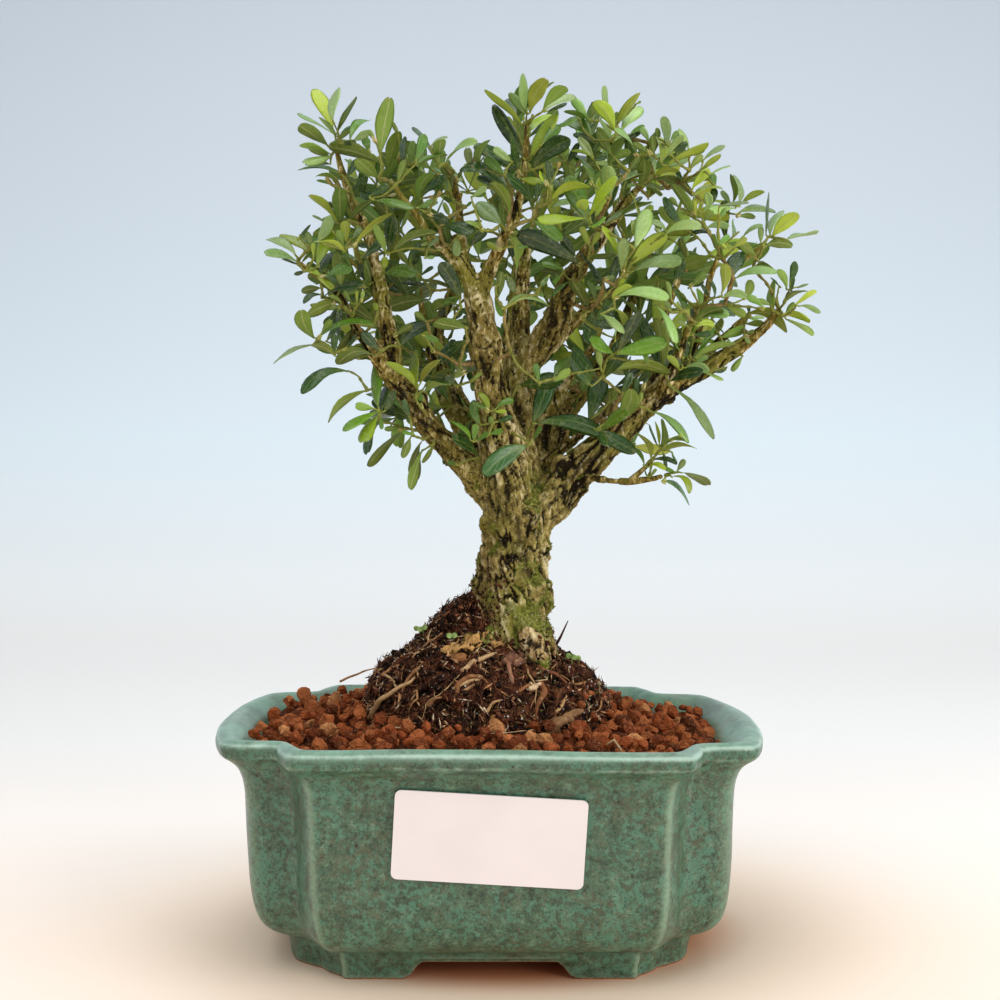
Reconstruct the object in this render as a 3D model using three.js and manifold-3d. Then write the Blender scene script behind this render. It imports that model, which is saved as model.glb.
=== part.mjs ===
// Potted boxwood bonsai: a grown tree in its root ball, granular soil and a footed glazed pot.
// Millimetres, +Z up. Built about the middle of the pot, then moved so that the middle of the
// bounding box's bottom face is the origin.
import * as THREE from 'three';
import * as BufferGeometryUtils from 'three/addons/utils/BufferGeometryUtils.js';
import Module from 'manifold-3d';

// ---- driving dimensions -------------------------------------------------------------
const RIM_HALF_X = 75.0;        // half width of the pot over its bowed side lips
const RIM_HALF_Y = 57.6;        // half depth of the pot over its straight front lips
const POT_HEIGHT = 62.9;        // lip top above the table
const LIP_HEIGHT = 3.6;
const LIP_WIDTH = 6.6;          // top face of the lip
const FOOT_HEIGHT = 4.5;        // clear height of the gaps between the feet
const FOOT_GAP_HALF_X = 19.0;   // half width of the front and back gaps
const FOOT_GAP_HALF_Y = 9.0;    // half width of the side gaps
const FLOOR_TOP = 12.5;         // inside floor of the pot
const DRAIN_RADIUS = 7.0;
const DRAIN_X = 28.0;
const SOIL_EDGE_Z = 59.4;       // soil level at the pot wall
const SOIL_MID_Z = 63.6;        // soil level beside the root ball
const GAP = 0.3;                // clearance between separate pieces
const LABEL_W = 48.6, LABEL_H = 23.0, LABEL_T = 0.5, LABEL_TURN = -3.4 * Math.PI / 180;
const LEAF_THICK = 0.9;         // keel to rib depth of a leaf solid at its middle

const wasm = await Module();
wasm.setup();

// ---- helpers ------------------------------------------------------------------------
function seeded(seed) {
  let s = seed >>> 0;
  return () => { s = (s + 0x6d2b79f5) | 0; let t = Math.imul(s ^ (s >>> 15), 1 | s);
    t = (t + Math.imul(t ^ (t >>> 7), 61 | t)) ^ t; return ((t ^ (t >>> 14)) >>> 0) / 4294967296; };
}
function lerpTable(table, x) {
  if (x <= table[0][0]) return table[0].slice(1);
  for (let i = 1; i < table.length; i++) {
    if (x <= table[i][0]) {
      const a = table[i - 1], b = table[i], t = (x - a[0]) / (b[0] - a[0]);
      return a.slice(1).map((v, k) => v + (b[k + 1] - v) * t);
    }
  }
  return table[table.length - 1].slice(1);
}
// closed solid from rings of points (all the same length), capped by fans about each end's centre
function loft(rings) {
  const n = rings[0].length, pos = [], idx = [];
  for (const r of rings) for (const p of r) pos.push(p[0], p[1], p[2]);
  for (let k = 0; k + 1 < rings.length; k++) for (let i = 0; i < n; i++) {
    const j = (i + 1) % n, a = k * n + i, b = k * n + j, c = a + n, d = b + n;
    idx.push(a, b, d, a, d, c);
  }
  for (const [k, flip] of [[0, true], [rings.length - 1, false]]) {
    if (n === 3) { const a = k * n; flip ? idx.push(a, a + 2, a + 1) : idx.push(a, a + 1, a + 2); continue; }
    const c = [0, 0, 0]; for (const p of rings[k]) for (let q = 0; q < 3; q++) c[q] += p[q] / n;
    const ci = pos.length / 3; pos.push(...c);
    for (let i = 0; i < n; i++) { const a = k * n + i, b = k * n + (i + 1) % n; flip ? idx.push(ci, b, a) : idx.push(ci, a, b); }
  }
  const g = new THREE.BufferGeometry();
  g.setAttribute('position', new THREE.Float32BufferAttribute(pos, 3));
  g.setIndex(idx);
  return g;
}
function toManifold(geometry) {
  let g = geometry.clone(); g.deleteAttribute('normal'); g.deleteAttribute('uv');
  g = BufferGeometryUtils.mergeVertices(g, 1e-5);
  const m = new wasm.Mesh({ numProp: 3, vertProperties: new Float32Array(g.attributes.position.array), triVerts: new Uint32Array(g.index.array) });
  m.merge();
  return new wasm.Manifold(m);
}
function toGeometry(manifold) {
  const m = manifold.getMesh(), g = new THREE.BufferGeometry(), pos = new Float32Array(m.numVert * 3);
  for (let i = 0; i < m.numVert; i++) for (let k = 0; k < 3; k++) pos[i * 3 + k] = m.vertProperties[i * m.numProp + k];
  g.setAttribute('position', new THREE.BufferAttribute(pos, 3));
  g.setIndex(new THREE.BufferAttribute(new Uint32Array(m.triVerts), 1));
  return g;
}
// tube of changing radius through points [x,y,z,r], with n sides
function taperTube(pts, n, grow = 0) {
  const P = pts.map(p => new THREE.Vector3(p[0], p[1], p[2])), rings = [];
  let ref = null;
  for (let i = 0; i < P.length; i++) {
    const t = new THREE.Vector3();
    if (i > 0) t.add(P[i].clone().sub(P[i - 1]).normalize());
    if (i + 1 < P.length) t.add(P[i + 1].clone().sub(P[i]).normalize());
    t.normalize();
    if (!ref) ref = Math.abs(t.z) < 0.8 ? new THREE.Vector3(0, 0, 1) : new THREE.Vector3(1, 0, 0);
    const u = ref.clone().sub(t.clone().multiplyScalar(ref.dot(t))).normalize(), v = t.clone().cross(u);
    ref = u;
    const r = pts[i][3] + grow, end = i === 0 ? -grow : i === P.length - 1 ? grow : 0, ring = [];
    for (let k = 0; k < n; k++) {
      const a = 2 * Math.PI * k / n;
      ring.push([P[i].x + r * (u.x * Math.cos(a) + v.x * Math.sin(a)) + t.x * end,
        P[i].y + r * (u.y * Math.cos(a) + v.y * Math.sin(a)) + t.y * end,
        P[i].z + r * (u.z * Math.cos(a) + v.z * Math.sin(a)) + t.z * end]);
    }
    rings.push(ring);
  }
  return loft(rings);
}
const group = new THREE.Group();
function material(color, roughness, metalness = 0) { return new THREE.MeshStandardMaterial({ color, roughness, metalness }); }
function add(name, geometry, mat) {
  let g = geometry.clone();
  if (g.attributes.uv) g.deleteAttribute('uv');
  g.computeVertexNormals();
  const mesh = new THREE.Mesh(g, mat); mesh.name = name; group.add(mesh); return mesh;
}

// ---- pot ----------------------------------------------------------------------------
// Plan outline at an inward offset d from the lip edge: straight front, cut-in corner, bowed side.
const CORNER = [ // d, front corner x, notch x, notch y, side lobe x, side lobe y
  [-1, 51.9, 57.8, 41.7, 69.3, 41.0],
  [0, 51.1, 57.0, 41.0, 68.4, 40.2],
  [7.6, 45.5, 51.0, 35.6, 61.4, 34.4],
  [20.4, 38.6, 46.2, 27.2, 54.3, 19.6],
  [34.0, 28.0, 34.0, 18.0, 40.7, 13.0]];
function outline(d, z) {
  const [fx, nx, ny, lx, ly] = lerpTable(CORNER, d), bx = RIM_HALF_X - d, by = RIM_HALF_Y - d;
  const q = [[fx * 0.5, by], [fx - 3, by], [fx - 0.8, by - 0.5], [fx + 0.6, by - 2.4]];
  q.push([fx + (nx - fx) * 0.55, by + (ny - by) * 0.5]);
  q.push([nx - 1.0, ny + 1.8], [nx + 1.3, ny + 0.3]);
  q.push([nx + (lx - nx) * 0.72, ny + (ly - ny) * 0.5 + 0.3], [lx, ly - 0.9]);
  const bow = bx - lx;
  q.push([lx + bow * 0.42, ly * 0.78], [lx + bow * 0.8, ly * 0.45]);
  const pts = [[0, -by]];
  for (const [x, y] of q) pts.push([x, -y]);
  pts.push([bx, 0]);
  for (const [x, y] of [...q].reverse()) pts.push([x, y]);
  pts.push([0, by]);
  for (const [x, y] of q) pts.push([-x, y]);
  pts.push([-bx, 0]);
  for (const [x, y] of [...q].reverse()) pts.push([-x, -y]);
  return pts.map(p => [p[0], p[1], z]);
}
const OUTER = [[0, 20.4], [8.0, 18.9], [8.7, 16.6], [13.3, 11.4], [18.7, 9.2], [30, 7.7], [45, 7.3], [54, 6.2], [57.9, 4.2],
  [POT_HEIGHT - LIP_HEIGHT, 0.9], [POT_HEIGHT - LIP_HEIGHT + 1.0, 0], [POT_HEIGHT - 0.9, 0], [POT_HEIGHT - 0.1, 0.8]];
const INNER = [[FLOOR_TOP, 22.0], [15, 17.8], [22, 15.2], [52, 12.4], [59, 8.6], [POT_HEIGHT - 0.8, LIP_WIDTH + 0.3], [POT_HEIGHT - 0.1, LIP_WIDTH - 0.6]];
const outerSolid = toManifold(loft(OUTER.map(([z, d]) => outline(d, z)).concat([outline(2.4, POT_HEIGHT)])));
const innerSolid = toManifold(loft(INNER.map(([z, d]) => outline(d, z)).concat([outline(LIP_WIDTH - 0.9, POT_HEIGHT + 0.4)])));
let pot = outerSolid.subtract(innerSolid);
const channel = (w, d, h, x = 0, y = 0, z = 0) => toManifold(new THREE.BoxGeometry(w, d, h).translate(x, y, z));
pot = pot.subtract(channel(2 * FOOT_GAP_HALF_X, 140, 2 * FOOT_HEIGHT));
pot = pot.subtract(channel(160, 2 * FOOT_GAP_HALF_Y, 2 * FOOT_HEIGHT));
pot = pot.subtract(toManifold(loft([outline(30.5, -2), outline(30.5, FOOT_HEIGHT)])));
for (const sx of [-1, 1])
  pot = pot.subtract(toManifold(new THREE.CylinderGeometry(DRAIN_RADIUS, DRAIN_RADIUS, 30, 24).rotateX(Math.PI / 2).translate(sx * DRAIN_X, 0, 8)));
add('pot', toGeometry(pot), material(0x5f8f78, 0.28));

// ---- drain screens and their wire clips ----------------------------------------------
for (const [side, sx] of [['left', -1], ['right', 1]]) {
  let screen = channel(20, 20, 0.8, sx * DRAIN_X, 0, FLOOR_TOP + GAP + 0.4);
  for (const i of [-1, 0, 1]) for (const j of [-1, 0, 1])
    screen = screen.subtract(channel(3.4, 3.4, 4, sx * DRAIN_X + i * 5.2, j * 5.2, FLOOR_TOP + GAP));
  add('drain_screen_' + side, toGeometry(screen), material(0x24272a, 0.6));
  // staple of wire: up one mesh opening's neighbour, over the screen and down through the hole
  const zTop = FLOOR_TOP + GAP + 0.8 + 0.3 + 0.5, x0 = sx * DRAIN_X;
  const wire = new THREE.CatmullRomCurve3([[5.2, -3.5], [5.2, zTop - 1.6], [4.3, zTop], [0, zTop], [-4.3, zTop], [-5.2, zTop - 1.6], [-5.2, -3.5]]
    .map(([x, z]) => new THREE.Vector3(x0 + x, 0, z < 0 ? FOOT_HEIGHT + 1.2 : z)), false, 'catmullrom', 0.2);
  const pts = wire.getPoints(14).map(p => [p.x, p.y, p.z, 0.5]);
  add('screen_clip_' + side, taperTube(pts, 6), material(0xa9adb0, 0.35, 0.9));
}

// ---- wood: trunk, root flare, limbs and branches, one grown piece --------------------
// each entry: sides, then [x, y, z, radius] along the axis
const BRANCHES = [
  [12, [[7.9, 0, 77.6, 8.6], [6.7, 0, 84.5, 9.5], [6.4, 0, 90.9, 10.6], [6.7, 0, 96, 10.3], [7, 0, 107.5, 9.6], [7.8, 0, 116.1, 9.6], [9, 0, 121.6, 10.9], [9.3, 0, 124.4, 8.6], [9.3, 0, 126.7, 4.6]]],
  [7, [[5, 0, 121.3, 5.7], [-3.5, -3, 131.6, 4.1], [-13.3, -6, 141.8, 3.5], [-23.8, -9, 155.7, 3.1], [-33.2, -10, 168.4, 2.1], [-39.8, -8, 179.5, 1.3], [-49.2, -6, 188.3, 0.8], [-53.5, -5, 192.1, 0.6]]],
  [6, [[-26.3, -9, 158.5, 2.8], [-29.3, -6, 176, 2.4], [-32.3, -4, 192, 1.8], [-35.4, -3, 203.1, 1.6], [-40.3, -2, 214.8, 1.1], [-43.3, 0, 224.8, 0.6]]],
  [7, [[6.1, -3, 121.4, 7.1], [3.8, -6, 137.6, 5.9], [1.3, -10, 152.9, 4.9], [-1.2, -12, 171.3, 4.3], [-3.9, -14, 183.5, 3.4]]],
  [4, [[-3.6, -14, 182.4, 2.8], [-7.2, -15, 188.8, 2.1], [-11.5, -16, 193.6, 1.6], [-15.3, -17, 196.7, 1.2], [-18.5, -18, 201.4, 0.9], [-22.8, -18, 207.1, 0.8], [-26.4, -17, 212.1, 0.5]]],
  [4, [[-4.2, -14, 183.5, 2.5], [-6.7, -13, 191.3, 1.8], [-7.8, -11, 199.3, 1.5], [-8.1, -9, 205.7, 1.2], [-9, -7, 211, 1], [-10.5, -6, 215.1, 0.6]]],
  [4, [[-2.8, -13, 180.3, 2.6], [3.3, -17, 194.2, 1.9], [7.1, -18, 200.8, 1.5], [9.6, -15, 213.3, 1.1], [11, -12, 228.4, 0.7]]],
  [7, [[10.2, 3, 121.2, 7.2], [9, 3, 130.4, 6.6], [8.2, 4, 139.1, 6.1], [8.5, 5, 149.2, 5.8], [9.1, 6, 157.6, 5.5], [10.2, 6, 166.9, 5.2]]],
  [6, [[9.1, 7, 165.2, 3.8], [8.8, 8, 174.3, 3.2], [9.4, 10, 182.9, 2.6], [10, 12, 190.4, 2], [11.5, 13, 197.6, 1.5], [12.4, 14, 204.5, 1]]],
  [6, [[10.8, 5, 165.1, 4.6], [19.2, 0, 176.1, 3.9], [23.1, -3, 186.5, 3.1], [30, -4, 197, 2.2], [37.1, -3, 206.7, 1.7], [46.5, 0, 217.2, 0.8]]],
  [4, [[17.4, 4, 168.7, 2.6], [22.9, 5, 174.3, 2.2], [28.4, 6, 179.8, 1.7], [32.8, 7, 183.4, 1.4], [37, 8, 186.7, 1.2], [40.8, 9, 191.5, 0.8]]],
  [6, [[12.6, 7, 127.4, 4.1], [14.4, 9, 137.6, 3.2], [16.4, 10, 144.9, 2.6], [20.1, 13, 153.6, 2.1], [24.6, 16, 162, 1.6], [30.8, 19, 169.6, 1.3], [34.2, 22, 177.4, 0.9]]],
  [4, [[16.3, 6, 135.6, 2], [24.2, 7, 141.4, 1.4], [30.1, 8, 147.2, 1.3], [36.2, 8, 151.6, 1.2], [41.7, 8, 158.9, 0.9]]],
  [8, [[9.6, 0, 121.3, 8.6], [21.1, 1, 128.1, 6.3], [30.5, 1, 137.3, 5], [41, 0, 147.9, 4.1], [51.7, -1, 156.7, 3.3], [62.3, -2, 162.6, 2.7], [72.8, -2, 169.1, 2], [79.4, -3, 175.2, 1.1], [82, -4, 178.8, 0.7]]],
  [4, [[28.2, -4, 131.4, 1.3], [34.7, -8, 130.3, 1.1], [40.7, -9, 130.3, 1], [45.7, -10, 130.9, 0.8], [49.2, -11, 132, 0.6]]],
  [4, [[39.6, -9, 130.3, 1], [42.9, -10, 133.4, 0.7], [45.5, -11, 136.2, 0.6]]],
  [4, [[48.7, -2, 154.3, 2.1], [51.2, -5, 161, 1.7], [54.4, -8, 168.3, 1.4], [56.1, -10, 173.7, 1], [57.7, -12, 178.2, 0.7]]],
  [4, [[60.4, 0, 162.4, 1.7], [65.1, 3, 169.2, 1.4], [71.1, 5, 174.3, 1.2], [76.4, 7, 179.1, 0.7]]],
  [4, [[43.6, 3, 150.6, 2.2], [48.4, 8, 159.5, 1.8], [50.3, 12, 168.5, 1.5], [52.2, 16, 177.7, 1.2], [55.6, 20, 187, 0.9], [59.8, 22, 194.7, 0.6]]],
  [4, [[53.5, 2, 157.4, 1.7], [59.4, 8, 167.6, 1.5], [62.9, 12, 178.7, 1.2], [65.2, 14, 189.2, 0.9], [68.3, 15, 197.6, 0.6]]],
  [6, [[5.6, 5, 124.6, 5.2], [-0.6, 15, 139.1, 4.3], [-10, 23, 152.8, 3.6], [-15.4, 30, 165.3, 2.8], [-15.7, 36, 178.1, 2], [-10.5, 40, 191, 1.4], [-10.9, 43, 203.9, 0.8]]],
  [6, [[9.1, 7, 124.5, 5], [8.9, 19, 142.2, 4], [7.5, 28, 159.1, 3.4], [6.4, 35, 174.9, 2.5], [8, 40, 191, 1.7], [9.6, 43, 207.1, 0.9]]],
  [6, [[12.6, 7, 124.5, 5.2], [17.3, 17, 139.1, 4.3], [24.9, 26, 152.9, 3.4], [37.2, 33, 167.7, 2.5], [43.6, 39, 183.7, 1.7], [49.5, 42, 198.4, 0.9]]],
  [6, [[0.9, 7, 130.3, 3.2], [-6.2, 14, 142.1, 2.5], [-13, 21, 154.2, 2.1], [-18.1, 27, 169.7, 1.5], [-21.4, 32, 185.4, 0.9]]],
  [7, [[4, -4, 88, 5], [-3, -10, 83, 3.6], [-9, -15, 80, 2.6], [-15.5, -19, 77.5, 2.2], [-20, -21.5, 73, 1.7], [-23, -22.5, 67, 1]]],
  [7, [[9, -5, 92, 5.5], [12.5, -8.5, 86, 4.2], [15, -12, 79.5, 3.2], [17, -16.5, 73, 2.2], [18.5, -21, 66.5, 1.3]]],
  [6, [[0, 4, 90, 4.6], [-6, 10, 83, 3.2], [-12, 15.5, 77, 2.3], [-17, 20, 69, 1.3]]],
  [6, [[12, 5, 90, 4.6], [17, 10, 82.5, 3.2], [21.5, 14, 75, 2.2], [25, 18, 67, 1.2]]],
  [6, [[14, 0, 90, 4.2], [19, -1, 83, 3], [25, -2.5, 77, 2], [30, -3.5, 70, 1.2]]]];
function woodSolid(grow) {
  let all = null;
  for (const [sides, pts] of BRANCHES) {
    const m = toManifold(taperTube(pts, sides, grow));
    all = all ? all.add(m) : m;
  }
  return all;
}
const wood = woodSolid(0), woodClear = woodSolid(GAP);
function pieces(m) { return m.decompose().sort((a, b) => b.volume() - a.volume()); }
add('trunk_and_branches', toGeometry(pieces(wood)[0]), material(0x8f8455, 0.9));

// ---- root ball ------------------------------------------------------------------------
const BALL = [ // z, centre x, radius x, centre y, radius y
  [42, -1, 27, 0, 21], [48, -1, 31, 0, 24.5], [56, -1, 34.5, 0, 27.5], [62, -0.5, 35.5, 0, 28], [67, -1, 33.8, 0, 26.5], [72, -2, 32, 0.5, 23.8],
  [76.5, -3, 28.5, 1, 20.5], [80.5, -3.5, 22.8, 1, 16], [84.5, -4, 16, 2, 11.2], [90, -2.5, 12.2, 2.5, 8.4], [96, 0.2, 7.8, 3, 6.4], [100, 2.2, 4.4, 3, 3.6]];
function ballLoft(grow) {
  const rnd = seeded(11), rings = [];
  BALL.forEach(([z, cx, rx, cy, ry], k) => {
    const ring = [];
    for (let i = 0; i < 20; i++) {
      const a = 2 * Math.PI * i / 20, n = k === 0 ? 0 : (rnd() - 0.5) * (k > 8 ? 0.8 : 2.4), dz = k > 0 && k < 10 ? (rnd() - 0.5) * 1.6 : 0;
      ring.push([cx + (rx + n + grow) * Math.cos(a), cy + (ry + n + grow) * Math.sin(a), z + dz + (k === 0 ? -grow : k === BALL.length - 1 ? grow : 0)]);
    }
    rings.push(ring);
  });
  return toManifold(loft(rings));
}
const rootBall = pieces(ballLoft(0).subtract(woodClear))[0];
add('root_ball', toGeometry(rootBall), material(0x3a2620, 0.95));

// ---- granular soil --------------------------------------------------------------------
const rndS = seeded(23), soilRings = [];
const innerOffset = z => lerpTable(INNER, z)[0];
for (const z of [15.6, 22, 52, SOIL_EDGE_Z - 1.0]) soilRings.push(outline(innerOffset(z) + GAP + 0.15, z));
function pulled(ring, f, z, bump) { return ring.map(p => [p[0] * f, p[1] * f, z + (rndS() - 0.5) * bump]); }
const edgeRing = outline(innerOffset(SOIL_EDGE_Z) + 1.3, SOIL_EDGE_Z);
for (const [f, bump] of [[1.0, 0.8], [0.94, 2.2], [0.86, 2.2], [0.77, 2.2], [0.66, 2.2], [0.50, 1.6], [0.25, 0.5]])
  soilRings.push(pulled(edgeRing, f, SOIL_EDGE_Z + (SOIL_MID_Z - SOIL_EDGE_Z) * Math.min(1, (1 - f) / 0.45), bump));
const soil = pieces(toManifold(loft(soilRings)).subtract(ballLoft(GAP)))[0];
add('soil_bed', toGeometry(soil), material(0x7a4426, 0.95));

// ---- blank stock label on the front of the pot ------------------------------------------
const lab = new THREE.Shape(), lw = LABEL_W / 2, lh = LABEL_H / 2, lr = 1.6;
lab.moveTo(-lw + lr, -lh); lab.lineTo(lw - lr, -lh); lab.absarc(lw - lr, -lh + lr, lr, -Math.PI / 2, 0);
lab.lineTo(lw, lh - lr); lab.absarc(lw - lr, lh - lr, lr, 0, Math.PI / 2);
lab.lineTo(-lw + lr, lh); lab.absarc(-lw + lr, lh - lr, lr, Math.PI / 2, Math.PI);
lab.lineTo(-lw, -lh + lr); lab.absarc(-lw + lr, -lh + lr, lr, Math.PI, 1.5 * Math.PI);
const label = new THREE.ExtrudeGeometry(lab, { depth: LABEL_T, bevelEnabled: false, curveSegments: 5 })
  .rotateZ(LABEL_TURN).rotateX(Math.PI / 2).rotateX(Math.atan(1.6 / 26)).translate(0.6, -51.0, 40.8);
add('label', toGeometry(toManifold(label)), material(0xf2f1f3, 0.45));

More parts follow.
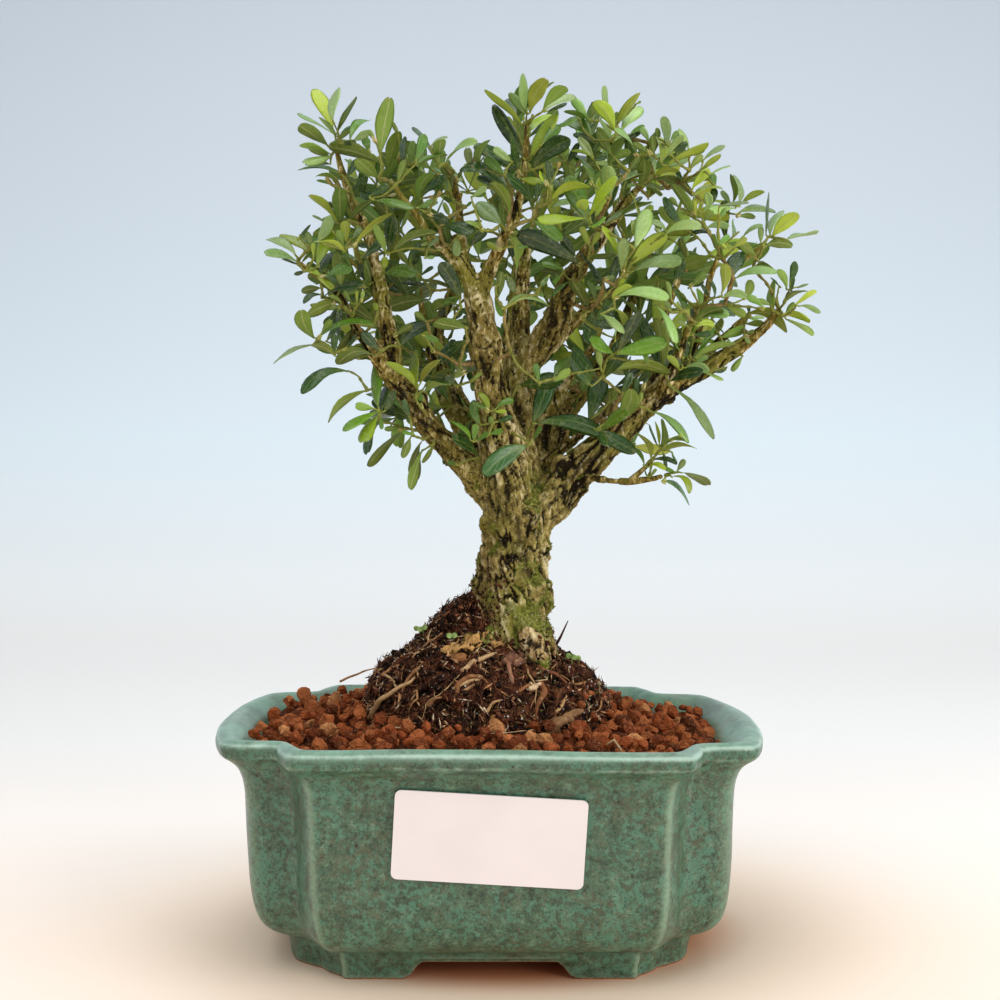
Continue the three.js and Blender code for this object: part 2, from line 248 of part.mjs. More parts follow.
// name, leaf colour, twigs as [x, y, z, radius, ...], leaves as base, tip, width vector, bow vector and (for some) the node they grow from
const SPRAYS = [
  ['spray_right_top_inner_a', 0,
   [[44.7, -7.6, 224.3, 0.66, 31, -1.5, 232.4, 0.55], [44.7, -7.6, 224.3, 0.90, 34.7, -12.8, 228.6, 0.76], [46.5, 0, 217.2, 1.06, 44.6, -8, 224.7, 0.90], [51.2, 1.8, 213.7, 0.76, 56.5, -12.1, 209.8, 0.62], [46.5, 0, 217.2, 0.66, 45.9, -4.3, 215.4, 0.55], [56.3, -11.6, 209.9, 0.71, 62.9, -4.1, 207.3, 0.57], [46.5, 0, 217.2, 1.03, 51.6, 2, 213.4, 0.88], [62.6, -4.5, 207.4, 0.59, 69.3, -10.9, 203.8, 0.55], [40.9, 5.2, 217.4, 0.80, 47.1, 13.8, 213.3, 0.66], [46.5, 0, 217.2, 0.90, 40.5, 5.6, 217.5, 0.76], [53.9, 26, 219.6, 0.59, 48.7, 32.5, 218.8, 0.55], [49, 32.1, 218.9, 0.55, 50.2, 33.5, 221.3, 0.5], [53.9, 26, 219.6, 0.59, 61.5, 27.8, 213.6, 0.55], [61.1, 27.7, 213.9, 0.55, 64.3, 29.6, 218, 0.5], [54.8, 18, 217.6, 0.71, 53.8, 26.5, 219.8, 0.57], [46.8, 13.4, 213.5, 0.76, 55.2, 18.2, 217.8, 0.62]],
   [[28.5, -4.4, 231.2, 21.7, -14.4, 231.8, -3.7, 2.5, -0.3, -0.1, 0.1, 0.8, 31.4, -1.6, 232.2],
    [34.5, -16.6, 225.5, 28.4, -25.8, 231.1, -4, 1.7, -1.5, 0.7, 0.1, 0.9, 35.1, -12.6, 228.5],
    [36.4, -16.3, 225.5, 42.3, -6.3, 234.8, 4.8, -2.5, -0.4, -0.3, -0.3, 0.6, 35.1, -12.6, 228.5],
    [56.5, -11.9, 209, 65.7, -1.9, 213.3, 4, -3.1, -1.4, -0.3, -0.4, 1.6, 56.3, -11.6, 209.9],
    [46.5, -3.2, 216, 52, -13.2, 216, -3.6, -2, 1.1, 0, 0, 1, 45.9, -3.8, 215.6],
    [46.5, -3.7, 216.1, 44.1, -13.7, 221.2, 1.2, 1.6, 3.8, 1, -0.3, -0.1, 45.9, -3.8, 215.6],
    [44.8, -4.2, 214.7, 57.2, -2.3, 210.8, 1.1, -4.5, 1.5, 0.7, 0, 2.3, 45.9, -3.8, 215.6],
    [42.7, -3.7, 213.7, 42.8, -13.7, 218.6, -4.2, -0.2, -0.3, 0.5, 0.1, 0.1, 45.9, -3.8, 215.6],
    [68.7, -4.6, 208.5, 66.8, -14.6, 213.9, -2.2, 2.1, 3.1, 0.9, 0, 0.2, 62.6, -4.5, 207.4],
    [70.3, -5.2, 208.1, 71.1, 4.8, 217.6, 2.8, 2.8, -3.2, 0.8, -0.1, 0, 62.6, -4.5, 207.4],
    [69.6, -5.2, 206.8, 60.9, -15.2, 204.6, -3.6, 2.7, 2.2, -0.1, -0.1, 0.8, 62.6, -4.5, 207.4],
    [69.4, -10.8, 204.7, 81.1, -0.8, 207.1, 3.4, -3.4, -2.5, 0.1, -0.4, 1.4, 69, -10.6, 204],
    [49, 32.1, 218.9, 57.1, 26.5, 232, -5, -1.4, 2.5, 0, 0.4, 0.2],
    [49, 32.1, 218.9, 49.6, 43.9, 220.4, 4.8, -0.3, 0.7, 0, 0, 0],
    [50, 33.3, 221, 49, 36.7, 230.8, -0.8, 3.4, -1.3, 0.7, 0.2, 0],
    [62.6, 28.6, 215.8, 56.5, 33.4, 226.4, 0.5, 3.9, -1.5, 0.5, 0, 0.3],
    [62.6, 28.6, 215.8, 76.7, 27.9, 213.4, -0.3, -4.9, -0.2, 0.1, 0, 0.5],
    [64.1, 29.5, 217.7, 68.7, 37.3, 220.3, 3.3, -1.2, -2.4, -0.1, 0.1, -0.1]]],
  ['spray_right_mid_front_a', 2,
   [[39.3, -15.1, 190.4, 0.59, 48, -21.3, 197, 0.55], [28.6, -9.5, 177.9, 0.93, 31.3, -23.1, 184.9, 0.78], [28.6, -9.5, 177.9, 0.66, 39.6, -15.2, 190.7, 0.55], [31.2, -22.7, 184.7, 0.66, 39.1, -28.7, 192.3, 0.55], [31.2, -22.7, 184.7, 0.66, 33.8, -27.8, 176.1, 0.55], [20.9, -2, 181.5, 1.10, 28.9, -9.8, 177.8, 0.94], [20.9, -2, 181.5, 0.90, 23.3, -8.7, 186.3, 0.76], [28.6, -9.5, 177.9, 0.66, 25.8, -24.4, 173.4, 0.55], [25.9, -23.9, 173.6, 0.55, 25.2, -26.6, 174.8, 0.5]],
   [[47, -20.9, 196.3, 55.8, -29.7, 196.9, -1.9, -2.2, -3.6, -0.2, -0.1, 1.8, 47.6, -21, 196.8],
    [36.3, -23.1, 186.9, 30.1, -30.8, 197.2, 0.9, 3.8, 3.4, 1.4, 0.1, 0.9, 31.2, -22.7, 184.7],
    [35.8, -23.3, 186.4, 34.9, -33.3, 193.3, 4, 1, 2, 0.6, 0, 0.1, 31.2, -22.7, 184.7],
    [34.2, -27.2, 179.6, 47.5, -29.1, 178.7, -0.7, -3, -3.9, 0.1, -0.3, 1.8, 31.2, -22.7, 184.7],
    [39.1, -14.9, 189.6, 48.1, -20.6, 196.8, -3.2, -0.8, 3.4, -0.4, 0.4, 0.8, 39.3, -15.1, 190.4],
    [39.6, -15.3, 191.1, 38.4, -18, 209.4, 2, 4.9, 0.8, 2.6, 0, 0.2, 39.3, -15.1, 190.4],
    [38.9, -27.9, 192.1, 42.8, -21, 203.7, 5.1, -0.7, -1.3, 0.3, -0.8, 0.4, 38.8, -28.5, 192],
    [29.8, -31.1, 174.6, 34.4, -41, 168.8, -4, -2.2, 0.6, 0.8, -0.2, 0.9, 33.6, -27.6, 176.5],
    [29, -9.2, 177.7, 26.8, -19.2, 168.2, -4.5, -1.1, 2.2, 0.3, -0.1, 0.1, 28.6, -9.5, 177.9],
    [28.2, -9.5, 178.2, 23.1, -19.1, 184.4, -4, 2.3, 0.4, 0.1, 0, 0.1, 28.6, -9.5, 177.9],
    [33.4, -14.1, 182.7, 34.4, -24.1, 190.4, 3.5, 2.1, 2.3, 0.1, 0, 0, 28.6, -9.5, 177.9],
    [32.5, -15, 181.5, 26.1, -8.2, 194, 3.6, 4, -0.4, 0.8, -0.2, 0.5, 28.6, -9.5, 177.9],
    [25.8, -9.2, 190.4, 7.9, -12, 198.7, 2.5, -1.4, 4.8, 0.4, -0.3, 0.7, 23.2, -8.3, 186],
    [27.9, -9.9, 191.9, 34, -19.9, 192, -3.3, -2, 2, 0.1, 0.1, 0.2, 23.2, -8.3, 186],
    [25.9, -23.9, 173.6, 32.9, -33, 170.8, -3.1, -2, -1.3, -0.1, -0.2, 0.6],
    [25.9, -23.9, 173.6, 16.5, -26.1, 181.6, 2.8, 1.1, 3.5, 0, -0.1, 0],
    [25.3, -26.2, 174.7, 26.4, -32, 182.5, 3.8, 0.5, -0.2, 0, 0, 0],
    [25.3, -26.2, 174.7, 20.9, -36.5, 176.8, -2.7, 1.8, 2.9, 0, 0, 0]]],
  ['spray_right_low_back_a', 1,
   [[35.4, 16.5, 151.3, 0.93, 41, 20.2, 146.5, 0.78], [40.7, 19.9, 146.8, 0.55, 40.9, 21.7, 149.2, 0.5], [22.4, 14.5, 157.8, 1.03, 28, 16.9, 156, 0.88], [36.3, 36.1, 154, 0.76, 35.6, 37.5, 164.5, 0.62], [35.6, 37.5, 164, 0.66, 29.5, 36.4, 169.4, 0.55], [29.9, 36.5, 169.1, 0.55, 28.9, 39.3, 169.3, 0.5], [36.9, 29.2, 144, 0.87, 36.3, 36.4, 154.4, 0.73], [36.3, 36.1, 154, 0.55, 38.9, 41.1, 153.8, 0.5], [40.7, 19.9, 146.8, 0.90, 36.8, 29.6, 143.9, 0.76], [36.9, 29.2, 144, 0.55, 39.9, 33.6, 145.8, 0.5], [27.5, 16.7, 156.2, 0.98, 35.8, 16.5, 151, 0.83], [35.4, 16.5, 151.3, 0.55, 39.6, 16.7, 154.9, 0.5], [29.9, 36.5, 169.1, 0.59, 21.6, 40.5, 173, 0.55], [22, 40.3, 172.8, 0.55, 22.6, 42.9, 174.3, 0.5]],
   [[40.7, 19.9, 146.8, 45.1, 14.6, 158, -4, -1.5, 0.8, -0.1, 0.2, 0.1],
    [40.9, 21.5, 148.8, 34.4, 25.6, 158.7, -0.7, 4.1, -2.2, -0.1, -0.1, -0.1],
    [29.9, 36.5, 169.1, 33.5, 43.4, 156.1, 3.4, 3.2, 2.7, -0.4, 0.4, 0.1],
    [29.9, 36.5, 169.1, 23.6, 38.6, 180.6, -4, -2.1, -1.8, -0.1, 0.3, -0.1],
    [29, 38.9, 169.3, 31.2, 51.5, 171.6, -0.2, -0.8, 4.2, -0.6, 0.1, 0],
    [36.3, 36.1, 154, 44.8, 39.7, 144.5, 3.1, -0.5, 2.6, -0.1, 0.7, 0.2],
    [37.5, 38.4, 153.9, 34.7, 49.7, 149.5, 1.3, -1.4, -4.4, 0.5, 0.2, 0.1],
    [38.7, 40.7, 153.8, 45, 47.9, 148.5, 3.5, -1.9, 1.5, 0, -0.1, -0.1],
    [36.9, 29.2, 144, 34.5, 42.9, 135.9, 4.2, -1.2, -3.2, 0.7, 0.6, 0.7],
    [36.9, 29.2, 144, 47.6, 31.2, 154, -3.7, 0.9, 3.7, 0, 0.6, -0.1],
    [39.7, 33.3, 145.7, 48.3, 37, 153.2, -3.3, 0.2, 3.7, -0.2, 0.8, -0.2],
    [39.7, 33.3, 145.7, 42.4, 43.8, 145, 3, -0.9, -2.5, 0.1, 0, 0.2],
    [35.4, 16.5, 151.3, 47.5, 17.2, 146.8, 0.2, -4.9, -0.3, 0.1, 0, 0.1],
    [37.3, 16.6, 152.9, 44.8, 29.1, 159.7, 4.3, -1.2, -2.6, 0, 0, 0],
    [37.3, 16.6, 152.9, 43.1, 7.3, 158.1, -2.9, -0.4, 2.5, 0.4, 0.5, 0.5],
    [39.3, 16.6, 154.6, 50, 17.2, 154.2, 0.2, -4.5, -1, 0, 0, -0.2],
    [22.5, 42.5, 174.1, 29, 49.4, 175.3, 2.4, -2.7, 2.4, -0.1, 0.1, 0.2]]],
  ['spray_left_mid_back_a', 1,
   [[-21.4, 32, 185.4, 0.80, -20.8, 29.3, 190.3, 0.66], [-21.4, 32, 185.4, 0.84, -22.7, 38.6, 186.9, 0.70], [-22.6, 38.1, 186.8, 0.80, -30.5, 39.4, 193.3, 0.66], [-30.1, 39.4, 193, 0.55, -31.6, 40.8, 195.2, 0.5], [-24.1, 24.8, 185, 0.90, -32.9, 19, 186.8, 0.76], [-37.4, 26.5, 189.1, 0.59, -41.2, 34.6, 191.5, 0.55], [-41, 34.2, 191.4, 0.55, -44.9, 37.4, 193.8, 0.5], [-21.4, 32, 185.4, 1.01, -24.2, 24.3, 185, 0.86], [-44.6, 24.8, 185.2, 0.59, -48.8, 25.6, 193.1, 0.55], [-48.6, 25.6, 192.7, 0.55, -51.5, 29.9, 194.8, 0.5], [-37.4, 26.5, 189.1, 0.66, -45, 24.7, 184.9, 0.55], [-44.6, 24.8, 185.2, 0.55, -49.1, 27.4, 187.4, 0.5], [-32.4, 19.3, 186.7, 0.76, -37.7, 26.9, 189.3, 0.62], [-32.4, 19.3, 186.7, 0.59, -35.4, 11, 187.5, 0.55], [-35.3, 11.4, 187.4, 0.55, -40, 11.1, 190.5, 0.5]],
   [[-20.8, 29.5, 189.8, -32.5, 36, 186.1, 2.8, 3.1, -3.4, 0, -0.1, -0.1],
    [-30.1, 39.4, 193, -38.8, 49.3, 191.2, 3.6, 3.4, 1.5, 0, 0, 0.1],
    [-31.4, 40.6, 194.9, -42.6, 40.6, 201.5, -1.2, 3.6, -2.1, 0.1, 0.2, 0.2],
    [-41, 34.2, 191.4, -48.5, 31.3, 205.5, -4.1, -2.4, -2.6, -0.5, 0.9, -0.1],
    [-42.8, 35.7, 192.5, -37.6, 44.1, 201.1, 0.1, -3.5, 3.4, -0.1, 0, 0],
    [-42.8, 35.7, 192.5, -56.1, 35.2, 193.1, -0.2, 1.2, -4.6, 0, 0.1, 0],
    [-48.6, 25.6, 192.7, -56.9, 25.3, 204.6, -4, -1.4, -2.8, -0.1, 0.5, -0.1],
    [-48.6, 25.6, 192.7, -47.4, 35.9, 185.5, 3.7, 1.3, 2.5, -0.2, 0.2, 0.2],
    [-51.2, 29.6, 194.6, -53.7, 41, 191.4, 4.2, 1.3, 1.2, -0.2, 0.1, 0.5],
    [-44.6, 24.8, 185.2, -43.7, 29.5, 195.6, -2.1, -2.9, 1.5, -0.1, 0, 0],
    [-46.7, 26, 186.2, -50.2, 40.6, 186.2, 2.9, 0.7, 4.1, 0.1, 0, -0.1],
    [-48.7, 27.2, 187.2, -52.6, 33.6, 196.5, -0.6, -4, 2.5, -0.5, 0, -0.2],
    [-37.5, 11.3, 188.8, -46.4, 0.6, 193.7, -1.4, -1.1, -5.2, -0.9, 0.8, 0.1],
    [-39.6, 11.2, 190.2, -45.4, 10.2, 199.3, -0.7, -3.7, -0.8, -0.4, 0.1, -0.2]]],
  ['spray_middle_low_back_a', 2,
   [[-10, 23, 152.8, 0.87, -19.9, 25.5, 161.5, 0.73], [-20.8, 16.1, 166.5, 0.71, -25.8, 9.6, 169.1, 0.57], [-25.5, 10, 169, 0.55, -30.5, 12, 170.6, 0.5], [-5.7, 36.6, 152.2, 0.76, -9.6, 34.9, 159.4, 0.62], [-9.4, 35, 159, 0.55, -11.2, 36.2, 161, 0.5], [-10, 23, 152.8, 0.84, -6.8, 31.7, 145.5, 0.70], [-19.6, 25.4, 161.2, 0.80, -20.8, 15.7, 166.8, 0.66], [-20.8, 16.1, 166.5, 0.55, -23.1, 18, 167, 0.5], [-9.4, 35, 159, 0.59, -12.5, 42.8, 161.1, 0.55], [-12.3, 42.3, 161, 0.55, -14, 46.8, 163.9, 0.5], [-6.9, 31.3, 145.8, 0.80, -5.6, 36.9, 152.6, 0.66]],
   [[-25.5, 10, 169, -34.1, 19.9, 162.7, 2.7, 3.5, 1.8, -0.3, 0, 0.4],
    [-27.8, 10.9, 169.7, -39.7, 5, 166.6, 0.8, 0.7, -4.3, -0.4, 0.7, 0.1],
    [-27.8, 10.9, 169.7, -30.8, 21.5, 178.5, 0.4, -3, 3.7, -0.9, -0.2, -0.1],
    [-30.1, 11.9, 170.5, -37.5, 17.8, 168.3, 2, 2.8, 0.7, 0, 0, -0.1],
    [-11, 36.1, 160.8, -12.8, 38.8, 171.4, -1.6, -4.1, 0.8, -0.2, 0.1, -0.1],
    [-11, 36.1, 160.8, -19.6, 40.1, 161.7, 1.8, 3.9, -0.3, 0, 0, 0.1],
    [-22.8, 17.8, 166.9, -34.8, 21.5, 166.3, 0.7, 1.4, -4.6, 0.1, 0.5, 0.2],
    [-22.8, 17.8, 166.9, -25.5, 26.6, 171.3, -1.5, -1.9, 2.8, -0.4, 0, -0.2],
    [-12.3, 42.3, 161, -11.6, 44.9, 174.5, -4.2, -1, 0.4, -0.1, 0.4, -0.1],
    [-12.3, 42.3, 161, -18.7, 54.1, 153.7, 4.6, 1.2, -2, 0.2, 0.7, 0.9],
    [-13.1, 44.4, 162.3, -7.5, 54, 166.4, 1, -2.2, 3.8, 0.1, 0, 0],
    [-13.1, 44.4, 162.3, -25.2, 47, 166.8, -1, 1.4, -3.7, 0, -0.1, 0],
    [-13.9, 46.5, 163.7, -14.7, 50.9, 173.3, -4.5, -1.4, 0.3, -0.1, 0.3, -0.2]]],
  ['spray_middle_mid_back_a', 2,
   [[31.8, 33.3, 177.5, 0.71, 24.3, 39.9, 185.2, 0.57], [24.6, 39.6, 184.9, 0.59, 9, 35.8, 191.5, 0.55], [9.4, 35.9, 191.3, 0.55, 9.5, 40.4, 194.6, 0.5], [39.2, 32.1, 186.8, 0.59, 37.8, 32.1, 195.8, 0.55], [35.9, 39.4, 186.8, 0.66, 39.5, 31.6, 186.8, 0.55], [24.6, 39.6, 184.9, 0.59, 31.6, 49.9, 177.5, 0.55], [31.4, 49.6, 177.7, 0.55, 32.9, 55, 177.9, 0.5], [31.8, 33.3, 177.5, 0.90, 36, 39.6, 187.2, 0.76], [34.2, 22, 177.4, 1.01, 31.7, 33.8, 177.5, 0.86]],
   [[9.4, 35.9, 191.3, 20.3, 43.6, 200.2, -0.3, -3.6, 3.4, -0.8, 0.6, 0.5],
    [9.4, 38, 192.8, 10.4, 50.8, 186.2, 4.9, -1.3, -1.7, 0, 0, 0],
    [9.5, 40, 194.4, 14.7, 46.2, 199.1, -0.8, -1.8, 3.1, -0.5, 0.3, 0.1],
    [9.5, 40, 194.4, 5, 50, 199.9, 2.1, 2.4, -2.6, 0.4, 0, 0.3],
    [37.9, 32.1, 195.3, 47.6, 35.6, 204.7, -2.3, -2.2, 3.2, -0.4, 0.6, 0.1],
    [31.4, 49.6, 177.7, 31.4, 57.8, 168.8, 3.8, -0.5, -0.4, 0.1, 0.6, 0.6],
    [31.4, 49.6, 177.7, 36.3, 54.8, 188.6, -4.8, 0.8, 1.8, 0, 0.2, -0.1],
    [32.1, 52.1, 177.8, 23.5, 59.1, 181.6, -2.1, -1, -3, 0, -0.1, 0.1],
    [32.8, 54.6, 177.9, 37.2, 63.8, 183.2, -3.8, 0.7, 1.9, -0.2, 0.5, -0.7],
    [32.8, 54.6, 177.9, 34.2, 66.2, 172, 4.2, -1.8, -2.5, 0.4, 0.2, 0.5]]],
  ['spray_left_low_front_a', 0,
   [[-24.2, -2.4, 145.2, 0.66, -30.5, -10.6, 146.8, 0.55], [-15.1, -6.7, 144.1, 0.71, -24.7, -2.2, 145.3, 0.57], [-15.1, -6.7, 144.1, 0.76, -18.5, -12.8, 150.8, 0.62]],
   [[-30.2, -9.7, 146.8, -32.5, -19.7, 138.2, -2.8, 3, -2.8, -1.2, -0.1, 0.5, -30.2, -10.2, 146.8],
    [-30.2, -16.4, 150.8, -32.3, -6.8, 162.1, 3.6, -2.7, 3, -0.4, -0.1, 0, -30.2, -10.2, 146.8],
    [-29.9, -16.7, 149.5, -38, -26.7, 144, -4.2, 2.8, 1.2, -0.4, -0.3, 1.1, -30.2, -10.2, 146.8],
    [-29.9, -16.6, 148.7, -33.2, -26.6, 141.1, -4.5, 1.6, -0.2, -0.6, -0.2, 0.6, -30.2, -10.2, 146.8],
    [-29.1, -16.9, 149.2, -28.9, -6.9, 156.8, 3.7, -1.8, 2.2, -0.3, -0.2, 0.3, -30.2, -10.2, 146.8],
    [-23.6, -1.9, 145.1, -34.4, 0.2, 134.6, 2.4, 4.6, -1.5, -0.7, 0.1, 0.8, -24.2, -2.4, 145.2],
    [-20.1, -13.2, 153.3, -27.2, -3.2, 157.2, 3.8, 2.9, -0.5, 0.8, -0.1, 1.7, -18.3, -12.5, 150.4],
    [-19.6, -12.4, 155.4, -20.7, -3.5, 166.9, 3.1, -3.3, 2.9, -0.3, -0.2, 0.1, -18.3, -12.5, 150.4],
    [-20.1, -13, 156.5, -26.8, -23, 162.4, -4, 2.9, 0.4, 0.7, 0.3, 1.2, -18.3, -12.5, 150.4],
    [-18.8, -12.9, 157.3, -13.1, -22.9, 162.9, -3.6, -2.8, -1.3, -0.4, -0.1, 0.3, -18.3, -12.5, 150.4]]],
  ['spray_middle_low_back_b', 1,
   [[9.9, 34.7, 166.9, 0.59, 6.3, 39.7, 175.6, 0.55], [6.5, 39.5, 175.2, 0.55, 6.9, 42.4, 175.4, 0.5], [9.8, 40.3, 156.2, 0.66, 9.9, 34.5, 167.4, 0.55], [8.2, 24.1, 151.8, 0.90, 7.8, 32.8, 152.6, 0.76], [7.9, 32.3, 152.6, 0.84, 9.9, 40.7, 156.4, 0.70], [8.2, 24.1, 151.8, 0.71, 17.1, 21.5, 150.7, 0.57], [7.9, 32.3, 152.6, 0.59, 0.2, 29.7, 156.3, 0.55], [0.6, 29.9, 156.1, 0.55, -2.8, 34.2, 157.1, 0.5], [16.7, 21.7, 150.8, 0.59, 20.2, 27.9, 139.6, 0.55], [20.1, 27.6, 140.1, 0.55, 20.4, 31.1, 135.7, 0.5]],
   [[6.9, 42, 175.3, 11, 50.2, 173, 3.1, -1.1, 1.5, 0.1, -0.1, -0.2],
    [6.9, 42, 175.3, 4.1, 53.4, 180.7, -3.2, 0.5, -2.7, 0.4, 0.3, -0.5],
    [0.6, 29.9, 156.1, -1.5, 33.9, 167.7, -1.2, -4.4, 1.3, -0.1, 0, 0],
    [0.6, 29.9, 156.1, -4.2, 34.5, 145.8, 2.3, 3.7, 0.6, -0.4, 0.2, 0.3],
    [-1, 31.9, 156.5, 7.3, 45.5, 157.7, 1.2, -1.1, 4.3, -0.4, 0.2, 0.2],
    [-2.6, 33.9, 157, -6.4, 39.5, 163.6, -3.4, -1.2, -0.9, 0, -0.1, 0.1],
    [20.1, 27.6, 140.1, 10.5, 29.7, 132.9, 1.7, -2.4, -3, 0.1, 0.1, -0.1],
    [20.2, 29.2, 138, 15.7, 43, 142.1, -4.2, -1.1, -1.1, 0, 0, 0],
    [20.4, 30.9, 136, 24.4, 37.2, 130.3, -0.3, 2.6, 2.7, 0, 0, 0],
    [20.4, 30.9, 136, 15.3, 35.9, 127.3, 1.9, -2.4, -2.5, 0.4, 0.4, 0]]],
  ['spray_middle_top_back_a', 2,
   [[-11.6, 39.5, 205.7, 0.93, -4.9, 33.4, 207.8, 0.78], [-5.3, 33.7, 207.7, 0.55, -8.3, 37.7, 210.3, 0.5], [-10.9, 43, 203.9, 0.96, -11.7, 39.1, 206, 0.81], [-5.3, 33.7, 207.7, 0.76, -9.9, 27, 210.1, 0.62], [-9.6, 27.4, 209.9, 0.71, 0.7, 24.1, 213.2, 0.57], [0.2, 24.2, 213.1, 0.55, -1.5, 27.8, 217, 0.5], [0.2, 24.2, 213.1, 0.66, 3.2, 15.6, 216, 0.55], [3, 16.1, 215.8, 0.55, 2.8, 16.5, 218.8, 0.5]],
   [[-6.7, 35.6, 208.9, -21.5, 33.5, 211.1, -1, 3.6, -3.6, 0, -0.1, -0.1],
    [-8, 37.4, 210.1, -13.5, 45.7, 211.2, 2.9, 2, -0.6, 0.1, 0, 0.6],
    [-8, 37.4, 210.1, -12.6, 42.1, 218.9, -3.7, -2.4, -0.6, 0, -0.1, 0.1],
    [0.2, 24.2, 213.1, 10.1, 24.4, 224.2, -2.3, -4, 2.1, -0.6, 0.7, 0.5],
    [-0.6, 25.9, 214.9, -6.9, 24.3, 224.9, -4, 1.2, -2.3, 0.1, 0.7, 0.2],
    [-0.6, 25.9, 214.9, 3.6, 37.4, 213.9, 2.1, -0.4, 3.7, -0.8, 0.3, 0.5],
    [-1.4, 27.5, 216.7, -8.7, 34.6, 219, 3, 3.4, -1, 0.1, 0, 0.2],
    [3, 16.1, 215.8, -6.2, 15, 224.7, -1.7, 4.2, -1.2, 0.4, 0.3, 0.5],
    [2.9, 16.4, 218.4, 0.9, 23, 227.5, 4.3, 1.7, -0.3, 0.2, -0.4, 0.4]]],
  ['spray_middle_top_front_a', 2,
   [[5.9, -19.6, 203.1, 0.84, 8.6, -16.7, 214.7, 0.70], [5.4, -18, 198.1, 1.03, 6, -19.8, 203.5, 0.88], [5.4, -18, 198.1, 0.71, 3.3, -21.6, 199.9, 0.57], [5.4, -18, 198.1, 0.80, 12.3, -22, 201, 0.66]],
   [[7.8, -16.4, 214.5, -3.6, -19.7, 220.9, 1.5, 2.6, 4, 0.7, -0.2, 1.1, 8.5, -16.8, 214.2],
    [8.8, -16.8, 214.9, 5.9, -26.8, 222, 2, 2, 3.7, -0.1, -0.1, -0.2, 8.5, -16.8, 214.2],
    [9.6, -17.7, 217.9, 1.6, -15.3, 233.2, 4, 3.2, 1.6, 0.4, -0.2, 0.2, 8.5, -16.8, 214.2],
    [11.3, -17.9, 217.4, 18.5, -20.7, 228.9, 2.8, -3.4, -2.6, -0.8, -0.4, 0.4, 8.5, -16.8, 214.2],
    [3.6, -21.2, 199.7, -2.8, -11.2, 207.2, 4.2, 0.5, 2.9, 0, 0, 0, 3.6, -21.2, 199.7],
    [11.9, -22.1, 200.7, 18.8, -32.1, 193.6, -4.5, -2.2, -1.2, 0.3, -0.2, 0.7, 11.9, -21.8, 200.8],
    [12.8, -21.5, 204.5, 5.1, -30.1, 210.5, -0.1, 2.8, 3.9, 0.5, 0.2, 0.9, 11.9, -21.8, 200.8],
    [16.6, -23.7, 205.2, 26.5, -32.5, 207.4, -3.3, -3.4, 1.5, -0.2, 0.3, 2.5, 11.9, -21.8, 200.8],
    [16.8, -24.1, 203.4, 28.2, -14.1, 206.5, 3.4, -3, -3, 0.1, -0.6, 1.4, 11.9, -21.8, 200.8]]],
  ['spray_middle_low_back_c', 1,
   [[-1.9, 16.1, 141.1, 0.59, -13.4, 21, 145.3, 0.55], [-12.9, 20.8, 145.1, 0.55, -15.7, 19.8, 145.8, 0.5], [-1.9, 16.1, 141.1, 0.87, -2.8, 10.7, 149.5, 0.73], [-2.8, 11, 149.1, 0.55, -7.1, 13.8, 146.8, 0.5], [-2.8, 11, 149.1, 0.84, -11.3, 15.9, 152.4, 0.70], [-10.9, 15.6, 152.3, 0.66, -19.3, 9, 146.4, 0.55], [-18.9, 9.3, 146.6, 0.55, -23.3, 6.4, 148.7, 0.5]],
   [[-15.3, 20, 145.8, -24.2, 21.8, 148.5, 1.2, -0.4, 4, -0.1, -0.5, 0],
    [-2.8, 11, 149.1, 0.2, 19.5, 141.3, -0.6, 2.9, 3, -0.1, 0, 0],
    [-4.8, 12.3, 148, -13, 9, 134.6, 3.8, 1.8, -2.8, 0.1, -0.2, 0],
    [-4.8, 12.3, 148, -9.5, 24.4, 156.3, -1.6, -3.2, 3.8, -0.1, 0, -0.1],
    [-6.8, 13.6, 146.9, -10.7, 23.1, 139.3, 1.1, 3.2, 3.4, -0.1, 0, 0],
    [-18.9, 9.3, 146.6, -30.3, 12.8, 155.4, 2.8, -1.1, 4, -0.3, -1, -0.1],
    [-20.9, 7.9, 147.6, -21.4, 3.4, 159.3, 2.5, -4, -1.4, -0.2, -0.1, -0.1],
    [-23, 6.6, 148.5, -33.6, 5.6, 153.1, 1.6, 0.2, 3.9, 0, 0, 0],
    [-23, 6.6, 148.5, -26.5, -2.7, 149.9, -0.1, -0.5, -3.8, -0.5, 0.2, 0]]],
  ['spray_right_mid_front_b', 3,
   [[66.5, -19.2, 185.4, 0.76, 61.4, -25.2, 193.7, 0.62], [65.4, -12.9, 179, 1.03, 66.5, -19.5, 185.8, 0.88], [57.7, -12, 178.2, 1.10, 65.9, -13, 179, 0.94], [57.7, -12, 178.2, 0.87, 57.2, -12.9, 173.7, 0.73], [57.2, -12.8, 174.2, 0.66, 49.6, -19, 176.3, 0.55]],
   [[62, -23.8, 204, 67.4, -33.8, 202.8, -3.5, -1.7, -1.8, 0.1, 0, 0.5, 61.6, -24.9, 193.3],
    [66.5, -18.9, 185.8, 70.3, -8.9, 194, 4.8, -1, -0.9, -0.5, -0.1, 0.4, 66.5, -19.2, 185.4],
    [66.5, -19.1, 185, 76.4, -26, 185.7, -1.8, -2.9, -2.9, 0, 0.2, 1.6, 66.5, -19.2, 185.4],
    [64.2, -16.9, 190.7, 60.5, -26.9, 195.8, -2.6, 2.3, 2.7, 0.1, 0, 0.1, 66.5, -19.2, 185.4],
    [56.8, -12.8, 174.5, 62.8, -22.8, 176.9, -3.8, -1.9, 1.4, -0.1, 0.2, 0.9, 57.2, -12.8, 174.2],
    [58.6, -12.9, 174.5, 64.1, -22.9, 174.5, -2.7, -1.5, -2.9, 0, 0, 1.7, 57.2, -12.8, 174.2],
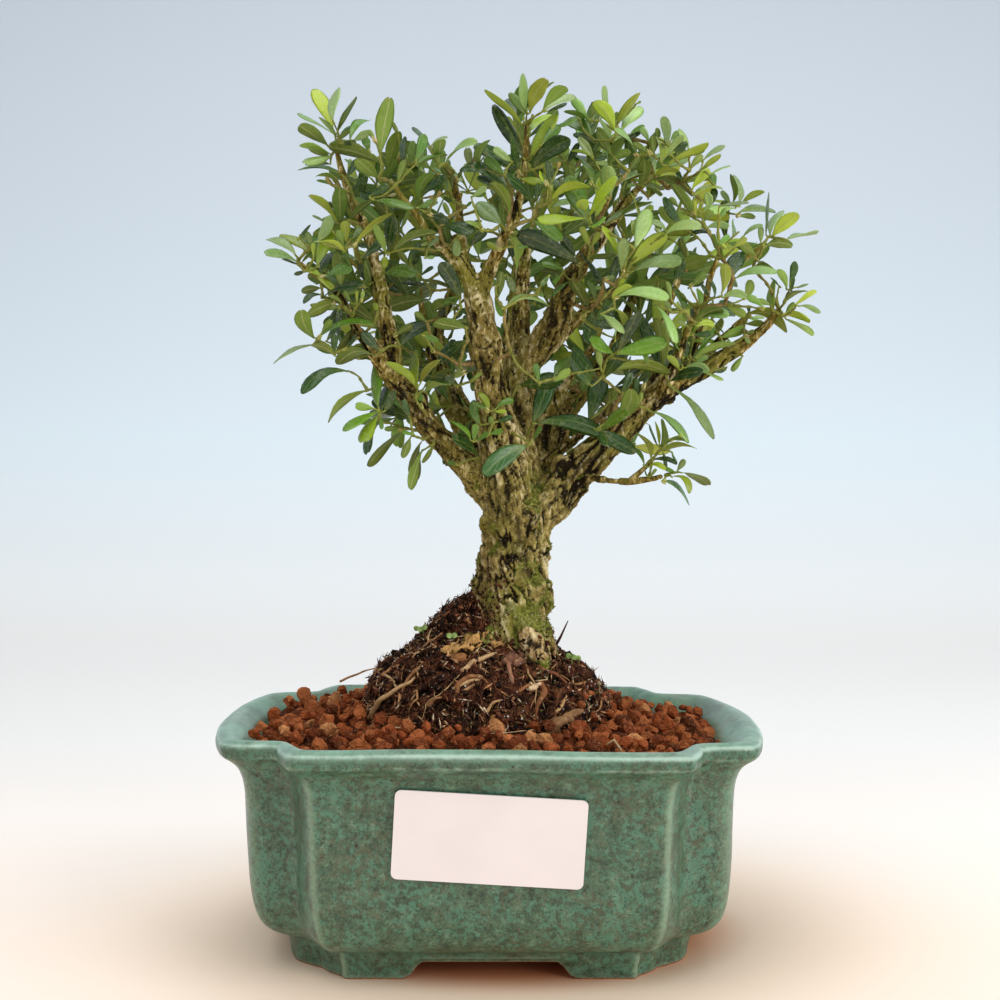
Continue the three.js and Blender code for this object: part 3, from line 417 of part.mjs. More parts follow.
    [53.9, -16.1, 176.4, 51.8, -6.1, 184.2, 3.9, 2.1, -1.6, 0.2, -0.3, 0.5, 57.2, -12.8, 174.2],
    [44.6, -19.7, 178.4, 49.9, -26.5, 167.5, -3.6, -3.6, 0.5, 1.4, -0.9, 1.2, 50, -18.7, 176.2]]],
  ['spray_middle_top_back_b', 2,
   [[32.7, 39.1, 205.6, 0.76, 25.1, 33.9, 212.2, 0.62], [39.9, 40.9, 202.2, 0.84, 32.3, 39, 205.8, 0.70], [27.5, 39.7, 219.8, 0.59, 32.6, 32.7, 225.9, 0.55], [32.4, 33, 225.6, 0.55, 32.6, 36.5, 230, 0.5], [25.4, 34.1, 211.9, 0.66, 27.6, 40, 220.2, 0.55], [27.5, 39.7, 219.8, 0.55, 27.7, 41.2, 222.4, 0.5], [49.5, 42, 198.4, 0.87, 39.4, 40.8, 202.3, 0.73], [39.9, 40.9, 202.2, 0.55, 40.8, 42.9, 204.2, 0.5]],
   [[32.4, 33, 225.6, 40.1, 33.2, 236.5, -2.9, -2.9, 2.1, 0.1, -0.1, -0.1],
    [32.4, 33, 225.6, 23.9, 46.5, 227.7, 3.7, 2.5, -1.1, 0.1, 0, 0.3],
    [32.6, 36.3, 229.7, 38, 39.2, 239.8, -1.7, -4.2, 2.1, -0.3, 0.2, 0.1],
    [27.7, 41, 222.1, 25.9, 40.3, 231.1, -3.9, 1.5, -0.7, 0.1, 0.4, 0.1],
    [39.9, 40.9, 202.2, 49.4, 50.7, 199.7, 3.4, -3.1, 0.9, 0, 0.2, 0.8],
    [39.9, 40.9, 202.2, 33.6, 39.6, 217.3, -4, 3.3, -1.4, 0.1, 0.2, 0.1],
    [40.7, 42.6, 203.9, 40.6, 52.1, 210.3, 2.9, 1.9, -2.8, 0.2, -0.1, 0.1],
    [40.7, 42.6, 203.9, 47.6, 44.5, 212.1, -2.2, -2.6, 2.5, -0.2, 0.2, 0.1]]],
  ['spray_middle_low_front_a', 2,
   [[37.3, -9.5, 154.7, 0.59, 27.9, -17.3, 156.5, 0.55], [26.2, 7.3, 143.3, 1.06, 28.7, 0, 147.5, 0.90], [28.6, 0.4, 147.2, 0.98, 34.6, -7.6, 147, 0.83], [34.3, -7.2, 147, 0.93, 37.5, -9.6, 155.1, 0.78], [34.3, -7.2, 147, 0.59, 29.5, -15.2, 144.4, 0.55], [29.7, -14.8, 144.5, 0.55, 30.8, -17.6, 144.3, 0.5]],
   [[28.3, -16.8, 156.4, 22.3, -26, 163.3, 1.5, 2.1, 4.1, 0.1, 0, 0, 28.3, -17, 156.4],
    [28.6, 0.1, 147.2, 32.8, 9.1, 159.8, 6.1, -0.8, -1.4, 0.1, -0.7, 0.5, 28.6, 0.4, 147.2],
    [45.5, -5.7, 150, 55.7, -9.3, 141.2, -2.7, -4.2, -1.4, 1.5, -0.1, 1.8, 37.3, -9.5, 154.7],
    [30.5, -10.8, 158.9, 23.1, -20.5, 166.1, 1.6, 2.1, 4.5, 0.2, -0.1, 0.1, 37.3, -9.5, 154.7],
    [32.1, -10.3, 158.9, 37.7, -19.2, 168.8, 5, -0.7, -3.4, -0.1, -0.3, -0.2, 37.3, -9.5, 154.7],
    [32.1, -11.1, 159.9, 51, -8.5, 160.3, 0.5, -4.3, 3.2, -0.1, 0.5, 2.9, 37.3, -9.5, 154.7],
    [29.7, -14.8, 144.5, 39.5, -18.2, 138.6, -2.7, -0.7, -4.1, -0.1, -0.8, 0.2],
    [30.7, -17.3, 144.3, 37.3, -24.8, 149.3, 3, 1, -2.6, 0, 0.1, 0.1]]],
  ['spray_left_mid_front_a', 1,
   [[-37.6, -13.4, 175.5, 0.71, -46.5, -10, 181.6, 0.57], [-35.2, -9.5, 170.8, 0.93, -37.8, -13.7, 175.8, 0.78], [-35.2, -9.5, 170.8, 0.76, -39.1, -16.3, 166.4, 0.62]],
   [[-46, -10.8, 186.3, -37.3, -20.8, 186.8, -2.5, -2.4, -3.5, -0.3, -0.2, 1.5, -46.1, -10.2, 181.4],
    [-46.7, -9.7, 187.8, -43.6, 0.3, 195.1, 4.6, -0.8, -0.8, -0.4, -0.3, 0.6, -46.1, -10.2, 181.4],
    [-40.8, -12.7, 184, -42.2, -2.6, 194.6, -4.6, -2.4, 1.6, -0.1, 0.1, -0.1, -37.6, -13.4, 175.5],
    [-41.8, -16, 166.1, -37.8, -6, 172.5, 0.1, -2.5, 3.9, -0.4, -0.1, 0.3, -38.9, -15.9, 166.6],
    [-41.8, -15.7, 164.5, -47.3, -25.7, 166.8, -3.7, 1.6, -1.8, 0.1, 0.3, 1.3, -38.9, -15.9, 166.6],
    [-47.6, -15.5, 169.5, -49.6, -25.5, 175.8, -4.7, -0.1, -1.7, -1, 0.2, 0, -38.9, -15.9, 166.6],
    [-46.9, -15.1, 169.6, -30.9, -17.4, 173, -0.1, -4.7, -2.7, -0.5, 0.1, 2.3, -38.9, -15.9, 166.6]]],
  ['spray_left_mid_back_b', 1,
   [[-17.7, 36.5, 166.4, 0.66, -23.2, 37.4, 171.9, 0.55], [-15.5, 31.2, 167.8, 0.59, -27.1, 27.9, 165.1, 0.55], [-26.7, 28.1, 165.2, 0.55, -29.5, 31.8, 168.3, 0.5], [-22.9, 37.4, 171.6, 0.59, -28.6, 39.4, 176.8, 0.55], [-28.3, 39.3, 176.5, 0.55, -32.2, 42.1, 179.3, 0.5], [-15.5, 31.2, 167.8, 0.84, -17.9, 36.9, 166.3, 0.70]],
   [[-26.7, 28.1, 165.2, -28.7, 27.8, 180.1, -4.6, -2.9, -0.7, 0.1, -0.1, 0],
    [-26.7, 28.1, 165.2, -33.2, 39.1, 161.5, 3.7, 2.1, -0.4, -0.1, 0.3, 0.9],
    [-28, 29.8, 166.7, -21.2, 41.2, 170.7, 1.1, -2.1, 4, -0.8, 0.3, 0.4],
    [-28, 29.8, 166.7, -41.5, 29, 170.7, -1.3, 2.7, -3.9, 0.1, 0.5, 0.3],
    [-29.3, 31.5, 168.1, -36.1, 42, 171.2, 3, 1.2, 2.4, -0.3, -0.3, 0.5],
    [-28.3, 39.3, 176.5, -39, 32.4, 178.7, -2.6, 3.1, -3.2, -0.2, 0.5, 0.6],
    [-31.9, 41.9, 179.1, -40.7, 41.1, 184.9, -2, -0.4, -3.1, -0.1, 0.4, 0]]],
  ['spray_left_top_inner_a', 1,
   [[-43.3, 0, 224.8, 0.59, -44.9, 12, 231.7, 0.55], [-43.3, 0, 224.8, 0.71, -41.7, -5.7, 225.1, 0.57], [-43.3, 0, 224.8, 0.66, -44.5, -3.3, 221.6, 0.55]],
   [[-45.5, 11.1, 232.9, -51.4, 16.8, 245.7, 4.9, 1.9, 1.4, 0.2, -0.5, 0.3, -44.9, 11.5, 231.4],
    [-44.3, 11.5, 231.6, -38.1, 2.3, 239.5, -2.6, -3.7, -2.2, -0.7, -0.2, 0.3, -44.9, 11.5, 231.4],
    [-46, 11.9, 231.9, -56.8, 21.9, 239.9, 3.8, 3.8, 0.3, 0.2, 0, 0.3, -44.9, 11.5, 231.4],
    [-39, -3.9, 226.4, -34.8, 6.1, 233.9, 4.5, -1.9, 0, -0.4, -0.7, 1.1, -41.8, -5.2, 225.1],
    [-44.3, -2.7, 222.4, -51.4, -11.6, 223.1, -3.4, 2.6, -0.5, 0, 0, 0.2, -44.4, -2.9, 221.9],
    [-44.2, -3.1, 221.8, -50.1, -13.1, 217.8, -3.9, 1.5, 1.9, -0.2, -0.1, 0.7, -44.4, -2.9, 221.9]]],
  ['spray_middle_top_inner_a', 2,
   [[-15.2, -12.7, 219.7, 0.71, -23.1, -4.3, 218.7, 0.57], [-10.5, -6, 215.1, 0.80, -15.5, -13, 220, 0.66], [-11, -8.7, 214.2, 0.66, -11.4, -19.8, 216.6, 0.55], [-10.5, -6, 215.1, 0.76, -11.1, -9.2, 214.1, 0.62], [-14.6, 7, 218.7, 0.66, -20.3, 13.7, 214.4, 0.55], [-20, 13.4, 214.6, 0.55, -24, 13.6, 218.5, 0.5], [-10.5, -6, 215.1, 0.84, -14.7, 7.4, 218.8, 0.70]],
   [[-23.8, -4.6, 218.5, -22.6, -14.6, 224, 2, -1.6, -3.4, -0.5, -0.2, -0.2, -22.7, -4.6, 218.8],
    [-11.4, -19, 216.6, -3, -27.8, 219.7, -1.7, -2.9, -3.3, -0.9, -0.4, 1.2, -11.4, -19.3, 216.5],
    [-20, 13.4, 214.6, -25.2, 1.9, 218.8, -4.1, 1.1, -2.2, -0.2, 0.3, 0.5],
    [-21.8, 13.5, 216.4, -36.4, 14.7, 212.6, 0.4, 4.3, -0.2, 0, 0, 0.2],
    [-23.7, 13.6, 218.2, -31, 10.3, 225, -3, -0.4, -3.4, -0.2, 0.7, 0.1],
    [-23.7, 13.6, 218.2, -30.8, 22.6, 223.8, 3.4, 0.4, 3.6, -0.4, -0.6, 0.4]]],
  ['spray_right_mid_back_a', 0,
   [[51, 29.4, 197.3, 0.71, 42.2, 31.7, 203, 0.57], [57.8, 33.8, 191.8, 0.76, 50.7, 29.2, 197.6, 0.62], [51, 29.4, 197.3, 0.55, 53.3, 32.6, 201.4, 0.5], [59.8, 22, 194.7, 0.80, 57.7, 34.2, 191.6, 0.66]],
   [[42.6, 31.6, 202.8, 55.9, 36.1, 203.7, 1.5, -4.8, 1.9, 0, -0.1, -0.2],
    [42.6, 31.6, 202.8, 38.4, 34, 216.3, -1.3, 4.5, -1.2, 0.5, 0.2, 0.1],
    [51, 29.4, 197.3, 64.8, 33.4, 198.3, 0.6, -3.1, 3.9, -0.3, 0.8, 0.7],
    [51, 29.4, 197.3, 44.9, 34, 206.2, 0.1, 3.7, -1.9, 0.5, 0.1, 0.3],
    [52.1, 30.9, 199.2, 51.1, 46, 198.7, 4, 0.2, -1.6, 0.4, 0.1, 0.9],
    [53.1, 32.3, 201.1, 51.4, 37.7, 212.2, -1, 3.9, -2.1, 0.9, 0.2, 0]]],
  ['spray_middle_top_back_c', 2,
   [[9.6, 43, 207.1, 0.76, 4.8, 34, 213.3, 0.62], [5, 34.4, 213, 0.55, 3.9, 35.6, 215.5, 0.5], [5, 34.4, 213, 0.71, 13.5, 30.4, 213.3, 0.57], [13.1, 30.6, 213.3, 0.66, 16.8, 34.4, 221, 0.55], [16.6, 34.2, 220.6, 0.55, 16.8, 38.5, 224.2, 0.5]],
   [[5, 34.4, 213, 14.2, 38.3, 219.8, -0.3, -3.9, 2.7, -0.1, 0.1, 0.1],
    [4.1, 35.5, 215.2, 1.6, 33.1, 224.3, -3.6, -0.5, -1.1, -0.1, 0.3, 0.1],
    [4.1, 35.5, 215.2, 1.3, 42.3, 222, 3.5, 0, 1.4, -0.1, -0.1, 0.1],
    [16.6, 34.2, 220.6, 6.1, 32.7, 229.2, -3.3, 2.2, -3.6, 0.1, 0.6, 0.2],
    [16.7, 36.2, 222.3, 23.8, 36.4, 232.9, -4.1, -1.5, 2.8, -0.1, 0.5, 0.1],
    [16.8, 38.1, 224, 22.3, 47.8, 227.1, 3.9, -2.5, 0.9, -0.1, -0.1, 0.4]]],
  ['spray_left_top_inner_b', 1,
   [[-35.4, -3, 203.1, 0.76, -38.7, -4.2, 211.6, 0.62], [-35.4, -3, 203.1, 0.71, -39.2, -6.8, 203.3, 0.57], [-35.4, -3, 203.1, 0.80, -35.3, 4.9, 200.5, 0.66], [-28.7, 8.9, 202.9, 0.66, -31.2, 11.1, 214.5, 0.55], [-31.1, 11, 214, 0.55, -34.5, 10.5, 218.5, 0.5], [-35.3, 4.5, 200.6, 0.71, -28.3, 9.1, 203, 0.57]],
   [[-41.1, -6.9, 212.7, -46.5, -16.9, 213.4, -3.7, 2, 0.3, -0.1, 0.1, 1.5, -38.5, -4.1, 211.1],
    [-42.4, -5.1, 216.8, -54.1, 2.4, 218.9, 2.8, 3.9, 2, 0.1, -0.2, 1.3, -38.5, -4.1, 211.1],
    [-38.9, -6.1, 203.3, -31.2, -16.1, 207.3, -3.8, -3.1, -0.5, -0.4, 0, 0.7, -38.8, -6.4, 203.2],
    [-41.9, -2.9, 202.8, -41, -12.9, 211, -5, -0.9, -0.5, 0, 0.4, 0.5, -38.8, -6.4, 203.2],
    [-42.6, -3.9, 203.1, -49.3, -11.6, 208.9, -3.3, 2.9, -0.1, 0.5, 0.1, 0.7, -38.8, -6.4, 203.2],
    [-29.1, 6.1, 219.7, -25.5, -0.7, 229, -4.3, -1.4, 0.6, -0.3, 0.7, 0.6, -31.1, 11, 214]]],
  ['spray_middle_mid_front_a', 2,
   [[-10.9, -3.1, 184.6, 0.76, -16.7, 5, 185, 0.62], [-16.9, -13.6, 174.1, 0.80, -10.8, -2.8, 184.9, 0.66], [-7.9, -14.3, 162.3, 0.76, -5.8, -21.2, 172.3, 0.62], [-7.9, -14.3, 162.3, 0.87, -17.2, -13.6, 174.5, 0.73], [-0.1, -11.2, 163.7, 1.10, -8.4, -14.5, 162.2, 0.94], [6.2, -21.6, 165, 0.87, 4.3, -25.3, 177.1, 0.73], [-0.1, -11.2, 163.7, 0.98, 6.4, -22, 165.1, 0.83]],
   [[-16.5, 5, 185, -26.3, 15, 188.2, 3.9, 3.4, 1.3, 0.2, -0.2, 1.3, -16.5, 4.6, 185],
    [-17.1, 5.7, 182.6, -29.2, 12.3, 180.9, 1.9, 2.4, -4.2, 0.1, 0.5, 1, -16.5, 4.6, 185],
    [-5.9, -20.9, 171.9, -13.7, -30.9, 172.4, -3.2, 2.3, -2.6, 0, 0, 0, -5.9, -20.9, 171.9],
    [-7.3, -17.5, 180, -12.4, -25.2, 188.3, 4.1, 0.2, 2.8, 0.4, -0.2, 0.1, -5.9, -20.9, 171.9],
    [-5.5, -18.9, 168.7, -14, -8.9, 164.5, 0.2, 2.1, 4.6, -0.3, -0.1, 0.2, -7.9, -14.3, 162.3],
    [4.4, -25.1, 176.6, 16.8, -15.2, 178.4, 3.3, -3.8, -2, -0.2, -0.4, 3.4, 4.4, -25.1, 176.6]]],
  ['spray_middle_mid_front_b', 1,
   [[-6.1, -14.3, 205.6, 0.59, -19.4, -6.6, 209.3, 0.55], [-13.2, -19.4, 199.1, 0.76, -5.8, -14, 205.8, 0.62], [-16.6, -19.7, 193.2, 0.59, -27.5, -20.1, 192.1, 0.55], [-11.5, -16, 193.6, 0.71, -17, -20, 193.1, 0.57], [-11.5, -16, 193.6, 0.93, -13.3, -19.6, 199.6, 0.78]],
   [[-19.4, -7, 208.7, -15.2, -17, 214.1, -4.2, -1.7, 0.2, -1.1, 0.2, 1.2, -19, -6.8, 209.2],
    [-18.6, -6.5, 209.6, -11.8, -16.5, 212.2, -0.5, -1.4, -4.3, -0.1, 0.1, 0.9, -19, -6.8, 209.2],
    [-27.7, -20.4, 192, -28.9, -30.4, 197.8, -3.7, 1.4, 1.7, 0.1, 0.1, 0.1, -27, -20.1, 192.1],
    [-27, -20, 192.1, -24.9, -29.4, 199.8, 3.7, -1.2, -2.4, -0.2, -0.2, -0.2, -27, -20.1, 192.1],
    [-26.1, -20.7, 192.1, -14, -24.4, 196.8, -1.8, -4.5, 1.1, -0.6, 0, 1.5, -27, -20.1, 192.1],
    [-13.2, -18.9, 199.2, -4.3, -27.9, 196.2, -2.7, -1.4, -3.7, 0.1, -0.3, 1.4, -13.2, -19.4, 199.1]]],
  ['spray_right_top_front_a', 3,
   [[32.9, -18.3, 207, 0.84, 38.4, -17.1, 215.1, 0.70], [30.4, -6.8, 200.3, 0.96, 32.9, -18.7, 207.3, 0.81], [38.1, -17.1, 214.7, 0.59, 48.5, -16.8, 216.5, 0.55], [30, -4, 197, 1.08, 30.5, -7.1, 200.7, 0.92]],
   [[33.5, -16.9, 210.1, 43.1, -6.9, 216.7, 4.1, -3.4, -0.7, -0.5, -0.1, 0.8, 32.9, -18.3, 207],
    [46.9, -17, 216.8, 48, -7, 226.1, 3.8, 2, -2.7, 0.7, -0.4, 0.4, 48, -16.8, 216.4],
    [48.5, -16.5, 216.4, 58.4, -24.1, 220.8, -3.2, -3.6, 1, -0.1, 0.3, 0.8, 48, -16.8, 216.4],
    [28.3, -7.3, 201, 20.2, -9.6, 214.4, 2.3, 4.4, 2.1, 0.2, -0.3, 0.1, 30.4, -6.8, 200.3],
    [32.1, -9.5, 201.2, 45.7, -1.3, 208.5, 3.2, -4.1, -1.4, -0.5, -0.4, 1.5, 30.4, -6.8, 200.3],
    [36.6, -9.5, 203.6, 43.8, -19.5, 205.4, -3.7, -2.7, -0.2, -0.2, 0.1, 1.1, 30.4, -6.8, 200.3]]],
  ['spray_middle_top_front_b', 0,
   [[11, -12, 228.4, 0.66, 9.5, -17.5, 227.3, 0.55], [11, -12, 228.4, 0.59, 10.7, -14.8, 231.5, 0.55], [9.7, -17, 227.4, 0.59, 15.1, -24.7, 229.2, 0.55]],
   [[9.8, -16.6, 226.9, -0.6, -18.6, 236.1, -1.5, 4.9, -0.6, 0.6, 0.2, 0.7, 9.7, -17, 227.4],
    [10.3, -14.3, 231.7, 9.1, -23.9, 238.8, 3.2, 1.6, 2.7, -0.3, 0.1, 0.1, 10.7, -14.5, 231.1],
    [11.4, -14.8, 230.8, 15.5, -24.8, 237.3, -4.3, -0.7, 1.7, -0.6, 0.4, 1.1, 10.7, -14.5, 231.1],
    [14.8, -24.1, 229.8, 20.1, -34.1, 232.9, -3.9, -1.9, 0.8, 0.1, 0.3, 0.9, 14.8, -24.3, 229.2],
    [14.2, -24.6, 228.7, 23.4, -14.6, 235.8, 4.2, -3.1, -1.1, -0.1, -0.2, 0.5, 14.8, -24.3, 229.2]]],
  ['spray_right_mid_front_c', 0,
   [[75.1, -1.5, 190.5, 0.71, 75.6, -13.6, 195.6, 0.57], [82, -4, 178.8, 0.80, 74.8, -1.5, 190.9, 0.66], [82, -4, 178.8, 0.76, 82.5, -9.2, 176.2, 0.62]],
   [[76.5, -12.7, 197.9, 75.6, -20.9, 208, 1.7, 3.4, 2.9, 0.2, 0.1, 0.1, 75.6, -13.1, 195.4],
    [77.7, -12.9, 198.1, 82.6, -2.9, 206.3, 3.6, -3.2, 1.7, -0.8, -0.2, 0.8, 75.6, -13.1, 195.4],
    [78.2, -12.2, 197.5, 83.1, -22.1, 202.3, -4, -1.2, 1.7, -0.3, 0, 0.3, 75.6, -13.1, 195.4],
    [81.5, -9.1, 176.5, 87.3, -19.1, 174.2, -3, -2.3, 2.4, 0.5, -0.1, 1.5, 82.5, -8.8, 176.4],
    [83, -8.4, 175.5, 87.8, -18.4, 170.1, -4.2, -2, 0, -0.1, -0.3, 0.5, 82.5, -8.8, 176.4]]],
  ['spray_right_low_inner_a', 1,
   [[54.4, -1, 158.1, 0.71, 57.5, -3.6, 165.1, 0.57], [54.4, -1, 158.1, 0.66, 50.2, -7.2, 157.6, 0.55]],
   [[57.9, -3.4, 164.5, 68.2, -11.5, 168.5, -3.3, -3.5, 1.6, -0.3, 0.4, 1.7, 57.3, -3.4, 164.7],
    [50.5, -6.8, 158.1, 58.5, -16.3, 160.2, -1.8, -2.3, -3.6, -0.6, -0.3, 0.8, 50.5, -6.8, 157.6],
    [50.5, -6.4, 157.1, 62.9, -9.2, 142, -3.1, -4.1, -1.8, 1.5, -0.3, 1.3, 50.5, -6.8, 157.6],
    [48.7, -7.2, 162.1, 46.5, -10.1, 175.2, -3.4, 3.7, 0.2, 1.1, 0.1, 0.2, 50.5, -6.8, 157.6]]],
  ['spray_middle_top_back_d', 0,
   [[12.4, 14, 204.5, 0.84, 18.3, 17.9, 217.8, 0.70], [18.1, 17.7, 217.3, 0.55, 18, 18.2, 220.3, 0.5]],
   [[18.1, 17.7, 217.3, 18.6, 30.1, 224.7, 4.8, -1.3, 1.8, -0.1, -0.1, 0.2],
    [18, 18.2, 219.9, 23.1, 19.3, 230.1, -0.9, -4.2, 0.9, -0.7, 0.2, 0.3],
    [18, 18.2, 219.9, 9.4, 20.4, 228.4, 0.5, 4.3, -0.7, 0.3, 0, 0.3]]],
  ['spray_right_low_front_a', 0,
   [[45.5, -11, 136.2, 0.59, 45, -15.6, 136.4, 0.55], [45.5, -11, 136.2, 0.71, 48.4, -12.4, 139.9, 0.57]],
   [[44.9, -14.8, 136.6, 40.4, -24.8, 143.1, -3.5, 2.7, 1.8, 1.1, 0.2, 1.1, 45, -15.1, 136.3],
    [47.9, -11.8, 139.4, 47.4, -21.8, 146.8, -1.7, 2.6, 3.4, 1, 0, 0.1, 48.1, -12.3, 139.5],
    [48.5, -12.3, 138.7, 56.1, -22.3, 139.2, -3.5, -2.6, 1.7, -0.3, -0.2, 1.5, 48.1, -12.3, 139.5]]],
  ['spray_left_mid_front_b', 0,
   [[-36, -8.9, 191.7, 0.71, -39, -20.9, 193.1, 0.57], [-31.1, -4.7, 186.7, 0.87, -36.3, -9.2, 192, 0.73]],
   [[-38.6, -20.6, 192.3, -45.2, -30.6, 193.3, -3.8, 2.5, -0.1, 0.5, -0.2, 1.4, -38.8, -20.4, 193.1],
    [-36.4, -19.3, 194, -26, -21.9, 202.3, -1.4, -4.8, 0.2, -0.6, 0, 0.7, -38.8, -20.4, 193.1],
    [-35.3, -9.4, 191.2, -28.3, -19.4, 194.2, -1, -1.9, -4.1, -0.2, 0.1, 1, -36, -8.9, 191.7]]],
  ['spray_right_mid_inner_a', 2,
   [[72.2, -4.9, 171.1, 0.59, 74.3, 2.1, 177.6, 0.55], [67.7, -2, 166, 0.71, 65.7, -2.3, 171.3, 0.57], [67.7, -2, 166, 0.71, 72.5, -5.1, 171.5, 0.57], [65.9, -2.2, 170.8, 0.66, 64.7, 7.2, 177.6, 0.55], [64.7, 6.8, 177.3, 0.55, 70.1, 7.4, 178.8, 0.5]],
   [[73, 1.4, 176.5, 64.8, -8.6, 179.2, -1.6, 2.4, 4, 0.7, -0.2, 1.2, 74.2, 1.7, 177.2],
    [73.9, 2.2, 177.9, 83.7, -5.1, 172.3, 0.1, -3, 4, 1.3, -0.3, 2.7, 74.2, 1.7, 177.2],
    [66, 10, 183.7, 63.8, 19.6, 192.2, 3.9, 2.4, -1.6, 1.1, -0.6, 0.9, 64.7, 6.8, 177.3]]],
  ['spray_left_mid_front_c', 3,
   [[-53.5, -5, 192.1, 0.59, -54.1, -7.3, 193.8, 0.55], [-53.5, -5, 192.1, 0.76, -52.7, -9.1, 190.7, 0.62]],
   [[-53.9, -7.4, 193.4, -62.9, 1.6, 199.2, 3.9, 2.9, 1.6, 0.3, -0.3, 1, -54, -6.9, 193.5],
    [-52.7, -8.6, 191.1, -60.3, -18.6, 192, -2.8, 2.4, 2.9, 0.4, -0.2, 0.9, -52.8, -8.6, 190.8]]],
  ['spray_left_top_front_a', 4,
   [[-30, -15.6, 213.1, 0.66, -29.6, -6.7, 219.1, 0.55], [-26.4, -17, 212.1, 0.80, -30.4, -15.4, 213.2, 0.66]],
   [[-29.6, -6.7, 218.9, -45.2, -1.7, 224.5, -0.1, 3.9, -3.8, 0.4, -0.1, 1.1, -29.6, -7.1, 218.8],
    [-29.6, -14.1, 219.9, -26.7, -16.3, 234.7, -4.7, -2.6, 0.5, -0.4, 0.6, 0.2, -30, -15.6, 213.1]]],
  ['spray_right_low_front_b', 1,
   [[49.2, -11, 132, 0.59, 53.1, -12.1, 132.9, 0.55], [49.2, -11, 132, 0.59, 48, -16.6, 130.5, 0.55]],
   [[53.5, -12.3, 132.7, 62.2, -2.4, 129.2, 3.9, -3.2, 0.4, 0.4, 0, 1.1, 52.6, -12, 132.8],
    [48.1, -16.3, 130.7, 56.2, -7.7, 123.9, 1.1, -3.6, -3.3, 0.9, 0.1, 1.2, 48.1, -16.1, 130.7]]],
  ['spray_right_mid_inner_b', 1,
   [[68.3, 15, 197.6, 0.59, 69.9, 12.3, 200.2, 0.55], [69.7, 12.7, 199.9, 0.55, 73.9, 13.5, 203.6, 0.5]],
   [[69.7, 12.7, 199.9, 80.8, 15.3, 197.5, 1.5, -4.2, 2.1, 0, 0.2, 0.4],
    [71.7, 13.1, 201.6, 73.7, 24.1, 207.6, 2.5, 1.5, -3.6, 0.3, -0.1, 0.2]]],
  ['spray_left_low_front_b', 2,
   [[-25.6, -9.3, 158, 0.76, -24.4, -11.2, 168.3, 0.62], [-25.6, -9.3, 158, 0.66, -34, -11, 155.2, 0.55]],
   [[-24.5, -11.1, 167.8, -17, -1.1, 174.7, 4.3, -1.4, -2.6, -0.5, -0.4, 1.1, -24.5, -11.1, 167.8],
    [-39, -9.6, 161, -51.3, -11.6, 154.7, -2.3, 3.1, 3.4, -1.2, -0.3, 2.4, -33.6, -10.9, 155.4]]],
  ['spray_middle_low_front_b', 1,
   [[2.2, -8.7, 147.3, 0.84, 1.2, -15.1, 146.2, 0.70], [2.2, -8.7, 147.3, 0.59, 11.9, -16.3, 140.5, 0.55]],
   [[-4.7, -19.4, 141.6, -10.4, -9.4, 147.1, 3.8, 2.6, -0.8, 0.6, -0.2, 1, 1.3, -14.6, 146.3],
    [11, -16, 140.1, 0, -22.7, 132.8, -4, 0.6, 5.5, -0.4, -0.6, 1.1, 11.5, -16, 140.7]]],
  ['spray_middle_low_inner_a', 2,
   [[8.2, 4, 139.1, 0.59, 12.9, -5.8, 146.7, 0.55]],
   [[12.3, -5.5, 146.3, 17.5, -3.3, 160.4, 5.3, -0.6, -1.9, 0.3, -0.2, -0.1, 12.7, -5.5, 146.4],
    [13.1, -5.8, 146.5, 33.3, -2.9, 143.1, -0.7, -1.6, -5.1, 0.4, 0, 2.5, 12.7, -5.5, 146.4]]]];
// ---- leafy sprays: green twigs and their leaves, one grown cluster each ------------------
const LEAF_COLOURS = [0x9fb03c, 0x5f9440, 0x3f6b40, 0x8fae80, 0x6f7a38, 0x9a6a3c, 0xd8ccaa];
// leaf: a thin kite, rib edge to edge on one face and keel base to tip on the other
function leafSolid(L, from) {
  const [bx, by, bz, tx, ty, tz, wx, wy, wz, mx, my, mz] = L;
  const B0 = new THREE.Vector3(bx, by, bz), T = new THREE.Vector3(tx, ty, tz);
  let B = from ? new THREE.Vector3(...from) : B0.clone();
  B.add(T.clone().sub(B).normalize().multiplyScalar(0.25));
  const W = new THREE.Vector3(wx, wy, wz), M = new THREE.Vector3(mx, my, mz), t = 0.6;
  const ax = T.clone().sub(B0).normalize(), N = W.clone().cross(ax).normalize();
  const mid = B0.clone().multiplyScalar((1 - t) * (1 - t)).add(B0.clone().add(T).multiplyScalar(0.5).add(M.clone().multiplyScalar(2)).multiplyScalar(2 * t * (1 - t))).add(T.clone().multiplyScalar(t * t));
  const chord = B.clone().lerp(T, 0.6), side = mid.clone().sub(chord).dot(N) < 0 ? -1 : 1;
  mid.add(N.clone().multiplyScalar(side * LEAF_THICK * 0.7));
  const v = [B, T, mid.clone().add(W.clone().multiplyScalar(0.5)), mid.clone().sub(W.clone().multiplyScalar(0.5))], pos = [];
  for (const p of v) pos.push(p.x, p.y, p.z);
  let idx = [0, 2, 3, 0, 3, 1, 0, 1, 2, 2, 1, 3], vol = 0;
  for (let i = 0; i < 12; i += 3) vol += v[idx[i]].dot(v[idx[i + 1]].clone().cross(v[idx[i + 2]]));
  if (vol < 0) idx = idx.reverse();
  const g = new THREE.BufferGeometry(); g.setAttribute('position', new THREE.Float32BufferAttribute(pos, 3)); g.setIndex(idx);
  return toManifold(g);
}
const placed = [];
const near = (a, b) => { const p = a.boundingBox(), q = b.boundingBox(); return [0, 1, 2].every(k => p.min[k] < q.max[k] && q.min[k] < p.max[k]); };
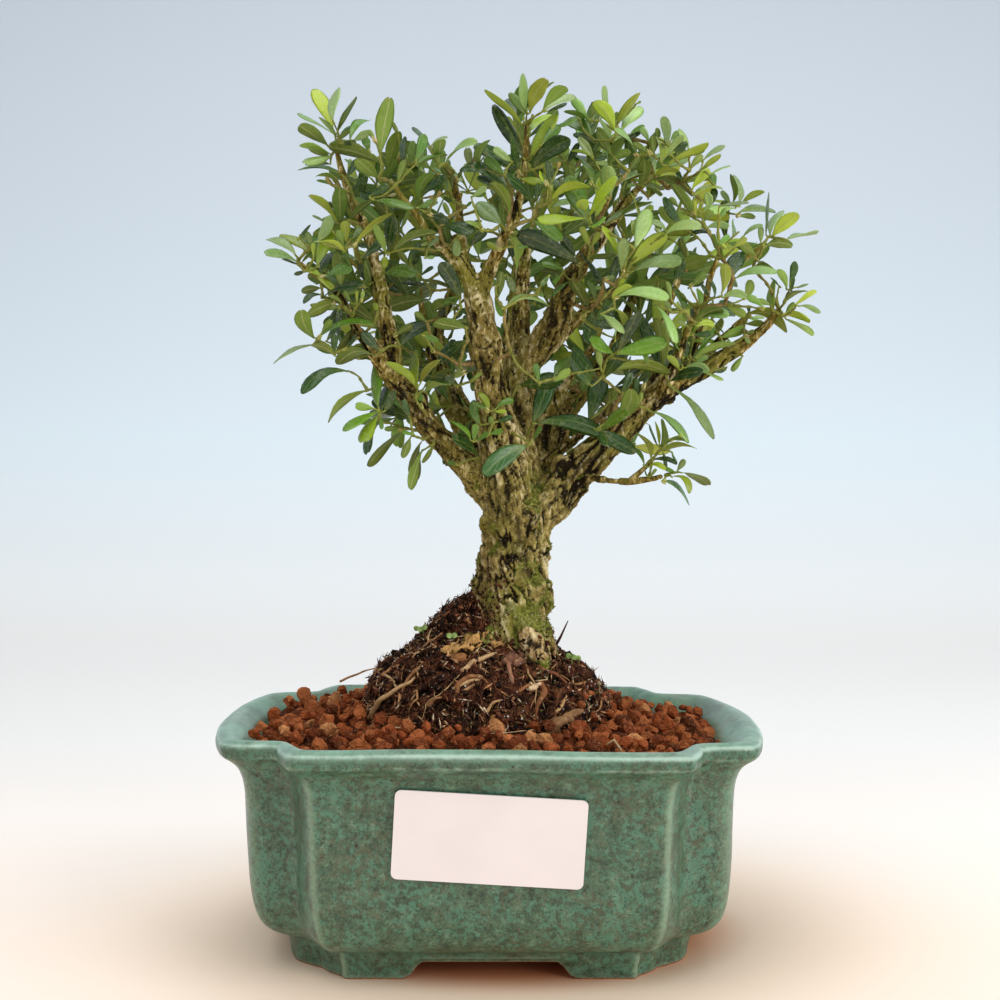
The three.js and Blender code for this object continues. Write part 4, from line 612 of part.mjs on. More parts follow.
for (const [name, colour, twigs, leaves] of SPRAYS) {
  let spray = null;
  const join = m => { const s = spray ? spray.add(m) : m; if (spray) { s.numTri(); spray.delete(); m.delete(); } spray = s; };
  for (const t of twigs) {
    const pts = []; for (let i = 0; i < t.length; i += 4) pts.push(t.slice(i, i + 4));
    join(toManifold(taperTube(pts, 3)));
  }
  for (const L of leaves) {
    const m = leafSolid(L, L.length > 12 ? L.slice(12, 15) : null);
    let hit = false;
    for (const o of placed) if (!hit && near(o, m)) { const x = m.intersect(o); hit = x.volume() > 1e-4; x.delete(); }
    if (hit) m.delete(); else join(m);
  }
  const cut = o => { const s = spray.subtract(o); s.numTri(); spray.delete(); spray = s; };
  cut(woodClear);
  for (const o of placed) if (near(o, spray)) { const x = spray.intersect(o), v = x.volume(); x.delete(); if (v > 1e-6) cut(o); }
  const parts = pieces(spray);
  // where a limb cuts a spray in two, a large second part is a shoot of its own on the other side of that limb
  parts.slice(0, 3).filter((p, i) => i === 0 || p.numTri() >= 96).forEach((p, i) => {
    placed.push(p);
    add(name + ['', '_second', '_third'][i], toGeometry(p), material(LEAF_COLOURS[colour], 0.45));
  });
}

// ---- settle on the shared origin ---------------------------------------------------------
const box = new THREE.Box3();
group.children.forEach(m => { m.geometry.computeBoundingBox(); box.union(m.geometry.boundingBox); });
const shift = new THREE.Vector3(-(box.min.x + box.max.x) / 2, -(box.min.y + box.max.y) / 2, -box.min.z);
group.children.forEach(m => m.geometry.translate(shift.x, shift.y, shift.z));
export default group;
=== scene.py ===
# Potted boxwood bonsai: the looks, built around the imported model. Lengths in the tables are tenths of a millimetre in the
# pot's own frame (origin under the middle of the pot), radii hundredths of a millimetre.
import math

import bpy
import numpy as np
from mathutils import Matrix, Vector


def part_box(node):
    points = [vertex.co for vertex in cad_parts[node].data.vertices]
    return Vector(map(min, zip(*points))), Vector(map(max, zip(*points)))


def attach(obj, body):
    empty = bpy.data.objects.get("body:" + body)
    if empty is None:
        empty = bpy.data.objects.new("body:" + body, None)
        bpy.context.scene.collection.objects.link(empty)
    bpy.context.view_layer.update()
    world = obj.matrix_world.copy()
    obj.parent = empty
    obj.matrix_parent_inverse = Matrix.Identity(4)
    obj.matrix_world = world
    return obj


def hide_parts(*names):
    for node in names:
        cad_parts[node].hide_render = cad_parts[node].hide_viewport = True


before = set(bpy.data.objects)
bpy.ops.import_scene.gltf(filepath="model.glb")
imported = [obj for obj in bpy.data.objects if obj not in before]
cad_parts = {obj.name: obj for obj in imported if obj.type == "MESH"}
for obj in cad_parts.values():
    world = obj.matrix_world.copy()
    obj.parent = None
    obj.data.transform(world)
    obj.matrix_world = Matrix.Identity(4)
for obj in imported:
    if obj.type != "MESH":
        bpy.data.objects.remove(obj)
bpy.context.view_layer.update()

_lo, _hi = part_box("pot")
DX, DY = (_lo[0] + _hi[0]) / 2 * 1000, (_lo[1] + _hi[1]) / 2 * 1000


# ---------------------------------------------------------------- helpers
class Noise:
    """Gradient noise on arrays of points, about -1 to 1."""

    def __init__(self, seed):
        r = np.random.default_rng(seed)
        p = r.permutation(256)
        self.p = np.concatenate([p, p, p])
        g = r.normal(size=(256, 3))
        self.g = g / np.linalg.norm(g, axis=1)[:, None]

    def __call__(self, P):
        P = np.asarray(P, float)
        i = np.floor(P).astype(int)
        f = P - i
        i &= 255
        u = f * f * f * (f * (f * 6 - 15) + 10)
        out = np.zeros(P.shape[:-1])
        for a in (0, 1):
            for b in (0, 1):
                for c in (0, 1):
                    h = self.p[self.p[self.p[(i[..., 0] + a) & 255] + ((i[..., 1] + b) & 255)] + ((i[..., 2] + c) & 255)]
                    w = (u[..., 0] if a else 1 - u[..., 0]) * (u[..., 1] if b else 1 - u[..., 1]) * (u[..., 2] if c else 1 - u[..., 2])
                    out += w * (self.g[h] * (f - (a, b, c))).sum(-1)
        return out * 1.6


_noise = {}


def noise(P, freq=1.0, seed=0):
    n = _noise.setdefault(seed, Noise(seed))
    return n(np.asarray(P) * freq + seed * 3.71)


def fbm(P, freq, octaves, seed, gain=0.5):
    out, a, tot = 0.0, 1.0, 0.0
    for k in range(octaves):
        out = out + a * noise(P, freq * 2 ** k, seed + k)
        tot += a
        a *= gain
    return out / tot


def smooth01(x, a, b):
    t = np.clip((np.asarray(x, float) - a) / (b - a), 0, 1)
    return t * t * (3 - 2 * t)


def unit(v):
    v = np.asarray(v, float)
    return v / (np.linalg.norm(v, axis=-1, keepdims=True) + 1e-12)


class Batch:
    """Vertices, faces and attributes gathered for one mesh, in mm in the pot's frame. Attributes named ...col are colours."""

    def __init__(self):
        self.V, self.F, self.M, self.n, self.pa = [], [], [], 0, {}

    def add(self, V, faces, mat=0, pa=None):
        V = np.asarray(V, float).reshape(-1, 3)
        for f in faces:
            f = np.asarray(f, int)
            if len(f):
                self.F.append(f + self.n)
                self.M.append(np.full(len(f), mat))
        for k, val in (pa or {}).items():
            shape = (len(V), 3) if k.endswith("col") else (len(V),)
            self.pa.setdefault(k, []).append((self.n, np.broadcast_to(np.asarray(val, float), shape)))
        self.V.append(V)
        self.n += len(V)

    def tris(self):
        return sum(len(f) * (f.shape[1] - 2) for f in self.F)

    def obj(self, name, mats, smooth=True, replaces=(), sharp=None):
        W = (np.concatenate(self.V) + [DX, DY, 0]) / 1000
        me = bpy.data.meshes.new(name)
        loops = np.concatenate([f.ravel() for f in self.F])
        sizes = np.concatenate([np.full(len(f), f.shape[1]) for f in self.F])
        starts = np.concatenate([[0], np.cumsum(sizes)[:-1]])
        me.vertices.add(len(W))
        me.vertices.foreach_set("co", W.ravel())
        me.loops.add(len(loops))
        me.loops.foreach_set("vertex_index", loops)
        me.polygons.add(len(sizes))
        me.polygons.foreach_set("loop_start", starts)
        me.update(calc_edges=True)
        for m in mats:
            me.materials.append(m)
        me.polygons.foreach_set("material_index", np.concatenate(self.M))
        me.polygons.foreach_set("use_smooth", np.full(len(sizes), smooth))
        for k, rows in self.pa.items():
            if k.endswith("col"):
                a = np.ones((len(W), 4))
                for at, val in rows:
                    a[at:at + len(val), :3] = val
                me.attributes.new(k, "FLOAT_COLOR", "POINT").data.foreach_set("color", a.ravel())
            else:
                a = np.zeros(len(W))
                for at, val in rows:
                    a[at:at + len(val)] = val
                me.attributes.new(k, "FLOAT", "POINT").data.foreach_set("value", a)
        o = bpy.data.objects.new(name, me)
        bpy.context.collection.objects.link(o)
        if sharp is not None:
            me.set_sharp_from_angle(angle=math.radians(sharp))
        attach(o, "root")
        if replaces:
            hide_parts(*replaces)
        return o


def curve_points(P, step):
    """A Catmull-Rom curve through rows of numbers (first three are the place), about step apart."""
    P = np.asarray(P, float)
    if len(P) < 3:
        n = max(2, int(np.linalg.norm(P[-1, :3] - P[0, :3]) / step) + 1)
        t = np.linspace(0, 1, n)[:, None]
        return P[0] * (1 - t) + P[-1] * t
    Q = np.vstack([2 * P[0] - P[1], P, 2 * P[-1] - P[-2]])
    out = []
    for i in range(1, len(Q) - 2):
        a, b, c, d = Q[i - 1], Q[i], Q[i + 1], Q[i + 2]
        n = max(1, int(round(np.linalg.norm((c - b)[:3]) / step)))
        t = (np.arange(n) / n)[:, None]
        out.append(0.5 * (2 * b + (c - a) * t + (2 * a - 5 * b + 4 * c - d) * t ** 2 + (3 * b - a - 3 * c + d) * t ** 3))
    out.append(Q[-2][None])
    return np.vstack(out)


def frames(P):
    """Unit tangents and two turning-free cross directions along a line of points."""
    T = np.gradient(P, axis=0)
    T = unit(T)
    U = np.zeros_like(P)
    ref = np.array([0, 0, 1.0]) if abs(T[0, 2]) < 0.8 else np.array([1.0, 0, 0])
    for i in range(len(P)):
        ref = ref - T[i] * (ref @ T[i])
        ref /= np.linalg.norm(ref) + 1e-12
        U[i] = ref
    return T, U, np.cross(T, U)


def tube(P, R, n=8, round_end=True):
    """Closed tube; ends pulled in to a small dome."""
    P = np.asarray(P, float)
    R = np.asarray(R, float) * np.ones(len(P))
    if round_end:
        T0, T1 = unit(P[0] - P[1]), unit(P[-1] - P[-2])
        P = np.vstack([P[0] + T0 * R[0] * 0.45, P[0], P[1:-1], P[-1], P[-1] + T1 * R[-1] * 0.45]) if len(P) > 2 else np.vstack([P[0] + T0 * R[0] * 0.45, P[0], P[-1], P[-1] + T1 * R[-1] * 0.45])
        R = np.concatenate([[R[0] * 0.55], R, [R[-1] * 0.55]])
    T, U, W = frames(P)
    a = np.arange(n) * 2 * math.pi / n
    V = P[:, None] + R[:, None, None] * (np.cos(a)[None, :, None] * U[:, None] + np.sin(a)[None, :, None] * W[:, None])
    k = len(P)
    i, j = np.meshgrid(np.arange(k - 1), np.arange(n), indexing="ij")
    j2 = (j + 1) % n
    quads = np.stack([i * n + j, i * n + j2, (i + 1) * n + j2, (i + 1) * n + j], -1).reshape(-1, 4)
    V = V.reshape(-1, 3)
    V = np.vstack([V, P[0] + unit(P[0] - P[1]) * R[0] * 0.35, P[-1] + unit(P[-1] - P[-2]) * R[-1] * 0.35])
    c0, c1 = k * n, k * n + 1
    jj = np.arange(n)
    t0 = np.stack([np.full(n, c0), (jj + 1) % n, jj], -1)
    t1 = np.stack([np.full(n, c1), (k - 1) * n + jj, (k - 1) * n + (jj + 1) % n], -1)
    return V, [quads, t0, t1]


def ico(level):
    """Unit icosphere as vertices and triangles."""
    g = (1 + 5 ** 0.5) / 2
    V = [(-1, g, 0), (1, g, 0), (-1, -g, 0), (1, -g, 0), (0, -1, g), (0, 1, g), (0, -1, -g), (0, 1, -g), (g, 0, -1), (g, 0, 1), (-g, 0, -1), (-g, 0, 1)]
    F = [(0, 11, 5), (0, 5, 1), (0, 1, 7), (0, 7, 10), (0, 10, 11), (1, 5, 9), (5, 11, 4), (11, 10, 2), (10, 7, 6), (7, 1, 8),
         (3, 9, 4), (3, 4, 2), (3, 2, 6), (3, 6, 8), (3, 8, 9), (4, 9, 5), (2, 4, 11), (6, 2, 10), (8, 6, 7), (9, 8, 1)]
    V = [np.array(v, float) / np.linalg.norm(v) for v in V]
    for _ in range(level):
        seen, G = {}, []

        def mid(a, b):
            k = (min(a, b), max(a, b))
            if k not in seen:
                m = V[a] + V[b]
                V.append(m / np.linalg.norm(m))
                seen[k] = len(V) - 1
            return seen[k]
        for a, b, c in F:
            x, y, z = mid(a, b), mid(b, c), mid(c, a)
            G += [(a, x, z), (b, y, x), (c, z, y), (x, y, z)]
        F = G
    return np.array(V), np.array(F)


def srgb(r, g, b):
    """Linear colour from 0..255 values."""
    c = np.array([r, g, b], float) / 255
    return np.where(c <= 0.04045, c / 12.92, ((c + 0.055) / 1.055) ** 2.4)


class Mat:
    """A node material under construction."""

    def __init__(self, name, rough=0.5, spec=0.5, **sockets):
        self.m = bpy.data.materials.new(name)
        self.m.use_nodes = True
        self.t = self.m.node_tree
        self.b = self.t.nodes["Principled BSDF"]
        self.b.inputs["Roughness"].default_value = rough
        self.b.inputs["Specular IOR Level"].default_value = spec
        for k, v in sockets.items():
            self.b.inputs[k].default_value = v

    def node(self, kind, **inputs):
        n = self.t.nodes.new(kind)
        for k, v in inputs.items():
            s = n.inputs[int(k[1:])] if k[0] == "_" else n.inputs[k]
            if isinstance(v, bpy.types.NodeSocket):
                self.t.links.new(v, s)
            else:
                s.default_value = v
        return n

    def coord(self, scale=1.0):
        c = self.node("ShaderNodeTexCoord")
        mp = self.node("ShaderNodeMapping")
        self.t.links.new(c.outputs["Object"], mp.inputs["Vector"])
        s = (scale, scale, scale) if np.ndim(scale) == 0 else scale
        mp.inputs["Scale"].default_value = s
        return mp.outputs["Vector"]

    def noise(self, vec, scale, detail=3.0, rough=0.55, distortion=0.0):
        n = self.node("ShaderNodeTexNoise", Vector=vec, Scale=scale, Detail=detail, Roughness=rough, Distortion=distortion)
        return n.outputs["Fac"]

    def voronoi(self, vec, scale, feature="F1", rand=1.0):
        n = self.node("ShaderNodeTexVoronoi", Vector=vec, Scale=scale, Randomness=rand)
        n.feature = feature
        return n

    def ramp(self, fac, stops, mode="EASE"):
        n = self.t.nodes.new("ShaderNodeValToRGB")
        r = n.color_ramp
        r.interpolation = mode
        while len(r.elements) > 1:
            r.elements.remove(r.elements[-1])
        for i, (p, c) in enumerate(stops):
            e = r.elements[0] if i == 0 else r.elements.new(p)
            e.position = p
            c = (c, c, c) if np.ndim(c) == 0 else c
            e.color = (*[float(q) for q in c], 1)
        self.t.links.new(fac, n.inputs["Fac"])
        return n.outputs["Color"]

    def mix(self, fac, a, b, kind="MIX"):
        n = self.t.nodes.new("ShaderNodeMix")
        n.data_type, n.blend_type, n.clamp_factor = "RGBA", kind, True
        for s, v in ((n.inputs[0], fac), (n.inputs[6], a), (n.inputs[7], b)):
            if isinstance(v, bpy.types.NodeSocket):
                self.t.links.new(v, s)
            elif np.ndim(v):
                s.default_value = (*[float(q) for q in v], 1)
            else:
                s.default_value = v
        return n.outputs[2]

    def math(self, op, a, b=0.0, c=0.0, clamp=False):
        n = self.t.nodes.new("ShaderNodeMath")
        n.operation, n.use_clamp = op, clamp
        for s, v in zip(n.inputs, (a, b, c)):
            if isinstance(v, bpy.types.NodeSocket):
                self.t.links.new(v, s)
            else:
                s.default_value = v
        return n.outputs[0]

    def attr(self, name, out="Fac"):
        n = self.t.nodes.new("ShaderNodeAttribute")
        n.attribute_name = name
        return n.outputs[out]

    def step(self, v, a, b):
        n = self.t.nodes.new("ShaderNodeMapRange")
        n.interpolation_type = "SMOOTHSTEP"
        self.t.links.new(v, n.inputs["Value"])
        n.inputs["From Min"].default_value, n.inputs["From Max"].default_value = a, b
        return n.outputs["Result"]

    def color(self, v):
        if isinstance(v, bpy.types.NodeSocket):
            self.t.links.new(v, self.b.inputs["Base Color"])
        else:
            self.b.inputs["Base Color"].default_value = (*[float(q) for q in v], 1)

    def rough(self, v):
        self.t.links.new(v, self.b.inputs["Roughness"])

    def bump(self, *layers):
        """layers of (height, distance in mm)"""
        prev = None
        for h, d in layers:
            n = self.t.nodes.new("ShaderNodeBump")
            n.inputs["Strength"].default_value = 1.0
            n.inputs["Distance"].default_value = d / 1000
            self.t.links.new(h, n.inputs["Height"])
            if prev:
                self.t.links.new(prev, n.inputs["Normal"])
            prev = n.outputs["Normal"]
        self.t.links.new(prev, self.b.inputs["Normal"])


# ---------------------------------------------------------------- camera and light
cam = bpy.data.objects.new("camera", bpy.data.cameras.new("camera"))
bpy.context.collection.objects.link(cam)
cam.location = ((3.264 + DX) / 1000, (-400.07 + DY) / 1000, 0.136415)
cam.rotation_euler = (math.radians(90 - 1.673), 0, 0)
cam.data.sensor_width = 36
cam.data.lens = 50.34
cam.data.clip_start = 0.01
bpy.context.scene.camera = cam
bpy.context.scene.view_settings.view_transform = "Standard"


# ---------------------------------------------------------------- light levels and colours that were tuned
LIGHT_KEY, LIGHT_FILL, LIGHT_TOP, LIGHT_WORLD = 3.6, 7.0, 5.0, 0.40
BG_FLOOR, BG_NEAR, BG_MID, BG_TOP = srgb(245, 229, 216), srgb(241, 239, 236), srgb(225, 237, 244), srgb(201, 211, 222)
POT_DARK, POT_MAIN, POT_MAIN2, POT_LIGHT = (42, 62, 48), (62, 88, 66), (76, 104, 80), (112, 144, 118)
POT_BROWN, POT_SPECK, POT_EDGE_GLAZE_AND_HIGHLIGHT, POT_POOL, POT_TURQ, POT_RIM_HIGHLIGHT = (100, 88, 64), (32, 38, 28), (150, 178, 156), (54, 86, 68), (82, 136, 112), (190, 218, 200)
SOIL_COLS = [(176, 100, 57), (158, 82, 44), (190, 112, 67), (134, 68, 38), (208, 143, 91), (101, 53, 30)]
SOIL_SHARE = [30, 26, 16, 16, 5, 7]
PEAT_DARK, PEAT_MID, PEAT_RED, PEAT_OCHRE = (18, 8, 5), (42, 21, 13), (92, 48, 29), (148, 100, 58)
MOSS_COLS = [(92, 108, 36), (124, 138, 50), (66, 82, 28), (140, 138, 60)]
BARK_OLD = [(70, 56, 26), (122, 108, 56), (164, 148, 86), (206, 192, 134)]
BARK_YOUNG = [(50, 40, 14), (116, 99, 42), (172, 153, 82), (232, 215, 154)]
BARK_OLIVE, BARK_PALE_AND_HIGHLIGHT, BARK_CRACK_AND_SHADE = (136, 136, 54), (238, 225, 178), (22, 14, 6)
# in both tables, kind p is a pale leaf whose colour holds a painted sheen of reflected sky
LEAF_TOPS = {"y": (166, 190, 38), "g": (98, 144, 36), "d": (46, 84, 28), "p": (146, 178, 100), "o": (106, 130, 30), "b": (150, 128, 62), "w": (206, 204, 140)}
LEAF_UNDERS = {"y": (172, 190, 72), "g": (132, 160, 72), "d": (100, 132, 64), "p": (150, 174, 110), "o": (130, 152, 62), "b": (164, 146, 84), "w": (212, 210, 156)}
STALK, TWIG_OLD, TWIG_NEW = (150, 162, 70), (134, 112, 62), (140, 146, 66)
BUD_SHARE, LEAF_THROUGH = 0.14, 0.18
BG_GLOW = 0.25


# ---------------------------------------------------------------- measured and grown lines of the plant
LIMBS = {  # x, y, z in tenths of a millimetre, radius in hundredths
    "trunk": [79, 0, 776, 862, 67, 0, 845, 947, 64, 0, 909, 1062, 67, 0, 960, 1033, 70, 0, 1075, 960, 78, 0, 1161, 959, 90, 0, 1216, 1088, 93, 0, 1244, 859, 93, 0, 1267, 458],
    "b1": [50, 0, 1213, 573, 10, -20, 1265, 484, -36, -30, 1316, 412, -81, -40, 1362, 368, -134, -60, 1418, 352, -186, -80, 1488, 336, -238, -90, 1557, 307, -290, -100, 1626, 250, -332, -100, 1684, 209, -372, -90, 1732, 167, -398, -80, 1795, 126, -443, -70, 1849, 98, -492, -60, 1884, 77, -536, -50, 1921, 56],
    "b2": [-263, -90, 1585, 279, -272, -80, 1678, 252, -293, -60, 1760, 239, -305, -50, 1840, 225, -323, -40, 1920, 183, -335, -30, 1978, 170, -354, -30, 2031, 155, -383, -20, 2092, 127, -403, -20, 2148, 113, -421, -10, 2192, 92, -433, 0, 2248, 64],
    "b3": [61, -30, 1214, 710, 50, -50, 1305, 650, 38, -60, 1376, 591, 27, -80, 1446, 532, 13, -100, 1529, 487, 2, -110, 1612, 458, -12, -120, 1713, 429, -22, -130, 1778, 400, -39, -140, 1835, 344],
    "b3a": [-36, -140, 1824, 275, -72, -150, 1888, 206, -115, -160, 1936, 164, -153, -170, 1967, 123, -185, -180, 2014, 95, -228, -180, 2070, 81, -264, -170, 2121, 54],
    "b3b": [-42, -140, 1835, 247, -67, -130, 1913, 179, -78, -110, 1993, 152, -81, -90, 2057, 125, -90, -70, 2110, 98, -105, -60, 2151, 63],
    "b3c": [-28, -130, 1803, 262, 2, -150, 1882, 219, 33, -170, 1942, 191, 54, -180, 1981, 163, 71, -180, 2008, 149, 82, -170, 2062, 136, 96, -150, 2133, 109, 104, -130, 2214, 96, 110, -120, 2284, 69],
    "b4": [102, 30, 1212, 721, 90, 30, 1304, 663, 82, 40, 1391, 606, 85, 50, 1492, 579, 91, 60, 1576, 551, 102, 60, 1669, 521],
    "b4a": [91, 70, 1652, 377, 88, 80, 1743, 320, 94, 100, 1829, 263, 100, 120, 1904, 205, 115, 130, 1976, 147, 124, 140, 2045, 103],
    "b4b": [108, 50, 1650, 462, 156, 20, 1706, 416, 192, 0, 1761, 385, 208, -20, 1815, 355, 231, -30, 1865, 311, 264, -40, 1920, 268, 300, -40, 1970, 225, 331, -40, 2010, 197, 372, -30, 2067, 169, 420, -20, 2125, 127, 465, 0, 2172, 85],
    "b4c": [174, 40, 1687, 259, 229, 50, 1743, 217, 284, 60, 1798, 174, 328, 70, 1834, 145, 370, 80, 1867, 116, 408, 90, 1915, 80],
    "b5": [126, 70, 1274, 408, 144, 90, 1376, 322, 164, 100, 1450, 264, 201, 130, 1536, 206, 246, 160, 1620, 163, 308, 190, 1696, 134, 342, 220, 1774, 90],
    "b5b": [163, 60, 1356, 203, 242, 70, 1414, 145, 301, 80, 1472, 131, 362, 80, 1516, 117, 417, 80, 1589, 87],
    "b6": [96, 0, 1213, 859, 161, 0, 1239, 716, 210, 10, 1281, 631, 256, 10, 1333, 559, 305, 10, 1373, 502, 356, 10, 1425, 459, 410, 0, 1479, 414, 464, 0, 1530, 371, 517, -10, 1567, 328, 571, -10, 1595, 299, 623, -20, 1626, 270, 677, -20, 1660, 241, 728, -20, 1691, 199, 757, -30, 1718, 156, 794, -30, 1752, 113, 820, -40, 1788, 71],
    "b6b": [282, -40, 1314, 127, 347, -80, 1303, 112, 407, -90, 1303, 98, 457, -100, 1309, 84, 492, -110, 1320, 56],
    "b6c": [396, -90, 1303, 98, 429, -100, 1334, 70, 455, -110, 1362, 56],
    "b6d": [487, -20, 1544, 213, 512, -50, 1610, 169, 544, -80, 1683, 140, 561, -100, 1737, 97, 577, -120, 1782, 69],
    "b6e": [604, 0, 1624, 171, 651, 30, 1692, 144, 711, 50, 1743, 116, 764, 70, 1791, 73],
    "b6f": [436, 30, 1506, 216, 484, 80, 1595, 175, 503, 120, 1685, 147, 522, 160, 1777, 119, 556, 200, 1870, 90, 598, 220, 1947, 60],
    "b6g": [535, 20, 1574, 172, 594, 80, 1676, 146, 629, 120, 1787, 117, 652, 140, 1892, 88, 683, 150, 1976, 59],
    "bb1": [56, 50, 1246, 522, -6, 150, 1391, 430, -100, 230, 1528, 362, -154, 300, 1653, 276, -157, 360, 1781, 202, -105, 400, 1910, 141, -109, 430, 2039, 79],
    "bb2": [91, 70, 1245, 495, 90, 190, 1422, 404, 75, 280, 1591, 336, 64, 350, 1749, 248, 80, 400, 1910, 172, 96, 430, 2070, 95],
    "bb3": [126, 70, 1245, 524, 173, 170, 1391, 432, 249, 260, 1529, 335, 372, 330, 1676, 247, 436, 390, 1837, 172, 495, 420, 1984, 94],
    "bb4": [9, 70, 1304, 320, -62, 140, 1421, 251, -130, 210, 1542, 210, -181, 270, 1696, 152, -214, 320, 1854, 92],
    "root1": [40, -40, 880, 500, -20, -80, 840, 360, -60, -120, 800, 240, -90, -140, 770, 140],
    "root2": [90, -50, 920, 550, 120, -85, 860, 440, 140, -115, 805, 360, 152, -135, 765, 240, 160, -145, 740, 140],
    "root3": [0, 40, 900, 460, -50, 80, 840, 320, -90, 115, 780, 200, -110, 130, 750, 130],
    "root4": [120, 50, 900, 460, 150, 80, 830, 320, 175, 105, 770, 200, 185, 115, 740, 120],
    "root5": [130, 0, 900, 420, 160, -10, 840, 300, 185, -25, 780, 200, 195, -35, 750, 120]}
SPRAYS = [  # piece, the solids that it stands for
    ("leaves_left_mid_front_c", ["spray_left_mid_front_c"]),
    ("leaves_left_top_inner_a", ["spray_left_top_inner_a"]),
    ("leaves_left_top_front_a", ["spray_left_top_front_a"]),
    ("leaves_middle_top_inner_a", ["spray_middle_top_inner_a"]),
    ("leaves_middle_top_front_b", ["spray_middle_top_front_b"]),
    ("leaves_middle_top_back_d", ["spray_middle_top_back_d"]),
    ("leaves_right_top_inner_a", ["spray_right_top_inner_a"]),
    ("leaves_middle_mid_back_a", ["spray_middle_mid_back_a"]),
    ("leaves_right_mid_front_c", ["spray_right_mid_front_c"]),
    ("leaves_right_low_front_b", ["spray_right_low_front_b"]),
    ("leaves_right_low_front_a", ["spray_right_low_front_a"]),
    ("leaves_right_mid_front_b", ["spray_right_mid_front_b"]),
    ("leaves_right_mid_back_a", ["spray_right_mid_back_a"]),
    ("leaves_right_mid_inner_b", ["spray_right_mid_inner_b"]),
    ("leaves_middle_top_back_a", ["spray_middle_top_back_a"]),
    ("leaves_middle_top_back_c", ["spray_middle_top_back_c"]),
    ("leaves_middle_top_back_b", ["spray_middle_top_back_b"]),
    ("leaves_left_mid_back_a", ["spray_left_mid_back_a"]),
    ("leaves_left_low_front_a", ["spray_left_low_front_a"]),
    ("leaves_left_low_front_b", ["spray_left_low_front_b"]),
    ("leaves_left_mid_front_a", ["spray_left_mid_front_a", "spray_left_mid_front_a_second"]),
    ("leaves_left_mid_front_b", ["spray_left_mid_front_b"]),
    ("leaves_left_top_inner_b", ["spray_left_top_inner_b", "spray_left_top_inner_b_second"]),
    ("leaves_middle_low_front_b", ["spray_middle_low_front_b"]),
    ("leaves_middle_mid_front_a", ["spray_middle_mid_front_a"]),
    ("leaves_middle_mid_front_b", ["spray_middle_mid_front_b"]),
    ("leaves_middle_top_front_a", ["spray_middle_top_front_a", "spray_middle_top_front_a_second"]),
    ("leaves_middle_low_inner_a", ["spray_middle_low_inner_a"]),
    ("leaves_right_mid_front_a", ["spray_right_mid_front_a"]),
    ("leaves_right_top_front_a", ["spray_right_top_front_a"]),
    ("leaves_right_low_back_a", ["spray_right_low_back_a"]),
    ("leaves_middle_low_front_a", ["spray_middle_low_front_a"]),
    ("leaves_right_low_inner_a", ["spray_right_low_inner_a"]),
    ("leaves_right_mid_inner_a", ["spray_right_mid_inner_a"]),
    ("leaves_middle_low_back_c", ["spray_middle_low_back_c", "spray_middle_low_back_c_second"]),
    ("leaves_middle_low_back_a", ["spray_middle_low_back_a", "spray_middle_low_back_a_second"]),
    ("leaves_left_mid_back_b", ["spray_left_mid_back_b", "spray_left_mid_back_b_second"]),
    ("leaves_middle_low_back_b", ["spray_middle_low_back_b", "spray_middle_low_back_b_second"])]
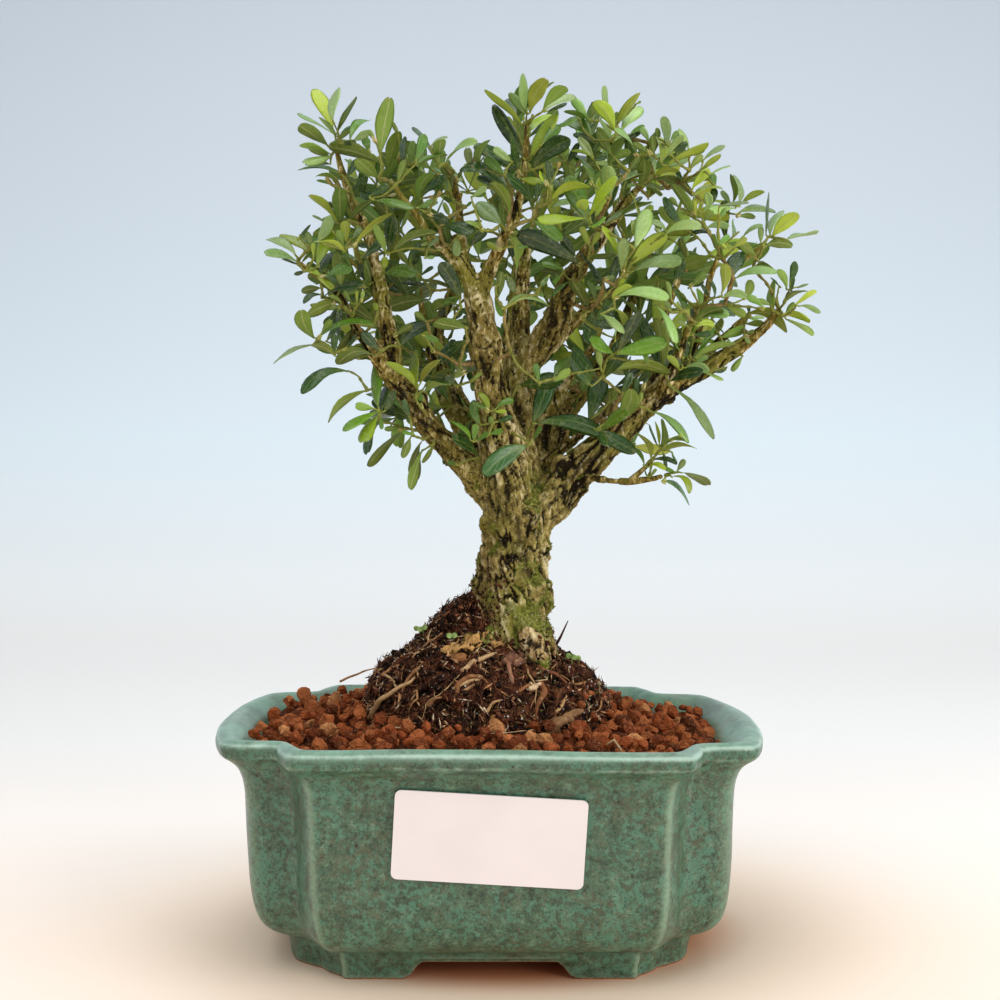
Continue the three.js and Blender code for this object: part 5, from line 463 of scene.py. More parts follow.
# leaf: shoot, shoot place, colour kind, base, tip, width vector, mid offset
LEAVES = [1,0,0,-455,110,2329,-514,168,2457,49,19,14,2,-5,3,1,0,4,-443,115,2316,-381,23,2395,-26,-37,-22,-6,-2,3,1,0,3,-460,119,2319,-568,219,2400,38,38,3,2,0,3,1,0,1,-446,121,2306,-478,21,2337,-34,16,17,1,0,2,
1,0,2,-440,111,2301,-404,118,2333,16,4,-19,0,-1,0,1,1,3,-427,-122,2295,-427,-22,2406,38,-29,26,-7,-2,2,1,2,1,-449,-42,2242,-515,-142,2275,-37,18,-21,-4,5,7,1,3,1,-426,-54,2253,-389,-75,2280,-14,-13,9,0,0,0,
1,3,2,-410,-55,2247,-376,-46,2254,3,3,-18,0,0,0,1,4,1,-390,-39,2264,-348,61,2339,45,-19,0,-4,-7,11,1,4,3,-382,-44,2258,-335,-57,2279,14,5,-29,0,0,0,1,5,1,-443,-27,2224,-514,-116,2231,-34,26,-5,0,0,2,
1,5,1,-445,-35,2214,-499,-52,2240,-17,8,-30,0,3,1,1,5,3,-442,-31,2218,-502,-131,2178,-38,15,20,-2,-1,7,1,6,2,-443,-46,2193,-515,-17,2199,10,20,21,-1,-2,2,22,7,1,-424,-51,2168,-541,24,2189,28,38,20,1,-2,13,
2,8,4,-296,-67,2189,-452,-17,2245,-1,38,-38,4,-1,11,2,9,1,-337,-1,2232,-352,10,2278,34,4,10,0,-1,0,2,10,1,-308,-140,2233,-323,-154,2259,-16,-1,-9,0,1,0,2,11,4,-296,-141,2199,-267,-163,2347,-47,-26,5,-4,6,2,
22,12,4,-291,61,2196,-255,-7,2290,-43,-14,6,-3,7,6,22,12,5,-288,61,2199,-241,52,2249,-12,-5,10,0,2,0,3,13,1,-256,0,2286,-271,-15,2315,-15,2,-7,0,1,0,2,14,1,-300,-157,2131,-349,-257,2162,-37,13,-18,-1,2,3,
22,15,2,-401,-39,2154,-372,-32,2204,23,3,-14,0,-1,0,22,16,2,-385,-40,2112,-352,-49,2152,13,-12,-14,0,0,0,22,17,4,-411,-69,2127,-465,-169,2134,-37,20,3,-1,1,15,22,17,1,-424,-80,2128,-476,-69,2143,7,18,12,0,0,0,
22,17,5,-429,-79,2120,-451,-95,2146,-10,-1,-9,0,1,0,22,17,5,-411,-75,2121,-432,-97,2148,-12,-1,-10,0,1,0,22,18,1,-419,-29,2028,-410,-129,2110,-50,-9,-5,0,4,5,22,18,0,-426,-39,2031,-493,-116,2089,-33,29,-1,5,1,7,
22,19,2,-445,-10,2063,-449,-26,2090,14,-4,0,0,-1,-1,21,20,3,-443,-162,2010,-475,-178,2025,0,11,13,1,-1,1,22,21,1,-388,-61,2033,-312,-161,2073,-38,-31,-5,-4,0,7,2,22,1,-307,-224,2059,-198,-322,2018,-37,-30,-26,2,-3,11,
2,22,2,-320,-223,2069,-271,-252,2089,14,4,-30,0,0,0,2,23,1,-243,-216,2106,-222,-230,2162,-19,-16,3,-1,1,0,3,24,2,-246,11,2243,-238,9,2280,16,-3,-4,0,-1,0,2,25,6,-279,-120,2089,-257,-113,2095,4,2,-15,0,0,0,
3,26,2,-238,-46,2185,-226,-146,2240,20,-16,-34,-5,-2,-2,3,26,3,-222,-47,2188,-209,-80,2247,26,-3,-7,0,0,0,3,26,4,-222,-44,2191,-197,-29,2250,0,-26,7,0,0,0,2,27,1,-193,-216,2165,-176,-193,2237,35,1,-8,4,-1,0,
2,27,1,-196,-217,2157,-155,-200,2182,12,-10,-14,0,-1,1,2,27,1,-191,-211,2153,-117,-311,2165,-36,-28,-12,2,2,12,3,28,2,-152,-123,2198,-206,-23,2299,34,38,-19,5,-2,5,3,29,3,-158,-133,2224,-114,-125,2248,9,-16,-11,-3,0,5,
3,30,1,-131,-232,2144,-121,-332,2195,-36,-12,-17,-3,3,6,3,31,3,-114,-190,2166,-30,-278,2197,-17,-28,-33,-9,-4,12,26,32,3,-49,-210,2151,-54,-223,2194,38,-4,3,0,0,0,26,32,5,-36,-206,2152,-34,-197,2185,15,2,-2,0,-1,0,
26,32,1,-24,-203,2155,3,-303,2199,-37,-16,-13,-11,-2,3,26,33,2,78,-164,2145,-36,-197,2209,15,26,40,7,-2,11,26,33,2,88,-168,2150,59,-268,2220,20,20,37,-1,-1,-2,26,33,0,85,-174,2128,139,-203,2111,-7,3,-28,-1,-1,0,
26,33,0,90,-165,2146,87,-175,2165,-13,2,-1,0,0,0,26,34,3,64,-238,2158,21,-268,2184,17,-3,25,1,-2,-1,26,35,1,46,-251,2120,-2,-241,2165,28,-2,30,0,-2,0,26,36,2,96,-177,2179,16,-153,2332,40,32,16,4,-2,2,
26,36,0,113,-179,2174,185,-207,2289,28,-34,-26,-8,-4,4,4,37,0,98,-166,2269,-6,-186,2360,-15,49,-6,6,2,7,4,37,0,95,-165,2281,98,-161,2297,11,1,-2,0,0,0,4,38,3,104,-142,2308,62,-161,2353,25,-3,23,2,-2,1,
4,38,3,103,-143,2317,91,-239,2388,32,16,27,-3,1,1,4,38,0,114,-148,2308,155,-248,2373,-43,-7,17,-6,4,11,3,39,0,-89,-105,2155,-150,-140,2168,-15,23,-8,1,4,14,3,39,3,-104,-110,2161,-110,-99,2190,12,-6,5,0,0,0,
3,40,5,-87,-70,2135,-116,-88,2171,-19,0,-15,0,0,0,3,40,1,-90,-69,2143,-76,-82,2162,-13,-1,9,0,0,0,25,41,1,-194,-70,2087,-152,-170,2141,-42,-17,2,-11,2,12,25,41,2,-186,-65,2096,-118,-165,2122,-5,-14,-43,-2,1,9,
25,42,3,-110,-110,2101,-116,-89,2144,15,-12,8,-1,-1,0,25,42,3,-102,-111,2106,-98,-123,2140,8,-13,-6,-1,-1,0,3,43,1,-110,-88,2142,-128,-108,2172,-24,4,-11,0,1,0,26,44,2,38,-149,2057,-26,-240,2109,-8,26,36,12,0,16,
26,45,2,64,-210,2074,-72,-231,2134,15,27,44,14,-4,30,26,46,4,59,-199,2030,11,-299,2090,-40,23,6,9,0,7,26,47,3,36,-212,1997,-28,-112,2072,42,5,29,0,0,0,26,48,3,-43,-278,2056,-7,-302,2077,12,2,-19,0,-1,0,
26,48,1,-43,-279,2059,-7,-293,2064,0,-4,-17,0,0,0,25,49,1,-61,-138,2056,-48,-134,2070,9,1,-9,0,0,0,26,50,2,128,-215,2045,51,-301,2105,-1,28,39,5,2,9,26,50,2,131,-216,2053,133,-243,2096,23,2,0,0,0,0,
26,50,0,131,-208,2036,147,-198,2069,13,-10,-4,-1,-1,1,25,51,2,-160,-211,2025,-111,-219,2004,-13,1,-31,0,-3,0,25,52,1,-191,-210,2041,-141,-182,2064,10,2,-24,1,-1,0,25,53,5,-136,-284,2050,-154,-286,2057,6,-4,13,0,0,0,
25,53,5,-136,-291,2049,-125,-298,2068,13,0,-7,0,0,0,25,54,1,-105,-157,2027,-118,-177,2057,-19,-1,-8,0,1,0,25,55,1,-94,-113,2074,-120,-114,2084,6,-1,15,0,-1,0,25,56,1,-32,-171,2004,-19,-177,2013,-10,-4,12,0,0,0,
4,57,1,148,-241,2298,202,-341,2329,-39,-18,8,1,3,9,4,57,3,142,-246,2287,234,-146,2358,42,-31,-11,-1,-2,5,4,57,2,155,-246,2289,207,-270,2306,0,-14,-20,-1,-2,1,4,58,0,111,-148,2254,172,-48,2330,46,-21,-9,-7,-3,9,
4,58,2,111,-148,2243,163,-175,2281,5,-18,-20,-1,-1,1,26,59,1,145,-234,2206,193,-198,2260,24,2,-22,-2,-3,3,26,60,2,118,-181,2150,214,-276,2206,32,4,-47,-4,4,13,26,60,0,111,-179,2146,113,-169,2166,13,1,-2,0,-1,0,
4,61,0,119,-138,2292,122,-142,2307,12,-1,-2,0,0,0,6,62,1,246,-166,2293,188,-185,2266,-13,17,16,0,-1,1,26,63,3,215,-119,2187,171,-97,2197,1,-6,20,0,0,0,26,63,1,210,-116,2190,191,-124,2212,-18,6,-14,0,1,0,
26,63,2,215,-115,2177,246,-128,2230,20,-6,-14,2,0,-1,6,64,1,285,-44,2312,217,-144,2318,-37,25,-3,-1,1,8,6,64,3,280,-37,2319,238,-68,2361,26,-4,23,3,0,3,6,64,1,288,-40,2319,297,-50,2351,-20,2,6,0,0,0,
6,65,2,291,-34,2355,293,-42,2366,16,-2,-4,0,0,0,6,66,3,332,-96,2323,309,-196,2365,18,11,36,3,-1,-1,6,67,0,345,-166,2255,284,-258,2311,-40,17,-15,7,1,9,6,67,3,364,-163,2255,423,-63,2348,48,-25,-4,-4,-3,6,
6,68,1,285,-125,2248,222,-25,2319,43,10,25,4,-3,7,6,68,2,295,-132,2231,236,-143,2251,7,4,24,2,-1,6,29,69,3,287,-182,2184,247,-206,2227,22,-3,18,0,-2,-1,29,69,4,284,-187,2180,224,-202,2195,-8,23,-9,2,1,8,
29,69,2,280,-177,2175,317,-198,2180,-1,-6,-18,0,0,0,6,70,2,308,-20,2315,283,-33,2296,-11,5,10,0,0,0,6,70,1,320,-12,2328,319,-18,2361,-27,-1,-1,0,0,0,29,71,4,334,-175,2193,302,-75,2278,-17,27,-38,5,-2,4,
6,72,3,337,-168,2231,309,-158,2287,20,14,8,2,-1,1,6,73,3,349,-122,2291,353,-137,2313,23,1,-3,0,0,0,6,73,0,354,-122,2280,404,-222,2343,-36,-27,-14,-2,2,6,6,74,1,404,-142,2335,418,-138,2344,5,3,-9,0,0,0,
6,75,1,394,-56,2270,435,-47,2298,12,-7,-16,0,-2,1,6,75,2,380,-62,2258,422,-78,2272,3,-8,-18,0,-1,0,29,76,3,408,-139,2196,342,-239,2238,-10,24,40,8,-1,9,29,77,1,437,-160,2199,396,-184,2222,-14,11,-13,0,1,1,
29,77,1,452,-151,2193,448,-166,2240,-23,5,0,0,2,1,29,78,1,333,-126,2175,382,-159,2197,-18,-8,28,-2,2,9,29,78,3,339,-120,2166,295,-144,2179,3,6,21,1,0,4,29,79,1,382,-168,2148,408,-189,2180,-15,-12,5,-1,2,2,
29,80,1,278,-237,2101,242,-143,2195,32,33,-21,10,-5,8,26,81,2,162,-285,2086,156,-309,2139,30,1,4,5,-2,0,26,81,0,154,-284,2087,138,-297,2119,9,12,9,0,0,0,26,82,0,166,-237,2052,265,-325,2074,-33,-34,15,-2,3,25,
26,82,3,168,-241,2034,282,-141,2065,34,-30,-30,1,-6,14,26,82,0,158,-240,2060,171,-230,2097,16,-9,-3,0,-1,0,29,83,3,329,-180,2071,318,-280,2133,49,-7,-2,-1,-2,-4,29,84,3,335,-169,2101,431,-69,2167,41,-34,-7,-5,-1,8,
26,85,5,186,-232,2138,191,-242,2156,-18,-2,4,0,1,0,26,86,5,239,-109,2165,254,-118,2187,-16,-3,10,0,1,0,6,87,3,421,-38,2137,392,-28,2136,0,2,14,0,0,0,6,87,4,427,-37,2137,428,-137,2186,-42,-2,-3,5,0,1,
6,87,3,435,-43,2131,495,-14,2128,6,-15,-21,1,-1,8,6,88,3,447,-76,2244,424,-88,2280,23,-3,13,4,-1,2,6,89,1,464,-159,2238,460,-173,2261,-23,5,-1,0,1,0,6,90,3,496,-116,2221,466,-216,2278,19,16,37,3,0,1,
6,90,1,500,-126,2238,522,-116,2267,14,-6,-8,0,-1,1,29,91,0,469,-170,2168,480,-70,2261,38,20,-27,7,-4,4,29,91,0,485,-165,2164,584,-241,2208,-32,-36,10,-1,3,8,29,91,3,487,-165,2162,546,-139,2188,13,-4,-24,1,-2,0,
6,92,3,486,-221,2178,518,-251,2217,23,4,-16,-6,0,5,6,92,2,496,-226,2185,529,-243,2206,17,0,-26,0,-1,0,6,93,3,544,-193,2197,515,-208,2250,15,15,13,4,-1,2,6,93,1,557,-192,2184,581,-203,2200,-15,-5,20,0,1,0,
6,94,4,553,-140,2156,585,-137,2193,-22,2,19,-3,0,2,6,95,3,608,-16,2211,665,-29,2245,6,-19,-18,-2,-2,3,6,96,0,590,-86,2165,638,-117,2203,-18,-19,8,-2,0,2,6,97,3,607,-135,2144,666,-108,2176,16,-22,-10,-2,-1,4,
6,98,0,563,-111,2110,609,-104,2158,26,5,-26,-3,-2,3,6,98,0,564,-119,2090,657,-19,2133,40,-31,-14,-3,-4,16,6,99,1,639,-44,2131,631,-26,2169,28,-3,8,0,-1,0,6,100,0,465,-32,2160,520,-132,2160,-36,-20,11,0,0,10,
6,100,3,465,-37,2161,441,-137,2212,12,16,38,10,-3,-1,6,100,4,448,-42,2147,572,-23,2108,11,-45,15,7,0,23,11,101,1,563,-129,2036,498,-229,2100,-39,31,8,1,2,4,11,101,0,570,-136,2032,562,-155,2068,-15,10,2,1,1,1,
6,102,2,626,-42,2075,639,-27,2123,34,0,-9,0,-2,0,11,103,3,585,-158,2036,590,-182,2081,34,-1,-4,14,2,0,11,103,0,575,-155,2041,587,-149,2068,14,-3,-5,0,0,0,6,104,3,680,-56,2080,655,-63,2111,19,-3,15,0,-1,0,
6,104,1,687,-46,2085,668,-146,2139,-22,21,31,9,0,2,6,104,3,703,-52,2081,711,48,2176,28,28,-32,8,-1,0,6,104,0,710,-55,2080,766,-85,2107,-16,-17,14,-3,1,7,6,104,3,696,-52,2068,608,-152,2046,-36,27,22,-1,-1,8,
11,105,3,620,-238,2040,674,-338,2028,-35,-17,-18,0,0,5,11,106,1,586,-170,2010,607,-190,2033,-20,2,20,0,1,0,11,106,3,593,-178,1991,645,-195,1991,0,2,-29,-1,-2,9,11,107,1,525,-136,2055,500,-151,2076,-20,9,-19,0,2,1,
11,108,4,530,-62,2012,483,-90,2058,-34,13,-27,0,1,0,11,108,2,541,-60,2023,478,-158,2072,9,16,43,1,0,1,13,109,1,641,73,2018,590,44,2041,-13,21,-3,3,1,8,13,109,2,641,71,2015,591,95,2016,4,8,21,-1,-2,10,
28,110,3,470,-209,1963,558,-297,1969,-19,-22,-36,-2,-1,18,28,110,3,482,-215,1972,441,-234,1997,8,7,19,5,0,8,29,111,1,366,-95,2036,438,-195,2054,-37,-27,-2,-2,1,11,11,112,1,642,-169,1907,605,-269,1958,-26,23,27,1,0,1,
11,113,0,653,-258,1927,684,-270,1948,-12,2,19,0,2,0,11,113,0,640,-260,1922,624,-264,1935,-9,5,-11,0,0,0,12,114,4,572,94,1991,602,75,2007,-10,-6,13,0,1,1,13,115,4,571,43,1937,549,24,1994,-23,10,-5,1,2,1,
11,116,1,616,-251,1933,644,-234,1961,17,-2,-16,0,-2,1,6,117,2,513,23,2138,521,22,2143,9,0,-14,0,0,0,11,118,1,620,-236,2007,637,-227,2036,16,-3,-8,0,-2,0,6,119,2,544,-51,2140,531,-46,2173,17,-2,7,0,0,0,
6,120,3,694,-108,2047,811,-8,2071,34,-34,-25,1,-4,14,6,120,1,687,-100,2034,742,-81,2037,5,-17,16,-1,1,9,8,121,2,765,-127,1979,756,-209,2080,17,34,29,2,1,1,8,121,3,777,-129,1981,826,-29,2063,36,-32,17,-8,-2,8,
8,121,0,782,-122,1975,831,-222,2023,-40,-12,17,-3,0,4,8,122,3,814,-159,1964,917,-59,1994,38,-37,-7,-2,0,5,8,123,4,761,-134,1949,832,-115,1952,1,-10,38,0,0,11,8,123,3,751,-129,1958,749,-138,1998,23,-7,0,0,0,0,
11,124,3,689,-201,1965,736,-225,1989,1,-16,-18,-4,-2,5,8,125,4,748,-73,1932,704,-100,1960,-27,13,-31,0,2,1,8,125,1,752,-66,1917,770,-73,1913,1,-3,13,0,1,0,11,126,2,665,-189,1858,703,-89,1940,48,-10,-9,-5,-1,4,
11,126,3,665,-192,1850,764,-260,1857,-18,-29,-29,0,2,16,11,127,0,625,-249,1807,624,-287,1871,-37,9,5,8,3,2,11,127,3,627,-254,1794,684,-269,1792,-1,0,-26,0,-2,13,8,128,4,752,-12,1906,805,-112,1871,-30,-24,22,2,-5,19,
33,129,2,660,100,1837,638,196,1922,39,24,-16,11,-6,9,33,129,2,646,101,1835,616,82,1874,10,13,14,1,-2,0,11,130,1,550,-181,1833,584,-209,1861,-20,2,28,1,2,1,11,131,4,714,-89,1810,732,-62,1861,-38,2,12,5,0,-2,
11,132,1,579,-160,1781,576,-139,1831,22,4,-1,6,-4,2,33,133,2,730,14,1765,648,-86,1792,-16,24,40,7,-2,12,33,133,0,739,22,1779,837,-51,1723,1,-30,40,13,-3,27,33,133,2,746,16,1778,745,22,1801,16,-2,2,0,-1,0,
33,133,3,753,21,1768,792,38,1770,6,-12,-12,0,-1,1,11,134,4,654,-130,1790,700,-154,1761,13,-8,28,1,2,0,11,135,1,568,-128,1745,628,-228,1769,-38,-19,14,-1,2,9,11,135,3,586,-130,1745,641,-230,1745,-27,-15,-29,0,0,17,
11,135,0,573,-127,1727,627,-101,1732,4,-3,-24,0,-3,14,11,135,2,564,-123,1750,563,-129,1776,21,-1,1,0,0,0,8,136,4,800,-71,1777,814,29,1873,-24,33,-31,-5,0,1,11,137,1,747,-199,1772,703,-210,1799,13,-2,20,3,1,5,
8,138,1,786,-88,1794,751,-108,1805,-9,6,-19,0,0,0,8,139,1,824,-123,1830,796,-144,1880,-23,4,-12,7,3,5,8,139,2,831,-126,1848,838,-154,1899,27,-7,-8,3,-2,-1,8,139,2,838,-123,1827,839,-129,1863,18,-5,-2,0,-2,0,
8,139,3,849,-120,1838,881,-127,1846,-1,-14,-8,0,0,0,8,140,4,827,-73,1799,866,-173,1821,-39,-15,3,-4,2,14,8,141,0,831,-192,1780,880,-229,1816,-20,-15,12,0,0,1,8,141,3,840,-202,1779,892,-220,1759,-11,-15,-16,2,-1,8,
8,142,1,830,-85,1773,848,-100,1796,-19,0,15,0,1,0,8,142,0,815,-91,1765,873,-191,1742,-30,-23,24,5,-1,15,8,142,0,830,-84,1755,878,-184,1701,-42,-20,0,-1,-3,5,8,143,2,826,-9,1857,807,6,1881,11,11,2,1,-1,1,
33,144,4,734,24,1752,778,-3,1752,0,0,25,1,1,0,11,145,4,620,-98,1928,563,2,1918,25,9,-58,1,0,0,0,146,3,-539,-74,1934,-629,16,1992,39,29,16,3,-3,10,0,147,0,-504,-36,1948,-596,49,2011,39,30,16,4,-4,10,
0,147,3,-498,-40,1966,-510,-52,1999,31,-1,11,0,-1,0,0,148,3,-527,-86,1911,-603,-186,1920,-28,24,29,4,-2,9,0,148,2,-530,-82,1906,-571,-109,1918,-7,16,12,1,-1,2,0,149,2,-532,-50,1986,-501,-56,2019,11,-11,-12,0,0,0,
21,150,3,-461,-200,1952,-408,-300,1996,16,-10,-41,-2,0,3,0,151,0,-475,-98,1899,-449,2,2010,51,-17,4,-4,-2,3,0,152,0,-484,-109,1921,-482,-120,1959,-15,-9,-2,-1,2,0,21,153,0,-386,-206,1923,-452,-306,1933,-38,25,-2,5,-2,14,
21,153,1,-390,-208,1938,-401,-225,1974,-36,-6,-14,0,0,0,21,154,0,-388,-155,1956,-389,-176,2005,-50,0,0,0,2,1,21,154,3,-373,-150,1967,-351,-133,1999,15,6,-14,0,-1,0,21,155,0,-364,-193,1940,-260,-220,2023,-14,-48,2,-6,0,7,
25,156,1,-277,-204,1920,-289,-304,1978,-37,14,17,0,1,1,25,156,2,-270,-200,1921,-250,-294,1998,37,-12,-24,-2,-2,-2,25,156,1,-262,-207,1921,-140,-244,1968,-18,-45,11,-6,0,15,21,157,2,-329,-60,1958,-362,-55,1966,6,0,21,0,-1,0,
21,158,2,-353,-94,1912,-283,-194,1942,-10,-19,-41,-2,1,10,21,158,1,-366,-91,1921,-409,-68,1932,10,10,16,0,-2,1,21,159,0,-291,-101,1890,-287,-89,1924,40,0,-5,0,0,0,21,159,1,-291,-104,1877,-199,-204,1859,-30,-20,-36,-1,-4,14,
21,160,2,-341,-76,1859,-355,-95,1899,41,-2,13,0,-1,0,21,160,2,-355,-74,1844,-411,-98,1833,-10,16,17,0,-1,1,21,160,0,-333,-78,1843,-366,-97,1856,-10,13,-6,0,0,1,20,161,1,-460,-108,1863,-373,-208,1868,-25,-24,-35,-3,-2,15,
20,161,2,-467,-96,1878,-436,4,1951,46,-8,-8,-4,-3,6,20,161,0,-464,-100,1869,-509,-81,1892,12,10,16,2,-2,6,20,161,0,-476,-107,1868,-426,-130,1834,-17,-14,-15,2,-1,4,20,162,4,-408,-126,1840,-422,-26,1946,-46,-24,16,0,1,-1,
0,163,2,-511,-83,1888,-540,-70,1881,-5,-4,15,0,-1,0,20,164,4,-465,-91,1841,-518,-63,1834,7,7,-28,0,0,3,20,165,2,-459,-97,1820,-508,-116,1796,-12,11,17,-5,-3,12,20,165,2,-464,-105,1808,-344,-182,1836,-19,-40,-30,-5,-1,18,
20,166,4,-424,-102,1803,-488,-201,1758,-2,21,-42,-2,1,2,20,167,1,-476,-155,1695,-496,-255,1758,-47,-1,-17,-10,2,0,20,167,1,-469,-151,1696,-309,-174,1730,-1,-47,-27,-5,1,23,20,167,4,-458,-156,1708,-428,-178,1742,-17,-5,11,0,2,1,
20,167,0,-463,-155,1685,-460,-156,1703,13,3,-2,0,-1,0,20,168,2,-401,-122,1785,-418,-135,1736,-32,-2,12,0,-2,1,20,168,2,-414,-125,1785,-440,-104,1755,-10,7,15,0,0,0,20,168,1,-404,-117,1793,-437,-126,1814,-10,8,-12,2,2,4,
20,169,0,-376,-136,1755,-392,-152,1782,-14,8,-4,0,0,0,20,170,4,-315,-110,1747,-371,-76,1785,-23,6,-39,0,0,0,35,171,2,-470,49,1704,-427,17,1748,8,-17,-20,-1,-1,0,20,172,4,-418,-160,1661,-378,-60,1725,1,-25,39,-4,0,3,
20,172,2,-422,-165,1652,-417,-186,1698,26,6,0,0,-2,-1,20,172,4,-418,-157,1645,-473,-257,1668,-37,16,-18,1,3,13,20,173,2,-389,-158,1666,-361,-180,1701,8,-13,-15,0,0,0,20,174,3,-488,-84,1685,-583,-162,1627,-32,38,2,-5,-2,11,
19,175,4,-315,-137,1649,-424,-37,1632,30,26,-37,-1,3,27,19,176,2,-295,-158,1658,-338,-174,1704,31,5,31,0,-1,0,20,177,0,-306,-118,1772,-317,-106,1795,28,-2,15,0,0,0,20,178,0,-365,-104,1795,-364,-114,1828,-12,-10,-2,0,0,0,
20,178,1,-381,-106,1797,-398,-116,1828,-13,-4,-9,0,1,0,20,179,1,-342,-209,1791,-336,-218,1816,-15,0,4,0,1,0,24,180,4,-171,57,1826,-292,123,1809,19,24,-42,1,5,10,24,181,2,-165,50,1850,-263,150,1882,39,34,13,2,-2,13,
24,182,4,-109,-35,1846,-185,-135,1857,-37,27,-9,-1,2,10,24,183,4,-230,84,1924,-257,71,1961,-21,3,-14,0,0,0,24,183,2,-230,78,1942,-204,103,1993,22,0,-12,0,-2,1,24,183,2,-224,75,1922,-206,58,1948,23,1,-16,0,0,0,
25,184,1,-168,-248,1901,-146,-238,1905,2,1,-13,0,0,0,24,185,2,-197,34,1890,-160,20,1912,5,-11,-15,-1,-2,1,25,186,3,-166,-193,1932,-130,-176,1968,16,-13,-9,-4,0,3,25,187,2,-132,-189,1992,-43,-279,1962,-27,-14,-37,1,-4,14,
25,188,3,-85,-170,1968,-85,-194,1920,-45,-6,3,0,-2,1,26,189,0,-14,-282,1969,-58,-258,1995,14,13,12,2,-2,5,25,190,2,-49,-187,1938,-7,-217,1975,22,6,-20,-3,-1,2,26,191,0,34,-194,1929,0,-180,1950,10,-1,18,0,-1,0,
26,192,2,72,11,1933,61,4,1970,26,-4,7,0,0,0,24,193,3,50,-182,1867,70,-171,1826,-30,-1,-16,0,-2,0,26,194,1,72,-212,1937,106,-195,1940,6,-10,-12,0,-1,1,24,195,2,-73,-175,1800,-124,-252,1883,41,2,28,4,-2,1,
24,195,1,-84,-173,1808,-118,-157,1792,-12,-5,20,0,-2,-1,24,196,4,-72,-198,1774,-151,-98,1777,34,28,-17,2,1,20,24,197,2,-142,-93,1754,-123,-101,1779,13,0,-10,0,-1,0,24,198,2,-102,-176,1740,-73,-191,1762,14,0,-19,0,-1,0,
24,198,4,-99,-174,1735,-60,-197,1738,-4,-4,20,0,0,0,24,199,4,-59,-209,1719,-137,-309,1724,-32,23,-26,0,0,0,19,200,2,-245,-110,1678,-170,-10,1747,43,-14,-26,-5,-4,10,19,201,4,-260,-113,1707,-214,-141,1730,-16,-6,24,1,2,1,
24,202,4,-169,-140,1741,-197,-147,1764,-20,4,-24,0,1,0,24,203,1,-172,-272,1693,-133,-292,1678,-7,0,-19,0,-1,0,24,204,2,-149,-173,1657,-159,-187,1679,32,-2,12,0,-1,0,34,205,4,-113,-4,1673,-121,-21,1704,-21,-2,-6,0,0,0,
24,206,2,-54,-189,1687,-140,-89,1645,2,21,46,-3,-2,2,24,207,1,-79,-145,1623,-64,-129,1653,26,-1,-13,0,-1,0,24,208,3,44,-252,1766,168,-152,1784,33,-38,-20,-2,-4,34,24,209,1,18,-189,1801,36,-215,1752,-22,-10,-3,0,-1,1,
24,209,1,29,-184,1804,36,-203,1866,-31,2,5,0,2,0,24,210,1,21,-202,1828,18,-206,1848,15,-2,2,0,0,0,24,211,1,125,-165,1788,146,-173,1780,-5,0,-12,0,-1,0,24,212,1,132,-190,1811,151,-183,1809,-3,3,-15,0,-1,0,
28,213,2,258,-92,1904,79,-120,1987,25,-14,48,4,-3,7,26,214,1,119,-222,2007,188,-322,1936,-45,-22,-12,4,-2,7,28,215,2,245,-75,1930,205,-90,1981,27,-1,22,0,0,0,29,216,3,283,-73,2010,202,-96,2144,23,44,21,2,-3,1,
29,216,2,290,-82,2020,281,-101,2053,34,-6,6,0,0,0,29,217,0,296,-108,2034,319,-24,2154,48,14,-19,8,-2,0,29,217,3,313,-103,2021,312,-116,2043,26,-4,-1,0,0,0,29,218,3,321,-95,2012,457,-13,2085,32,-41,-14,-5,-4,15,
29,219,0,305,-66,2004,308,-56,2027,16,-2,-1,0,-1,0,28,220,0,282,-100,1953,259,-113,2004,-22,5,-9,0,2,0,28,220,0,287,-98,1954,305,-104,1990,-26,3,13,0,2,0,28,221,2,301,-82,1937,302,-73,1971,19,0,0,0,-1,0,
28,222,0,363,-231,1870,300,-308,1972,9,38,34,14,1,9,28,222,3,358,-233,1864,349,-333,1933,40,10,20,6,0,1,28,222,0,370,-233,1869,385,-242,1863,-5,1,-12,0,-1,0,28,223,2,334,-141,1827,344,-241,1904,35,21,23,1,0,0,
28,223,2,326,-150,1815,261,-82,1940,36,40,-4,8,-2,5,28,224,1,279,-99,1919,340,-199,1920,-33,-20,20,1,1,2,28,225,3,312,-225,1847,336,-239,1853,5,3,-14,0,-1,0,28,226,0,391,-149,1896,481,-206,1968,-32,-8,34,-4,4,8,
28,226,0,396,-153,1911,384,-180,2094,20,49,8,26,0,2,28,227,3,389,-279,1921,428,-210,2037,51,-7,-13,3,-8,4,28,228,3,386,-232,1867,514,-251,1890,4,-25,-42,-3,-1,15,28,229,3,342,-272,1796,475,-291,1787,-7,-30,-39,1,-3,18,
28,229,0,329,-272,1791,380,-264,1814,12,5,-28,-5,-3,11,28,230,0,348,-232,1828,365,-235,1846,11,-1,-11,0,-1,0,11,231,3,446,-197,1784,499,-265,1675,-36,-36,5,14,-9,12,32,232,2,406,-14,1807,480,-42,1626,-41,-33,-12,10,-3,5,
32,233,4,487,-72,1621,465,-101,1752,-34,37,2,11,1,2,11,234,3,500,-184,1762,485,-174,1794,19,-1,9,0,-2,0,11,235,1,539,-161,1764,518,-61,1842,39,21,-16,2,-4,5,11,236,1,497,-208,1793,480,-222,1840,-19,10,-4,0,0,0,
28,237,3,298,-310,1746,344,-410,1688,-40,-22,6,8,-2,9,28,238,0,337,-272,1765,374,-250,1712,20,-17,7,8,2,7,28,239,2,309,-157,1791,336,-182,1753,-27,1,-20,0,-1,0,28,239,1,293,-160,1796,269,-170,1849,21,-8,8,5,-2,2,
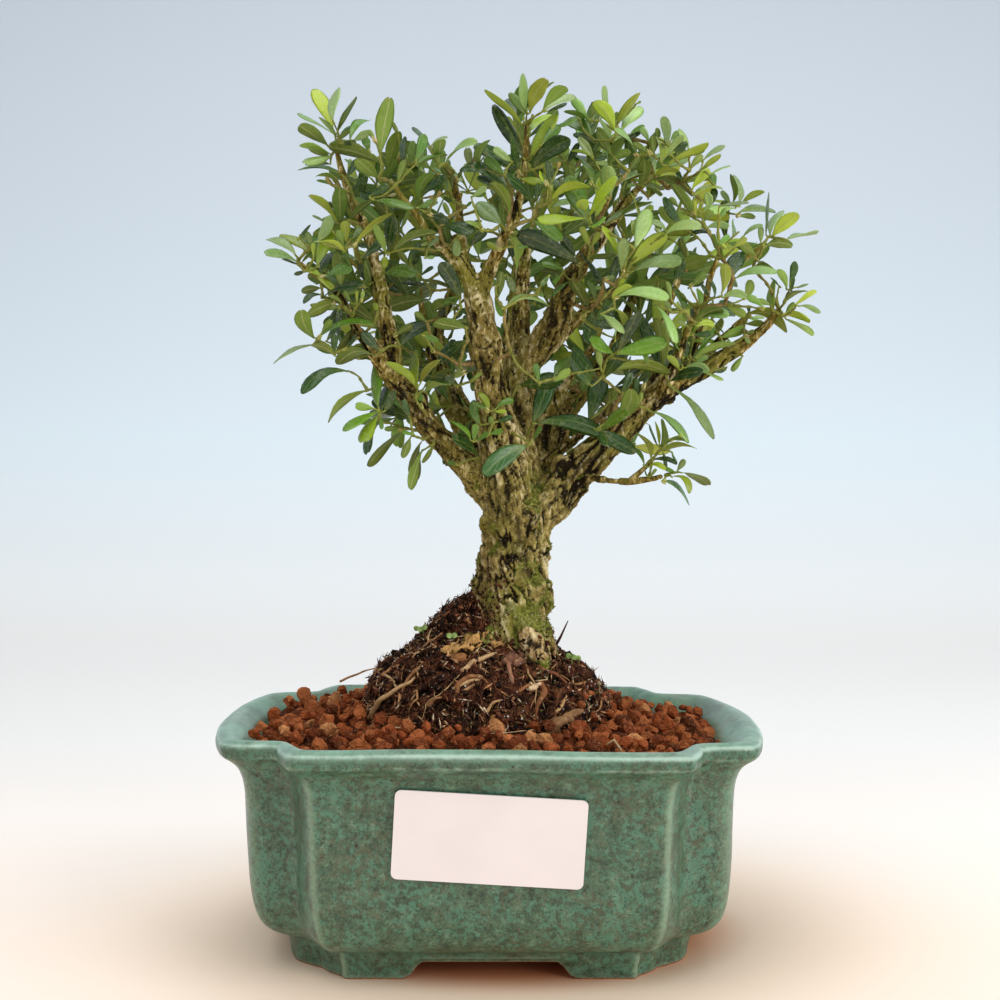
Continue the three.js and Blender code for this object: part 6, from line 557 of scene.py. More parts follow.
28,240,2,290,-92,1777,268,-192,1682,-45,-11,22,3,-1,0,28,240,4,282,-95,1782,231,-191,1844,-40,23,4,1,0,1,28,241,0,256,-74,1867,269,-80,1843,-12,0,-7,0,-1,0,28,242,1,232,-86,1860,180,-109,1817,-18,18,11,-6,-2,8,
28,243,1,210,-89,1894,148,-122,1903,-3,13,25,1,-2,1,28,243,4,210,-90,1883,147,-68,1891,7,24,-11,1,1,3,28,243,1,204,-97,1877,183,-102,1855,-15,1,15,0,-1,0,24,244,1,164,-259,1853,143,-273,1828,-18,1,15,0,0,0,
32,245,4,435,18,1677,408,4,1730,-27,7,-12,0,2,1,28,246,3,338,-286,1683,340,-288,1703,8,7,0,0,0,0,11,247,2,520,-85,1852,539,-96,1914,37,-7,-13,0,-1,0,19,248,2,-390,-96,1610,-513,-116,1547,-23,31,34,-12,-3,24,
19,249,4,-336,-110,1554,-435,-171,1468,-4,45,-28,-14,0,15,18,250,1,-302,-164,1508,-323,-68,1621,36,-27,30,-4,-1,0,18,250,4,-309,-170,1502,-357,-173,1510,-6,5,-38,0,2,0,18,250,1,-299,-167,1495,-380,-267,1440,-42,28,12,-4,-3,10,
18,250,0,-299,-166,1487,-332,-266,1411,-45,16,-2,-6,-2,6,18,250,2,-291,-169,1492,-289,-69,1568,37,-18,22,-4,-2,3,18,250,2,-284,-164,1492,-258,-182,1544,31,6,-13,0,-1,0,18,250,1,-294,-166,1482,-291,-171,1450,-18,-3,-1,0,0,0,
18,251,2,-302,-97,1468,-325,-197,1382,-28,30,-28,-12,-1,5,18,252,1,-249,-29,1453,-291,-46,1450,-1,5,-19,0,1,0,18,252,4,-236,-19,1451,-344,2,1346,24,46,-15,-7,1,8,18,253,4,-215,-132,1425,-232,-161,1373,28,-1,-9,0,2,-1,
18,253,1,-202,-136,1432,-235,-147,1440,0,9,14,0,0,0,18,254,2,-216,-118,1478,-233,-133,1522,24,4,11,0,0,0,18,255,0,-196,-124,1554,-207,-34,1670,31,-33,28,-3,-2,1,18,255,0,-201,-130,1565,-268,-230,1624,-40,29,4,7,3,12,
18,255,0,-188,-129,1573,-131,-229,1629,-36,-28,-13,-4,0,3,18,256,1,-201,-132,1533,-272,-32,1572,38,29,-5,8,-1,17,18,257,1,-178,-122,1549,-106,-222,1562,-37,-26,10,0,1,12,18,257,1,-189,-118,1555,-188,-119,1528,-29,1,-2,0,-1,0,
18,257,4,-180,-125,1560,-161,-135,1578,-13,-3,12,0,1,0,18,258,2,-184,-120,1504,-189,-109,1528,16,2,3,0,-1,0,34,259,4,-162,-4,1598,-110,-11,1617,-7,-17,14,-1,1,4,18,260,4,-179,-111,1420,-201,-14,1307,39,32,20,-21,0,4,
18,261,4,-184,-106,1388,-213,-169,1285,21,32,-26,-4,2,0,18,262,4,-152,-119,1404,-182,-96,1356,18,16,-4,0,0,0,23,263,2,-25,-88,1369,-95,-188,1418,-5,24,42,5,1,9,23,264,0,0,-167,1495,-24,-151,1541,24,2,11,7,-3,5,
23,264,1,0,-175,1497,-42,-156,1519,12,13,12,2,0,4,23,265,1,21,-155,1503,68,-130,1525,13,-9,-18,-2,-1,5,23,265,0,16,-161,1495,47,-170,1495,0,-1,-16,0,-1,0,23,266,1,5,-149,1458,8,-160,1479,-28,2,5,0,0,0,
23,266,2,21,-147,1466,63,-153,1480,6,-2,-20,0,-1,0,23,267,1,-21,-149,1458,-38,-118,1523,30,-3,9,-8,-2,-1,23,268,1,-39,-196,1411,-34,-208,1454,28,-2,-4,0,0,0,23,268,1,-47,-194,1416,-104,-94,1471,38,26,-8,6,-2,10,
23,268,1,-34,-195,1411,0,-212,1434,6,-10,-15,-1,-1,0,23,269,1,2,-168,1432,36,-186,1442,8,2,-22,0,-1,0,23,270,2,110,-160,1401,0,-227,1328,-40,6,55,-4,-6,11,23,270,1,120,-162,1414,144,-178,1453,11,-12,-12,0,0,0,
23,271,1,-86,-93,1348,-111,-86,1356,6,2,18,0,-1,0,24,272,4,-47,-167,1576,-18,-174,1599,-10,-7,11,0,2,1,24,273,2,-67,-205,1597,-36,-218,1609,8,3,-16,0,0,0,24,274,2,-88,-131,1567,-116,-152,1590,26,-4,29,0,-1,0,
24,275,1,136,-276,1567,128,-261,1614,25,-3,5,0,-2,1,27,276,2,123,-55,1463,175,-33,1604,53,-6,-19,3,-2,-1,27,276,2,131,-58,1465,333,-29,1431,-7,-16,-51,4,0,25,24,277,1,177,-259,1585,233,-159,1649,37,-29,13,-5,-2,8,
24,277,1,177,-262,1570,214,-288,1599,-18,-3,21,0,1,0,31,278,2,283,-168,1564,223,-260,1634,15,21,41,1,0,0,31,279,2,305,-108,1589,231,-205,1661,16,21,45,2,-1,2,31,279,2,322,-104,1589,377,-192,1688,50,-7,-34,-1,-3,-2,
31,279,4,321,-111,1599,510,-85,1603,5,-43,32,-1,5,29,24,280,1,300,-291,1604,291,-313,1645,-22,0,-5,0,1,1,31,281,2,286,1,1472,328,91,1598,61,-8,-14,1,-7,5,31,282,1,343,-76,1470,387,-176,1551,-50,-1,26,19,3,-7,
31,283,2,372,-100,1547,397,-92,1600,36,2,-17,0,-2,0,31,284,2,416,-65,1538,415,-74,1585,27,0,1,0,-2,0,31,285,4,420,-83,1513,426,-102,1547,-17,-4,1,0,1,1,31,286,4,348,27,1555,374,17,1560,-4,-2,16,0,1,0,
31,287,4,347,14,1527,365,1,1543,-15,-2,16,0,0,0,31,288,2,434,-76,1564,444,-80,1596,15,0,-5,0,0,0,31,289,1,433,-207,1619,417,-186,1688,26,14,2,1,-2,1,32,290,1,579,-34,1645,682,-115,1685,-33,-35,16,-3,4,17,
32,290,3,580,-29,1640,617,-34,1651,8,-2,-31,0,0,0,32,290,2,562,-39,1645,554,-61,1692,19,7,7,1,-2,-1,32,290,1,570,-39,1656,570,-62,1708,-8,20,9,0,0,0,32,291,3,544,-113,1618,599,-147,1603,-8,0,-31,3,-1,12,
32,291,0,531,-111,1608,497,-128,1647,-19,6,-14,4,2,4,32,291,2,539,-115,1624,525,-121,1639,12,-1,11,0,0,0,32,292,3,606,-52,1612,664,-31,1591,1,-19,-18,0,0,0,32,293,2,505,-68,1581,585,-163,1602,-18,-23,-36,-6,-4,8,
32,293,3,505,-64,1571,629,-92,1420,-31,-41,-18,15,-3,13,33,294,1,715,-61,1654,688,-47,1615,17,-4,-13,0,0,0,32,295,1,668,-69,1621,662,-74,1612,-9,2,5,0,0,0,33,296,4,658,-25,1708,723,-11,1734,-13,-5,35,0,2,0,
33,297,3,718,-55,1706,733,-63,1692,-8,4,-10,0,-1,0,33,297,1,724,-51,1717,744,-64,1724,-6,-2,15,0,0,0,11,298,2,562,-137,1706,607,-154,1708,0,0,-24,0,-1,0,31,299,3,455,-57,1500,557,-94,1412,-27,-42,-14,15,-1,18,
11,300,3,553,-124,1729,527,-138,1743,9,-4,12,0,-1,0,11,300,1,551,-117,1745,539,-129,1776,-25,7,-7,0,1,1,10,301,1,429,-156,1345,387,-118,1396,23,18,5,9,-6,12,10,301,0,438,-154,1343,480,-180,1335,-10,-12,-14,2,0,12,
10,302,0,449,-148,1366,404,-248,1431,-34,27,18,11,2,11,10,302,2,452,-150,1361,520,-129,1352,3,-20,-20,2,-2,10,10,303,1,478,-118,1394,474,-218,1468,-17,26,34,10,0,0,10,303,2,471,-125,1398,452,-96,1457,13,23,-7,0,0,0,
10,303,0,476,-118,1401,460,-154,1464,-10,25,12,2,1,1,10,303,1,493,-118,1403,542,-134,1414,-8,-14,15,-2,2,14,10,303,0,485,-123,1387,561,-223,1392,-35,-26,17,-3,-2,15,10,303,2,484,-121,1386,497,-102,1341,-14,-13,-10,1,-1,0,
10,304,0,503,-121,1416,538,-126,1433,-7,-13,9,0,0,0,10,305,2,510,-119,1382,522,-124,1354,-6,-13,0,0,0,0,9,306,3,522,-123,1329,540,-139,1359,23,-6,-16,0,0,0,9,306,1,521,-122,1327,492,-125,1338,6,-2,16,0,0,0,
9,306,1,535,-124,1327,622,-24,1292,39,-32,4,4,0,11,9,307,0,506,-130,1317,549,-162,1273,-21,-14,-11,15,-1,16,9,307,0,503,-125,1322,488,-128,1318,-3,-1,12,0,0,0,9,308,2,481,-163,1306,562,-77,1239,11,-36,-33,9,1,12,
10,309,1,449,-119,1315,463,-134,1336,-12,-7,3,0,1,0,10,309,2,442,-117,1316,436,-124,1331,4,7,5,0,0,0,37,310,1,64,395,1752,143,441,1824,-31,-4,36,0,0,0,37,310,1,64,395,1752,13,500,1695,31,-6,-40,6,5,4,
37,310,1,69,420,1753,110,502,1730,31,-11,15,0,-1,-2,37,310,1,69,420,1753,41,534,1806,-32,5,-27,4,3,-5,30,311,1,407,199,1468,451,146,1580,-40,-15,8,-1,2,1,30,311,2,407,199,1468,382,343,1516,35,18,-34,2,0,2,
30,311,2,409,215,1488,476,280,1541,10,-35,30,-5,2,4,30,311,1,409,215,1488,344,256,1587,-7,41,-22,-1,0,0,7,312,1,427,436,1864,474,552,1848,36,-17,-16,0,0,0,7,312,2,427,436,1864,423,380,1984,-40,10,3,2,7,3,
7,312,0,437,452,1882,380,558,1956,2,28,-38,8,2,2,7,312,0,437,452,1882,592,446,1935,-10,-40,23,0,0,0,7,312,0,447,469,1899,470,487,2024,-40,24,4,5,8,-2,7,312,0,447,469,1899,500,582,1914,40,-18,-3,0,-1,5,
17,313,1,-27,323,1973,50,413,1980,19,-19,42,1,-1,-1,17,313,1,-27,323,1973,-164,287,2026,-22,31,-35,0,0,0,17,313,2,-34,342,1990,-92,448,2008,37,23,-16,1,0,3,17,313,1,-34,342,1990,-40,398,2083,-36,-16,7,-2,4,-2,
14,314,1,222,325,2050,338,338,2123,-24,-21,42,-2,8,2,14,314,2,222,325,2050,119,430,2064,9,14,-41,1,1,1,14,314,0,225,347,2063,264,460,2042,46,-14,7,0,1,3,14,314,0,225,347,2063,179,334,2202,-44,2,-14,0,0,0,
14,314,0,228,369,2076,198,455,2122,-12,18,-40,4,2,0,14,314,0,228,369,2076,272,436,2134,-20,-17,35,-2,2,0,17,315,2,-382,202,1794,-419,354,1768,45,13,12,-2,1,9,17,315,1,-382,202,1794,-408,103,1899,-45,-18,-28,0,0,0,
17,315,1,-397,209,1814,-537,211,1828,-1,41,-13,0,2,5,17,315,1,-397,209,1814,-335,248,1904,-1,-38,17,0,0,0,17,315,2,-411,217,1834,-475,202,1934,-33,-13,-23,0,0,0,17,315,1,-411,217,1834,-470,313,1884,34,8,25,-3,-4,5,
30,316,0,473,360,1580,474,450,1483,33,-17,-16,0,0,0,30,316,0,473,360,1580,584,412,1688,-36,17,29,0,1,-1,30,316,0,489,381,1580,528,504,1587,-5,4,-40,3,-1,0,30,316,0,489,381,1580,572,440,1544,28,-21,30,-1,4,4,
14,317,1,-117,481,1976,-224,445,2094,-29,-31,-36,1,-2,0,14,317,2,-117,481,1976,-76,613,1916,44,-1,28,-3,3,5,14,317,2,-129,502,1985,-130,593,2067,-22,-27,30,0,0,0,3,318,2,-295,188,2169,-211,203,2303,-33,-34,24,-7,9,3,
3,318,2,-295,188,2169,-422,274,2168,19,29,-31,4,6,8,3,318,0,-301,204,2189,-252,360,2193,47,-15,16,-3,1,8,3,318,0,-301,204,2189,-387,137,2278,-38,20,-22,0,7,6,6,319,0,468,134,2135,457,69,2266,-44,27,10,6,8,4,
6,319,0,482,139,2157,504,185,2238,29,19,-18,-1,1,0,6,319,0,482,139,2157,561,130,2242,-31,-16,27,-1,4,1,17,320,2,-387,364,1806,-363,460,1864,4,-20,32,-2,0,0,17,320,2,-387,364,1806,-507,336,1786,3,20,-46,-2,8,3,
17,320,2,-402,382,1816,-439,483,1741,23,31,31,2,0,-1,17,320,2,-402,382,1816,-442,371,1948,-42,-19,-14,-4,9,0,17,320,2,-417,401,1826,-501,442,1845,4,22,-27,0,0,0,17,320,1,-417,401,1826,-443,496,1862,-9,-15,34,2,0,1,
15,321,2,50,344,2130,142,383,2198,-3,-39,27,-1,1,1,15,321,1,41,355,2152,16,331,2243,-36,-5,-11,-1,3,1,15,321,2,41,355,2152,13,423,2220,35,0,14,0,-2,1,37,322,2,99,347,1669,-28,354,1638,9,26,-31,-1,6,4,
37,322,2,81,363,1679,11,356,1776,-33,3,-24,0,2,0,37,322,1,81,363,1679,65,459,1598,32,23,20,-2,1,1,37,322,2,63,379,1689,24,480,1743,-23,-23,26,-3,0,-3,37,322,1,63,379,1689,-29,407,1694,5,23,-29,2,5,4,
22,323,2,-353,44,2006,-398,-23,2148,-33,-29,-24,-4,4,1,22,323,1,-353,44,2006,-462,133,1998,19,27,38,-1,-1,2,22,323,1,-373,47,2023,-493,-52,1998,-22,34,-30,-4,3,6,22,323,2,-393,50,2039,-432,20,2140,-16,-41,-18,-5,2,-1,
30,324,2,466,290,1765,388,379,1817,4,26,-38,5,3,2,30,324,1,466,290,1765,578,314,1760,7,-25,37,-1,6,4,30,324,2,480,309,1776,534,333,1893,-36,27,11,0,0,0,30,324,1,480,309,1776,538,414,1787,36,-18,-17,0,0,1,
7,325,2,187,510,1859,104,603,1870,11,14,-36,1,1,1,7,325,2,187,510,1859,291,536,1926,-20,-18,38,0,-1,0,7,325,0,187,532,1873,142,546,2004,-31,25,-13,0,0,0,7,325,0,187,532,1873,226,637,1821,44,-10,14,0,0,1,
7,325,0,186,554,1887,137,670,1926,23,22,-35,4,1,3,17,326,2,-208,295,1898,-325,360,1861,28,31,-34,0,-1,-1,17,326,2,-225,312,1908,-314,338,1974,-26,-8,-32,0,6,-2,17,326,1,-225,312,1908,-259,406,1927,30,7,21,-1,-1,2,
35,327,2,-196,254,1612,-114,303,1679,11,-35,11,2,0,-2,35,327,2,-205,268,1632,-248,378,1654,39,13,10,-1,-2,8,35,327,1,-205,268,1632,-241,288,1758,-43,-11,-11,0,3,-1,30,328,1,275,167,1562,306,288,1645,-40,-9,28,-6,6,-7,
30,328,2,264,213,1541,216,271,1447,38,1,-19,0,2,1,30,328,1,264,213,1541,264,316,1554,-33,-4,29,-2,0,-2,30,329,2,559,137,1686,624,109,1790,-9,39,16,0,0,0,30,329,1,559,137,1686,667,203,1617,-1,-38,-38,0,0,0,
30,329,0,584,142,1691,625,274,1755,4,19,-42,1,0,0,30,329,0,609,148,1695,682,141,1774,-11,42,14,6,3,-5,36,330,0,-104,289,1664,-231,247,1754,-29,4,-40,0,2,0,36,330,0,-104,289,1664,-69,420,1642,39,-6,24,-2,1,3,
36,330,0,-116,309,1677,-200,382,1650,24,20,-22,1,3,4,12,331,1,400,215,2173,360,205,2328,-22,40,-3,0,0,0,12,331,1,400,215,2173,489,289,2210,25,-35,11,-1,0,3,12,331,2,410,226,2195,481,225,2286,-34,-21,26,-1,3,1,
12,331,2,410,226,2195,404,314,2276,33,25,-25,-2,1,-1,6,332,2,409,52,2174,399,-26,2282,-26,28,18,-2,-1,-1,6,332,1,409,52,2174,501,149,2141,24,-34,-33,4,-2,5,6,332,2,427,53,2193,552,-8,2213,-23,-41,18,0,2,4,
6,332,1,427,53,2193,406,149,2320,-1,36,-27,8,1,1,6,332,1,445,54,2211,536,98,2259,24,-35,-14,-2,-4,8,6,332,2,445,54,2211,486,22,2300,-29,17,19,1,1,0,16,333,1,359,425,2125,374,553,2131,41,-3,-22,2,0,4,
16,333,2,359,425,2125,384,324,2224,-48,-13,-1,-1,4,5,16,333,1,367,436,2147,346,478,2252,-14,42,-19,5,2,0,16,333,1,367,436,2147,452,478,2215,13,-36,5,-5,-1,6,30,334,2,356,375,1640,245,402,1742,-17,43,-30,1,1,1,
30,334,1,356,375,1640,451,446,1645,22,-31,31,-1,1,2,30,334,2,365,395,1654,424,437,1730,-20,-22,28,-3,3,0,7,335,2,246,396,1849,193,356,1974,-46,12,-16,1,7,2,7,335,2,246,396,1849,278,504,1800,47,-9,12,0,0,-1,
7,335,0,243,416,1866,357,450,1968,-18,-30,30,1,-1,0,7,335,0,243,416,1866,158,496,1908,2,24,-42,1,1,0,7,335,0,241,436,1882,257,549,1898,38,-7,10,-1,0,4,7,335,0,241,436,1882,210,459,1983,-44,-6,-12,0,5,-1,
17,336,2,-311,182,1977,-404,122,1939,-5,27,-30,-3,3,4,17,336,1,-311,182,1977,-291,280,2076,12,-30,28,-9,-1,3,17,336,0,-331,190,1992,-364,144,2120,-36,-25,-19,-6,8,1,17,336,0,-331,190,1992,-404,305,1903,14,36,35,-10,-2,6,
17,336,0,-351,199,2006,-409,279,2090,17,-25,36,0,0,0,17,336,0,-351,199,2006,-452,190,2016,-5,30,-26,0,4,5,28,337,2,259,-240,1736,329,-330,1708,-31,-20,-13,-1,-2,6,34,338,1,-129,208,1451,-186,198,1577,0,-48,-4,-2,0,-1,
34,338,1,-153,200,1458,-242,218,1485,12,-4,40,-1,-5,0,34,338,2,-153,200,1458,-209,108,1482,2,-10,-36,-7,4,-2,37,339,1,-3,488,1711,-54,573,1586,39,22,-1,-3,6,6,37,339,1,-3,488,1711,-14,516,1837,-41,-3,-3,-1,10,-2,
37,339,2,-15,510,1717,-12,604,1738,1,-8,36,0,0,0,12,340,0,426,316,2028,559,361,2037,15,-48,19,0,-1,-2,12,340,0,426,316,2028,384,340,2163,-13,45,-12,5,2,1,12,340,0,438,325,2049,462,436,2110,37,5,-24,5,-4,6,
12,340,0,438,325,2049,496,308,2135,-34,-22,19,-1,3,1,5,341,1,247,126,2171,254,227,2272,54,-4,1,0,-5,5,5,341,1,247,126,2171,223,18,2232,-38,-4,-22,-1,1,2,5,341,2,244,127,2196,100,153,2233,4,42,-15,1,1,4,
5,341,1,244,127,2196,358,111,2266,-1,-49,-10,-4,-1,6,35,342,1,-255,100,1690,-341,199,1627,27,34,18,-3,0,4,35,342,2,-278,109,1697,-397,50,1666,8,7,-43,-4,7,0,35,342,2,-278,109,1697,-308,215,1785,4,-30,37,-9,-2,-1,
35,342,2,-301,119,1705,-375,178,1683,20,28,6,0,0,0,34,343,1,-28,110,1490,2,195,1413,-6,29,30,-1,0,0,34,343,2,-48,123,1480,-130,90,1346,38,18,-28,1,-2,0,34,343,1,-48,123,1480,-95,244,1563,-16,-32,38,-1,0,0,
34,343,1,-68,136,1469,-107,231,1393,11,32,34,-1,0,0,22,344,1,-311,110,2140,-267,9,2221,-36,-25,-12,-4,3,6,22,344,2,-311,110,2140,-420,193,2152,23,26,30,0,1,-1,22,344,2,-326,108,2161,-322,168,2268,23,-30,16,-3,-2,1,
22,344,2,-326,108,2161,-451,20,2195,-32,46,2,0,0,-3,22,344,1,-342,105,2182,-415,127,2240,20,35,13,0,0,0,16,345,1,545,409,1989,532,523,2048,-15,20,-42,4,1,-1,16,345,2,545,409,1989,674,362,1969,7,-4,52,0,0,0,
16,345,1,562,427,1997,631,482,2093,-33,38,1,4,4,-5,23,346,2,85,-92,1571,204,-199,1579,20,18,-43,-3,-4,-3,15,347,2,130,306,2133,147,431,2149,46,-6,3,0,-1,5,15,347,2,130,306,2133,108,240,2252,-47,22,4,0,1,0,
15,347,1,129,315,2157,-15,357,2214,7,48,-17,0,0,1,15,347,1,129,315,2157,232,328,2235,-5,-39,13,0,0,0,15,347,1,127,324,2182,108,313,2304,-41,12,-5,1,4,1,15,347,1,127,324,2182,126,398,2274,43,-8,7,-1,-2,2,
17,348,0,-248,343,2131,-341,317,2241,-33,17,-24,0,-1,0,17,348,0,-248,343,2131,-207,455,2161,24,-19,39,-4,1,3,17,348,0,-256,355,2152,-261,383,2275,-46,-21,3,0,-1,0,17,348,0,-256,355,2152,-324,422,2198,23,30,-11,4,-1,7,
30,349,1,420,231,1584,414,266,1711,-15,37,-11,1,0,0,30,349,2,442,239,1596,527,231,1651,-19,7,31,1,4,0,30,349,1,442,239,1596,512,298,1628,24,-8,-37,2,-3,2,35,350,2,-94,350,1590,-196,246,1652,-32,4,-45,-2,4,2,
35,350,1,-110,361,1608,-128,388,1714,-16,-41,8,-2,1,0,35,350,2,-110,361,1608,-196,401,1617,18,39,-3,0,0,1,17,351,2,-226,381,1868,-234,358,2021,-45,-29,-7,1,-2,0,17,351,1,-243,398,1879,-172,539,1925,12,-23,51,3,-1,-1,
17,351,2,-243,398,1879,-395,396,1920,-13,26,-49,0,-2,-1,17,351,2,-259,414,1891,-339,512,1870,32,24,-9,0,1,3,17,351,1,-259,414,1891,-310,452,1984,-36,-19,-12,-1,3,-2,14,352,1,-53,337,2077,-104,440,1978,45,30,8,-4,4,6,
14,352,1,-67,356,2089,-215,335,2111,-10,36,-36,0,-1,-1,14,352,2,-80,374,2101,-135,457,2112,29,20,-6,1,0,6,14,352,2,-80,374,2101,-126,421,2189,-37,-24,-6,0,-1,1,21,353,1,-329,-5,1829,-340,-138,1907,-11,-27,-47,2,0,0,
21,353,2,-329,-5,1829,-416,78,1826,25,27,21,-3,-3,7,21,353,1,-349,-13,1843,-334,26,1961,17,-37,10,-5,-2,1,21,353,1,-349,-13,1843,-449,-78,1806,-22,42,-15,-4,1,9,21,353,1,-369,-20,1858,-462,5,1879,13,23,31,-1,-6,5,
21,353,1,-369,-20,1858,-409,-88,1911,-8,-22,-34,-3,2,0,30,354,0,544,344,1678,504,468,1664,11,-1,-44,-1,0,0,30,354,0,544,344,1678,674,336,1669,2,-7,44,0,-1,0,30,354,0,560,364,1678,628,441,1749,-34,16,15,0,2,-2,
30,354,0,560,364,1678,614,433,1648,24,-23,-9,3,0,6,37,355,2,79,323,1526,-61,368,1482,6,-24,-42,2,5,-2,37,355,1,79,323,1526,188,436,1544,-11,3,48,-7,7,-2,37,355,2,75,348,1520,43,452,1536,-32,-5,-34,4,2,-4,
37,355,2,75,348,1520,86,427,1421,36,14,15,-5,7,5,6,356,2,342,101,2194,459,115,2267,0,-48,10,-2,0,2,6,356,2,342,101,2194,269,86,2297,-16,48,-4,0,0,0,6,356,1,350,101,2218,355,219,2317,45,16,-21,4,-4,5,
6,356,1,350,101,2218,385,-41,2273,-43,-13,-7,-1,1,2,17,357,1,-251,180,2025,-329,120,2119,-33,22,-14,1,4,4,17,357,1,-263,186,2047,-371,229,2051,14,36,-11,1,2,9,17,357,1,-263,186,2047,-194,172,2154,-15,-41,4,-4,2,3,
17,357,2,-275,193,2069,-329,166,2150,-35,-8,-26,-2,5,1,17,357,2,-275,193,2069,-291,266,2133,32,-8,17,-1,-1,1,14,358,1,-116,395,2057,-187,345,2133,-30,-5,-32,-1,2,0,14,358,2,-116,395,2057,-116,516,2036,39,4,24,-3,1,5,
14,358,2,-133,406,2074,-105,447,2184,-9,-40,17,1,0,0,14,358,2,-133,406,2074,-256,438,2071,11,41,-27,1,5,8,14,358,1,-149,418,2090,-194,531,2108,41,14,15,0,0,-2,14,358,2,-149,418,2090,-223,424,2175,-24,-22,-19,-2,5,-2,
5,359,0,181,177,2173,170,64,2264,-53,4,-2,0,4,5,5,359,0,181,177,2173,186,301,2247,48,-13,18,-1,-1,2,5,359,0,180,182,2199,231,193,2301,-9,-42,9,-7,2,3,5,359,0,180,182,2199,94,204,2284,5,43,-7,3,0,3,
6,360,2,490,322,2189,571,265,2320,-50,-14,25,0,4,2,6,360,2,490,322,2189,496,439,2204,48,-4,7,0,0,0,6,360,2,500,333,2210,577,378,2260,14,-34,9,1,0,-1,6,360,1,500,333,2210,490,367,2308,-8,34,-13,7,2,0,
12,361,2,510,294,1973,648,334,1983,6,-31,39,-3,8,7,12,361,2,510,294,1973,448,340,2062,1,37,-18,4,1,3,12,361,1,521,309,1992,511,460,1987,40,2,-16,4,0,9,12,361,1,521,309,1992,598,248,2114,-49,-9,26,0,4,2,
12,361,1,531,323,2011,514,377,2122,-10,39,-21,9,2,0,5,362,2,84,223,2345,100,156,2460,-52,-8,3,-1,8,5,5,362,1,78,232,2369,149,296,2477,5,-42,22,-1,0,1,5,362,1,73,240,2393,36,326,2457,39,13,5,0,-2,3,
16,363,1,254,341,2119,317,470,2124,39,-20,19,-2,1,5,16,363,1,258,360,2137,362,388,2257,-27,-31,31,-2,4,1,16,363,2,258,360,2137,183,447,2157,28,28,-17,1,0,2,16,363,1,261,378,2155,301,493,2202,30,-24,32,1,0,-1,
16,363,2,261,378,2155,244,413,2272,-42,21,-12,0,0,0,17,364,0,-301,394,1930,-388,493,1912,36,34,15,0,0,1,17,364,0,-301,394,1930,-281,352,2062,-38,-23,-2,-4,6,3,17,364,0,-314,406,1949,-426,406,2015,-12,36,-21,1,2,2,
37,365,2,98,403,1562,124,417,1685,-34,-33,11,0,0,0,37,365,1,98,403,1562,42,466,1467,43,9,-19,0,6,4,37,365,1,88,426,1571,171,513,1558,18,-11,41,-5,5,3,37,365,1,88,426,1571,-38,464,1632,-24,1,-49,0,2,0,
37,365,2,79,448,1579,18,556,1546,40,16,-21,1,2,4,37,365,1,79,448,1579,60,513,1643,-38,-18,7,-2,4,-4,30,366,1,316,432,1670,324,555,1757,-30,23,-30,1,0,0,30,366,2,332,452,1671,318,576,1610,35,-11,-31,2,1,2,
30,366,1,332,452,1671,436,475,1724,-19,24,26,1,7,-5,30,366,1,348,473,1672,370,562,1733,-23,23,-25,-1,0,1,12,367,2,578,338,1918,602,371,2064,-10,50,-10,-2,0,0,12,367,2,595,352,1932,580,478,1959,31,12,-40,6,0,5,
12,367,1,595,352,1932,705,320,1966,-16,-19,34,0,0,0,12,367,2,612,365,1946,647,401,2024,-13,33,-9,6,1,-3,34,368,1,-260,149,1506,-261,35,1399,41,13,-14,0,-1,1,34,368,2,-260,149,1506,-361,272,1491,-38,-28,28,-1,-1,-2,
34,368,2,-276,149,1485,-386,112,1471,13,-30,-23,0,3,-4,37,369,1,167,217,1508,56,328,1474,-18,-29,-35,3,2,-3,37,369,2,167,217,1508,274,278,1479,17,-8,45,-4,8,3,37,369,2,172,241,1500,190,339,1513,-36,6,6,-1,1,-5,
37,369,2,172,241,1500,193,330,1433,34,-14,-8,2,2,4,13,370,0,573,114,2084,577,208,2192,5,33,-28,5,0,0,13,370,0,573,114,2084,687,29,2061,-12,-28,43,4,4,4,13,370,0,595,114,2098,649,86,2168,-19,25,24,2,2,0,
7,371,1,94,359,1913,-30,433,1978,-8,21,-40,7,9,3,7,371,2,94,359,1913,203,436,2002,-3,-36,34,-8,6,5,7,371,1,94,380,1928,85,356,2075,-46,7,-2,0,1,0,7,371,1,94,380,1928,104,508,1862,49,-13,-17,0,0,0,
7,371,2,95,400,1944,147,462,1991,-8,-18,31,-5,4,1,7,371,1,95,400,1944,50,500,1999,21,24,-26,4,0,3,16,372,2,327,391,2056,294,464,2169,-13,41,-30,5,2,0,16,372,1,344,408,2067,420,447,2144,-33,18,23,0,3,-2,
16,372,1,344,408,2067,394,525,2090,23,-2,-40,4,-2,3,7,374,2,379,321,1953,293,433,1917,25,6,-43,2,2,1,7,374,1,379,321,1953,476,356,2047,-23,-22,32,-4,6,2,7,374,1,386,343,1964,375,402,2052,-46,2,-7,0,1,-1,
7,374,1,386,343,1964,447,456,1978,29,-20,38,-2,1,2,3,375,2,-183,184,2197,-140,289,2244,34,-24,21,-5,-1,7,3,375,1,-183,184,2197,-275,107,2222,-29,30,-14,0,3,7,3,375,1,-194,193,2219,-275,256,2259,20,35,-14,3,0,5,
3,375,2,-194,193,2219,-202,198,2328,-28,-26,0,-1,1,0,30,376,0,608,298,1669,532,385,1775,6,40,-29,6,1,3,30,376,0,620,315,1686,679,339,1790,-43,12,22,1,5,-2,30,376,0,620,315,1686,643,407,1714,36,-2,-25,1,0,1,
7,377,1,392,321,1868,445,360,2019,-34,36,2,6,6,-4,7,377,1,392,321,1868,481,409,1784,25,-43,-18,7,1,8,7,377,1,410,337,1878,537,265,1905,-22,-24,38,0,0,0,7,377,1,410,337,1878,369,446,1888,16,10,-37,8,2,4,
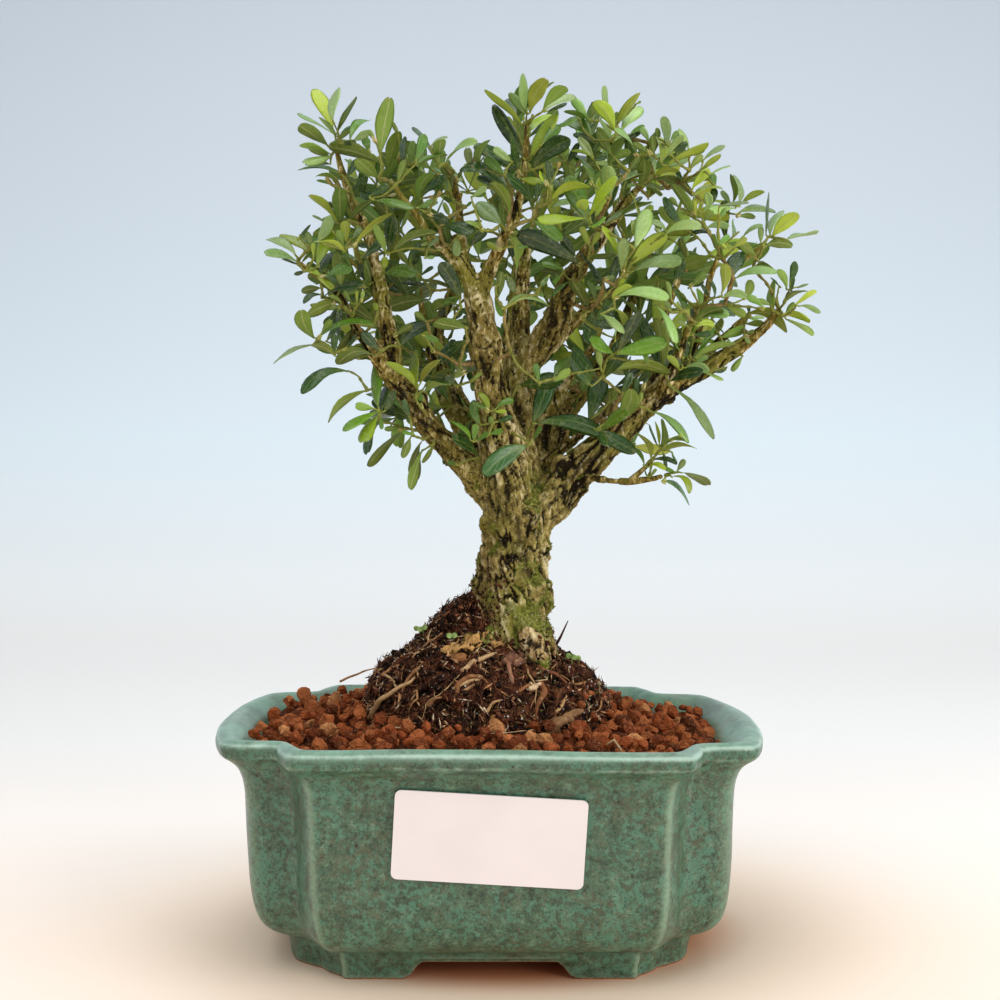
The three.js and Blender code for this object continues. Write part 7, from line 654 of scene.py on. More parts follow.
7,377,1,428,353,1887,517,438,1860,36,-35,8,0,2,6,7,377,1,428,353,1887,491,405,1982,-29,36,0,5,4,-5,3,378,2,-385,202,2129,-367,176,2242,-30,-36,-4,0,0,0,3,378,1,-385,202,2129,-457,329,2123,47,27,6,0,0,2,
3,378,0,-394,220,2146,-295,332,2173,1,-13,49,-2,2,0,3,378,0,-404,237,2162,-467,352,2159,44,24,-9,1,1,6,3,378,0,-404,237,2162,-419,273,2272,-30,-30,6,1,-1,0,30,379,1,503,224,1708,613,216,1758,-16,-33,30,-1,3,2,
30,379,2,503,224,1708,452,335,1756,3,20,-43,5,2,1,30,379,0,516,240,1724,592,316,1657,39,-25,16,0,3,4,30,379,0,516,240,1724,518,263,1879,-54,14,-1,0,-1,0,30,379,0,528,256,1741,528,350,1787,8,16,-32,2,0,0,
30,379,0,528,256,1741,610,274,1816,-24,-17,30,-1,3,1,32,380,1,460,79,1632,497,134,1537,8,-40,-20,1,0,0,32,380,2,485,85,1634,580,53,1625,0,-12,42,1,2,0,32,380,2,485,85,1634,572,171,1682,5,20,-44,1,0,0,
7,381,2,314,496,1777,314,578,1688,38,-4,-4,1,6,6,7,381,2,314,496,1777,363,548,1886,-48,8,18,0,2,-1,7,381,1,321,521,1778,235,591,1816,-21,-10,-30,0,-1,0,7,381,2,328,546,1779,372,638,1832,-38,7,19,-2,5,-7,
7,381,2,328,546,1779,342,662,1720,42,-18,-25,4,2,5,37,382,1,6,298,1560,-15,338,1677,-12,-44,13,-1,0,0,37,382,2,6,298,1560,-42,345,1458,23,37,6,-4,2,3,37,382,2,-10,319,1565,73,455,1577,12,-11,43,-4,2,2,
37,382,2,-26,339,1570,-64,395,1636,-34,-12,-9,0,-1,1,37,383,1,137,460,1638,61,519,1738,-30,11,-29,-1,-1,0,37,383,2,137,460,1638,249,551,1577,31,-26,19,0,6,8,37,383,2,143,484,1645,217,478,1745,-33,2,25,0,0,0,
37,383,1,143,484,1645,76,572,1562,24,-20,-41,5,4,1,37,383,2,149,508,1653,138,617,1704,-17,14,-33,-1,0,0,30,384,1,472,355,1888,476,343,2028,-42,23,3,0,0,0,30,384,1,472,355,1888,531,472,1852,39,-26,-19,-1,0,-2,
30,384,2,482,371,1905,599,398,1960,-12,-31,40,-2,5,3,30,384,2,482,371,1905,486,461,1982,-2,25,-29,1,0,0,6,385,1,611,277,2139,650,431,2128,44,-13,-19,1,0,2,6,385,0,626,286,2158,565,334,2264,5,39,-15,5,0,3,
6,385,0,626,286,2158,767,280,2134,-3,-49,-2,1,0,5,6,385,0,641,295,2177,687,373,2203,33,-12,-24,-1,1,-1,6,386,2,539,260,2196,452,278,2320,-14,49,-16,5,3,3,6,386,1,539,260,2196,675,282,2228,7,-50,4,-2,0,7,
6,386,0,548,266,2220,574,392,2270,46,-7,-7,0,-2,5,6,386,0,558,272,2244,652,294,2324,12,-45,-2,-1,0,2,6,386,0,558,272,2244,529,290,2340,9,36,-4,7,-2,2,30,387,0,299,364,1691,335,434,1561,34,32,27,-4,4,1,
30,387,0,299,364,1691,236,386,1806,-40,-21,-18,-1,3,-1,30,387,0,290,389,1693,220,471,1686,11,7,-36,5,4,2,30,387,0,290,389,1693,312,515,1716,-2,-8,42,-6,1,0,35,388,1,-69,313,1458,-73,411,1519,-43,-4,4,-1,3,-5,
35,388,2,-69,313,1458,-55,376,1334,41,2,6,-1,8,4,35,388,2,-68,338,1451,78,396,1470,-13,20,38,-2,8,-5,35,388,2,-68,338,1451,-167,410,1406,11,-10,-40,0,0,0,35,388,1,-66,363,1444,-57,431,1380,37,-11,-6,2,4,4,
35,388,1,-66,363,1444,-69,473,1486,-44,-4,9,0,0,-1,35,389,2,-208,161,1665,-248,270,1583,20,27,27,-2,0,1,35,389,2,-208,161,1665,-275,154,1765,-28,-19,-21,-3,6,-2,35,389,2,-228,178,1669,-348,215,1664,7,14,-46,2,5,2,
35,389,1,-228,178,1669,-255,266,1713,-15,-18,28,-4,0,-2,30,390,1,363,362,1540,448,397,1445,31,-5,26,-1,7,2,30,390,1,375,384,1539,486,420,1591,-23,8,44,-1,7,-2,30,390,2,375,384,1539,347,497,1495,13,-14,-44,5,2,1,
30,390,1,387,407,1538,450,478,1485,35,-19,15,0,-1,-1,30,390,1,387,407,1538,412,504,1565,-29,15,-27,0,0,0,17,391,2,-348,284,2066,-497,264,2013,3,44,-24,-3,4,7,17,391,1,-348,284,2066,-324,344,2177,1,-43,23,-9,1,2,
17,391,1,-370,293,2076,-430,202,2168,-29,-18,-37,-6,6,2,17,391,1,-370,293,2076,-412,399,2030,30,21,20,-5,1,7,17,391,2,-392,302,2087,-443,346,2159,-6,-35,17,1,0,0,17,391,1,-392,302,2087,-514,314,2096,2,35,-21,0,2,3,
22,392,2,-287,89,2029,-381,-28,2097,-24,-7,-45,-3,3,1,22,392,1,-287,89,2029,-345,210,2044,20,4,39,-5,-3,3,22,392,0,-333,95,2052,-424,176,2093,20,4,38,-3,-5,2,22,392,0,-333,95,2052,-421,35,2084,-8,-12,-45,-2,2,0,
36,393,2,-228,374,1716,-236,493,1642,43,4,2,0,2,3,36,393,1,-236,396,1727,-371,434,1734,-1,6,-53,1,4,0,36,393,2,-236,396,1727,-170,518,1783,-24,-6,40,2,-2,1,36,393,2,-244,418,1737,-264,513,1716,25,12,34,-3,0,2,
31,394,1,305,180,1444,415,283,1405,12,7,52,1,-1,0,31,394,2,305,180,1444,199,265,1463,-10,-2,-48,5,7,-1,31,394,1,305,206,1445,320,295,1501,-40,5,4,0,4,-7,37,395,1,184,388,1475,293,464,1556,-32,20,25,0,6,-6,
37,395,1,191,411,1465,177,532,1452,-32,-7,-29,-1,0,1,37,395,1,191,411,1465,261,465,1386,32,-6,24,-1,4,2,34,396,2,31,192,1488,50,302,1420,27,20,39,-2,1,1,34,396,0,12,209,1480,-60,181,1354,33,26,-25,-6,9,2,
34,396,0,-6,226,1472,-21,333,1415,12,23,40,-7,0,2,34,396,0,-6,226,1472,-102,274,1448,3,-12,-35,2,4,-1,17,397,1,-324,193,1867,-342,303,1934,23,-17,34,-7,-3,3,17,397,1,-324,193,1867,-408,103,1814,-1,21,-35,-4,2,2,
17,397,2,-349,198,1874,-437,266,1796,13,38,18,-2,0,2,17,397,2,-373,203,1882,-474,187,1900,-8,6,-37,0,2,0,17,397,1,-373,203,1882,-458,267,1925,6,-15,34,-2,-2,-1,5,398,1,129,117,2214,233,232,2254,28,-36,31,2,-1,-2,
5,398,2,128,129,2237,45,248,2234,32,23,17,-2,-1,5,5,398,1,128,129,2237,197,104,2384,-41,-14,17,-2,8,2,5,398,1,128,141,2260,86,151,2353,-26,30,-15,2,2,1,5,398,2,128,141,2260,185,234,2325,34,-31,15,1,0,-2,
17,399,1,-410,342,1914,-485,313,2055,-41,-24,-26,-5,9,-1,17,399,2,-410,342,1914,-466,444,1878,31,22,15,0,0,0,17,399,1,-428,357,1925,-376,441,2011,1,-35,34,-1,0,0,17,399,2,-428,357,1925,-561,352,1931,-2,12,-46,0,1,0,
17,399,1,-446,371,1936,-517,472,1928,26,21,35,-5,-3,6,35,400,1,-51,353,1660,91,414,1629,17,-21,36,0,2,1,35,400,1,-46,371,1678,-65,531,1666,47,4,-19,0,0,1,35,400,1,-46,371,1678,9,317,1776,-38,-5,18,1,6,3,
35,400,2,-40,390,1695,-78,452,1778,-20,27,-30,5,4,0,35,400,1,-40,390,1695,38,466,1737,16,-31,26,-1,0,1,14,401,0,-96,274,2099,-117,414,2095,48,8,10,0,0,2,14,401,0,-96,274,2099,-121,151,2203,-42,-5,-16,1,-1,-1,
14,401,0,-104,283,2122,-189,311,2219,0,40,-12,5,1,4,14,401,0,-104,283,2122,-97,328,2240,-3,-43,17,-2,0,0,14,402,1,146,363,2046,58,453,2090,33,39,-13,3,0,6,14,402,1,146,363,2046,254,340,2133,-27,-26,26,0,-1,-1,
14,402,0,145,377,2068,209,498,2037,32,-7,38,-3,3,3,14,402,0,143,390,2090,185,421,2204,-30,-22,17,-2,2,0,14,402,0,143,390,2090,87,468,2152,23,34,-22,2,0,2,37,403,1,208,313,1624,310,354,1696,-22,-11,38,-4,9,0,
37,403,1,208,313,1624,157,424,1587,18,-5,-41,2,1,1,37,403,1,216,338,1627,277,424,1583,33,-10,27,-2,4,4,37,403,1,216,338,1627,229,448,1676,-35,13,-21,1,1,-2,36,404,1,-142,444,1724,-201,440,1867,-36,-23,-16,0,0,0,
36,404,2,-158,462,1734,-285,470,1739,0,25,-36,0,3,2,36,404,2,-173,480,1743,-235,512,1834,-28,-27,-10,-4,6,-4,36,404,2,-173,480,1743,-218,574,1724,34,17,0,0,1,5,5,405,0,119,222,2250,184,170,2372,-33,-29,5,0,-1,0,
5,405,0,119,222,2250,41,315,2261,29,26,-19,3,2,6,5,405,0,115,232,2274,144,299,2355,26,-31,17,1,0,-1,5,405,0,115,232,2274,57,231,2392,-19,40,-9,-1,-1,-1,15,406,2,129,338,2280,47,468,2248,35,15,-29,4,4,7,
15,406,1,129,338,2280,193,318,2380,-35,-3,22,0,7,1,15,406,2,130,358,2297,80,397,2375,-14,31,-24,0,0,0,15,406,1,130,358,2297,180,457,2329,31,-24,26,-5,0,7,7,407,1,359,394,1868,363,548,1863,32,-2,-35,5,0,5,
7,407,1,359,394,1868,463,372,1952,-26,3,33,0,-2,0,7,407,0,375,411,1878,373,493,2021,-23,41,-24,10,4,-2,7,407,0,391,429,1888,469,468,1955,-30,2,34,0,-1,0,7,407,0,391,429,1888,431,546,1922,22,3,-38,8,-4,4,
37,408,1,201,276,1401,105,297,1329,17,-24,-30,1,1,0,37,408,1,202,292,1380,157,430,1421,-42,-11,-11,0,0,0,37,408,2,202,292,1380,250,236,1260,43,1,17,1,6,-2,37,408,2,204,309,1360,244,372,1303,-3,26,27,0,0,0,
37,408,1,204,309,1360,153,359,1273,19,-24,-25,4,4,0,36,409,1,-267,280,1652,-287,278,1801,-46,-29,-7,1,-1,0,36,409,1,-267,280,1652,-332,391,1615,37,21,-4,0,3,9,36,409,1,-280,298,1666,-212,412,1706,12,-21,40,-8,3,4,
36,409,1,-280,298,1666,-415,290,1707,-13,27,-38,1,5,3,36,409,2,-293,315,1681,-361,420,1712,30,12,24,-3,-3,5,36,409,1,-293,315,1681,-327,350,1769,-27,-29,1,0,0,0,7,410,0,114,432,1976,209,522,1984,27,-30,12,-1,1,5,
7,410,0,114,432,1976,25,438,2073,-18,42,-19,6,5,5,7,410,0,116,449,1995,90,545,2048,34,22,-23,2,-1,2,7,410,0,116,449,1995,152,491,2096,-35,-25,22,0,1,0,35,411,1,-377,44,1656,-414,-101,1715,2,-18,-43,-12,2,-2,
35,411,2,-400,32,1661,-437,40,1781,23,-42,10,-6,-4,-2,35,411,2,-423,21,1665,-486,-56,1685,3,-13,-40,0,0,0,6,413,1,548,180,2176,666,164,2193,-6,-42,0,-1,0,6,6,413,1,548,180,2176,434,195,2231,-2,42,-16,2,2,4,
6,413,1,552,180,2202,578,238,2299,36,-14,-1,-2,-7,5,6,413,2,552,180,2202,562,134,2323,-45,11,8,0,1,0,14,414,1,232,414,2010,364,392,2093,-25,-22,34,-1,5,3,14,414,2,237,434,2026,228,474,2132,-43,10,-7,0,0,0,
14,414,1,237,434,2026,281,545,2057,44,-21,13,-3,-1,7,27,415,2,93,139,1476,-20,153,1462,7,13,-44,0,-1,0,27,415,1,93,139,1476,169,212,1552,-4,-31,34,-7,4,3,27,415,2,85,160,1490,64,255,1482,34,6,-12,1,0,3,
17,416,2,-241,248,1850,-293,209,1950,-37,4,-18,0,4,2,17,416,1,-256,264,1864,-391,266,1825,8,35,-24,-1,4,5,17,416,2,-271,280,1878,-313,370,1910,34,8,23,0,1,-1,17,416,2,-271,280,1878,-340,300,1963,-35,-2,-28,0,2,0,
14,417,2,2,242,2131,100,244,2242,-23,-40,21,-6,7,5,14,417,0,-6,259,2149,-69,243,2249,-40,12,-23,1,7,2,14,417,0,-6,259,2149,36,374,2139,21,-4,37,-8,3,5,14,417,0,-14,275,2167,-13,339,2274,-25,-37,22,0,0,0,
14,417,0,-14,275,2167,-86,346,2190,30,34,-10,1,0,2,30,418,1,369,292,1440,344,429,1359,42,-12,-32,7,6,7,30,418,1,369,292,1440,476,312,1540,-37,9,37,0,6,-1,30,418,2,397,333,1457,483,370,1532,-33,2,37,-2,8,-2,
30,418,1,397,333,1457,424,438,1450,30,-9,-25,2,0,2,17,419,2,-486,256,1926,-569,253,2046,-40,-14,-28,-1,5,-1,17,419,2,-486,256,1926,-474,359,1855,37,13,25,-2,2,2,17,419,1,-512,296,1946,-537,410,1914,42,13,12,-2,1,4,
14,420,1,30,161,2158,116,193,2248,20,-36,-6,-4,-3,5,14,420,2,30,161,2158,-62,150,2247,-17,42,-12,4,3,4,14,420,2,29,164,2184,9,230,2275,43,17,-3,2,-4,4,12,421,0,651,310,1978,773,286,2027,-17,2,43,2,10,0,
12,421,0,651,310,1978,648,441,1978,12,0,-42,-2,0,0,12,421,0,671,325,1983,766,382,1956,22,-34,3,0,0,-1,12,421,0,671,325,1983,736,391,2045,-23,35,-12,4,1,-5,35,422,2,-123,423,1610,-116,448,1745,-42,-10,4,-1,4,-1,
35,422,1,-123,423,1610,-187,541,1537,46,12,-20,2,7,9,35,422,0,-131,444,1623,-75,540,1664,10,-22,38,1,0,0,35,422,0,-131,444,1623,-252,470,1668,-10,14,-37,0,-1,0,35,422,0,-139,465,1637,-184,568,1663,34,19,-15,0,0,0,
35,422,0,-139,465,1637,-147,508,1733,-45,-14,3,-1,4,-2,5,423,2,80,94,2356,61,227,2446,50,-3,15,-2,-4,6,5,423,2,80,94,2356,137,-44,2407,-49,-20,0,-2,4,12,5,423,1,87,91,2380,185,99,2456,7,-48,-4,-2,0,2,
32,424,1,533,46,1635,606,30,1760,25,46,-8,-1,1,1,32,424,2,554,32,1641,694,110,1630,6,-16,-41,3,-6,3,32,424,1,554,32,1641,517,-95,1693,-25,24,42,6,0,4,32,424,1,576,18,1647,646,-11,1737,21,33,-6,4,-3,-4,
12,425,2,380,262,2098,519,211,2110,-18,-46,9,0,1,3,12,425,1,395,268,2119,419,233,2210,-28,31,19,2,2,0,12,425,2,395,268,2119,462,323,2169,30,-31,-5,-1,-1,2,37,426,1,120,341,1435,86,431,1358,47,5,-15,1,3,3,
37,426,2,120,341,1435,148,384,1542,-38,10,6,1,3,-2,37,426,2,118,366,1441,5,396,1473,-8,12,-39,0,-1,0,37,426,1,117,391,1447,130,467,1528,-42,5,2,0,5,-5,37,426,1,117,391,1447,102,493,1423,39,4,-7,1,2,8,
17,427,1,-331,283,1798,-350,391,1742,31,23,33,-3,1,2,17,427,0,-350,299,1805,-472,278,1756,16,11,-45,-1,4,1,17,427,0,-350,299,1805,-314,404,1912,-6,-36,38,1,0,0,17,427,0,-369,316,1812,-423,425,1775,28,22,24,0,0,0,
30,428,1,354,165,1513,475,172,1468,2,-49,-3,0,0,1,30,428,1,373,166,1530,448,290,1597,43,-12,-26,0,0,0,30,428,1,373,166,1530,431,74,1581,-29,-4,25,4,5,5,30,428,2,393,166,1546,423,167,1671,4,42,-1,2,0,0,
30,428,2,393,166,1546,500,172,1542,2,-45,-10,0,0,-2,31,429,2,422,152,1394,450,150,1516,-38,-7,8,-1,7,0,31,429,0,431,175,1403,543,212,1390,11,-20,36,-1,4,2,31,429,0,431,175,1403,348,290,1460,4,27,-49,9,5,4,
30,430,1,456,370,1795,403,493,1810,25,15,-32,6,2,6,30,430,1,468,390,1807,477,415,1955,-48,28,-2,1,2,0,30,430,2,468,390,1807,530,479,1712,21,-36,-20,8,1,6,30,430,1,480,409,1819,559,432,1861,-18,5,32,0,1,0,
13,431,1,715,154,1916,811,66,1986,-31,-7,34,3,6,4,13,431,1,715,154,1916,742,297,1900,15,-8,-48,9,-1,3,13,431,2,736,161,1928,794,194,2007,-5,41,-14,0,0,0,3,432,1,-200,134,2146,-252,19,2188,-41,11,-22,-2,3,5,
3,432,2,-218,135,2164,-364,147,2126,4,43,-2,0,0,2,3,432,2,-218,135,2164,-200,131,2279,2,-45,-2,2,0,0,3,432,1,-237,136,2182,-310,103,2250,-30,-4,-34,-2,7,1,3,432,2,-237,136,2182,-308,226,2238,34,4,36,-4,-6,4,
17,433,1,54,382,1988,139,356,2093,-36,-25,24,0,0,0,17,433,2,54,382,1988,24,492,1970,27,3,-27,5,2,5,17,433,2,60,403,2002,126,486,2030,16,-23,31,-5,2,4,17,433,1,60,403,2002,50,496,2072,13,23,-28,7,-1,2,
36,434,2,-111,459,1841,0,534,1829,22,-27,30,-1,2,3,36,434,1,-114,482,1851,-136,583,1844,41,9,-7,1,1,8,36,434,2,-114,482,1851,-111,553,1911,-36,12,-13,0,-1,1,30,435,1,220,403,1728,195,521,1683,41,6,-6,0,3,7,
30,435,1,225,425,1741,290,494,1753,24,-27,24,-1,1,2,30,435,1,225,425,1741,188,489,1812,-8,31,-31,2,1,0,16,436,1,324,330,2256,401,332,2365,-29,-29,21,1,-2,-1,16,436,2,324,330,2256,239,465,2277,37,25,-11,1,0,3,
16,436,0,325,346,2276,402,442,2280,21,-18,30,-4,3,4,16,436,0,326,363,2296,380,392,2398,-17,-42,21,-3,2,1,16,437,2,275,397,2198,395,382,2290,-25,-30,28,0,1,1,16,437,2,275,397,2198,160,477,2219,21,34,-16,3,2,9,
16,437,2,277,410,2221,259,403,2311,-39,15,-7,1,4,0,7,438,2,293,473,1867,406,543,1899,0,-21,46,-4,5,2,7,438,2,293,473,1867,173,546,1833,22,23,-30,2,5,5,7,438,1,295,499,1872,333,617,1778,54,-16,1,0,-1,-1,
7,438,1,295,499,1872,282,570,1970,-40,9,-12,0,0,0,7,438,1,298,524,1878,249,607,1883,8,8,-41,4,2,1,7,438,1,298,524,1878,364,600,1925,-28,3,35,-3,5,-3,16,439,2,399,409,2022,494,507,1997,34,-31,9,0,2,8,
16,439,2,399,409,2022,336,396,2173,-40,33,-14,1,2,1,16,439,1,407,426,2040,406,521,2103,29,19,-28,2,-1,2,16,439,1,407,426,2040,476,445,2121,-22,-26,25,-2,2,1,17,440,2,-108,317,1991,-35,388,2108,-7,-40,29,0,0,0,
17,440,1,-108,317,1991,-231,290,2000,-10,34,-35,-1,4,4,17,440,1,-120,326,2012,-182,420,2065,34,11,21,-2,-4,5,17,440,1,-120,326,2012,-152,289,2112,-40,3,-12,0,-2,-1,12,441,0,510,215,2036,595,77,2044,-33,-18,34,2,2,3,
12,441,0,510,215,2036,532,358,2072,38,1,-28,4,-2,6,12,441,0,530,219,2053,629,245,2059,11,-42,8,0,0,4,12,441,0,530,219,2053,581,225,2163,4,43,-4,8,-1,-4,35,442,0,-263,195,1768,-291,295,1701,22,26,29,-5,1,3,
35,442,0,-285,207,1776,-388,213,1771,3,32,-29,0,-1,-1,35,442,0,-285,207,1776,-351,295,1824,-8,-26,37,1,0,0,35,443,1,15,325,1704,25,442,1616,39,10,17,0,0,0,35,443,2,15,325,1704,-54,304,1844,-40,-24,-24,-3,6,-1,
35,443,2,2,346,1713,-129,403,1708,15,32,-33,0,0,0,35,443,2,2,346,1713,88,449,1790,-12,-27,48,-7,5,1,35,443,2,-10,367,1722,-77,419,1815,-38,-6,-24,1,8,-4,35,443,2,-10,367,1722,-33,461,1696,42,13,10,-1,0,3,
13,444,2,697,127,1999,690,121,2116,-28,38,0,-1,-1,0,13,444,2,697,127,1999,808,153,1975,15,-42,21,0,2,4,13,444,1,716,131,2016,737,242,2076,25,15,-36,3,-2,2,37,445,1,7,473,1632,75,574,1563,44,-16,19,-1,5,7,
37,445,2,7,473,1632,-79,452,1760,-38,2,-26,0,0,0,37,445,1,5,495,1646,-40,583,1677,18,21,-34,5,1,3,37,445,1,5,495,1646,48,550,1718,-25,-20,30,0,0,0,17,446,2,-197,334,2193,-142,387,2328,-28,-29,23,-6,6,0,
17,446,1,-197,334,2193,-347,364,2200,6,36,-24,0,0,0,17,446,1,-212,348,2209,-228,464,2186,24,12,42,-8,0,4,17,446,1,-212,348,2209,-290,319,2324,-32,-16,-26,-4,9,0,17,446,1,-228,361,2225,-340,400,2257,7,38,-23,0,0,0,
17,446,1,-228,361,2225,-248,416,2301,17,-24,22,2,1,0,17,447,1,-185,309,2036,-144,370,2176,5,-42,17,-5,0,1,17,447,1,-185,309,2036,-296,325,1996,13,32,-23,-1,3,4,17,447,0,-199,324,2053,-196,466,2041,40,2,29,0,0,0,
17,447,0,-199,324,2053,-264,298,2150,-36,16,-20,1,6,2,17,447,0,-212,338,2070,-223,391,2158,-10,-39,22,-1,0,0,6,448,2,290,159,2238,246,290,2289,45,15,0,1,-3,7,6,448,2,290,159,2238,330,84,2316,-39,-19,2,-1,2,2,
6,448,1,290,166,2263,390,236,2335,30,-43,1,-4,-3,8,6,448,2,291,173,2288,315,154,2416,-43,-13,6,0,0,0,6,448,1,291,173,2288,271,250,2382,38,26,-13,-1,1,-1,31,449,2,297,-148,1445,396,-182,1386,-27,-7,-41,-1,-8,2,
31,449,1,307,-173,1443,373,-248,1493,30,10,-26,0,1,1,31,449,2,307,-173,1443,316,-288,1399,-34,-14,28,6,-2,6,3,450,2,-146,70,2187,-296,58,2161,0,42,-16,0,0,1,3,450,1,-167,69,2203,-244,132,2264,29,6,30,0,0,0,
3,450,1,-167,69,2203,-238,-14,2261,-18,-9,-36,-6,6,1,22,451,1,-445,87,1994,-537,34,1928,-13,36,-11,-6,0,8,22,451,2,-445,87,1994,-434,139,2103,28,-39,16,-2,-1,1,22,451,1,-467,88,2009,-556,184,1999,11,14,38,-4,-3,2,
36,452,0,-37,423,1906,-96,388,2001,-30,-15,-24,-2,3,0,36,452,0,-37,423,1906,-29,581,1870,47,2,20,0,0,1,36,452,0,-49,442,1918,-58,516,1990,-18,-24,22,0,0,0,36,452,0,-49,442,1918,-124,503,1928,18,27,-26,2,2,3,
36,453,2,-283,393,1765,-390,324,1787,-26,31,-32,-2,5,6,36,453,0,-301,406,1778,-405,472,1760,27,43,1,0,0,4,36,453,0,-319,419,1791,-371,520,1833,35,3,36,-2,-2,2,36,453,0,-319,419,1791,-407,411,1849,-20,-4,-32,0,4,0,
17,454,1,-446,248,1852,-437,295,1956,-21,-29,15,0,0,0,17,454,1,-467,260,1862,-502,406,1862,29,7,41,1,0,-1,17,454,1,-467,260,1862,-544,197,1950,-17,-22,-30,-1,1,0,17,454,2,-487,272,1872,-526,336,1965,-6,-40,25,-5,0,-2,
16,455,1,273,268,2196,333,211,2283,-36,-23,10,-2,7,6,16,455,2,273,268,2196,237,354,2262,31,27,-19,2,-1,2,16,455,1,276,275,2220,328,332,2318,13,-37,14,-2,0,1,34,456,1,-109,156,1523,-164,212,1622,30,-25,31,-2,-2,0,
34,456,2,-134,158,1519,-215,217,1480,-5,20,41,-5,-5,2,34,456,1,-134,158,1519,-248,113,1521,9,-23,-33,-2,4,-4,28,457,1,275,-292,1980,211,-250,2117,49,-5,24,0,1,0,28,457,1,275,-292,1980,286,-446,1957,-48,1,-30,0,0,1,
28,457,0,265,-311,1996,134,-366,1983,-20,39,32,1,-3,4,28,457,0,265,-311,1996,334,-383,2090,13,-28,-32,-7,-5,1,28,457,0,256,-329,2012,236,-430,2022,-35,6,-10,0,0,2,32,458,0,562,48,1705,530,-53,1800,10,34,40,6,-2,0,
32,458,0,562,48,1705,712,94,1690,13,-49,-18,2,-2,7,32,458,0,581,38,1720,647,30,1812,25,24,-16,2,-3,-2,30,459,2,282,401,1595,373,465,1710,-41,-5,36,-2,6,-2,30,459,0,286,425,1605,205,472,1731,-39,14,-30,3,8,-1,
30,459,0,286,425,1605,401,524,1560,30,-13,46,-3,4,3,30,459,0,290,448,1615,364,520,1696,-28,-15,39,-1,1,0,30,460,2,525,301,1804,612,368,1724,30,-34,4,4,4,8,30,460,1,525,301,1804,558,296,1933,-27,30,8,6,6,-1,
30,460,2,546,311,1816,541,439,1887,4,26,-47,8,0,1,30,460,1,546,311,1816,679,254,1827,-13,-25,32,2,7,6,30,460,2,567,321,1828,665,377,1819,19,-34,-3,0,0,3,15,461,2,166,342,2206,61,327,2292,-33,22,-36,1,6,2,
15,461,2,166,342,2206,239,433,2202,23,-17,30,1,-1,-1,15,461,1,167,362,2223,238,364,2329,-41,-15,28,-1,5,1,15,461,1,167,362,2223,84,482,2187,36,16,-30,2,2,4,15,461,2,168,382,2240,223,478,2271,39,-25,9,-1,-1,4,
15,461,2,168,382,2240,110,423,2336,-37,17,-29,0,1,0,7,462,1,153,475,1931,270,482,2030,-30,12,34,0,-2,1,7,462,2,153,475,1931,57,583,1878,37,20,-26,1,2,3,7,462,1,154,499,1941,124,549,2018,-24,16,-20,1,2,0,
3,463,2,-192,207,2111,-112,246,2244,-10,-43,18,2,-1,-1,3,463,1,-192,207,2111,-334,226,2085,11,43,-29,0,0,0,3,463,0,-204,218,2131,-262,176,2238,-39,9,-18,0,4,2,3,463,0,-217,229,2151,-297,266,2199,6,35,-16,0,0,0,
3,463,0,-217,229,2151,-204,282,2267,-15,-39,20,-4,1,0,34,464,2,-118,68,1599,-198,-61,1602,6,-5,-43,-3,2,-1,34,464,2,-118,68,1599,-220,133,1622,7,-7,48,0,0,0,34,464,1,-144,63,1599,-217,59,1497,-15,41,9,-4,-2,3,
34,464,1,-169,57,1599,-290,75,1620,3,-31,40,0,-1,-1,31,465,1,341,-192,1650,476,-229,1680,12,0,-52,0,-2,0,31,465,1,341,-192,1650,270,-329,1669,-19,17,50,8,-4,4,31,465,2,352,-214,1656,398,-289,1750,43,19,-5,0,0,0,
36,466,2,-177,365,1664,-86,433,1694,3,-19,34,-5,5,3,36,466,1,-177,365,1664,-312,448,1694,-5,12,-53,2,3,0,36,466,2,-183,388,1674,-205,490,1614,47,6,-7,0,4,7,36,466,1,-183,388,1674,-199,445,1827,-42,-26,5,-4,6,-2,
36,466,2,-189,412,1684,-263,466,1716,-12,8,-40,4,5,0,36,466,1,-189,412,1684,-149,514,1734,1,-22,45,1,0,0,30,467,1,342,108,1566,470,199,1551,-4,-3,-46,3,-5,0,30,467,2,366,102,1572,456,108,1642,14,35,-20,-1,1,1,
30,467,2,366,102,1572,455,65,1563,-9,-28,33,2,4,4,35,468,1,-268,249,1577,-378,329,1566,22,34,25,1,1,-1,35,468,2,-268,249,1577,-304,203,1692,-6,-43,-19,-1,0,0,35,468,2,-289,254,1591,-356,321,1668,27,-9,31,-4,-7,2,
17,469,2,-374,265,1891,-377,363,1961,7,-26,36,-8,-1,1,17,469,2,-374,265,1891,-483,166,1880,3,2,-48,-3,4,0,17,469,0,-397,271,1902,-494,331,1856,14,35,17,-4,-2,7,17,469,0,-397,271,1902,-418,219,2056,-5,-47,-16,0,0,0,
17,469,0,-420,277,1912,-488,337,1962,11,-21,39,-3,-3,-1,7,470,2,318,333,1775,412,361,1882,-38,8,31,0,6,-2,7,470,1,318,333,1775,277,431,1700,27,-11,-29,2,2,1,7,470,1,329,355,1782,345,454,1828,-6,20,-40,2,0,0,
14,471,1,36,359,2056,-29,498,2020,49,21,-5,0,1,3,14,471,1,36,359,2056,51,325,2171,-39,-15,1,-2,5,2,14,471,1,29,374,2076,37,446,2151,18,-31,28,-4,-1,1,30,472,2,506,240,1916,593,340,2011,5,33,-40,2,-1,-1,
30,472,2,506,240,1916,639,164,1894,-2,-16,42,-1,-2,-1,30,472,1,531,242,1922,622,224,1973,-11,28,29,0,0,0,30,472,2,531,242,1922,640,282,1921,13,-37,-25,1,-4,6,17,473,1,-353,114,1874,-484,125,1825,-4,39,19,-2,-3,5,
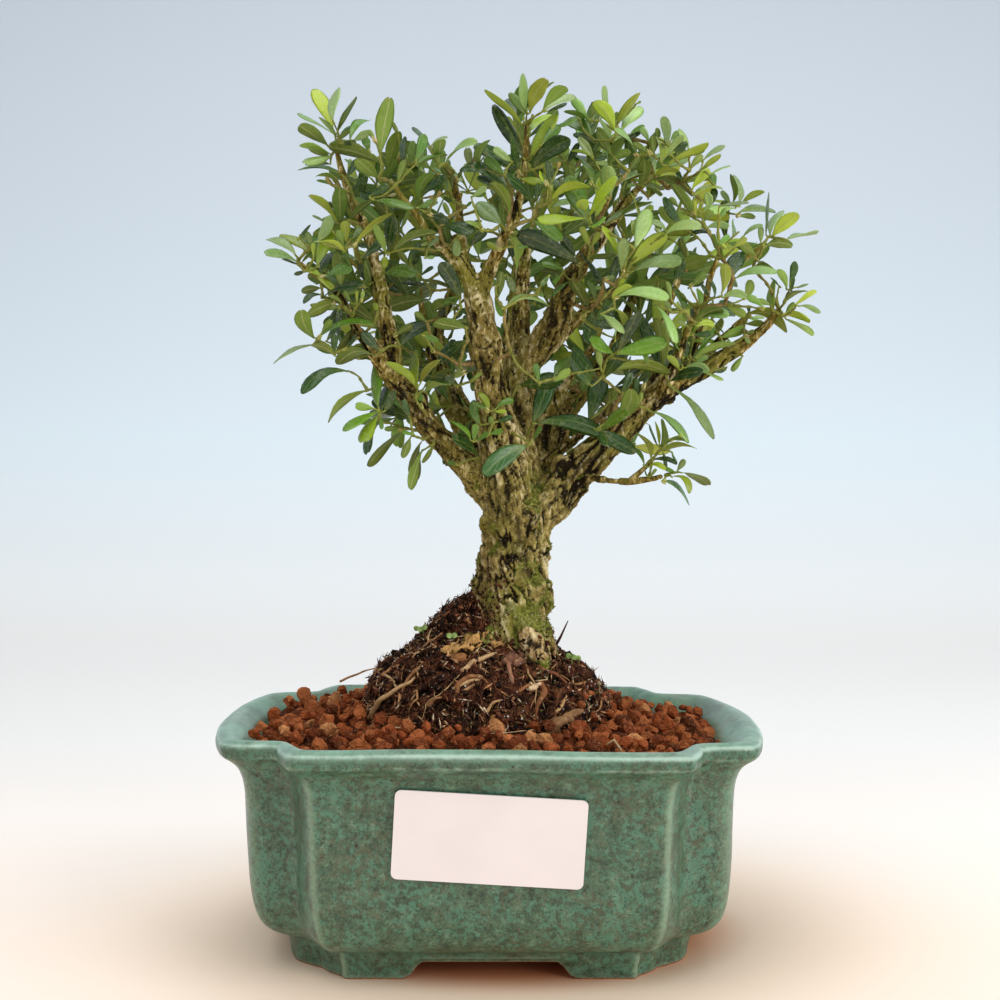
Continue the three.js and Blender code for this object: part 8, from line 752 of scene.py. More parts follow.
17,473,2,-374,113,1888,-443,215,1937,14,-13,48,-8,-6,1,17,473,1,-374,113,1888,-464,6,1937,-14,-11,-52,-9,8,1,17,473,2,-396,112,1902,-454,102,1993,-7,-37,-8,-4,1,-2,35,474,0,-57,366,1522,-170,379,1547,-7,11,-39,1,5,1,
35,474,0,-57,366,1522,10,466,1532,16,-15,44,-2,2,1,35,474,0,-69,388,1530,-125,493,1489,44,26,7,-1,1,2,34,475,1,-190,93,1466,-177,-28,1423,-12,14,-43,0,0,0,34,475,1,-190,93,1466,-303,128,1554,28,-12,40,-3,-10,0,
34,475,1,-210,79,1476,-214,34,1593,25,-40,-14,-2,-1,-1,34,475,2,-230,66,1485,-336,56,1531,16,2,39,0,0,0,34,475,2,-230,66,1485,-265,-27,1499,-1,-5,-38,-5,2,0,26,476,1,98,-40,2149,212,-96,2126,-20,-28,-32,-1,-5,5,
26,476,2,107,-53,2169,177,-48,2278,41,-6,-26,-1,-8,1,26,476,2,107,-53,2169,116,-135,2221,-38,6,17,1,1,1,14,477,1,-61,139,2151,-172,85,2196,-16,43,11,3,-1,7,14,477,1,-61,139,2151,1,173,2286,2,-44,10,-7,0,3,
14,477,1,-72,134,2175,-158,232,2237,40,24,16,0,-5,8,17,478,2,-298,378,2050,-268,383,2180,-20,-37,6,1,0,0,17,478,1,-298,378,2050,-432,412,2029,11,42,-2,-1,0,8,17,478,0,-314,385,2070,-324,522,2119,37,-9,32,-4,-2,4,
17,478,0,-314,385,2070,-376,277,2126,-33,-1,-38,2,-2,-1,17,478,0,-330,392,2090,-448,429,2107,10,40,-15,2,3,8,17,478,0,-330,392,2090,-356,413,2210,-37,-21,-4,-3,6,-2,33,479,1,647,68,1774,706,66,1882,4,41,-1,8,-1,-4,
33,479,1,647,68,1774,727,86,1671,-4,-45,-12,3,-1,2,33,479,2,672,70,1780,729,199,1811,28,-4,-35,0,0,0,33,479,1,697,73,1787,788,88,1763,1,-33,-16,2,-3,6]
# twig: shoot, three places, three radii
TWIGS = [9,492,-110,1320,496,-116,1318,504,-126,1319,59,47,36,4,110,-120,2284,113,-129,2288,119,-138,2292,59,47,36,0,-536,-50,1921,-536,-58,1928,-540,-69,1935,59,47,36,3,-105,-60,2151,-108,-74,2146,-110,-87,2142,76,69,62,
13,683,150,1976,692,139,1989,697,127,1999,59,47,36,4,110,-120,2284,105,-134,2296,107,-145,2311,59,47,36,9,492,-110,1320,508,-117,1325,526,-120,1328,59,47,36,11,577,-120,1782,580,-135,1781,579,-157,1782,71,64,57,
2,-264,-170,2121,-282,-163,2126,-300,-156,2131,80,73,66,8,820,-40,1788,821,-57,1789,826,-78,1798,66,59,51,26,54,-180,1981,44,-200,1990,36,-212,1997,71,64,57,14,-109,430,2039,-116,410,2048,-116,395,2057,96,88,81,
10,455,-110,1362,451,-130,1362,450,-151,1363,59,47,36,29,300,-40,1970,307,-57,1985,304,-68,2003,108,100,92,29,304,-68,2003,296,-73,2010,286,-79,2015,59,47,36,10,455,-110,1362,468,-114,1379,481,-123,1395,71,64,57,
3,-105,-60,2151,-95,-67,2145,-88,-71,2139,59,47,36,25,-115,-160,1936,-100,-166,1949,-85,-174,1967,66,59,51,1,-433,0,2248,-439,-25,2247,-449,-44,2242,59,47,36,21,-311,-47,1867,-326,-66,1858,-343,-77,1848,59,47,36,
22,-354,-30,2031,-376,-46,2028,-388,-64,2032,71,64,57,3,-110,-87,2142,-104,-99,2147,-96,-110,2158,71,64,57,10,481,-123,1395,489,-120,1404,503,-118,1416,59,47,36,0,-536,-50,1921,-516,-44,1946,-501,-38,1957,66,59,51,
10,481,-123,1395,496,-117,1389,511,-117,1382,59,47,36,17,-214,320,1854,-211,309,1874,-208,295,1898,80,73,66,16,495,420,1984,519,419,1986,545,409,1989,59,47,36,26,54,-180,1981,54,-187,2004,59,-196,2030,103,96,88,
33,677,-20,1660,668,-18,1688,659,-22,1708,71,64,57,29,304,-68,2003,316,-80,2009,321,-96,2012,103,96,88,29,321,-96,2012,314,-101,2020,304,-107,2027,98,91,83,9,492,-110,1320,492,-136,1318,481,-161,1306,59,47,36,
0,-536,-50,1921,-532,-66,1909,-528,-86,1908,76,69,62,4,110,-120,2284,104,-147,2283,97,-170,2274,66,59,51,18,-151,-67,1441,-161,-89,1430,-179,-109,1420,71,64,57,20,-352,-95,1708,-330,-102,1728,-314,-112,1746,66,59,51,
20,-314,-112,1746,-308,-120,1762,-305,-124,1772,59,47,36,30,508,130,1708,535,126,1695,559,137,1686,59,47,36,18,-179,-109,1420,-194,-116,1424,-209,-132,1429,66,59,51,10,455,-110,1362,440,-129,1354,433,-155,1344,59,47,36,
1,-433,0,2248,-426,-23,2248,-418,-52,2250,71,64,57,8,820,-40,1788,822,-61,1777,825,-88,1764,76,69,62,30,224,145,1578,252,155,1575,275,167,1562,103,96,88,33,677,-20,1660,692,-46,1659,714,-64,1654,59,47,36,
36,-155,312,1678,-167,339,1672,-177,365,1664,84,77,70,32,417,80,1589,438,77,1612,460,79,1632,71,64,57,23,22,-87,1474,22,-118,1474,13,-146,1463,84,77,70,23,13,-146,1463,-1,-151,1462,-21,-153,1458,59,47,36,
23,13,-146,1463,14,-151,1479,18,-156,1499,66,59,51,23,18,-156,1499,8,-165,1497,0,-170,1496,59,47,36,23,13,-146,1463,6,-158,1444,2,-167,1432,66,59,51,0,-501,-38,1957,-516,-40,1971,-532,-50,1986,59,47,36,
21,-311,-47,1867,-301,-78,1874,-291,-103,1884,59,47,36,25,-115,-160,1936,-143,-183,1931,-166,-197,1932,71,64,57,18,-151,-67,1441,-153,-91,1422,-152,-118,1404,66,59,51,18,-152,-118,1404,-168,-106,1398,-185,-101,1388,59,47,36,
17,-214,320,1854,-221,345,1860,-226,381,1868,84,77,70,1,-418,-52,2250,-402,-44,2256,-386,-39,2261,59,47,36,22,-388,-64,2032,-399,-49,2033,-422,-33,2030,66,59,51,6,465,0,2172,460,-21,2163,459,-38,2156,66,59,51,
10,455,-110,1362,451,-112,1331,445,-117,1316,59,47,36,26,59,-196,2030,64,-201,2055,64,-214,2074,96,88,81,20,-352,-95,1708,-361,-115,1734,-376,-134,1755,93,86,78,20,-376,-134,1755,-388,-129,1773,-406,-121,1788,84,77,70,
20,-406,-121,1788,-414,-114,1798,-424,-107,1802,80,73,66,25,-115,-160,1936,-126,-180,1964,-132,-194,1991,93,86,78,25,-132,-194,1991,-147,-201,2004,-160,-215,2025,71,64,57,25,-160,-215,2025,-178,-213,2034,-191,-213,2040,59,47,36,
2,-264,-170,2121,-256,-189,2109,-243,-216,2106,71,64,57,22,-422,-33,2030,-431,-26,2045,-445,-14,2062,59,47,36,20,-376,-134,1755,-370,-118,1774,-374,-101,1796,59,47,36,1,-433,0,2248,-438,-10,2234,-444,-29,2219,66,59,51,
25,-132,-194,1991,-120,-177,2006,-105,-161,2026,80,73,66,26,59,-196,2030,47,-176,2046,38,-152,2056,66,59,51,20,-424,-107,1802,-443,-103,1810,-461,-102,1814,71,64,57,20,-461,-102,1814,-461,-98,1828,-465,-90,1842,66,59,51,
8,825,-88,1764,810,-81,1771,799,-77,1777,66,59,51,8,799,-77,1777,793,-82,1785,787,-85,1795,59,47,36,33,677,-20,1660,694,-31,1685,722,-49,1711,71,64,57,32,544,-10,1581,559,-21,1617,573,-34,1647,71,64,57,
32,573,-34,1647,594,-46,1631,606,-57,1612,66,59,51,8,820,-40,1788,817,-26,1820,826,-10,1857,59,47,36,8,826,-78,1798,829,-96,1818,836,-121,1836,59,47,36,18,-209,-132,1429,-212,-127,1453,-216,-123,1478,59,47,36,
29,321,-96,2012,343,-96,2023,366,-93,2036,59,47,36,20,-424,-107,1802,-417,-115,1817,-408,-123,1840,59,47,36,11,577,-120,1782,616,-125,1788,654,-129,1790,110,102,94,32,544,-10,1581,534,14,1611,533,46,1635,66,59,51,
1,-444,-29,2219,-445,-35,2206,-444,-43,2194,59,47,36,23,2,-167,1432,-22,-184,1421,-40,-193,1412,59,47,36,26,54,-180,1981,85,-204,2000,119,-218,2008,80,73,66,26,119,-218,2008,125,-216,2030,130,-210,2045,76,69,62,
26,130,-210,2045,149,-227,2045,164,-240,2049,71,64,57,25,-115,-160,1936,-83,-170,1932,-49,-185,1939,59,47,36,6,465,0,2172,492,8,2157,512,18,2137,103,96,88,20,-465,-90,1842,-466,-95,1857,-467,-102,1870,59,47,36,
28,208,-20,1815,226,-54,1846,232,-84,1860,90,83,76,28,232,-84,1860,242,-78,1864,256,-73,1867,84,77,70,28,232,-84,1860,220,-86,1870,208,-93,1884,59,47,36,28,256,-73,1867,257,-79,1886,258,-89,1904,80,73,66,
28,258,-89,1904,267,-95,1912,278,-102,1918,71,64,57,28,258,-89,1904,250,-80,1917,245,-76,1930,59,47,36,28,278,-102,1918,280,-102,1935,284,-102,1953,59,47,36,28,278,-102,1918,290,-91,1927,301,-81,1937,59,47,36,
23,-36,-30,1316,-28,-59,1348,-25,-91,1369,66,59,51,37,82,241,1518,76,283,1523,79,323,1526,90,83,76,11,579,-157,1782,566,-175,1804,550,-180,1834,59,47,36,25,-105,-161,2026,-82,-150,2041,-61,-143,2056,76,69,62,
21,-311,-47,1867,-334,-63,1891,-360,-89,1917,87,80,73,21,-360,-89,1917,-346,-72,1939,-329,-63,1957,59,47,36,31,262,73,1434,273,36,1460,286,4,1472,106,98,90,25,-85,-174,1967,-59,-172,1990,-32,-166,2005,59,47,36,
23,-25,-91,1369,-60,-91,1361,-86,-90,1348,59,47,36,25,-61,-143,2056,-78,-127,2066,-94,-109,2075,71,64,57,25,-94,-109,2075,-102,-109,2091,-106,-107,2104,66,59,51,24,-1,-112,1637,-45,-122,1629,-79,-144,1623,110,102,94,
24,-79,-144,1623,-73,-173,1612,-67,-200,1597,59,47,36,20,-352,-95,1708,-372,-126,1693,-389,-159,1666,76,69,62,20,-389,-159,1666,-402,-162,1662,-420,-160,1653,71,64,57,19,-256,-93,1580,-297,-100,1568,-336,-110,1554,66,59,51,
22,-354,-30,2031,-368,-38,2074,-385,-41,2111,76,69,62,22,-385,-41,2111,-390,-44,2132,-401,-44,2153,66,59,51,22,-401,-44,2153,-411,-44,2162,-425,-46,2169,59,47,36,22,-385,-41,2111,-401,-57,2117,-419,-75,2124,59,47,36,
26,64,-214,2074,56,-232,2096,46,-249,2120,71,64,57,26,46,-249,2120,50,-244,2141,64,-232,2159,59,47,36,11,577,-120,1782,576,-123,1762,572,-128,1742,87,80,73,11,572,-128,1742,555,-143,1752,539,-162,1764,76,69,62,
11,572,-128,1742,562,-122,1738,552,-120,1737,66,59,51,11,552,-120,1737,556,-129,1718,562,-138,1706,59,47,36,0,-528,-86,1908,-521,-84,1899,-511,-84,1887,71,64,57,0,-511,-84,1887,-498,-92,1902,-484,-106,1921,59,47,36,
2,-300,-156,2131,-291,-148,2163,-296,-141,2199,66,59,51,2,-296,-141,2199,-300,-142,2216,-308,-146,2232,59,47,36,0,-511,-84,1887,-493,-92,1890,-475,-94,1899,59,47,36,20,-420,-160,1653,-443,-154,1672,-466,-154,1696,66,59,51,
25,-166,-197,1932,-166,-230,1911,-168,-254,1900,59,47,36,2,-243,-216,2106,-218,-212,2136,-193,-212,2159,59,47,36,32,606,-57,1612,640,-68,1616,667,-75,1621,59,47,36,36,-177,365,1664,-200,366,1689,-228,374,1716,66,59,51,
18,-151,-67,1441,-167,-96,1477,-183,-125,1504,76,69,62,18,-183,-125,1504,-191,-130,1514,-201,-133,1533,71,64,57,18,-201,-133,1533,-197,-128,1549,-195,-126,1564,59,47,36,18,-201,-133,1533,-191,-127,1546,-182,-122,1554,59,47,36,
4,110,-120,2284,110,-133,2265,111,-145,2249,59,47,36,11,654,-129,1790,683,-113,1797,714,-91,1810,59,47,36,11,539,-162,1764,512,-184,1782,497,-205,1793,59,47,36,32,533,46,1635,536,52,1670,562,48,1705,59,47,36,
13,683,150,1976,659,115,1996,642,77,2017,66,59,51,3,-105,-60,2151,-129,-87,2175,-152,-126,2197,80,73,66,3,-152,-126,2197,-155,-130,2211,-158,-134,2224,59,47,36,30,508,130,1708,501,176,1704,503,224,1708,90,83,76,
32,460,79,1632,452,50,1657,435,22,1677,66,59,51,34,-19,161,1411,-18,141,1448,-28,110,1490,87,80,73,26,164,-240,2049,166,-270,2072,158,-289,2086,66,59,51,21,-311,-47,1867,-327,-28,1848,-329,-5,1829,59,47,36,
11,577,-120,1782,545,-114,1810,519,-89,1851,59,47,36,34,-19,161,1411,7,168,1452,31,192,1488,59,47,36,21,-360,-89,1917,-366,-115,1941,-381,-151,1962,80,73,66,6,512,18,2137,528,-20,2149,544,-54,2139,101,93,86,
6,544,-54,2139,570,-70,2153,590,-89,2164,76,69,62,6,590,-89,2164,601,-114,2157,607,-130,2145,59,47,36,24,-79,-144,1623,-69,-173,1660,-55,-184,1688,80,73,66,24,-55,-184,1688,-58,-195,1702,-59,-209,1719,76,69,62,
24,-59,-209,1719,-81,-189,1729,-100,-178,1737,71,64,57,24,-100,-178,1737,-86,-190,1758,-72,-195,1774,66,59,51,24,-72,-195,1774,-76,-186,1787,-78,-178,1804,59,47,36,21,-381,-151,1962,-384,-176,1942,-388,-204,1931,71,64,57,
21,-388,-204,1931,-375,-201,1937,-363,-196,1940,59,47,36,19,-336,-110,1554,-362,-101,1594,-390,-94,1610,59,47,36,1,-418,-52,2250,-420,-87,2277,-428,-119,2296,59,47,36,19,-256,-93,1580,-249,-95,1624,-245,-111,1678,76,69,62,
19,-245,-111,1678,-250,-110,1692,-261,-108,1707,59,47,36,19,-245,-111,1678,-272,-138,1675,-294,-162,1658,66,59,51,19,-294,-162,1658,-304,-151,1653,-315,-136,1649,59,47,36,31,286,4,1472,317,11,1498,347,10,1527,66,59,51,
31,347,10,1527,348,26,1541,348,32,1556,59,47,36,24,-79,-144,1623,-114,-162,1644,-149,-170,1657,93,86,78,33,722,-49,1711,726,-6,1737,734,22,1752,66,59,51,33,734,22,1752,739,19,1762,742,17,1772,59,47,36,
18,-151,-67,1441,-198,-45,1445,-242,-24,1452,71,64,57,36,-228,374,1716,-258,384,1740,-283,393,1765,59,47,36,13,683,150,1976,698,155,1949,715,154,1916,59,47,36,37,79,323,1526,40,320,1545,6,298,1560,59,47,36,
17,-214,320,1854,-222,291,1847,-241,248,1850,101,93,86,11,539,-162,1764,520,-172,1766,500,-187,1762,66,59,51,26,36,-212,1997,14,-240,1977,-14,-276,1970,66,59,51,21,-381,-151,1962,-416,-154,1978,-443,-161,2011,59,47,36,
25,-160,-215,2025,-150,-251,2039,-136,-287,2050,59,47,36,6,459,-38,2156,445,-39,2144,428,-40,2135,59,47,36,20,-376,-134,1755,-363,-169,1776,-342,-207,1791,59,47,36,6,465,0,2172,458,-37,2208,447,-76,2244,106,98,90,
6,447,-76,2244,413,-68,2256,387,-59,2263,98,91,83,6,447,-76,2244,468,-98,2239,498,-122,2229,66,59,51,6,498,-122,2229,487,-143,2232,464,-164,2237,59,47,36,6,387,-59,2263,364,-97,2268,351,-126,2285,90,83,76,
6,351,-126,2285,337,-108,2304,332,-93,2324,66,59,51,26,54,-180,1981,64,-198,1954,73,-207,1938,66,59,51,26,73,-207,1938,50,-200,1936,34,-200,1929,59,47,36,30,275,167,1562,303,138,1565,342,108,1566,59,47,36,
6,465,0,2172,433,24,2177,409,52,2174,90,83,76,6,409,52,2174,378,80,2186,342,101,2194,66,59,51,24,-1,-112,1637,-24,-140,1606,-47,-172,1576,66,59,51,24,-47,-172,1576,-62,-151,1573,-88,-131,1567,59,47,36,
37,79,323,1526,88,360,1544,98,403,1562,84,77,70,11,654,-129,1790,658,-164,1826,665,-192,1854,103,96,88,11,665,-192,1854,660,-178,1880,642,-167,1908,101,93,86,32,544,-10,1581,537,-69,1602,538,-112,1617,59,47,36,
12,598,220,1947,627,261,1964,651,310,1978,59,47,36,4,97,-170,2274,119,-200,2283,148,-243,2292,59,47,36,2,-243,-216,2106,-276,-215,2076,-313,-228,2063,59,47,36,21,-388,-204,1931,-423,-202,1940,-461,-202,1952,59,47,36,
6,351,-126,2285,378,-127,2308,405,-137,2337,59,47,36,30,275,167,1562,312,174,1542,354,165,1513,98,91,83,30,354,165,1513,382,185,1491,407,199,1468,93,86,78,6,351,-126,2285,352,-143,2271,355,-160,2256,76,69,62,
26,64,-214,2074,73,-197,2107,85,-168,2142,84,77,70,26,85,-168,2142,100,-172,2147,114,-175,2149,80,73,66,26,114,-175,2149,110,-175,2163,104,-178,2176,66,59,51,37,82,241,1518,124,232,1517,167,217,1508,71,64,57,
11,500,-187,1762,472,-193,1777,447,-194,1784,59,47,36,3,-96,-110,2158,-107,-150,2160,-114,-193,2165,66,59,51,3,-114,-193,2165,-122,-211,2158,-130,-236,2143,59,47,36,32,544,-10,1581,520,-44,1567,505,-68,1576,66,59,51,
32,505,-68,1576,498,-65,1599,488,-71,1621,59,47,36,2,-264,-170,2121,-272,-144,2102,-279,-123,2088,59,47,36,20,-466,-154,1696,-474,-115,1695,-488,-86,1685,59,47,36,35,-100,230,1528,-80,269,1491,-69,313,1458,84,77,70,
35,-69,313,1458,-67,348,1495,-57,366,1522,80,73,66,35,-57,366,1522,-76,358,1557,-94,350,1590,76,69,62,30,503,224,1708,482,260,1739,466,290,1765,80,73,66,30,466,290,1765,497,296,1776,525,301,1804,66,59,51,
30,466,290,1765,460,324,1773,456,370,1795,66,59,51,31,286,4,1472,325,-36,1471,343,-72,1470,98,91,83,31,343,-72,1470,357,-87,1516,373,-95,1547,93,86,78,31,373,-95,1547,390,-75,1541,416,-59,1538,76,69,62,
31,416,-59,1538,427,-68,1551,433,-80,1564,59,47,36,31,416,-59,1538,416,-68,1527,420,-80,1513,66,59,51,31,420,-80,1513,438,-72,1508,454,-62,1500,59,47,36,31,373,-95,1547,342,-100,1571,316,-108,1592,76,69,62,
28,208,-20,1815,246,-63,1796,286,-95,1779,110,102,94,28,286,-95,1779,291,-131,1790,301,-159,1793,103,96,88,28,301,-159,1793,315,-153,1806,330,-146,1821,71,64,57,28,301,-159,1793,308,-194,1817,312,-227,1847,93,86,78,
28,312,-227,1847,330,-226,1836,348,-227,1829,90,83,76,28,348,-227,1829,353,-229,1848,363,-237,1867,76,69,62,28,363,-237,1867,376,-236,1867,385,-237,1866,59,47,36,15,96,430,2070,72,396,2097,50,344,2130,76,69,62,
35,-94,350,1590,-110,384,1600,-123,423,1610,59,47,36,7,342,220,1774,325,277,1768,318,333,1775,101,93,86,6,342,101,2194,318,131,2217,290,159,2238,59,47,36,35,-94,350,1590,-75,357,1633,-51,353,1660,66,59,51,
31,262,73,1434,283,123,1442,305,180,1444,66,59,51,6,355,-160,2256,346,-164,2244,337,-168,2231,71,64,57,6,544,-54,2139,542,-95,2143,553,-142,2156,71,64,57,6,553,-142,2156,548,-169,2178,550,-193,2190,59,47,36,
11,642,-167,1908,663,-184,1932,688,-205,1964,59,47,36,34,-28,110,1490,-65,135,1512,-109,156,1523,84,77,70,17,-226,381,1868,-263,388,1890,-301,394,1930,80,73,66,22,-354,-30,2031,-352,10,2019,-353,44,2006,80,73,66,
18,-242,-24,1452,-271,-60,1464,-302,-102,1468,66,59,51,18,-302,-102,1468,-302,-133,1482,-297,-164,1494,59,47,36,26,-14,-276,1970,-27,-281,2005,-43,-277,2058,59,47,36,24,-149,-170,1657,-158,-150,1707,-169,-136,1741,87,80,73,
24,-169,-136,1741,-154,-118,1748,-142,-96,1753,84,77,70,36,-155,312,1678,-211,292,1657,-267,280,1652,59,47,36,22,-353,44,2006,-328,64,2016,-287,89,2029,71,64,57,17,-241,248,1850,-282,221,1860,-324,193,1867,90,83,76,
17,-324,193,1867,-331,154,1876,-353,114,1874,59,47,36,17,-324,193,1867,-353,226,1877,-374,265,1891,76,69,62,17,-374,265,1891,-418,263,1873,-446,248,1852,66,59,51,22,-353,44,2006,-396,74,2003,-445,87,1994,59,47,36,
2,-300,-156,2131,-290,-126,2166,-296,-71,2188,66,59,51,2,-296,-71,2188,-315,-38,2215,-337,0,2232,59,47,36,23,22,-87,1474,53,-81,1513,84,-66,1575,59,47,36,13,642,77,2017,617,82,2051,573,114,2084,59,47,36,
28,348,-227,1829,346,-245,1810,336,-267,1794,71,64,57,28,336,-267,1794,336,-272,1780,336,-276,1765,66,59,51,27,82,40,1391,34,22,1418,-13,20,1463,59,47,36,14,-109,430,2039,-108,450,2003,-117,481,1976,59,47,36,
17,-374,265,1891,-382,300,1897,-410,342,1914,59,47,36,24,-1,-112,1637,24,-160,1639,62,-216,1650,98,91,83,6,590,-89,2164,614,-73,2145,640,-38,2132,59,47,36,25,-166,-197,1932,-218,-199,1934,-270,-201,1921,59,47,36,
15,50,344,2130,92,312,2124,130,306,2133,71,64,57,15,130,306,2133,144,323,2170,166,342,2206,66,59,51,15,166,342,2206,150,333,2234,129,338,2280,59,47,36,12,598,220,1947,593,272,1918,578,338,1918,80,73,66,
31,316,-108,1592,318,-140,1613,329,-169,1643,66,59,51,36,-177,365,1664,-166,409,1688,-142,444,1724,71,64,57,6,590,-89,2164,600,-51,2186,608,-15,2212,59,47,36,12,598,220,1947,568,209,2007,510,215,2036,59,47,36,
11,642,-167,1908,625,-209,1922,616,-249,1933,76,69,62,11,616,-249,1933,633,-252,1929,647,-258,1925,59,47,36,11,616,-249,1933,617,-236,1976,621,-232,2007,66,59,51,11,621,-232,2007,619,-235,2024,619,-241,2039,59,47,36,
26,158,-289,2086,173,-264,2106,186,-231,2138,59,47,36,29,304,-107,2027,318,-158,2046,329,-183,2070,96,88,81,29,329,-183,2070,332,-181,2088,335,-173,2100,90,83,76,29,335,-173,2100,364,-176,2124,381,-171,2147,84,77,70,
29,381,-171,2147,394,-158,2170,408,-141,2195,71,64,57,29,408,-141,2195,427,-146,2196,445,-157,2196,66,59,51,29,381,-171,2147,358,-170,2169,335,-169,2194,59,47,36,6,332,-93,2324,315,-62,2336,292,-28,2356,59,47,36,
29,329,-183,2070,306,-220,2083,278,-242,2100,59,47,36,26,104,-178,2176,123,-206,2185,145,-234,2206,59,47,36,28,363,-237,1867,372,-261,1896,388,-285,1920,66,59,51,34,-19,161,1411,-75,183,1426,-129,208,1451,59,47,36,
11,579,-157,1782,602,-220,1794,625,-253,1800,59,47,36,35,-51,353,1660,-14,339,1678,15,325,1704,59,47,36,16,495,420,1984,454,411,2010,399,409,2022,87,80,73,16,399,409,2022,362,397,2038,327,391,2056,84,77,70,
16,327,391,2056,340,407,2092,359,425,2125,59,47,36,6,337,-168,2231,313,-150,2235,290,-129,2240,66,59,51,17,-446,248,1852,-464,252,1891,-486,256,1926,59,47,36,28,336,-276,1765,319,-291,1758,298,-307,1746,59,47,36,
17,-241,248,1850,-286,272,1827,-331,283,1798,71,64,57,17,-331,283,1798,-352,242,1789,-382,202,1794,59,47,36,17,-331,283,1798,-361,323,1804,-387,364,1806,59,47,36,27,82,40,1391,104,2,1419,127,-54,1464,59,47,36,
3,-152,-126,2197,-200,-87,2189,-227,-46,2188,71,64,57,3,-227,-46,2188,-236,-16,2226,-246,10,2243,66,59,51,3,-246,10,2243,-254,3,2265,-256,1,2287,59,47,36,6,544,-54,2139,548,-88,2124,563,-116,2100,76,69,62,
37,98,403,1562,117,431,1606,137,460,1638,59,47,36,36,-155,312,1678,-134,301,1671,-104,289,1664,59,47,36,6,387,-59,2263,352,-43,2290,314,-16,2322,66,59,51,6,314,-16,2322,299,-27,2318,284,-40,2317,59,47,36,
30,456,370,1795,467,353,1844,472,355,1888,59,47,36,8,825,-88,1764,834,-147,1770,835,-197,1780,59,47,36,12,578,338,1918,544,317,1951,510,294,1973,76,69,62,12,510,294,1973,469,304,2000,426,316,2028,71,64,57,
35,-100,230,1528,-146,247,1571,-196,254,1612,87,80,73,35,-196,254,1612,-234,250,1592,-268,249,1577,59,47,36,35,-196,254,1612,-206,205,1636,-208,161,1665,80,73,66,35,-208,161,1665,-228,126,1678,-255,100,1690,71,64,57,
33,659,-22,1708,647,27,1743,647,68,1774,66,59,51,33,647,68,1774,655,88,1801,654,104,1836,59,47,36,26,46,-249,2120,5,-232,2134,-36,-209,2152,59,47,36,11,642,-167,1908,628,-133,1918,620,-96,1928,66,59,51,
27,82,40,1391,89,106,1432,93,139,1476,59,47,36,6,563,-116,2100,595,-81,2086,626,-45,2074,71,64,57,6,626,-45,2074,660,-48,2076,695,-52,2079,59,47,36,12,598,220,1947,590,162,1964,572,98,1992,59,47,36,
31,316,-108,1592,299,-138,1577,283,-170,1564,59,47,36,31,343,-72,1470,319,-111,1460,297,-148,1445,59,47,36,11,654,-129,1790,702,-164,1781,748,-193,1772,59,47,36,29,381,-171,2147,363,-149,2162,336,-120,2171,59,47,36,
1,-433,0,2248,-443,82,2285,-449,115,2314,59,47,36,12,426,316,2028,403,289,2056,380,262,2098,66,59,51,12,380,262,2098,388,248,2137,400,215,2173,59,47,36,14,-116,395,2057,-86,366,2067,-53,337,2077,93,86,78,
14,-53,337,2077,-78,306,2090,-96,274,2099,76,69,62,16,327,391,2056,283,365,2073,254,341,2119,76,69,62,16,254,341,2119,257,373,2164,275,397,2198,66,59,51,37,82,241,1518,113,283,1476,120,341,1435,66,59,51,
37,120,341,1435,150,369,1456,184,388,1475,59,47,36,23,22,-87,1474,69,-119,1437,115,-160,1407,59,47,36,7,318,333,1775,344,361,1828,359,394,1868,90,83,76,7,359,394,1868,394,416,1862,427,436,1864,59,47,36,
7,359,394,1868,318,426,1870,293,473,1867,76,69,62,6,290,-129,2240,260,-142,2266,246,-164,2294,59,47,36,7,359,394,1868,370,359,1863,392,321,1868,66,59,51,7,392,321,1868,386,320,1916,379,321,1953,59,47,36,
6,626,-45,2074,662,-71,2055,690,-106,2040,59,47,36,30,407,199,1468,394,245,1455,369,292,1440,90,83,76,17,-324,193,1867,-315,189,1915,-311,182,1977,66,59,51,17,-311,182,1977,-279,175,2003,-251,180,2025,59,47,36,
6,553,-142,2156,522,-182,2163,491,-221,2182,59,47,36,8,820,-40,1788,792,-29,1852,751,-15,1905,80,73,66,8,751,-15,1905,749,-45,1915,750,-70,1924,76,69,62,8,750,-70,1924,756,-105,1937,756,-131,1954,71,64,57,
8,756,-131,1954,764,-129,1965,774,-126,1978,66,59,51,8,774,-126,1978,797,-139,1971,814,-156,1964,59,47,36,28,330,-146,1821,366,-143,1859,393,-151,1904,66,59,51,24,-149,-170,1657,-164,-219,1686,-172,-275,1692,59,47,36,
7,318,333,1775,268,361,1817,246,396,1849,71,64,57,24,62,-216,1650,48,-229,1709,44,-251,1766,87,80,73,24,44,-251,1766,29,-221,1786,24,-188,1802,71,64,57,24,24,-188,1802,21,-194,1816,21,-203,1828,66,59,51,
24,21,-203,1828,34,-190,1846,50,-180,1867,59,47,36,24,44,-251,1766,90,-228,1796,132,-194,1811,71,64,57,24,132,-194,1811,147,-220,1840,164,-255,1854,59,47,36,24,132,-194,1811,132,-180,1800,125,-166,1788,59,47,36,
3,-105,-60,2151,-126,7,2164,-146,70,2187,84,77,70,3,-146,70,2187,-175,129,2192,-183,184,2197,71,64,57,6,409,52,2174,446,103,2148,468,134,2135,80,73,66,6,468,134,2135,504,161,2161,548,180,2176,76,69,62,
6,548,180,2176,544,221,2179,539,260,2196,71,64,57,6,539,260,2196,523,288,2195,490,322,2189,59,47,36,3,-183,184,2197,-237,181,2188,-295,188,2169,66,59,51,3,-295,188,2169,-333,195,2150,-385,202,2129,59,47,36,
11,642,-167,1908,619,-166,1958,590,-175,2000,76,69,62,11,590,-175,2000,583,-169,2018,580,-158,2038,59,47,36,11,590,-175,2000,571,-158,2016,567,-133,2034,66,59,51,11,567,-133,2034,545,-136,2046,526,-135,2055,59,47,36,
